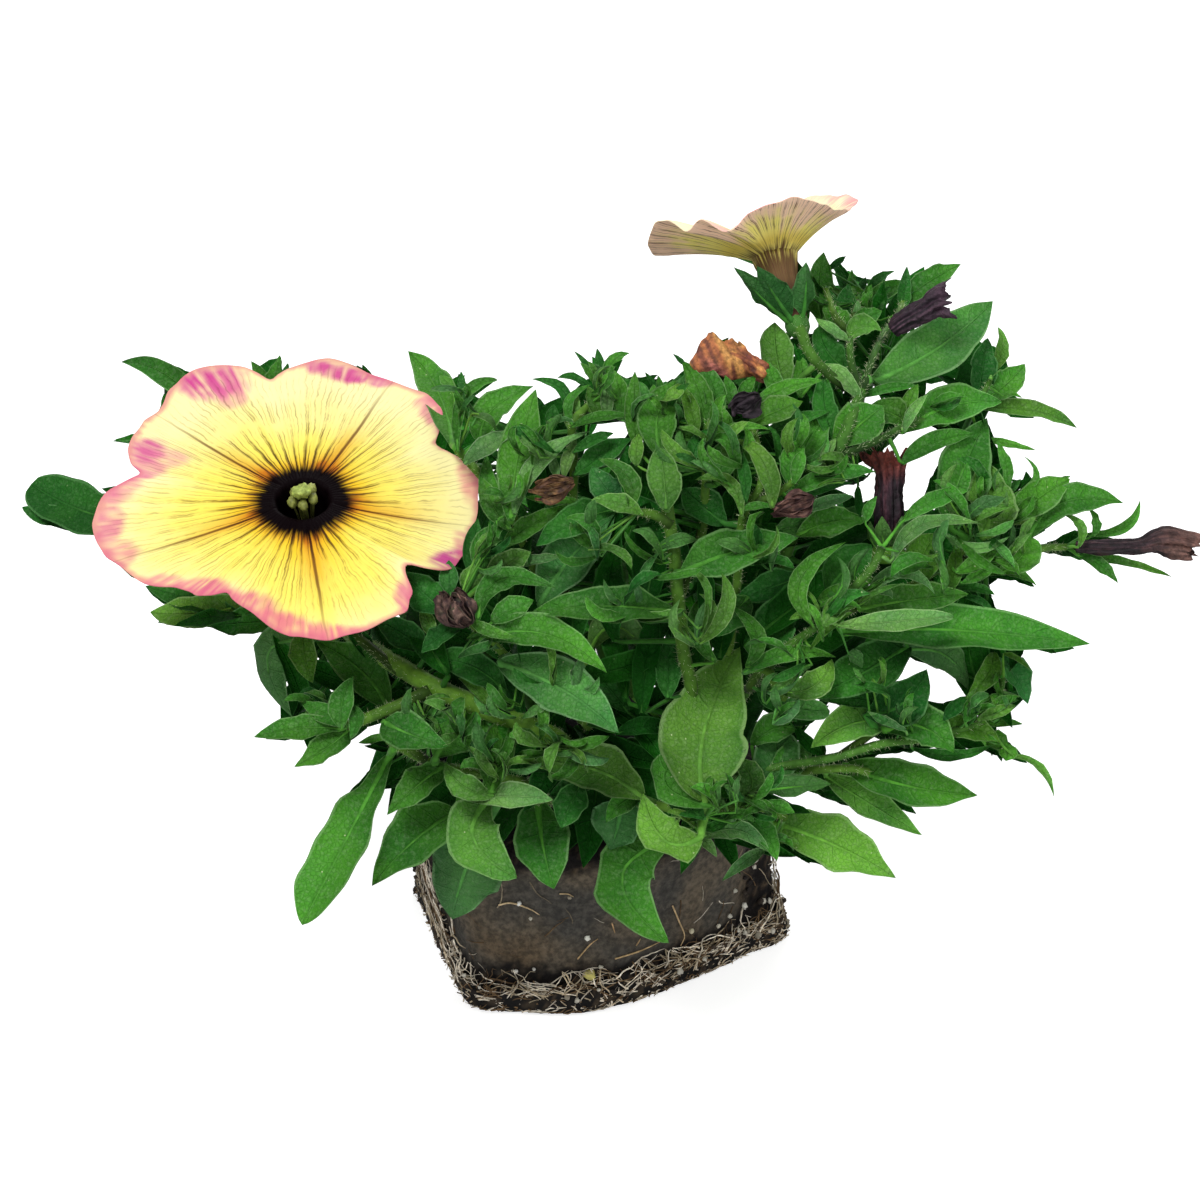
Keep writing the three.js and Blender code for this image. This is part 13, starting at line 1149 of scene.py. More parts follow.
WITHERED = [{"name":"withered_orange","pts":[[25.76,-18.31,111.36],[23.93,-16.69,112.43],[21.45,-15.48,113.33],[18.48,-14.21,114.2],[16.24,-15.14,114.04],[14.77,-17.16,113.27]],"r":[1.2,2.4,3.6,3.9,2.6,1.0]},{"name":"withered_left_bud","pts":[[-20.1,-47.03,81.9],[-20.67,-47.13,83.96],[-21.84,-47.17,85.66],[-22.77,-46.45,86.67]],"r":[1.1,2.2,2.7,1.6]},{"name":"withered_bit","pts":[[-4.14,-35.32,100.59],[-6.44,-35.58,100.04],[-8.58,-35.81,99.47],[-10.73,-35.89,99.01]],"r":[0.8,1.5,1.7,0.9]},{"name":"black_bud","pts":[[24.82,-22.29,109.36],[23.22,-23.4,108.95],[21.62,-24.63,108.43],[20.34,-25.6,107.97]],"r":[0.9,1.6,1.7,0.8]},{"name":"withered_brown","pts":[[32.56,-35.57,97.87],[30.67,-36.51,97.44],[28.79,-37.29,97.1],[26.92,-38.14,96.63]],"r":[1.0,1.8,2.0,1.2]},{"name":"withered_purple","pts":[[47.54,-1.43,113.0],[49.38,-1.76,114.66],[51.75,-1.68,115.99],[54.28,-1.48,117.62],[56.21,-1.27,118.06],[57.99,-1.48,117.62]],"r":[1.2,1.9,2.4,2.5,1.6,0.7]},{"name":"withered_upright","pts":[[46.07,-23.21,85.2],[46.07,-21.8,88.24],[46.07,-20.45,91.13],[46.07,-19.1,94.02],[45.91,-18.03,96.33],[45.75,-17.22,98.06]],"r":[1.0,1.7,2.0,2.2,3.0,4.0]},{"name":"withered_far_right","pts":[[77.23,-16.3,81.09],[79.41,-16.76,81.29],[83.37,-17.22,81.5],[87.42,-17.15,81.64],[89.52,-16.88,82.23],[91.63,-16.81,82.38],[93.9,-16.95,82.08],[96.16,-17.15,81.64]],"r":[1.0,1.6,1.7,1.8,2.6,2.7,2.0,1.0]}]
BALL = [[0.0,28.65,26.25],[12.86,27.98,27.17],[25.71,28.64,27.99],[38.57,29.56,29.91],[51.43,30.54,30.12],[64.29,31.18,30.55],[77.14,30.67,30.71],[90.0,31.0,31.0],[102.86,31.8,31.8],[115.71,33.49,32.78],[128.57,35.79,34.54],[141.43,36.81,34.73],[154.29,36.68,35.67],[167.14,34.61,35.09],[180.0,31.5,35.4],[192.86,30.33,36.04],[205.71,30.73,37.36],[218.57,32.87,38.66],[231.43,36.02,37.88],[244.29,32.71,35.67],[257.14,30.63,33.57],[270.0,27.8,31.78],[282.86,25.33,30.81],[295.71,23.73,29.67],[308.57,23.37,28.97],[321.43,23.99,28.53],[334.29,25.91,27.11],[347.14,30.1,26.67]]
BALL_X, BALL_Y, BALL_H = 2.0, 2.0, 32.0

FRONT_PATCHES = [
    [-16.99,27.73,5.64,3.43,-8,[216,96,160],0.95],
    [-19.77,29.2,2.66,2.29,0,[208,72,150],0.7],
    [-12.78,24.8,2.66,2.75,0,[232,150,170],0.6],
    [-25.7,11.0,2.99,3.21,10,[214,92,158],0.9],
    [-21.7,9.61,3.32,2.29,0,[236,170,172],0.6],
    [4.71,31.17,7.3,2.06,-6,[214,92,156],0.95],
    [10.64,28.71,2.32,1.6,-20,[220,110,166],0.8],
    [19.55,20.46,2.16,4.58,25,[236,158,166],0.75],
    [26.2,5.91,1.99,5.95,5,[238,172,152],0.8],
    [23.99,-12.38,3.65,2.75,25,[206,72,158],0.95],
    [26.05,-8.89,1.66,3.21,25,[222,128,150],0.6],
    [17.61,-21.78,1.99,4.12,10,[226,136,156],0.85],
    [-7.98,-22.62,6.64,3.21,-24,[228,140,148],0.9],
    [-0.04,-26.79,7.3,2.75,-8,[232,150,146],0.9],
    [8.35,-27.62,4.32,2.06,4,[230,140,148],0.8],
    [-13.68,-18.82,3.65,2.29,-14,[222,118,146],0.85],
    [-19.4,-18.39,4.32,2.29,-14,[232,156,156],0.8],
    [-29.12,4.54,3.65,4.12,30,[226,140,160],0.75],
    [-26.04,5.46,3.65,1.83,22,[222,124,162],0.7],
    [-30.27,-4.48,2.32,6.87,0,[226,146,160],0.85],
    [-27.88,-11.51,2.99,3.66,-20,[222,128,150],0.7],
]
# specks of perlite: angle, height, radius, distance out, colour
PERLITE = [
    [-97.1,7.21,1.0,0.5,[216,206,120]],
    [-99.0,5.03,0.6,0.5,[226,222,190]],
    [-116.2,21.83,0.4,0.2,[235,235,228]],
    [-97.5,14.87,0.5,0.3,[228,228,215]],
    [-113.4,18.92,0.3,0.2,[190,186,172]],
    [-102.4,23.39,0.3,0.2,[170,160,140]],
    [-93.6,8.36,0.4,0.4,[200,196,180]],
    [-118.2,7.87,0.4,0.4,[210,208,200]],
    [-113.2,8.54,0.3,0.4,[200,198,190]],
    [-29.0,10.18,0.55,0.6,[222,220,208]],
    [-22.8,4.76,0.6,0.6,[226,224,212]],
    [-31.3,5.48,0.5,0.6,[214,210,196]],
    [-16.7,8.49,0.5,0.6,[206,202,190]],
    [-37.9,9.98,0.45,0.6,[200,196,182]],
    [-24.1,1.5,0.5,0.8,[214,210,190]],
    [-43.9,9.07,0.4,0.6,[204,198,180]],
    [-58.1,10.64,0.5,0.5,[196,188,160]],
    [-19.4,1.99,0.5,0.6,[220,216,204]],
    [-36.6,14.99,0.4,0.5,[190,186,172]],
]
# single roots on the ball: radius, distance out, colour, angle and height along it
ROOTS = [
    [0.15,0.3,[206,186,150],[[-121.5,21.2],[-118.3,21.89],[-113.5,20.96],[-110.9,19.86]]],
    [0.12,0.3,[196,176,140],[[-105.1,24.26],[-102.9,24.22],[-101.2,23.56]]],
    [0.13,0.3,[186,160,120],[[-100.6,10.68],[-96.9,13.35],[-94.4,14.41]]],
    [0.14,0.3,[190,165,125],[[-88.9,9.53],[-79.9,10.0],[-71.1,10.75]]],
    [0.14,0.3,[196,172,134],[[-68.2,17.96],[-64.6,13.96],[-60.8,10.0],[-62.1,7.99]]],
    [0.12,0.3,[180,150,112],[[-90.0,17.31],[-89.0,15.11]]],
    [0.12,0.3,[176,150,112],[[-81.5,11.37],[-80.1,12.69]]],
]
# outline of the dry orange petal, mm
ORANGE = [[14.14,-17.64,112.78],[15.24,-16.38,114.99],[16.83,-15.03,117.17],[17.94,-14.77,117.24],[19.21,-15.07,116.02],[20.79,-14.66,116.2],[22.7,-15.05,114.51],[24.77,-15.15,113.37],[26.53,-15.3,112.26],[26.69,-16.21,110.24],[25.57,-16.74,109.6],[23.02,-16.79,110.63],[20.64,-17.35,110.5],[18.57,-17.38,111.35],[16.35,-17.77,111.5]]
STEM_TINT = {"main": (86, 128, 42), "cent": (66, 104, 34), "pedic": (66, 110, 38), "ursh": (60, 104, 38), "ursha": (60, 104, 38), "urshb": (60, 104, 38), "ursh2": (60, 104, 38), "rmsh": (62, 104, 38), "lowr": (66, 110, 42)}
STEM_SLIM = {"main": 0.84, "cent": 0.66, "ursh": 0.6, "ursha": 0.55, "urshb": 0.55, "ursh2": 0.5, "rmsh": 0.55, "rrsh": 0.5, "lowr": 0.55, "pedic": 0.8, "rrsh2": 0.7}

# ------------------------------------------------------------------ helpers
def unit(v):
    v = np.asarray(v, float)
    n = np.linalg.norm(v, axis=-1, keepdims=True)
    return v / np.maximum(n, 1e-9)


def smooth(e0, e1, x):
    t = np.clip((np.asarray(x, float) - e0) / (e1 - e0), 0, 1)
    return t * t * (3 - 2 * t)


def vnoise(p, scale, seed=0.0):
    """Smooth noise of points in mm, about -1 to 1."""
    return np.array([noise.noise(Vector((q[0] * scale + seed, q[1] * scale - seed, q[2] * scale + 2 * seed))) for q in np.asarray(p).reshape(-1, 3)]).reshape(np.asarray(p).shape[:-1])


class Build:
    """Gathers vertices, faces and per-vertex data in mm, then makes one mesh object."""

    def __init__(self):
        self.v, self.f, self.m, self.a, self.c, self.n = [], [], [], [], [], 0

    def add(self, verts, faces, mat=0, attr=None, col=None):
        verts = np.asarray(verts, float).reshape(-1, 3)
        k = len(verts)
        self.v.append(verts)
        self.f += [tuple(i + self.n for i in q) for q in faces]
        self.m += [mat] * len(faces)
        self.a.append(np.zeros((k, 3)) if attr is None else np.asarray(attr, float).reshape(k, 3))
        if col is None:
            c = np.ones((k, 4))
        else:
            c = np.asarray(col, float)
            if c.ndim == 1:
                c = np.tile(c, (k, 1))
            if c.shape[1] == 3:
                c = np.hstack([c, np.ones((k, 1))])
        self.c.append(c)
        self.n += k

    def make(self, name, mats, smooth_shade=True):
        v = np.concatenate(self.v) * MM
        me = bpy.data.meshes.new(name)
        me.from_pydata([tuple(p) for p in v], [], self.f)
        me.polygons.foreach_set("material_index", self.m)
        me.polygons.foreach_set("use_smooth", [smooth_shade] * len(self.f))
        at = me.attributes.new("part", "FLOAT_VECTOR", "POINT")
        at.data.foreach_set("vector", np.concatenate(self.a).ravel())
        ca = me.color_attributes.new("tint", "FLOAT_COLOR", "POINT")
        ca.data.foreach_set("color", np.concatenate(self.c).ravel())
        for m in mats:
            me.materials.append(m)
        me.validate()
        me.update()
        ob = bpy.data.objects.new(name, me)
        bpy.context.scene.collection.objects.link(ob)
        return ob


def grid_faces(nu, nv, flip=False, wrap=False):
    out = []
    for i in range(nu - 1):
        for j in range(nv if wrap else nv - 1):
            a, b = i * nv + j, i * nv + (j + 1) % nv
            c, d = b + nv, a + nv
            out.append((a, d, c, b) if flip else (a, b, c, d))
    return out


# ------------------------------------------------------------------ leaves
# leaf tones; k is a near-black green, painted shade for leaves deep inside the plant
TONES = {
    "n": (0.045, 0.180, 0.019), "d": (0.020, 0.118, 0.015), "y": (0.078, 0.214, 0.030), "g": (0.050, 0.182, 0.036),
    "b": (0.030, 0.145, 0.030), "o": (0.054, 0.166, 0.018), "p": (0.098, 0.232, 0.060), "k": (0.013, 0.086, 0.010),
}


def width_at(t, tm, tp):
    t = np.asarray(t, float)
    a = 0.16 + 0.84 * np.sin(np.pi / 2 * np.clip(t / tm, 0, 1)) ** 0.9
    s = np.clip((t - tm) / (1 - tm), 0, 1)
    b = np.maximum(0, 1 - s ** 1.9) ** tp
    return np.where(t < tm, a, b)


def leaf(build, row, rng, mat_leaf=0, mat_stalk=1, dense=1.0, dark=1.0):
    _, _, S, B, M, E, n, hw, tm, tp, fold, under, tone = row
    S, B, M, E, n = (np.array(q, float) for q in (S, B, M, E, n))
    length = np.linalg.norm(M - B) + np.linalg.norm(E - M)
    if under:
        n = -n
    nt = int(np.clip(length * 0.95 * dense, 9 if dense > 1 else 7, 30))
    ns = 5 if length * dense < 9 else 7 if length < 16 else 9
    t = np.linspace(0, 1, nt + 1)
    t = 0.5 * t + 0.5 * (np.sin((t - 0.5) * np.pi) * 0.5 + 0.5)
    s = np.linspace(-1, 1, 2 * (ns // 2) + 1)
    s = np.sign(s) * np.abs(s) ** 0.85
    T = t[:, None]
    c = B * 2 * (T - 0.5) * (T - 1) + M * -4 * T * (T - 1) + E * 2 * T * (T - 0.5)
    d1 = B * (4 * T - 3) + M * (4 - 8 * T) + E * (4 * T - 1)
    d2 = B * 4 - M * 8 + E * 4
    speed = np.linalg.norm(d1, axis=1, keepdims=True)
    tan = d1 / speed
    N = unit(n - (tan @ n)[:, None] * tan)
    L = unit(np.cross(N, tan))
    # a touch of twist
    tw = rng.uniform(-0.22, 0.22)
    ang = tw * (t - 0.4)[:, None]
    L, N = L * np.cos(ang) + N * np.sin(ang), N * np.cos(ang) - L * np.sin(ang)
    # how sharply it bends sideways: the inner half narrows
    curv = np.cross(d1, np.broadcast_to(d2, d1.shape)) / speed ** 3
    k_side = -(curv * N).sum(1)  # > 0 when the centre of the bend lies towards +L
    h = hw * width_at(t, tm, tp)
    ph1, ph2 = rng.uniform(0, 6.28), rng.uniform(0, 6.28)
    wave = 0.065 * np.sin(2.2 * 2 * np.pi * t + ph1) + 0.045 * np.sin(4.1 * 2 * np.pi * t + ph2)
    h_l = h * (1 + wave * 0.7)
    h_r = h * (1 - wave * 0.5 + 0.02 * np.sin(9 * t + ph2))
    lim = 0.82 / np.maximum(1e-6, np.abs(k_side))
    h_p = np.where(k_side > 0, np.minimum(h_r, lim), h_r)
    h_m = np.where(k_side < 0, np.minimum(h_l, lim), h_l)
    hh = np.where(s[None, :] > 0, h_p[:, None], h_m[:, None])
    f = math.radians(fold) * (1.35 + rng.uniform(-0.3, 0.5))
    SS = s[None, :]
    across = SS * hh * math.cos(f)
    vee = (np.sqrt(SS ** 2 + 0.012) - 0.11) * hh * math.sin(f)
    belly = rng.uniform(0.03, 0.10)
    bell = -belly * hh * (np.abs(SS) - SS ** 2) * 2.2
    # quilting between the side veins, waves along the edge
    nv = 5.0 if length > 14 else 4.0
    vphase = t[:, None] * nv + -0.55 * np.abs(SS) * np.sign(1)
    quilt = 0.03 * hh * np.cos(2 * np.pi * vphase) * np.sin(np.pi * np.clip(np.abs(SS), 0, 1)) ** 0.8
    amp = rng.uniform(0.20, 0.42) if hw < 3 else rng.uniform(0.16, 0.34)
    edge = amp * hw * np.abs(SS) ** 2.2 * (np.sin(2 * np.pi * (1.7 * t[:, None]) + ph1 + (SS > 0) * 2.1) * 0.6 + 0.4 * np.sin(2 * np.pi * 3.7 * t[:, None] + ph2 * (1 + (SS > 0))))
    up = vee + bell + quilt + edge * np.sin(np.pi * np.clip(t[:, None] * 0.9 + 0.08, 0, 1))
    top = c[:, None, :] + L[:, None, :] * across[..., None] + N[:, None, :] * up[..., None]
    th = 0.20 + 0.10 * (1 - np.abs(SS)) + 0 * hh
    th = th * np.clip(hh / 0.6, 0.15, 1)
    low = top - N[:, None, :] * th[..., None]
    m = len(s)
    low[:, 0], low[:, -1] = top[:, 0] - N * 0.05, top[:, -1] - N * 0.05
    verts = np.concatenate([top.reshape(-1, 3), low.reshape(-1, 3)])
    k = (nt + 1) * m
    faces = grid_faces(nt + 1, m, flip=False)
    faces += [tuple(i + k for i in q[::-1]) for q in faces]
    for i in range(nt):
        a, b = i * m, (i + 1) * m
        faces.append((a, b, b + k, a + k)[::-1])
        a, b = i * m + m - 1, (i + 1) * m + m - 1
        faces.append((a, b, b + k, a + k))
    for j in range(m - 1):
        faces.append((j, j + 1, j + 1 + k, j + k)[::-1])
        e = nt * m
        faces.append((e + j, e + j + 1, e + j + 1 + k, e + j + k))
    TT = np.broadcast_to(t[:, None], (nt + 1, m))
    S2 = np.broadcast_to(SS, (nt + 1, m))
    attr = np.concatenate([np.stack([TT, S2, np.zeros_like(TT)], -1).reshape(-1, 3), np.stack([TT, S2, np.ones_like(TT)], -1).reshape(-1, 3)])
    if dark < 0.85:  # dark below 1 is painted shade on inner leaves; those that look out at the back get less of it
        dark = dark + 0.34 * float(smooth(2, 26, c.mean(0)[1]))
    # painted shade: leaves with dark below 0.95 are darkened and made greener, like the shadows inside the plant
    base = np.array(TONES[tone]) * (np.array([1, 1, 1]) if dark > 0.95 else np.array([0.62, 1.18, 0.55])) * dark
    vary = rng.uniform(0.78, 1.18)
    mid = c.mean(0)
    # painted light: leaves low down and to the right are made lighter, as if more front light fell on them
    base = base * (1 + 0.10 * (1 - smooth(40, 66, mid[2])) + 0.14 * smooth(15, 50, mid[0])) ** np.array([0.7, 1.2, 0.5])
    warm = rng.uniform(-0.12, 0.06)
    base = base * vary * np.array([1 + warm, 1 + warm * 0.25, 1 - warm * 0.6])
    # painted shade: the blade is darker towards its base, deep in the plant, and one half is lighter than the other, as
    # if lit across the fold
    painted_shade_gain = 0.74 + 0.42 * np.minimum(1, TT * 1.25)
    painted_shade_gain = painted_shade_gain * (1 + 0.10 * rng.choice([-1, 1]) * np.tanh(S2 * 3))
    col = base[None, None, :] * painted_shade_gain[..., None]
    length_code = np.full((nt + 1, m, 1), nv / 10.0)
    col = np.concatenate([col, length_code], -1).reshape(-1, 4)
    build.add(verts, faces, mat_leaf, attr, np.concatenate([col, col]))
    # stalk, running on as the midrib under the blade
    way = [S, S * 0.45 + B * 0.55 + N[0] * 0.1, B - N[0] * 0.12]
    rad = [0.85, 0.62, 0.52] if row[0][0] != "h" else [0.5, 0.42, 0.4]
    for q in (0.12, 0.3, 0.5, 0.7):
        i = int(np.argmin(np.abs(t - q)))
        way.append(c[i] - N[i] * (0.16 + 0.1 * (1 - q)))
        rad.append((0.46 - 0.42 * q))
    scale = min(1.15, max(0.45, hw / 3.6))
    tube(build, np.array(way), np.array(rad) * scale, 6 if dense > 1 else 5, mat_stalk, base * 1.2 + np.array([0.012, 0.018, 0.004]), nseg=len(way) * 2 if length > 12 else len(way))
    return


def curve_points(path, n):
    """Centripetal-like Catmull-Rom through path, n + 1 points evenly spaced."""
    P = np.asarray(path, float)
    if len(P) == 2:
        u = np.linspace(0, 1, n + 1)[:, None]
        return P[0] * (1 - u) + P[1] * u
    ext = np.vstack([2 * P[0] - P[1], P, 2 * P[-1] - P[-2]])
    out = []
    for i in range(1, len(ext) - 2):
        a, b, c, d = ext[i - 1 : i + 3]
        for k in range(12):
            t = k / 12
            out.append(0.5 * (2 * b + (c - a) * t + (2 * a - 5 * b + 4 * c - d) * t * t + (3 * b - a - 3 * c + d) * t ** 3))
    out.append(ext[-2])
    out = np.array(out)
    d = np.concatenate([[0], np.cumsum(np.linalg.norm(np.diff(out, axis=0), axis=1))])
    q = np.linspace(0, d[-1], n + 1)
    return np.stack([np.interp(q, d, out[:, k]) for k in range(3)], 1)


def tube(build, path, radii, sides, mat, col, nseg=None, bump=0.0, seed=0.0, painted_foot_shade=1.0):
    nseg = nseg or len(path) * 2
    P = curve_points(path, nseg)
    u = np.linspace(0, 1, nseg + 1)
    r = np.interp(u, np.linspace(0, 1, len(radii)), radii)
    tan = unit(np.gradient(P, axis=0))
    ref = np.array([0.0, 0, 1]) if abs(tan[0][2]) < 0.9 else np.array([1.0, 0, 0])
    side = unit(np.cross(ref, tan[0]))
    sides_v = []
    for k in range(nseg + 1):
        side = side - (side @ tan[k]) * tan[k]
        side = side / max(1e-9, np.linalg.norm(side))
        sides_v.append(side)
    sides_v = np.array(sides_v)
    up = np.cross(tan, sides_v)
    a = np.linspace(0, 2 * np.pi, sides, endpoint=False)
    ring = np.cos(a)[None, :, None] * sides_v[:, None, :] + np.sin(a)[None, :, None] * up[:, None, :]
    R = r[:, None] * np.ones(sides)
    if bump:
        R = R * (1 + bump * vnoise(P[:, None, :] + ring * 2.0, 0.7, seed))
    V = P[:, None, :] + ring * R[..., None]
    verts = V.reshape(-1, 3)
    faces = grid_faces(nseg + 1, sides, wrap=True, flip=True)
    faces.append(tuple(range(sides)))
    tip = P[-1] + tan[-1] * r[-1] * 0.6
    verts = np.vstack([verts, tip])
    k = len(verts) - 1
    e = nseg * sides
    for j in range(sides):
        faces.append((e + (j + 1) % sides, e + j, k)[::-1])
    attr = np.zeros((len(verts), 3))
    attr[:-1, 0] = np.repeat(u, sides)
    attr[:-1, 1] = np.tile(a, nseg + 1)
    # painted shade: a value below 1 darkens the tube towards its foot, deep inside the plant
    tint = np.asarray(col)[None, :] * (painted_foot_shade + (1 - painted_foot_shade) * smooth(0.1, 0.6, attr[:, 0]))[:, None]
    tint[-1] = col
    build.add(verts, faces, mat, attr, tint)
    return P, tan, r


def hairs(build, P, r, rng, count, mat, col, long=0.9, thick=0.035):
    """Short stiff hairs standing off a stem, as thin three-sided spikes."""
    n = len(P)
    tan = unit(np.gradient(P, axis=0))
    V, F, k = [], [], 0
    for _ in range(count):
        i = rng.randrange(n - 1)
        f = rng.random()
        p = P[i] * (1 - f) + P[i + 1] * f
        t = tan[i]
        q = unit(np.cross(t, [rng.uniform(-1, 1) for _ in range(3)]))
        root = p + q * r[i] * 0.9
        d = unit(q + t * rng.uniform(-0.2, 0.5))
        tip = root + d * long * rng.uniform(0.6, 1.2)
        e1 = unit(np.cross(d, t)) * thick
        e2 = unit(np.cross(d, e1)) * thick
        V += [root + e1, root - e1 * 0.5 + e2 * 0.87, root - e1 * 0.5 - e2 * 0.87, tip]
        F += [(k, k + 1, k + 3), (k + 1, k + 2, k + 3), (k + 2, k, k + 3)]
        k += 4
    build.add(np.array(V), F, mat, None, col)


# ------------------------------------------------------------------ materials
def nodes_of(mat):
    mat.use_nodes = True
    nt = mat.node_tree
    nt.nodes.clear()
    out = nt.nodes.new("ShaderNodeOutputMaterial")
    b = nt.nodes.new("ShaderNodeBsdfPrincipled")
    nt.links.new(b.outputs[0], out.inputs[0])
    return nt, b


class G:
    """Small builder for node graphs."""

    def __init__(self, name, slot_rough=0.5, spec=0.4):
        self.mat = bpy.data.materials.new(name)
        self.nt, self.b = nodes_of(self.mat)
        self.b.inputs["Roughness"].default_value = slot_rough
        self.b.inputs["Specular IOR Level"].default_value = spec

    def new(self, kind, **props):
        n = self.nt.nodes.new(kind)
        for k, v in props.items():
            setattr(n, k, v)
        return n

    def link(self, a, b):
        self.nt.links.new(a, b)

    def put(self, sock, val):
        if hasattr(val, "is_linked") or isinstance(val, bpy.types.NodeSocket):
            self.link(val, sock)
        else:
            sock.default_value = val

    def math(self, op, a, b=None, c=None, clamp=False):
        n = self.new("ShaderNodeMath", operation=op, use_clamp=clamp)
        self.put(n.inputs[0], a)
        if b is not None:
            self.put(n.inputs[1], b)
        if c is not None:
            self.put(n.inputs[2], c)
        return n.outputs[0]

    def step(self, x, lo, hi):
        n = self.new("ShaderNodeMapRange", interpolation_type="SMOOTHSTEP")
        self.put(n.inputs["Value"], x)
        n.inputs["From Min"].default_value = lo
        n.inputs["From Max"].default_value = hi
        return n.outputs[0]

    def mix(self, fac, a, b, mode="MIX"):
        n = self.new("ShaderNodeMix", data_type="RGBA", blend_type=mode)
        self.put(n.inputs[0], fac)
        self.put(n.inputs[6], a)
        self.put(n.inputs[7], b)
        return n.outputs[2]

    def noise(self, scale, detail=3.0, rough=0.5, vec=None, out=0, dist=0.0):
        n = self.new("ShaderNodeTexNoise")
        n.inputs["Scale"].default_value = scale
        n.inputs["Detail"].default_value = detail
        n.inputs["Roughness"].default_value = rough
        n.inputs["Distortion"].default_value = dist
        self.link(vec if vec is not None else self.obj(), n.inputs["Vector"])
        return n.outputs[out]

    def voronoi(self, scale, feature="F1", vec=None, out=0):
        n = self.new("ShaderNodeTexVoronoi", feature=feature)
        n.inputs["Scale"].default_value = scale
        self.link(vec if vec is not None else self.obj(), n.inputs["Vector"])
        return n.outputs[out]

    def obj(self):
        if not hasattr(self, "_obj"):
            self._obj = self.new("ShaderNodeTexCoord").outputs["Object"]
        return self._obj

    def attr(self, name):
        key = "_a_" + name
        if not hasattr(self, key):
            n = self.new("ShaderNodeAttribute", attribute_name=name)
            setattr(self, key, n)
        return getattr(self, key)

    def xyz(self, v):
        n = self.new("ShaderNodeSeparateXYZ")
        self.link(v, n.inputs[0])
        return n.outputs

    def rgb(self, r, g, b):
        return (r, g, b, 1.0)

    def bump(self, height, strength=0.3, dist=0.0003):
        n = self.new("ShaderNodeBump")
        n.inputs["Strength"].default_value = strength
        n.inputs["Distance"].default_value = dist
        self.link(height, n.inputs["Height"])
        self.link(n.outputs[0], self.b.inputs["Normal"])
        return n


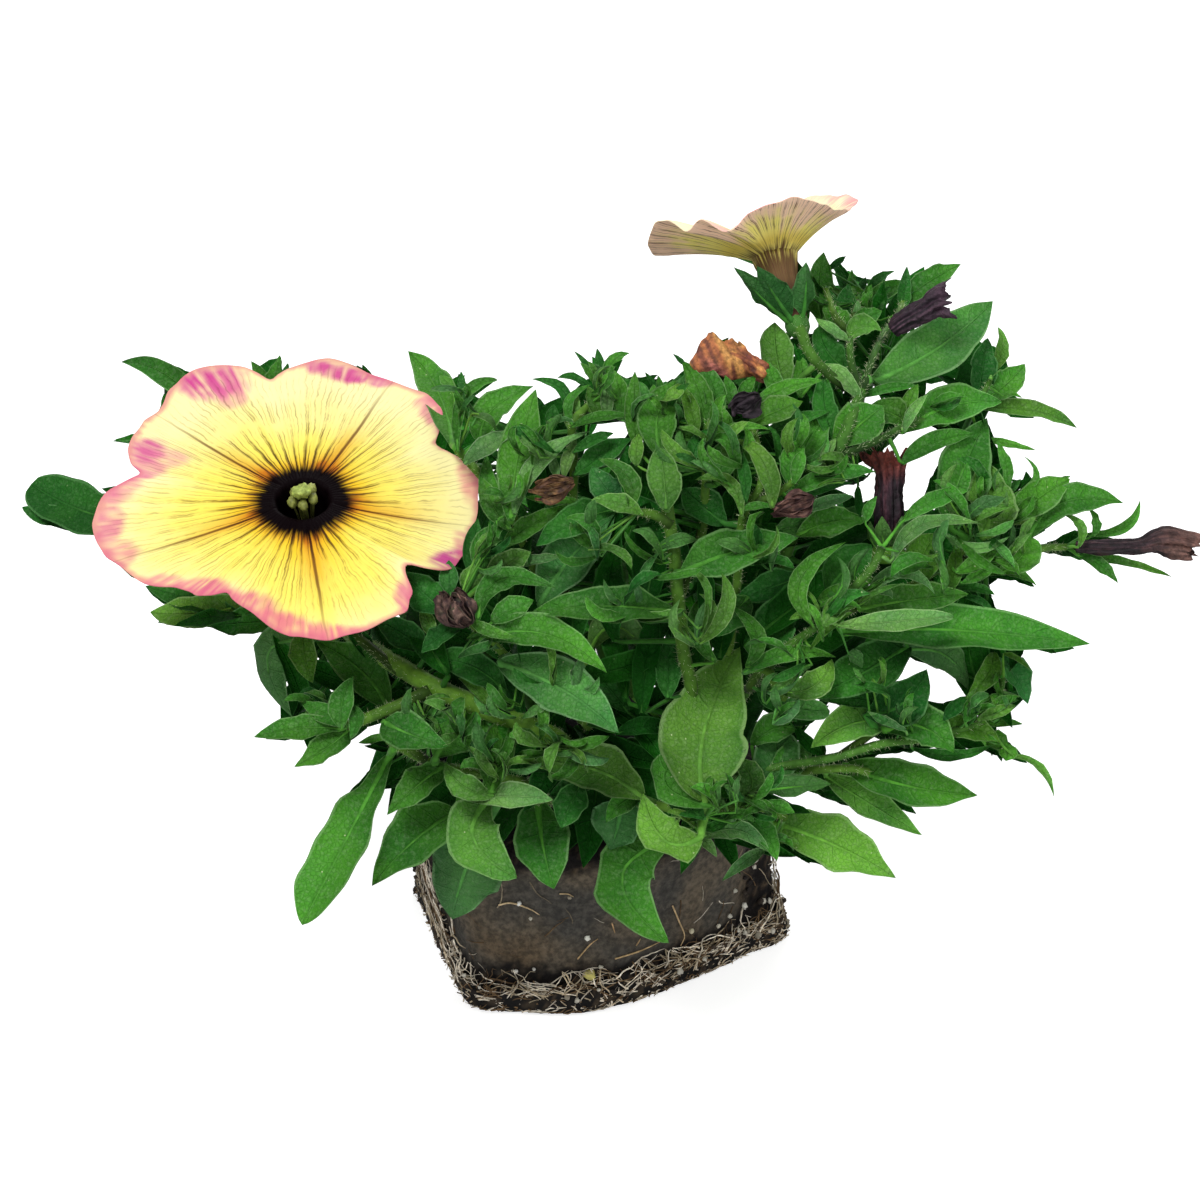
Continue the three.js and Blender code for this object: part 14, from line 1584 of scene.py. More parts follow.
def leaf_material(name="leaf_blade"):
    g = G(name, 0.6, 0.055)
    part = g.xyz(g.attr("part").outputs["Vector"])
    t, s, under = part[0], part[1], part[2]
    tint = g.attr("tint").outputs["Color"]
    nv10 = g.attr("tint").outputs["Alpha"]
    sa = g.math("ABSOLUTE", s)
    lum = g.math("MINIMUM", 1.0, g.math("MULTIPLY", g.xyz(tint)[1], 6.0))
    lum = g.math("MULTIPLY", lum, lum)
    wob = g.math("MULTIPLY_ADD", g.noise(90, 2.0), 0.10, -0.05)
    # side veins leave the midrib at an angle and curve towards the tip
    slant = g.math("MULTIPLY", g.math("POWER", sa, 1.25), 0.62)
    ph = g.math("SUBTRACT", g.math("MULTIPLY", g.math("MULTIPLY", t, nv10), 14.0), slant)
    ph = g.math("ADD", ph, g.math("MULTIPLY", wob, 1.5))
    fr = g.math("ABSOLUTE", g.math("SUBTRACT", g.math("FRACT", ph), 0.5))
    side = g.math("SUBTRACT", 1.0, g.step(fr, 0.0, 0.085))
    side = g.math("MULTIPLY", side, g.math("SUBTRACT", 1.0, g.step(sa, 0.55, 0.98)))
    mid = g.math("SUBTRACT", 1.0, g.step(g.math("ADD", sa, g.math("MULTIPLY", wob, 0.08)), 0.02, 0.085))
    net = g.voronoi(1500, "DISTANCE_TO_EDGE")
    net = g.math("SUBTRACT", 1.0, g.step(net, 0.0, 0.14))
    vein = g.math("MAXIMUM", g.math("MULTIPLY", side, 0.65), mid)
    broad = g.noise(60, 3.0, 0.6)
    fine = g.noise(1400, 4.0, 0.62)
    # colour: tint, mottled, pale flecks of painted sheen on the hairs, edge paler with its fringe of hairs and a
    # painted highlight, underside greyer
    col = g.mix(g.step(broad, 0.32, 0.68), g.mix(1.0, tint, g.rgb(0.62, 0.74, 0.80), "MULTIPLY"), g.mix(1.0, tint, g.rgb(1.34, 1.22, 1.05), "MULTIPLY"))
    # painted sheen: pale flecks where the fine noise is high, stronger on bright leaves
    col = g.mix(g.math("MULTIPLY", g.step(fine, 0.44, 0.72), 0.60), col, g.mix(g.math("MULTIPLY", lum, 0.40), g.mix(1.0, col, g.rgb(1.70, 1.36, 1.9), "MULTIPLY"), g.rgb(0.20, 0.28, 0.16)))
    col = g.mix(g.math("MULTIPLY", net, 0.40), col, g.mix(1.0, col, g.rgb(0.45, 0.58, 0.50), "MULTIPLY"))
    near = g.math("SUBTRACT", 1.0, g.step(sa, 0.05, 0.24))
    col = g.mix(g.math("MULTIPLY", near, 0.30), col, g.mix(1.0, col, g.rgb(0.55, 0.66, 0.60), "MULTIPLY"))
    pale = g.mix(1.0, tint, g.rgb(1.9, 1.5, 1.9), "MULTIPLY")
    col = g.mix(g.math("MULTIPLY", side, 0.10), col, pale)
    col = g.mix(g.math("MULTIPLY", mid, 0.30), col, pale)
    # the pale rim is partly the fringe of pale hairs and partly a painted highlight along the edge
    rim = g.step(g.math("ADD", sa, g.math("MULTIPLY", wob, 0.5)), 0.870, 0.950)
    col = g.mix(g.math("MULTIPLY", rim, 0.80), col, g.mix(1.0, g.mix(g.math("MULTIPLY", lum, 0.38), tint, g.rgb(0.10, 0.15, 0.08)), g.rgb(2.7, 2.1, 2.8), "MULTIPLY"))
    grey = g.mix(g.math("MULTIPLY", lum, 0.42), col, g.rgb(0.058, 0.125, 0.050))
    col = g.mix(under, col, grey)
    # specks of grit and hair glints
    dots = g.voronoi(900, "F1")
    pick = g.voronoi(900, "F1", out=1)
    sel = g.math("GREATER_THAN", g.xyz(pick)[0], 0.93)
    dot = g.math("MULTIPLY", g.math("SUBTRACT", 1.0, g.step(dots, 0.06, 0.17)), sel)
    dot = g.math("MULTIPLY", dot, g.step(broad, 0.42, 0.60))
    col = g.mix(g.math("MULTIPLY", dot, g.math("MULTIPLY", lum, 0.75)), col, g.rgb(0.52, 0.62, 0.33))
    g.link(col, g.b.inputs["Base Color"])
    g.link(g.math("MULTIPLY_ADD", fine, 0.22, 0.42), g.b.inputs["Roughness"])
    hgt = g.math("MULTIPLY_ADD", g.math("MAXIMUM", g.math("MULTIPLY", side, 0.5), mid), -0.9, g.math("MULTIPLY", fine, 0.55))
    hgt = g.math("MULTIPLY_ADD", net, -0.25, hgt)
    g.bump(hgt, 0.8, 0.00034)
    return g.mat


def stem_material(name="stem_skin"):
    g = G(name, 0.6, 0.10)
    tint = g.attr("tint").outputs["Color"]
    streak = g.noise(500, 4.0, 0.6)
    broad = g.noise(90, 2.0)
    col = g.mix(g.step(streak, 0.35, 0.70), g.mix(1.0, tint, g.rgb(0.70, 0.74, 0.66), "MULTIPLY"), g.mix(1.0, tint, g.rgb(1.35, 1.30, 1.2), "MULTIPLY"))
    col = g.mix(g.math("MULTIPLY", g.step(broad, 0.45, 0.75), 0.35), col, g.mix(1.0, tint, g.rgb(1.3, 1.1, 0.9), "MULTIPLY"))
    g.link(col, g.b.inputs["Base Color"])
    g.b.inputs["Sheen Weight"].default_value = 0.04
    g.b.inputs["Sheen Roughness"].default_value = 0.5
    g.link(g.math("MULTIPLY_ADD", streak, 0.2, 0.45), g.b.inputs["Roughness"])
    g.bump(streak, 0.5, 0.0003)
    return g.mat


def plain_material(name, rough=0.6, bump_scale=900, strength=0.5, dist=0.0003, dark=(0.6, 0.6, 0.6), light=(1.3, 1.3, 1.3), sheen=0.0, spec=0.35):
    """The tint, broken up by two noises, with a grain."""
    g = G(name, rough, spec)
    tint = g.attr("tint").outputs["Color"]
    fine = g.noise(bump_scale, 5.0, 0.62)
    broad = g.noise(bump_scale * 0.15, 3.0, 0.6)
    col = g.mix(g.step(fine, 0.32, 0.72), g.mix(1.0, tint, g.rgb(*dark), "MULTIPLY"), g.mix(1.0, tint, g.rgb(*light), "MULTIPLY"))
    col = g.mix(g.math("MULTIPLY", g.step(broad, 0.40, 0.70), 0.5), col, g.mix(1.0, col, g.rgb(*light), "MULTIPLY"))
    g.link(col, g.b.inputs["Base Color"])
    g.link(g.math("MULTIPLY_ADD", fine, 0.25, rough - 0.1), g.b.inputs["Roughness"])
    if sheen:
        g.b.inputs["Sheen Weight"].default_value = sheen
    g.bump(fine, strength, dist)
    return g.mat


def petal_material(name, net_col=(0.30, 0.16, 0.05), vein_strength=0.55, inner=True):
    """Tint from the mesh; branching veins fan out from the throat. part = (angle / 2 pi, radius 0-1, strength)."""
    g = G(name, 0.6, 0.03)
    tint = g.attr("tint").outputs["Color"]
    part = g.xyz(g.attr("part").outputs["Vector"])
    a, r, w = part[0], part[1], part[2]
    wob = g.math("MULTIPLY_ADD", g.noise(190, 3.0, 0.6), 0.060, -0.030)
    aa = g.math("ADD", a, wob)
    def fan(n, width, shift=0.0):
        f = g.math("ABSOLUTE", g.math("SUBTRACT", g.math("FRACT", g.math("MULTIPLY_ADD", aa, float(n), shift)), 0.5))
        return g.math("SUBTRACT", 1.0, g.step(f, 0.0, width))
    far = 0.0 if inner else 0.5
    v1 = g.math("MULTIPLY", fan(9, 0.085), g.math("SUBTRACT", 1.0, g.step(r, 0.42 + far, 0.88 + far)))
    v2 = g.math("MULTIPLY", fan(18, 0.12, 0.25), g.math("MULTIPLY", g.step(r, 0.16, 0.34), g.math("SUBTRACT", 1.0, g.step(r, 0.62 + far, 0.98 + far))))
    v3 = g.math("MULTIPLY", fan(36, 0.16, 0.1), g.math("MULTIPLY", g.step(r, 0.36, 0.60), g.math("SUBTRACT", 1.0, g.step(r, 0.85 + far, 1.0 + far))))
    wob2 = g.math("MULTIPLY_ADD", g.noise(90, 3.0, 0.5), 0.026, -0.013)
    am = g.math("ABSOLUTE", g.math("SUBTRACT", g.math("FRACT", g.math("ADD", a, wob2)), 0.5))
    wide = g.math("MULTIPLY_ADD", g.math("SUBTRACT", 1.0, r, clamp=True), 0.030, 0.0045)
    rib = g.math("SUBTRACT", 1.0, g.step(g.math("DIVIDE", am, wide), 0.25, 1.0))
    rib = g.math("MULTIPLY", rib, g.math("SUBTRACT", 1.0, g.math("MULTIPLY", g.step(r, 0.55, 1.02), 0.75)))
    v = g.math("MAXIMUM", g.math("MULTIPLY", v1, 1.0), g.math("MAXIMUM", g.math("MULTIPLY", v2, 0.7), g.math("MULTIPLY", v3, 0.42)))
    breakup = g.step(g.noise(260, 3.0, 0.6), 0.30, 0.62)
    v = g.math("MULTIPLY", g.math("MULTIPLY", v, breakup), g.math("MULTIPLY", w, vein_strength), clamp=True)
    v = g.math("MAXIMUM", v, g.math("MULTIPLY", rib, g.math("MULTIPLY", w, 0.85 if inner else 0.5)))
    col = g.mix(v, tint, g.rgb(*net_col), "DARKEN")
    if inner:  # the veins thicken and blacken where they run into the eye
        n1 = g.math("MULTIPLY", fan(9, 0.24), g.math("SUBTRACT", 1.0, g.step(r, 0.30, 0.50)))
        n2 = g.math("MULTIPLY", fan(18, 0.22, 0.25), g.math("SUBTRACT", 1.0, g.step(r, 0.26, 0.42)))
        nn = g.math("MAXIMUM", n1, g.math("MULTIPLY", n2, 0.85))
        col = g.mix(g.math("MULTIPLY", nn, g.math("MULTIPLY", w, 0.92)), col, g.rgb(0.030, 0.010, 0.008), "DARKEN")
    fine = g.noise(1600, 3.0, 0.55)
    col = g.mix(g.math("MULTIPLY", g.step(fine, 0.45, 0.75), 0.10), col, g.mix(1.0, col, g.rgb(1.12, 1.1, 1.1), "MULTIPLY"))
    g.link(col, g.b.inputs["Base Color"])
    h = g.math("MULTIPLY_ADD", v, -0.8, g.math("MULTIPLY", fine, 0.3))
    g.bump(h, 0.45, 0.0003)
    return g.mat


M_LEAF = leaf_material()
M_STEM = stem_material()
M_HAIR = plain_material("plant_hair", 0.5, 700, 0.1)
M_PETAL = petal_material("petal_inside", (0.115, 0.034, 0.010), 0.86)
M_PETAL_BACK = petal_material("petal_back", (0.10, 0.022, 0.030), 1.0, False)
M_WITHER = plain_material("withered_tissue", 0.62, 1100, 0.8, 0.0005, (0.55, 0.52, 0.55), (1.6, 1.5, 1.5))
M_PISTIL = plain_material("pistil_tissue", 0.5, 1500, 0.5, 0.0002)
M_PEAT = plain_material("pressed_peat", 0.9, 900, 0.9, 0.0009, (0.62, 0.62, 0.62), (1.5, 1.45, 1.4), spec=0.2)
M_ROOT = plain_material("root_fibre", 0.75, 900, 0.6, 0.0003, (0.62, 0.58, 0.52), (1.35, 1.3, 1.25), spec=0.25)
M_PERLITE = plain_material("perlite", 0.8, 900, 0.7, 0.0005, (0.82, 0.82, 0.82), (1.15, 1.15, 1.15))


def finish_piece(ob, nodes):
    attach(ob, "root")
    if nodes:
        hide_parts(*nodes)
    return ob

def srgb(r, g, b):
    out = []
    for v in (r, g, b):
        v = v / 255.0
        out.append(v / 12.92 if v <= 0.04045 else ((v + 0.055) / 1.055) ** 2.4)
    return np.array(out)


def blend_to(a, b, t):
    t = np.asarray(t, float)[..., None]
    return np.asarray(a) * (1 - t) + np.asarray(b) * t


# ------------------------------------------------------------------ shoots and single leaves
PIECES = {}  # node -> Build
PLANT_MATS = [M_LEAF, M_STEM, M_HAIR]
STEM_NODE = {s[0]: s[1] for s in STEMS}
STEM_COL = {"back": srgb(52, 96, 40)}


def piece_of(node):
    return PIECES.setdefault(node, Build())


for name, node, r0, r1, path in STEMS:
    rng = random.Random("stem " + name)
    b = piece_of(node)
    hidden = node.startswith("shoot_back") or name.startswith("trunk")
    col = srgb(44, 84, 26) if hidden else srgb(*STEM_TINT.get(name, (78, 118, 42)))
    length = sum(math.dist(path[i], path[i + 1]) for i in range(len(path) - 1))
    slim = STEM_SLIM.get(name, 0.70)
    # stems in view carry painted shade, darker towards their foot
    P, T, R = tube(b, path, [r0 * slim, (r0 + r1) * 0.5 * slim, r1 * slim], 12, 1, col, painted_foot_shade=0.35 if not hidden else 1.0, nseg=max(4, int(length / 1.6)), bump=0.06, seed=rng.random() * 9)
    if not hidden:
        hairs(b, P, R, rng, int(length * 9), 2, srgb(205, 222, 170), long=0.8, thick=0.028)

for row in LEAVES:
    rng = random.Random("leaf " + row[0])
    node = SINGLE.get(row[0]) or STEM_NODE[row[1]]
    kind = row[0][0]
    # dark is painted shade: fill leaves (f, g) deep in the plant are much darker, back leaves (k) a little
    leaf(piece_of(node), row, rng, 0, 1, dense=1.12 if kind == "l" else 0.9 if kind == "h" else 0.68 if kind == "k" else 0.5, dark={"l": 1.0, "h": 1.0, "k": 0.9, "f": 0.55, "g": 0.5}[kind])

for node, b in PIECES.items():
    ob = b.make(node + "_look", PLANT_MATS)
    finish_piece(ob, [node])

# ------------------------------------------------------------------ the open flower
def periodic(points, n):
    """Smooth closed curve through points, resampled to n."""
    P = np.asarray(points, float)
    m = len(P)
    u = np.arange(n) * m / n
    i = np.floor(u).astype(int)
    t = (u - i)[:, None]
    a, b, c, d = P[(i - 1) % m], P[i % m], P[(i + 1) % m], P[(i + 2) % m]
    return 0.5 * (2 * b + (c - a) * t + (2 * a - 5 * b + 4 * c - d) * t * t + (3 * b - a - 3 * c + d) * t ** 3)


def corolla_grid(f, n_around, n_limb, n_tube, knee, lobes, rng, flip_wave=1.0, wave=0.45):
    """Rows from the foot of the tube to the rim: points, lobe coordinate, place along (-1 foot, 0 mouth, 1 rim)."""
    c, n, e1, e2 = (np.array(f[k]) for k in ("c", "n", "e1", "e2"))
    rim = periodic(f["rim"], n_around)
    v = rim - c
    flat = v - (v @ n)[:, None] * n
    around = unit(flat)
    ang = np.arctan2(flat @ e2, flat @ e1)
    reach = np.linalg.norm(flat, axis=1)
    rows, place = [], []
    tubes = [np.array(p) for p in f["tube"]][::-1]
    trad = f["tuber"][::-1]
    path = curve_points(tubes, n_tube)
    ur = np.linspace(0, len(trad) - 1, n_tube + 1)
    rad = np.interp(ur, range(len(trad)), trad)
    for k in range(n_tube + 1):
        a = path[min(n_tube, k + 1)] - path[max(0, k - 1)]
        a = a / np.linalg.norm(a)
        d = around - (around @ a)[:, None] * a
        d = unit(d)
        flute = 1 + 0.03 * np.cos(5 * ang * 2 + 1.0)
        rows.append(path[k] + d * (rad[k] * flute)[:, None])
        place.append(-1 + k / n_tube)
    mouth = c + around * f["tr"]
    kn = 0.62 * mouth + 0.38 * rim + n * knee
    us = np.linspace(0, 1, n_limb + 1)[1:]
    ph = [rng.uniform(0, 6.28) for _ in range(6)]
    for u in us:
        p = (1 - u) ** 2 * mouth + 2 * u * (1 - u) * kn + u * u * rim
        w = wave * u ** 2.2 * (0.6 * np.sin(7 * ang + ph[0]) + 0.45 * np.sin(13 * ang + ph[1] + 2 * u) + 0.3 * np.sin(23 * ang + ph[2] - 3 * u))
        p = p + n * w[:, None]
        if lobes:
            p = p - n * (0.42 * np.exp(-(lobes_mid(ang, f) / 0.035) ** 2) * (1 - u) ** 0.6 * smooth(0, 0.15, u))[:, None]
            p = p + n * (0.10 * np.cos(2 * np.pi * 14 * lobe_coord(ang, f)) * np.sin(np.pi * u) ** 0.7)[:, None]
        rows.append(p)
        place.append(u)
    return np.array(rows), ang, np.array(place), reach, around


def lobe_coord(ang, f):
    """0 to 5 round the flower: whole numbers at the notches, halves at the midribs."""
    a = np.mod(ang, 2 * np.pi)
    if not f["notches"]:
        return a / (2 * np.pi) * 5
    nt, md = list(f["notches"]), list(f["mids"])
    xs, ys = [], []
    for k in range(5):
        xs += [nt[k], next(m + s for m in md for s in (0, 2 * np.pi) if 0 < m + s - nt[k] < 1.6)]
        ys += [k, k + 0.5]
    xs = [xs[-2] - 2 * np.pi, xs[-1] - 2 * np.pi] + xs + [xs[0] + 2 * np.pi]
    ys = [ys[-2] - 5, ys[-1] - 5] + ys + [5]
    return np.mod(np.interp(a, xs, ys), 5)


def lobes_mid(ang, f):
    return np.mod(lobe_coord(ang, f), 1) - 0.5


def corolla_mesh(build, rows, attr, col_in, col_out, th, mat_in, mat_out, n_tube):
    """Two skins, the inside one mat_in, closed at the rim."""
    nr, na = rows.shape[:2]
    du = np.gradient(rows, axis=0)
    dv = np.roll(rows, -1, 1) - np.roll(rows, 1, 1)
    N = unit(np.cross(dv, du))
    # the inside skin is on the side of the axis in the tube and on top on the limb
    if (N[n_tube + 2] @ np.array([0, 0, 1.0])).mean() < 0:
        N = -N
    t = th * np.ones(nr)
    t[-3:] *= [0.8, 0.6, 0.35]
    inn = rows + N * (t / 2)[:, None, None]
    out = rows - N * (t / 2)[:, None, None]
    k = nr * na
    build_faces = grid_faces(nr, na, wrap=True)
    # the seam keeps its own vertices: one more column
    def wrapcol(a):
        return np.concatenate([a, a[:, :1]], axis=1)
    A = wrapcol(attr)
    A[:, -1, 0] = attr[:, 0, 0] + (5 if attr[0, -1, 0] > attr[0, 0, 0] else -5)
    I, O = wrapcol(inn), wrapcol(out)
    ci, co = wrapcol(col_in), wrapcol(col_out)
    n1 = na + 1
    f1 = grid_faces(nr, n1)
    test = np.cross(I[n_tube + 3, 1] - I[n_tube + 3, 0], I[n_tube + 4, 0] - I[n_tube + 3, 0])
    up = N[n_tube + 3, 0]
    # grid_faces order is (i,j),(i,j+1),(i+1,j+1),(i+1,j): its normal is dv x du
    if test @ up < 0:
        f1 = [q[::-1] for q in f1]
    build.add(I.reshape(-1, 3), f1, mat_in, A.reshape(-1, 3), ci.reshape(-1, 3))
    build.add(O.reshape(-1, 3), [q[::-1] for q in f1], mat_out, A.reshape(-1, 3), co.reshape(-1, 3))
    # rim strip
    e1, e2 = I[-1], O[-1]
    v = np.concatenate([e1, e2])
    fs = [(j, j + n1, j + 1 + n1, j + 1) for j in range(n1 - 1)]
    if (np.cross(v[n1] - v[0], v[1] - v[0]) @ (e1[0] - rows.reshape(-1, 3).mean(0))) < 0:
        fs = [q[::-1] for q in fs]
    build.add(v, fs, mat_in, np.concatenate([A[-1], A[-1]]), np.concatenate([ci[-1], ci[-1]]))


def paint_patches(col, a, b, patches, streak, stripe):
    for pa, pb, ra, rb, rot, colour, strength in patches:
        c, s = math.cos(math.radians(rot)), math.sin(math.radians(rot))
        x, y = (a - pa) * c + (b - pb) * s, -(a - pa) * s + (b - pb) * c
        d = np.sqrt((x / ra) ** 2 + (y / rb) ** 2)
        w = (1 - smooth(0.62, 1.30, d + 0.28 * streak)) * strength * np.clip(0.92 + 1.2 * stripe, 0.12, 1)
        col = blend_to(col, srgb(*colour) * np.array([0.82, 0.52, 0.74]), w)
    return col


rng = random.Random(3)
f = FRONT
NA, NL, NTB = 360, 62, 10
rows, ang, place, reach, around = corolla_grid(f, NA, NL, NTB, -1.0, True, rng, wave=0.40)
n_vec, c0, e1, e2 = (np.array(f[k]) for k in ("n", "c", "e1", "e2"))
A5 = np.unwrap(lobe_coord(ang, f), period=5)
if A5[-1] < A5[0]:
    A5 = A5 + 0.0
rel = rows - c0
pa, pb = rel @ e1, rel @ e2
dist = np.sqrt(pa ** 2 + pb ** 2)
rho = place[:, None] * np.ones(NA)
angg = np.broadcast_to(ang, rho.shape)
AA = np.broadcast_to(A5, rho.shape)
mid = np.abs(np.mod(AA, 1) - 0.5)
streak = np.array([noise.noise(Vector((math.cos(q) * 22, math.sin(q) * 22, 0.3))) for q in ang])[None, :] * np.ones_like(rho) + 0.5 * vnoise(rows, 0.55, 2.0)
cl = vnoise(rows, 0.09, 5.0)
yellow, mellow, cream = srgb(236, 198, 42), srgb(238, 220, 96), srgb(240, 228, 146)
t = np.clip(rho, 0, 1)
lean = np.clip((pb / 24), -1, 1) * 0.16
col = blend_to(np.broadcast_to(yellow, rho.shape + (3,)), mellow, smooth(0.16, 0.46, t + lean + 0.08 * cl + 0.05 * streak))
col = blend_to(col, cream, smooth(0.42, 0.86, t + lean * 1.3 + 0.10 * cl + 0.07 * streak))
col = blend_to(col, srgb(242, 232, 172), 0.8 * smooth(0.74, 0.98, t + lean * 0.8 + 0.05 * streak))
# blush along the midribs and round the eye
blush = 0.9 * np.exp(-((dist - 8.0) / 3.4) ** 2) * np.exp(-(mid / 0.17) ** 2) * (0.75 + 0.5 * (pb > 0)) + 0.45 * np.exp(-((dist - 7.8) / 1.5) ** 2)
blush = blush * (0.8 + 0.5 * streak)
col = blend_to(col, srgb(178, 86, 24), np.clip(blush * 1.15, 0, 0.92))
far = np.exp(-((dist - 13) / 6) ** 2) * np.exp(-(mid / 0.10) ** 2)
col = blend_to(col, srgb(214, 146, 36), np.clip(far * 0.6, 0, 1))
# pink margins
stripe = np.array([noise.noise(Vector((math.cos(q) * 75, math.sin(q) * 75, 0.3))) for q in ang])[None, :] * np.ones_like(rho) * 0.6 + 0.5 * vnoise(np.stack([angg * 26, dist * 0.35, 0 * dist], -1), 1.0, 3.0)
col = paint_patches(col, pa, pb, FRONT_PATCHES, streak, stripe)
edge = smooth(0.955, 1.0, t + 0.02 * streak)
col = blend_to(col, srgb(200, 98, 122), 0.75 * edge)
# eye: spiky edge that follows the veins
spk = 1 + 0.10 * np.abs(np.sin(AA * np.pi * 13)) ** 3 + 0.08 * np.abs(np.sin(AA * np.pi * 29 + 1)) ** 2 + 0.10 * np.exp(-(mid / 0.05) ** 2) + 0.10 * streak
ell = np.sqrt((pa / 7.35) ** 2 + (pb / 7.4) ** 2)
eye = 1 - smooth(0.86, 1.12, ell / spk)
col = blend_to(col, srgb(9, 3, 5), eye)
inside = smooth(0.0, -0.25, rho)
col = blend_to(col, srgb(9, 5, 6), np.clip(inside + (1 - smooth(0.45, 0.62, ell)), 0, 1))
col = blend_to(col, srgb(64, 66, 28), smooth(-0.35, -0.7, rho))
back_col = blend_to(np.broadcast_to(srgb(206, 186, 110), rho.shape + (3,)), srgb(196, 140, 130), smooth(0.5, 0.95, t + 0.2 * streak))
back_col = blend_to(back_col, srgb(112, 78, 62), smooth(0.25, -0.3, rho))
back_col = blend_to(back_col, srgb(122, 138, 74), smooth(-0.5, -0.95, rho))
attr = np.stack([AA, np.clip(dist / np.maximum(reach, 1)[None, :], 0, 1.2) * (rho > 0), np.ones_like(rho)], -1)
b = Build()
corolla_mesh(b, rows, attr, col, back_col, 0.42, 0, 1, NTB)
ob = b.make("corolla_front_look", [M_PETAL, M_PETAL_BACK])
finish_piece(ob, ["corolla_front"])

# stigma and five anthers in the throat
b = Build()
rng = random.Random(8)
pth = [np.array(f["tube"][2]), np.array(f["tube"][1]), c0 + n_vec * 0.4, c0 + n_vec * 1.5]
tube(b, pth, [0.45, 0.5, 0.5, 0.45], 8, 0, srgb(128, 140, 66), nseg=12)


def blob(build, c, r, stretch, axis, mat, col, rng, rough=0.18, n=10, m=14):
    axis = unit(axis)
    s1 = unit(np.cross(axis, [0.3, 0.9, 0.2]))
    s2 = np.cross(axis, s1)
    V = []
    seed = rng.random() * 50
    for i in range(n + 1):
        th = math.pi * i / n
        for j in range(m):
            ph = 2 * math.pi * j / m
            d = math.cos(th) * axis * stretch + math.sin(th) * (math.cos(ph) * s1 + math.sin(ph) * s2)
            k = 1 + rough * noise.noise(Vector(d * 2.3 + seed))
            V.append(np.asarray(c) + d * r * k)
    fcs = grid_faces(n + 1, m, wrap=True)
    build.add(np.array(V), fcs, mat, None, col)


tip = c0 + n_vec * 1.9
blob(b, tip, 1.5, 0.62, n_vec + e2 * 0.2, 0, srgb(156, 172, 84), rng, 0.7)
blob(b, tip + e1 * 0.75 + n_vec * 0.25 - e2 * 0.2, 0.62, 0.7, n_vec, 0, srgb(168, 186, 96), rng, 0.4)
blob(b, tip - e1 * 0.7 + n_vec * 0.2 + e2 * 0.1, 0.6, 0.7, n_vec, 0, srgb(150, 168, 80), rng, 0.4)
for k, (x, y, up, s) in enumerate([(1.1, 2.0, -0.2, 0.85), (-1.3, 1.0, 0.1, 0.8), (1.7, -0.4, 0.0, 0.75), (-1.6, -0.9, -0.2, 0.8), (0.2, -1.7, -0.1, 0.75)]):
    pos = c0 + e1 * x + e2 * y + n_vec * (up + 0.6)
    foot = np.array(f["tube"][1]) + e1 * x * 0.5 + e2 * y * 0.5
    tube(b, [foot, (foot + pos) / 2 + n_vec * 0.3, pos], [0.2, 0.2, 0.17], 6, 0, srgb(96, 100, 46), nseg=8)
    blob(b, pos, s, 1.25, e2 * 0.7 + e1 * (0.5 - 0.2 * k) + n_vec * 0.4, 0, srgb(152, 158, 84) if k == 0 else srgb(118, 124, 56), rng, 0.25)
ob = b.make("pistil_front_look", [M_PISTIL])
finish_piece(ob, ["pistil_front"])

# ------------------------------------------------------------------ the flower at the top, seen from its back
rng = random.Random(5)
f = TOP
NA, NL, NTB = 280, 44, 12
rows, ang, place, reach, around = corolla_grid(f, NA, NL, NTB, 1.6, False, rng, wave=0.32)
rho = place[:, None] * np.ones(NA)
A5 = np.unwrap(lobe_coord(ang, f), period=5)
AA = np.broadcast_to(A5, rho.shape)
streak = np.array([noise.noise(Vector((math.cos(q) * 20, math.sin(q) * 20, 1.3))) for q in ang])[None, :] * np.ones_like(rho) + 0.5 * vnoise(rows, 0.5, 4.0)
x, y, z = rows[..., 0], rows[..., 1], rows[..., 2]
t = np.clip(rho, 0, 1)
# painted light: the backs of the petals, turned down from the lamps, get colours lighter than their own
olive, mauve = srgb(248, 234, 132), srgb(252, 214, 184)
out = blend_to(np.broadcast_to(olive, rho.shape + (3,)), mauve, smooth(0.30, 0.80, t * 0.9 + 0.30 * streak + 0.14 * np.sin(ang * 5 + 1.2)))
out = blend_to(out, srgb(252, 212, 186), 0.7 * smooth(0.78, 1.0, t + 0.1 * streak))
out = blend_to(out, srgb(228, 200, 88), 0.75 * np.exp(-((t - 0.24) / 0.16) ** 2))
out = blend_to(out, srgb(78, 42, 44), 0.9 * smooth(0.20, -0.12, rho + 0.34 * streak))
out = blend_to(out, srgb(84, 56, 50), 0.7 * smooth(-0.3, -0.8, rho))
front_in = blend_to(np.broadcast_to(srgb(250, 226, 120), rho.shape + (3,)), srgb(254, 240, 200), smooth(0.5, 0.85, t))
front_in = blend_to(front_in, srgb(230, 150, 160), 0.8 * smooth(0.78, 1.0, t + 0.18 * streak) * (0.5 + 0.5 * np.sin(ang * 3 + 0.6)))
ex, ey = (rows - np.array(f["c"])) @ np.array(f["e1"]), (rows - np.array(f["c"])) @ np.array(f["e2"])
d = np.hypot(ex, ey)
front_in = blend_to(front_in, srgb(40, 18, 24), 1 - smooth(4.8, 6.2, d + 0.7 * streak))
attr = np.stack([AA, np.clip(d / np.maximum(reach, 1)[None, :], 0, 1.2) * (rho > -0.5), np.ones_like(rho)], -1)
b = Build()
corolla_mesh(b, rows, attr, front_in, out, 0.42, 0, 1, NTB)
ob = b.make("corolla_top_look", [M_PETAL, M_PETAL_BACK])
finish_piece(ob, ["corolla_top"])

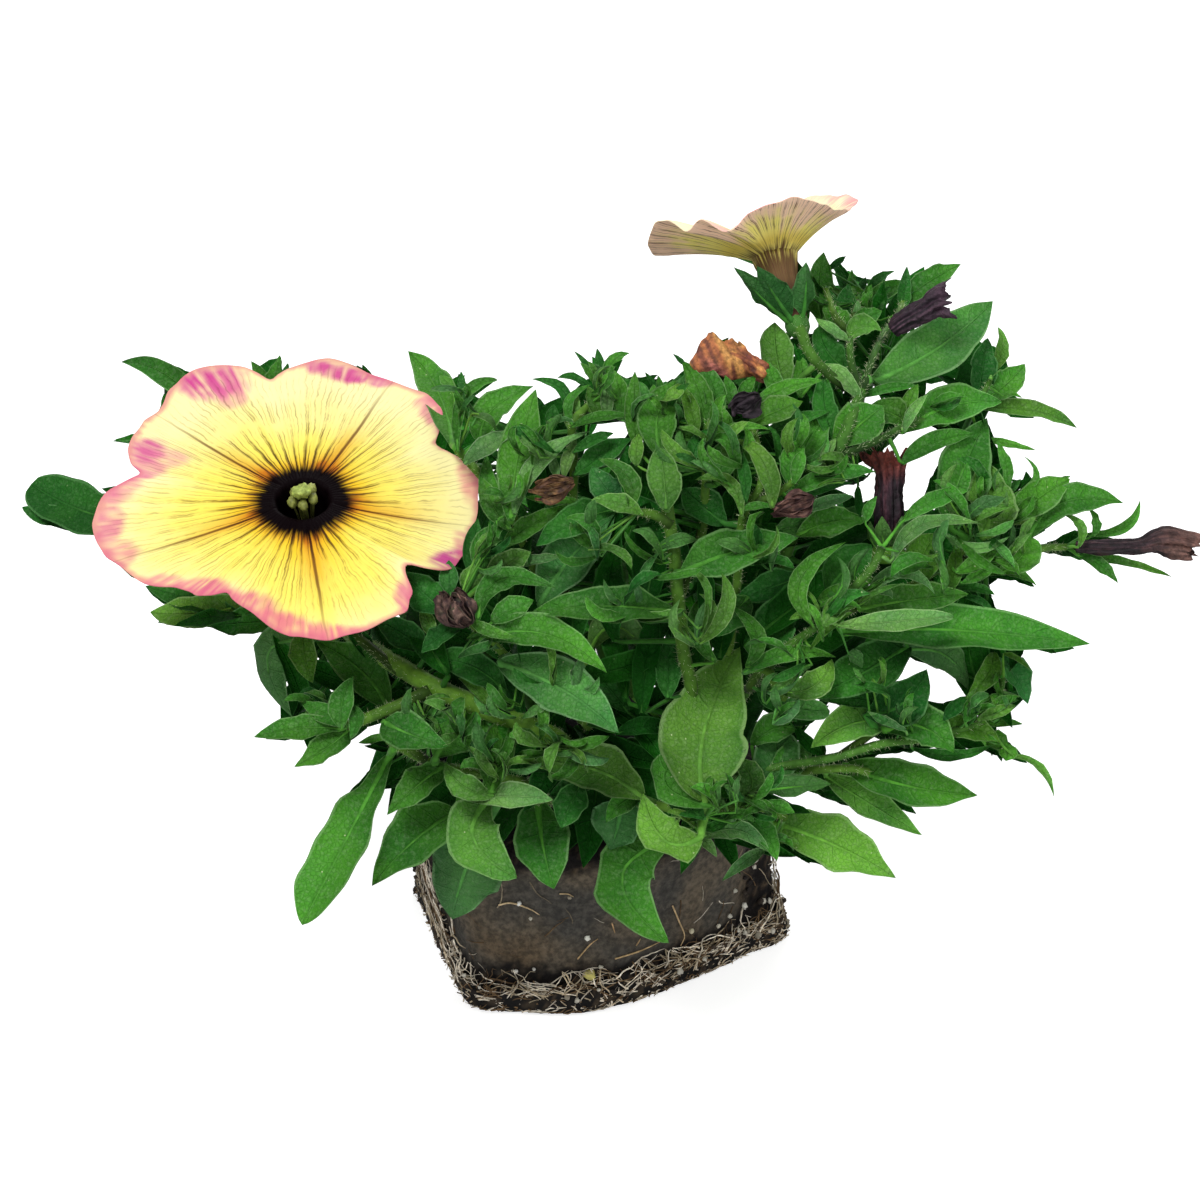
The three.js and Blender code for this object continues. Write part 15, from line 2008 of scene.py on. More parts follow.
# ------------------------------------------------------------------ calyces
for name, c in CALYCES.items():
    rng = random.Random("calyx " + name)
    b = Build()
    ax, p = np.array(c["ax"]), np.array(c["c"])
    green = srgb(60, 110, 46) if name != "calyx_upright" else srgb(92, 146, 46)
    cup = 1.55 if name == "calyx_upright" else 1.0
    P, T, R = tube(b, [p - ax * c["h"] * 0.8, p - ax * c["h"] * 0.3, p, p + ax * c["h"] * 0.45], [c["r"] * 0.62 * cup, c["r"] * 0.95 * cup, c["r"] * cup, c["r"] * 0.85 * cup], 20, 1, green, nseg=12, bump=0.05)
    hairs(b, P, R, rng, 70, 2, srgb(190, 212, 160), long=0.6, thick=0.025)
    for i, r in enumerate(c["rows"]):
        base, midp, tip, n, hw, tm, tp, fold, under = r
        broad_ = 1.75 if name == "calyx_top" else 1.15
        row = ["s", "", base, [base[k] * 0.8 + midp[k] * 0.2 for k in range(3)], midp, tip, n, hw * broad_, tm, tp, fold, under, "d" if name != "calyx_upright" else "y"]
        leaf(b, row, rng, 0, 1, dense=1.6)
    ob = b.make(name + "_look", PLANT_MATS)
    finish_piece(ob, [name])

# ------------------------------------------------------------------ withered flowers and dead buds
WITHER_COL = {
    "withered_orange": [(152, 96, 56), (88, 48, 40), (184, 140, 76), (142, 86, 82)],
    "withered_left_bud": [(70, 52, 46), (36, 22, 26), (110, 90, 78), (52, 60, 36)],
    "withered_bit": [(92, 66, 40), (60, 40, 34), (132, 104, 66), (86, 80, 50)],
    "black_bud": [(34, 26, 34), (20, 15, 20), (62, 54, 60), (44, 36, 44)],
    "withered_brown": [(84, 58, 52), (50, 32, 34), (120, 92, 80), (96, 74, 62)],
    "withered_purple": [(42, 28, 40), (20, 14, 23), (72, 54, 66), (50, 32, 45)],
    "withered_upright": [(44, 27, 37), (19, 12, 18), (84, 54, 62), (66, 34, 42)],
    "withered_far_right": [(46, 31, 38), (22, 15, 20), (84, 60, 60), (70, 46, 44)],
}
FLARE = {"withered_upright": (0.72, 0.5), "withered_far_right": (0.60, 0.42), "withered_orange": (2.0, 0.0), "withered_purple": (0.62, 0.35)}


def crumple(build, pts, radii, cols, seed, start, flare, n=56, m=48):
    """A dry, folded tube: flutes run along it, its end is torn and crumpled."""
    P = curve_points(pts, n)
    u = np.linspace(0, 1, n + 1)
    r = np.interp(u, np.linspace(0, 1, len(radii)), radii)
    T = unit(np.gradient(P, axis=0))
    side = unit(np.cross(T[0], [0.2, 0.1, 1.0]))
    V, C = [], []
    base, dark, light, other = (srgb(*q) for q in cols)
    for k in range(n + 1):
        side = side - (side @ T[k]) * T[k]
        side = side / np.linalg.norm(side)
        up = np.cross(T[k], side)
        w = float(smooth(start, 1.0, u[k]))
        for j in range(m):
            a = 2 * math.pi * j / m
            fl = 0.10 * math.cos(7 * a + 1.5 * u[k] + seed) + 0.06 * math.cos(12 * a - 2 * u[k])
            q = P[k] + (math.cos(a) * side + math.sin(a) * up) * r[k]
            nz = noise.noise(Vector(q * 0.55 + seed * 3)) * 0.30 + noise.noise(Vector(q * 1.5 + seed * 5)) * 0.16
            fold = w * (0.5 * noise.noise(Vector((math.cos(a) * 1.9, math.sin(a) * 1.9, u[k] * 2.0 + seed))) + 0.25 * math.sin(5 * a + seed * 2))
            rr = r[k] * (1 + fl + nz + fold + flare * w * w)
            along = w * 0.9 * r[k] * noise.noise(Vector((math.cos(a) * 2.4, math.sin(a) * 2.4, seed + 4)))
            V.append(P[k] + (math.cos(a) * side + math.sin(a) * up) * rr + T[k] * along)
            s = noise.noise(Vector((a * 2.2 + seed, u[k] * 2.6, seed))) * 0.9 + noise.noise(Vector(q * 1.1 + seed)) * 0.5
            h = noise.noise(Vector(q * 0.33 + seed * 2)) * 1.6
            cc = base * 1.0
            # darker in patches of low s, which is tone; the extra darkening in the flute troughs is painted shade in
            # the folds
            cc = cc + (dark - cc) * float(smooth(0.05, 0.55, -s + 0.1 + (fl < -0.06) * 0.25))
            cc = cc + (light - cc) * float(smooth(0.10, 0.62, s))
            cc = cc + (other - cc) * float(smooth(0.05, 0.55, h)) * (0.4 + 0.6 * w)
            C.append(cc)
    faces = grid_faces(n + 1, m, wrap=True, flip=True)
    V, C = np.array(V), np.array(C)
    ends = [P[0] - T[0] * 0.2, P[-1] - T[-1] * r[-1] * (1.1 if flare else -0.25)]
    k = len(V)
    faces += [(j, (j + 1) % m, k) for j in range(m)]
    e = n * m
    faces += [(e + (j + 1) % m, e + j, k + 1) for j in range(m)]
    build.add(np.vstack([V, ends]), faces, 0, None, np.vstack([C, [base, dark * 0.5]]))


def strips(build, pts, radii, cols, seed, count, fan=1.0):
    """Shrivelled petals: narrow strips from one base, folded lengthwise and curled at their ends."""
    rng = random.Random(seed)
    P = np.array(pts, float)
    ax = unit(P[-1] - P[0])
    L0 = float(np.linalg.norm(np.diff(P, axis=0), axis=1).sum())
    s1 = unit(np.cross(ax, [0.3, 0.2, 1.0]))
    s2 = np.cross(ax, s1)
    base, dark, light, other = (srgb(*q) for q in cols)
    R = max(radii)
    for k in range(count):
        a = 2 * math.pi * k / count + rng.uniform(-0.3, 0.3)
        out = math.cos(a) * s1 + math.sin(a) * s2
        reach = L0 * rng.uniform(0.72, 1.05)
        spread = R * rng.uniform(0.35, 1.0) * fan
        c0_ = P[0] + out * R * 0.12
        c1_ = P[0] + ax * reach * 0.5 + out * spread * rng.uniform(0.7, 1.2)
        c2_ = P[0] + ax * reach + out * spread * rng.uniform(-0.3, 1.0)
        n = 14
        t = np.linspace(0, 1, n + 1)[:, None]
        c = (1 - t) ** 2 * c0_ + 2 * t * (1 - t) * c1_ + t * t * c2_
        c = c + out * (np.sin(t * 9 + seed + k) * 0.10 * R) + ax * (np.sin(t * 7 + k) * 0.05 * R)
        T = unit(np.gradient(c, axis=0))
        tw = rng.uniform(-1.6, 1.6)
        N = out - (T @ out)[:, None] * T
        N = unit(N)
        B_ = np.cross(T, N)
        ang_ = tw * t
        B2 = B_ * np.cos(ang_) + N * np.sin(ang_)
        N2 = N * np.cos(ang_) - B_ * np.sin(ang_)
        wd = R * rng.uniform(0.30, 0.55) * (0.25 + np.sin(np.pi * np.clip(t[:, 0] * 0.85 + 0.08, 0, 1)))
        V, C = [], []
        m = 7
        for i in range(n + 1):
            for j in range(m):
                s = -1 + 2 * j / (m - 1)
                q = c[i] + B2[i] * s * wd[i] * 0.8 + N2[i] * (abs(s) * wd[i] * 0.55 + 0.12 * wd[i] * math.sin(5 * s + i * 0.9 + k))
                V.append(q)
                h = noise.noise(Vector(q * 1.3 + seed)) + 0.4 * noise.noise(Vector((s * 3.0, i * 0.25, k * 1.7)))
                cc = base + (dark - base) * float(smooth(0.0, 0.5, -h)) 
                cc = cc + (light - cc) * float(smooth(0.12, 0.55, h)) + (other - cc) * 0.5 * float(smooth(0.2, 0.6, noise.noise(Vector(q * 0.6 + k))))
                # painted shade: darker towards the base, where the strips bunch together
                C.append(cc * (0.75 + 0.5 * i / n))
        V, C = np.array(V), np.array(C)
        th_ = 0.16
        low = V - np.repeat(N2, m, axis=0) * th_
        kk = len(V)
        fc = grid_faces(n + 1, m)
        fc += [tuple(i + kk for i in q[::-1]) for q in fc]
        for i in range(n):
            fc.append((i * m, i * m + kk, (i + 1) * m + kk, (i + 1) * m))
            fc.append((i * m + m - 1, (i + 1) * m + m - 1, (i + 1) * m + m - 1 + kk, i * m + m - 1 + kk))
        e_ = n * m
        for j in range(m - 1):
            fc.append((j, j + 1, j + 1 + kk, j + kk))
            fc.append((e_ + j, e_ + j + kk, e_ + j + 1 + kk, e_ + j + 1))
        # painted shade: the inner skin is darker than the outer
        build.add(np.vstack([V, low]), fc, 0, None, np.vstack([C, C * 0.8]))


def torn_tube(build, path, radii, cols, seed, flutes=9, rag=1.0, curl=0.0, rough=0.12, n=42, m=80, th=0.14, tip=None):
    """A dead corolla: a thin fluted tube, open and torn at its far end. tip is the colour that it takes there."""
    P = curve_points(np.array(path), n)
    u = np.linspace(0, 1, n + 1)
    r = np.interp(u, np.linspace(0, 1, len(radii)), radii)
    T = unit(np.gradient(P, axis=0))
    base, dark, light, other = (srgb(*q) for q in cols)
    tipc = srgb(*tip) if tip else light
    side = unit(np.cross(T[0], [0.2, 0.1, 1.0]))
    a = np.linspace(0, 2 * np.pi, m, endpoint=False)
    ca, sa = np.cos(a), np.sin(a)
    jag = np.array([noise.noise(Vector((x * 2.6, y * 2.6, seed))) + 0.6 * noise.noise(Vector((x * 7, y * 7, seed + 3))) for x, y in zip(ca, sa)])
    wob = np.array([noise.noise(Vector((x * 1.3, y * 1.3, seed + 9))) for x, y in zip(ca, sa)])
    outer, colours = [], []
    for k in range(n + 1):
        side = side - (side @ T[k]) * T[k]
        side = side / np.linalg.norm(side)
        up = np.cross(T[k], side)
        w = float(smooth(0.55, 1.0, u[k]))
        fl = (0.10 + 0.05 * w) * np.cos(flutes * a + 1.2 * u[k] + seed) + 0.05 * np.cos(2 * flutes * a + 2.0 * seed - u[k])
        nz = np.array([noise.noise(Vector((x * 1.6 + seed, y * 1.6, u[k] * 5.0 + seed))) for x, y in zip(ca, sa)])
        wr = np.array([noise.noise(Vector((x * 6.5 + seed, y * 6.5, u[k] * 16.0))) for x, y in zip(ca, sa)])
        rr = r[k] * (1 + fl + rough * nz + 0.12 * wr + 0.35 * w * wob + 0.30 * w * jag)
        d = ca[:, None] * side + sa[:, None] * up
        along = (w * rag * r[k] * jag)[:, None] * T[k] - (w * curl * r[k]) * T[k] * np.abs(wob)[:, None]
        outer.append(P[k] + d * rr[:, None] + along)
        st = np.array([noise.noise(Vector((x * 5.5, y * 5.5, u[k] * 1.1 + seed))) + 0.5 * noise.noise(Vector((x * 13, y * 13, u[k] * 2.5))) for x, y in zip(ca, sa)])
        cc = blend_to(np.broadcast_to(base, (m, 3)), dark, smooth(0.0, 0.45, -st))
        cc = blend_to(cc, light, 0.8 * smooth(0.12, 0.60, st))
        cc = blend_to(cc, other, 0.6 * smooth(0.1, 0.6, nz))
        # painted shade: darker where the fine wrinkles dent the wall
        cc = blend_to(cc, dark * 0.7, 0.6 * smooth(0.05, 0.5, -wr))
        cc = blend_to(cc, tipc, 0.75 * smooth(0.62, 0.95, u[k] + 0.12 * st))
        colours.append(cc)
    O, C = np.array(outer), np.array(colours)
    D = unit(O - P[:, None, :])
    ins = np.minimum(th, 0.4 * r)[:, None, None]
    I = O - D * ins
    I[:2] = O[:2] * 0.5 + P[:2, None, :] * 0.5
    f = grid_faces(n + 1, m, wrap=True, flip=True)
    kk = (n + 1) * m
    faces = list(f) + [tuple(i + kk for i in q[::-1]) for q in f]
    e = n * m
    for j in range(m):
        j1 = (j + 1) % m
        faces.append((e + j, e + j + kk, e + j1 + kk, e + j1)[::-1])
    V = np.vstack([O.reshape(-1, 3), I.reshape(-1, 3), [P[0] - T[0] * 0.15, P[1] + T[0] * 0.1]])
    c0, c1 = 2 * kk, 2 * kk + 1
    for j in range(m):
        j1 = (j + 1) % m
        faces.append((j, j1, c0))
        faces.append((kk + j1, kk + j, c1))
    # painted shade: the inner skin is darker than the outer, and the cap deep inside takes the dark colour
    build.add(V, faces, 0, None, np.vstack([C.reshape(-1, 3), C.reshape(-1, 3) * 0.55, [base, dark]]))


def dry_petal(build, outline, centre, cols, seed, thick=1.5, fold=0.9, rings=16, n=120):
    """A shrivelled petal: a pinched, creased pad with a torn outline."""
    O = periodic(outline, n)
    c = np.array(centre)
    nrm = unit(np.cross(O[n // 3] - c, O[0] - c))
    if nrm[1] > 0:
        nrm = -nrm
    ang = np.linspace(0, 2 * np.pi, n, endpoint=False)
    jag = np.array([noise.noise(Vector((math.cos(q) * 6, math.sin(q) * 6, seed))) for q in ang])
    O = O + unit(O - c) * (0.35 * jag)[:, None]
    base, dark, light, other = (srgb(*q) for q in cols)
    skins, colours = [], []
    for sgn in (1, -1):
        rows_, cs = [], []
        for k in range(rings + 1):
            u = k / rings
            p = c * (1 - u) + O * u if k else c + (O - c) * 0.01
            crease = np.array([noise.noise(Vector((q[0] * 0.36 + q[2] * 0.16 + seed, q[2] * 0.05, seed))) for q in p])
            fine = np.array([noise.noise(Vector((q[0] * 1.1 + q[2] * 0.5 + seed, q[2] * 0.22, seed))) for q in p])
            ridge = 1 - 2 * np.abs(crease)
            q = p + nrm * (sgn * thick * 0.5 * (1 - u ** 2.4)) + nrm * ((fold * ridge + 0.30 * fine) * (0.35 + 0.65 * (1 - u)))[:, None]
            if k == rings:
                q = p + nrm * ((fold * ridge + 0.30 * fine) * 0.35)[:, None] + nrm * sgn * 0.06
            rows_.append(q)
            # painted light and shade: lighter on the raised ridges, darker in the creases
            cc = blend_to(np.broadcast_to(base, (n, 3)), light, 0.8 * smooth(0.15, 0.7, ridge + 0.4 * fine - 0.2))
            cc = blend_to(cc, other, 0.8 * smooth(0.0, 0.5, np.array([noise.noise(Vector(tuple(np.array(q_) * 0.2 + seed * 2))) for q_ in p]) + 0.2 * fine))
            cc = blend_to(cc, dark, 0.85 * smooth(0.25, 0.75, -fine * 1.2 + 0.35 * (1 - ridge)))
            cs.append(cc)
        skins.append(np.array(rows_))
        colours.append(np.array(cs))
    kk = (rings + 1) * n
    f = grid_faces(rings + 1, n, wrap=True)
    A = skins[0]
    q = f[len(f) // 2]
    V0 = A.reshape(-1, 3)
    if np.cross(V0[q[1]] - V0[q[0]], V0[q[2]] - V0[q[0]]) @ nrm < 0:
        f = [t_[::-1] for t_ in f]
    faces = list(f) + [tuple(i + kk for i in t_[::-1]) for t_ in f]
    e = rings * n
    rimf = [(e + j, e + j + kk, e + (j + 1) % n + kk, e + (j + 1) % n) for j in range(n)]
    V = np.vstack([V0, skins[1].reshape(-1, 3)])
    q = rimf[0]
    if np.cross(V[q[1]] - V[q[0]], V[q[2]] - V[q[0]]) @ (V[q[0]] - c) < 0:
        rimf = [t_[::-1] for t_ in rimf]
    cap = tuple(range(n))
    faces += rimf + [cap if np.cross(V[f[0][1]] - V[f[0][0]], V[f[0][2]] - V[f[0][0]]) @ nrm > 0 else cap[::-1], tuple(i + kk for i in cap[::-1])]
    build.add(V, faces, 0, None, np.vstack([colours[0].reshape(-1, 3), colours[1].reshape(-1, 3)]))


for w in WITHERED:
    b = Build()
    seed = sum(ord(ch) for ch in w["name"]) % 17 + 0.37
    start, flare = FLARE.get(w["name"], (0.8, 0.0))
    cols = WITHER_COL[w["name"]]
    if w["name"] in ("withered_left_bud", "withered_bit", "black_bud", "withered_brown"):
        strips(b, w["pts"], w["r"], cols, seed, 15, 1.25)
        crumple(b, w["pts"][:3], [q * 0.5 for q in w["r"][:3]], cols, seed, start, flare, 20, 20)
    elif w["name"] == "withered_orange":
        dry_petal(b, ORANGE, np.array(ORANGE).mean(0), cols, seed, 2.6, 0.8)
        crumple(b, w["pts"][:3], [q * 0.55 for q in w["r"][:3]], cols, seed, 0.0, 0.0, 20, 24)
    else:
        if w["name"] == "withered_upright":
            torn_tube(b, w["pts"], [1.4, 2.1, 2.25, 2.2, 2.1, 2.0, 2.4, 4.0], cols, seed, 11, 0.5, 0.5, 0.20, tip=(124, 62, 48))
        elif w["name"] == "withered_far_right":
            torn_tube(b, w["pts"], [0.85, 1.1, 1.1, 1.1, 1.15, 1.5, 2.3, 2.3, 2.1], cols, seed, 9, 0.8, 0.3, 0.34, tip=(112, 84, 74))
        else:
            torn_tube(b, w["pts"][:5], [1.1, 1.5, 1.7, 1.8, 1.9, 2.2, 2.6], cols, seed, 7, 0.6, 0.4, 0.30, tip=(66, 48, 62))
    ob = b.make(w["name"] + "_look", [M_WITHER])
    finish_piece(ob, [w["name"]])

# ------------------------------------------------------------------ crown
b = Build()
rng = random.Random(11)
blob(b, np.array([1.0, -5.0, BALL_H + 2.2]), 5.4, 0.55, np.array([0, 0, 1.0]), 0, srgb(96, 104, 52), rng, 0.35, 18, 28)
for k in range(9):
    a = 2 * math.pi * k / 9
    tube(b, [np.array([1 + 3.0 * math.cos(a), -5 + 3.0 * math.sin(a), BALL_H + 0.6]), np.array([1 + 3.4 * math.cos(a), -5 + 3.4 * math.sin(a), BALL_H + 2.5]), np.array([1 + 2.2 * math.cos(a), -5 + 2.2 * math.sin(a), BALL_H + 5.0])], [1.5, 1.4, 0.9], 10, 0, srgb(104, 112, 58), nseg=8, bump=0.15, seed=k)
ob = b.make("crown_look", [M_STEM])
finish_piece(ob, ["crown"])

# ------------------------------------------------------------------ root ball
BALL_T = np.array(BALL)


def ball_r(theta, z, r_only=None):
    th = np.mod(np.degrees(np.asarray(theta, float)), 360) / (360 / len(BALL_T))
    m = len(BALL_T)
    i = np.floor(th).astype(int) % m
    t = th - np.floor(th)
    out = []
    for k in (1, 2):
        a, b_, c, d = BALL_T[(i - 1) % m, k], BALL_T[i, k], BALL_T[(i + 1) % m, k], BALL_T[(i + 2) % m, k]
        out.append(0.5 * (2 * b_ + (c - a) * t + (2 * a - 5 * b_ + 4 * c - d) * t * t + (3 * b_ - a - 3 * c + d) * t ** 3))
    k = np.clip(np.asarray(z, float) / BALL_H, 0, 1)
    return out[0] * (1 - k) + out[1] * k


def on_ball(theta_deg, z, out=0.0):
    t = np.radians(theta_deg)
    r = ball_r(t, z) + out
    return np.stack([BALL_X + r * np.cos(t), BALL_Y + r * np.sin(t), np.asarray(z, float)], -1)


def crumbly(deg, z):
    """1 where the face is loose peat and roots, 0 where it was pressed smooth by the pot."""
    d = (np.asarray(deg, float) + 180) % 360 - 180
    right = smooth(-36, -22, d) * (1 - smooth(20, 40, d))
    left = smooth(-139 + 0, -150, d) + smooth(150, 165, d)
    low = 1 - smooth(5.5, 8.0, np.asarray(z, float))
    high = smooth(26.0, 30.0, np.asarray(z, float))
    return np.clip(np.maximum(np.maximum(right, left * 0.9), np.maximum(low * 0.8, high)), 0, 1)


b = Build()
NAb, NZb = 340, 50
th = np.linspace(0, 360, NAb, endpoint=False)
zs = np.concatenate([np.linspace(0, 29.2, NZb), np.array([30.4, 31.3, 31.8, 32.0])])
ins = np.concatenate([np.zeros(NZb), [0.35, 1.0, 2.0, 3.2]])
V, C = [], []
for z, q in zip(zs, ins):
    p = on_ball(th, np.full(NAb, z), -q)
    cr = crumbly(th, z + (2.0 * vnoise(p, 0.22, 33.0) if z > 20 else 0))
    nz = vnoise(p, 0.10, 1.0) * 0.35 + vnoise(p, 0.45, 2.0) * 0.12
    n2 = vnoise(p, 0.55, 7.0) * 0.55 + vnoise(p, 1.4, 9.0) * 0.35
    push = nz + cr * (n2 - 0.25)
    t = np.radians(th)
    p = p + np.stack([np.cos(t), np.sin(t), np.zeros(NAb)], -1) * push[:, None] * (0 if z <= 0 else 1)
    V.append(p)
    broad = vnoise(p, 0.11, 12.0)
    fine = vnoise(p, 0.8, 15.0)
    base = np.broadcast_to(srgb(88, 81, 70), (NAb, 3))
    base = blend_to(base, srgb(63, 63, 61), 0.85 * smooth(-0.3, 0.5, broad + 0.15 * fine))
    base = blend_to(base, srgb(94, 78, 58), 0.7 * smooth(0.0, 0.6, -broad + 0.15 * fine) * (1 - smooth(8, 22, z)))
    base = blend_to(base, srgb(9, 8, 12), 0.95 * (1 - smooth(7.0, 10.4, z + 1.8 * fine + 2.2 * broad)))
    loose = blend_to(np.broadcast_to(srgb(22, 19, 19), (NAb, 3)), srgb(70, 60, 48), smooth(0.05, 0.5, fine))
    base = base * (1 - cr[:, None]) + loose * cr[:, None]
    C.append(base)
k_top = 26
for i in range(1, k_top + 1):
    s = 1 - i / k_top
    p = on_ball(th, np.full(NAb, 32.0), -3.2)
    ctr = np.array([BALL_X, BALL_Y, 32.0])
    p = ctr + (p - ctr) * max(s, 0.002)
    hump = (vnoise(p, 0.35, 3.0) * 0.5 + vnoise(p, 1.1, 4.0) * 0.35) * (1 if i < k_top else 0.1)
    p[:, 2] += np.clip(hump, -0.8, 0.5) * smooth(0, 0.15, 1 - s)
    V.append(p)
    # painted shadow: the peat top under the leaves is near black
    C.append(np.broadcast_to(srgb(13, 12, 13), (NAb, 3)) * (0.7 + 0.6 * (vnoise(p, 0.9, 5.0)[:, None] * 0.5 + 0.5)))
V, C = np.array(V), np.array(C)
faces = grid_faces(len(V), NAb, wrap=True)
faces.append(tuple(range(NAb))[::-1])
b.add(V.reshape(-1, 3), faces, 0, None, C.reshape(-1, 3))
ob = b.make("root_ball_look", [M_PEAT])
finish_piece(ob, ["root_ball"])


def root_on(build, deg, z, rng, way, length, rad, col, out=0.25, wander=0.35, lift=0.15, zmin=0.25, zmax=31.0):
    """A root that creeps over the ball from one place, heading way (radians, 0 = round, pi/2 = up)."""
    step = 0.7
    n = max(4, int(length / step))
    pts = []
    a = way
    r = float(ball_r(math.radians(deg), z))
    o = out
    for _ in range(n):
        p = on_ball(deg, z, o + (0.55 if crumbly(deg, z) > 0.5 else 0))
        pts.append(p)
        a += rng.uniform(-wander, wander)
        o = min(1.2, max(-0.05, o + rng.uniform(-lift, lift)))
        r = float(ball_r(math.radians(deg), z))
        deg += math.degrees(math.cos(a) * step / r)
        z += math.sin(a) * step
        if z < zmin or z > zmax:
            z = min(max(z, zmin), zmax)
            a = -a * 0.5
    tube(build, pts, [rad, rad * 0.8, rad * 0.35], 4, 0, col, nseg=max(5, int(n * 0.85)), bump=0.1, seed=rng.random() * 9)


def root_col(rng):
    k = rng.random()
    base = srgb(246, 240, 226) if k < 0.38 else srgb(192, 180, 156) if k < 0.66 else srgb(112, 92, 68)
    return base * rng.uniform(0.7, 1.1)


# fine roots on the ball
b = Build()
rng = random.Random(31)
for _ in range(34):  # sparse roots on the pressed face
    deg = rng.uniform(-150, -30)
    root_on(b, deg, rng.uniform(7, 28), rng, rng.uniform(-3.1, 3.1), rng.uniform(2, 7), rng.uniform(0.06, 0.14), root_col(rng) * rng.uniform(0.35, 0.95), out=0.12, lift=0.05)
for _ in range(150):  # all round the back
    deg = rng.uniform(20, 215)
    root_on(b, deg, rng.uniform(5, 29), rng, rng.uniform(-3.1, 3.1), rng.uniform(4, 13), rng.uniform(0.08, 0.2), root_col(rng) * 0.8, out=0.2)
for _ in range(44):  # loose right corner
    deg = rng.uniform(-34, 26)
    root_on(b, deg, rng.uniform(4, 27), rng, rng.uniform(-2.2, -0.6) if rng.random() < 0.6 else rng.uniform(-3.1, 3.1), rng.uniform(3, 12), rng.uniform(0.08, 0.2), root_col(rng), out=0.45)
for _ in range(120):  # left edge
    deg = rng.uniform(-172, -138)
    root_on(b, deg, rng.uniform(4, 29), rng, rng.uniform(-3.1, 3.1), rng.uniform(3, 9), rng.uniform(0.09, 0.2), root_col(rng) * 0.9, out=0.35)
for rad_, out_, cc, way_ in ROOTS:
    tube(b, [on_ball(q[0], q[1], out_) for q in way_], [rad_, rad_, rad_ * 0.5], 6, 0, srgb(*cc), nseg=14, bump=0.1)
ob = b.make("roots_on_ball", [M_ROOT])
finish_piece(ob, [])

# the matted skirt of roots at the foot
b = Build()
rng = random.Random(41)
NAs = 420
prof = [(0.0, 0.3), (0.0, 1.4), (1.0, 1.8), (2.2, 1.9), (3.4, 1.6), (4.6, 1.1), (5.4, 0.5), (3.0, 0.1)]
V, C = [], []
for z, o in prof:
    p = on_ball(th, np.full(NAb, z), 0)
    t = np.radians(th)
    rad_v = np.stack([np.cos(t), np.sin(t), np.zeros(NAb)], -1)
    nn = vnoise(p + z, 0.5, 21.0) * 0.5 + vnoise(p + z, 1.5, 23.0) * 0.3
    oo = o + (nn * 0.9 if 0.5 < o else 0)
    p = p + rad_v * np.asarray(oo).reshape(-1, 1)
    p[:, 2] = np.maximum(0, p[:, 2] + (vnoise(p, 0.16, 25.0) * 2.6 + vnoise(p, 0.5, 26.0) * 1.0) * min(1.0, z / 4.0))
    V.append(p)
    m_ = vnoise(p, 0.7, 27.0)
    C.append(blend_to(np.broadcast_to(srgb(10, 9, 10), (NAb, 3)), srgb(60, 52, 42), smooth(0.05, 0.5, m_)))
V, C = np.array(V + V[:1]), np.array(C + C[:1])
faces = grid_faces(len(V), NAb, wrap=True, flip=True)
b.add(V.reshape(-1, 3), faces, 0, None, C.reshape(-1, 3))
for i_ in range(1200):
    deg = rng.uniform(0, 360)
    way = rng.gauss(0, 0.5) if rng.random() < 0.7 else rng.uniform(-3.1, 3.1)
    front_ = 215 < deg % 360 < 345
    z0 = rng.uniform(0.3, 5.0 if not front_ else 6.5)
    kk = 1.0 - min(1.0, z0 / 7.5)
    root_on(b, deg, z0, rng, way + (math.pi if rng.random() < 0.5 else 0), rng.uniform(3, 12), rng.uniform(0.06, 0.17), root_col(rng) * rng.uniform(0.75, 1.2), out=0.2 + 1.7 * kk, wander=0.42, lift=0.28, zmin=0.15, zmax=8.5)
ob = b.make("root_band_look", [M_ROOT])
finish_piece(ob, ["root_band"])

# perlite and crumbs
b = Build()
rng = random.Random(51)
for deg, z, r, out, cc in PERLITE:
    p = on_ball(deg, z, out)
    t = math.radians(deg)
    blob(b, p, r, 0.85, np.array([math.cos(t), math.sin(t), 0.3]), 0, srgb(*cc), rng, 0.55, 7, 10)
for _ in range(190):
    k = rng.random()
    deg = rng.uniform(-32, 24) if k < 0.35 else rng.uniform(-175, -140) if k < 0.55 else rng.uniform(0, 360)
    z = rng.uniform(3, 24) if k < 0.55 else rng.uniform(0.5, 6)
    out = 0.5 if k < 0.55 else 1.9
    c_ = rng.choice([(205, 200, 186), (150, 142, 126), (70, 60, 50), (32, 27, 25), (32, 27, 25), (54, 45, 38)])
    t = math.radians(deg)
    p = on_ball(deg, z, out)
    blob(b, p, rng.uniform(0.22, 0.62), 0.9, np.array([math.cos(t), math.sin(t), rng.uniform(-1, 1)]), 0, srgb(*c_), rng, 0.7, 6, 8)
for _ in range(240):
    a, q = rng.uniform(0, 2 * math.pi), rng.uniform(0.05, 0.92)
    p = on_ball(math.degrees(a), 32.0, -3.2)
    p = np.array([BALL_X, BALL_Y, 32.0]) * (1 - q) + p * q
    if math.hypot(p[0] - 1, p[1] + 5) < 7:
        continue
    c_ = rng.choice([(200, 196, 184), (34, 28, 25), (34, 28, 25), (60, 48, 38), (46, 38, 32)])
    blob(b, p + np.array([0, 0, 0.2]), rng.uniform(0.3, 0.9), 0.8, np.array([rng.uniform(-1, 1), rng.uniform(-1, 1), 1]), 0, srgb(*c_), rng, 0.7, 6, 8)
ob = b.make("perlite_and_crumbs", [M_PERLITE])
finish_piece(ob, [])


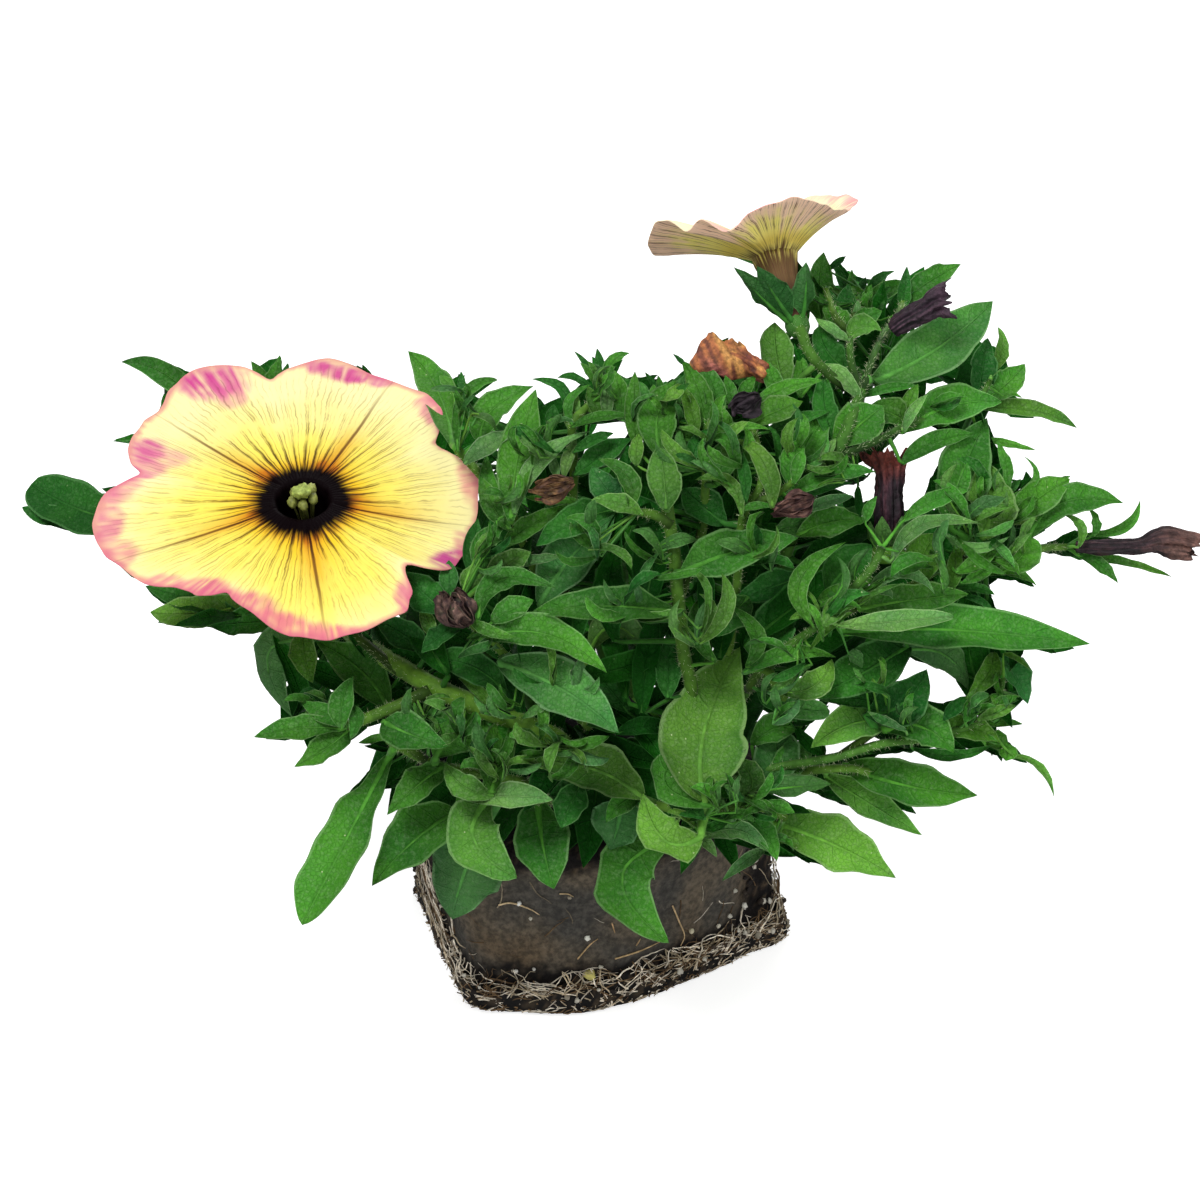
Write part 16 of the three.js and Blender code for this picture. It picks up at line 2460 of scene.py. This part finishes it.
# ------------------------------------------------------------------ floor, light, camera
def floor_material():
    g = G("floor_paper", 0.9, 0.0)
    n = g.noise(3.0, 2.0)
    g.link(g.mix(n, g.rgb(0.66, 0.66, 0.66), g.rgb(0.68, 0.68, 0.68)), g.b.inputs["Base Color"])
    glow = g.new("ShaderNodeEmission")
    glow.inputs[1].default_value = 0.74
    add, path_, cam_only = g.new("ShaderNodeAddShader"), g.new("ShaderNodeLightPath"), g.new("ShaderNodeMixShader")
    out_ = next(q for q in g.nt.nodes if q.type == "OUTPUT_MATERIAL")
    g.link(g.b.outputs[0], add.inputs[0])
    g.link(glow.outputs[0], add.inputs[1])
    g.link(path_.outputs["Is Camera Ray"], cam_only.inputs[0])
    g.link(g.b.outputs[0], cam_only.inputs[1])
    g.link(add.outputs[0], cam_only.inputs[2])
    g.link(cam_only.outputs[0], out_.inputs[0])
    return g.mat


me = bpy.data.meshes.new("floor")
z = -0.0004
me.from_pydata([(-6, -6, z), (6, -6, z), (6, 6, z), (-6, 6, z)], [], [(0, 1, 2, 3)])
me.materials.append(floor_material())
floor = bpy.data.objects.new("floor", me)
bpy.context.scene.collection.objects.link(floor)

world = bpy.data.worlds.new("studio")
bpy.context.scene.world = world
world.use_nodes = True
wn, wl = world.node_tree.nodes, world.node_tree.links
bg = wn["Background"]
bg.inputs[0].default_value = (1.0, 1.0, 1.0, 1)
bg.inputs[1].default_value = 0.30
white = wn.new("ShaderNodeBackground")
white.inputs[0].default_value = (1.0, 1.0, 1.0, 1)
white.inputs[1].default_value = 1.0
path = wn.new("ShaderNodeLightPath")
pick = wn.new("ShaderNodeMixShader")
wl.new(path.outputs["Is Camera Ray"], pick.inputs[0])
wl.new(bg.outputs[0], pick.inputs[1])
wl.new(white.outputs[0], pick.inputs[2])
wl.new(pick.outputs[0], wn["World Output"].inputs[0])


def area(name, loc, target, size, power, col=(1, 1, 1)):
    li = bpy.data.lights.new(name, "AREA")
    li.shape = "DISK"
    li.size = size
    li.energy = power
    li.color = col
    ob = bpy.data.objects.new(name, li)
    ob.location = loc
    ob.rotation_euler = (Vector(target) - Vector(loc)).to_track_quat("-Z", "Y").to_euler()
    bpy.context.scene.collection.objects.link(ob)
    return ob


area("key", (-0.35, -0.50, 1.0), (0, 0, 0.06), 0.40, 9.4)
area("fill", (0.80, -0.35, 0.6), (0, 0, 0.06), 0.8, 2.9)
area("front", (-0.05, -0.90, 0.16), (0, 0, 0.06), 0.6, 2.1)
area("back", (0.15, 0.85, 0.8), (0, 0, 0.06), 0.6, 4.6)

cam_d = bpy.data.cameras.new("camera")
cam_d.sensor_width = 36
cam_d.lens = 36 * 482 / 204
cam_d.clip_start = 0.01
cam = bpy.data.objects.new("camera", cam_d)
e = math.radians(25)
cam.location = (0, -0.482 * math.cos(e), 0.064 + 0.482 * math.sin(e))
cam.rotation_euler = (math.radians(65), 0, 0)
bpy.context.scene.collection.objects.link(cam)
bpy.context.scene.camera = cam
bpy.context.scene.view_settings.view_transform = "Standard"
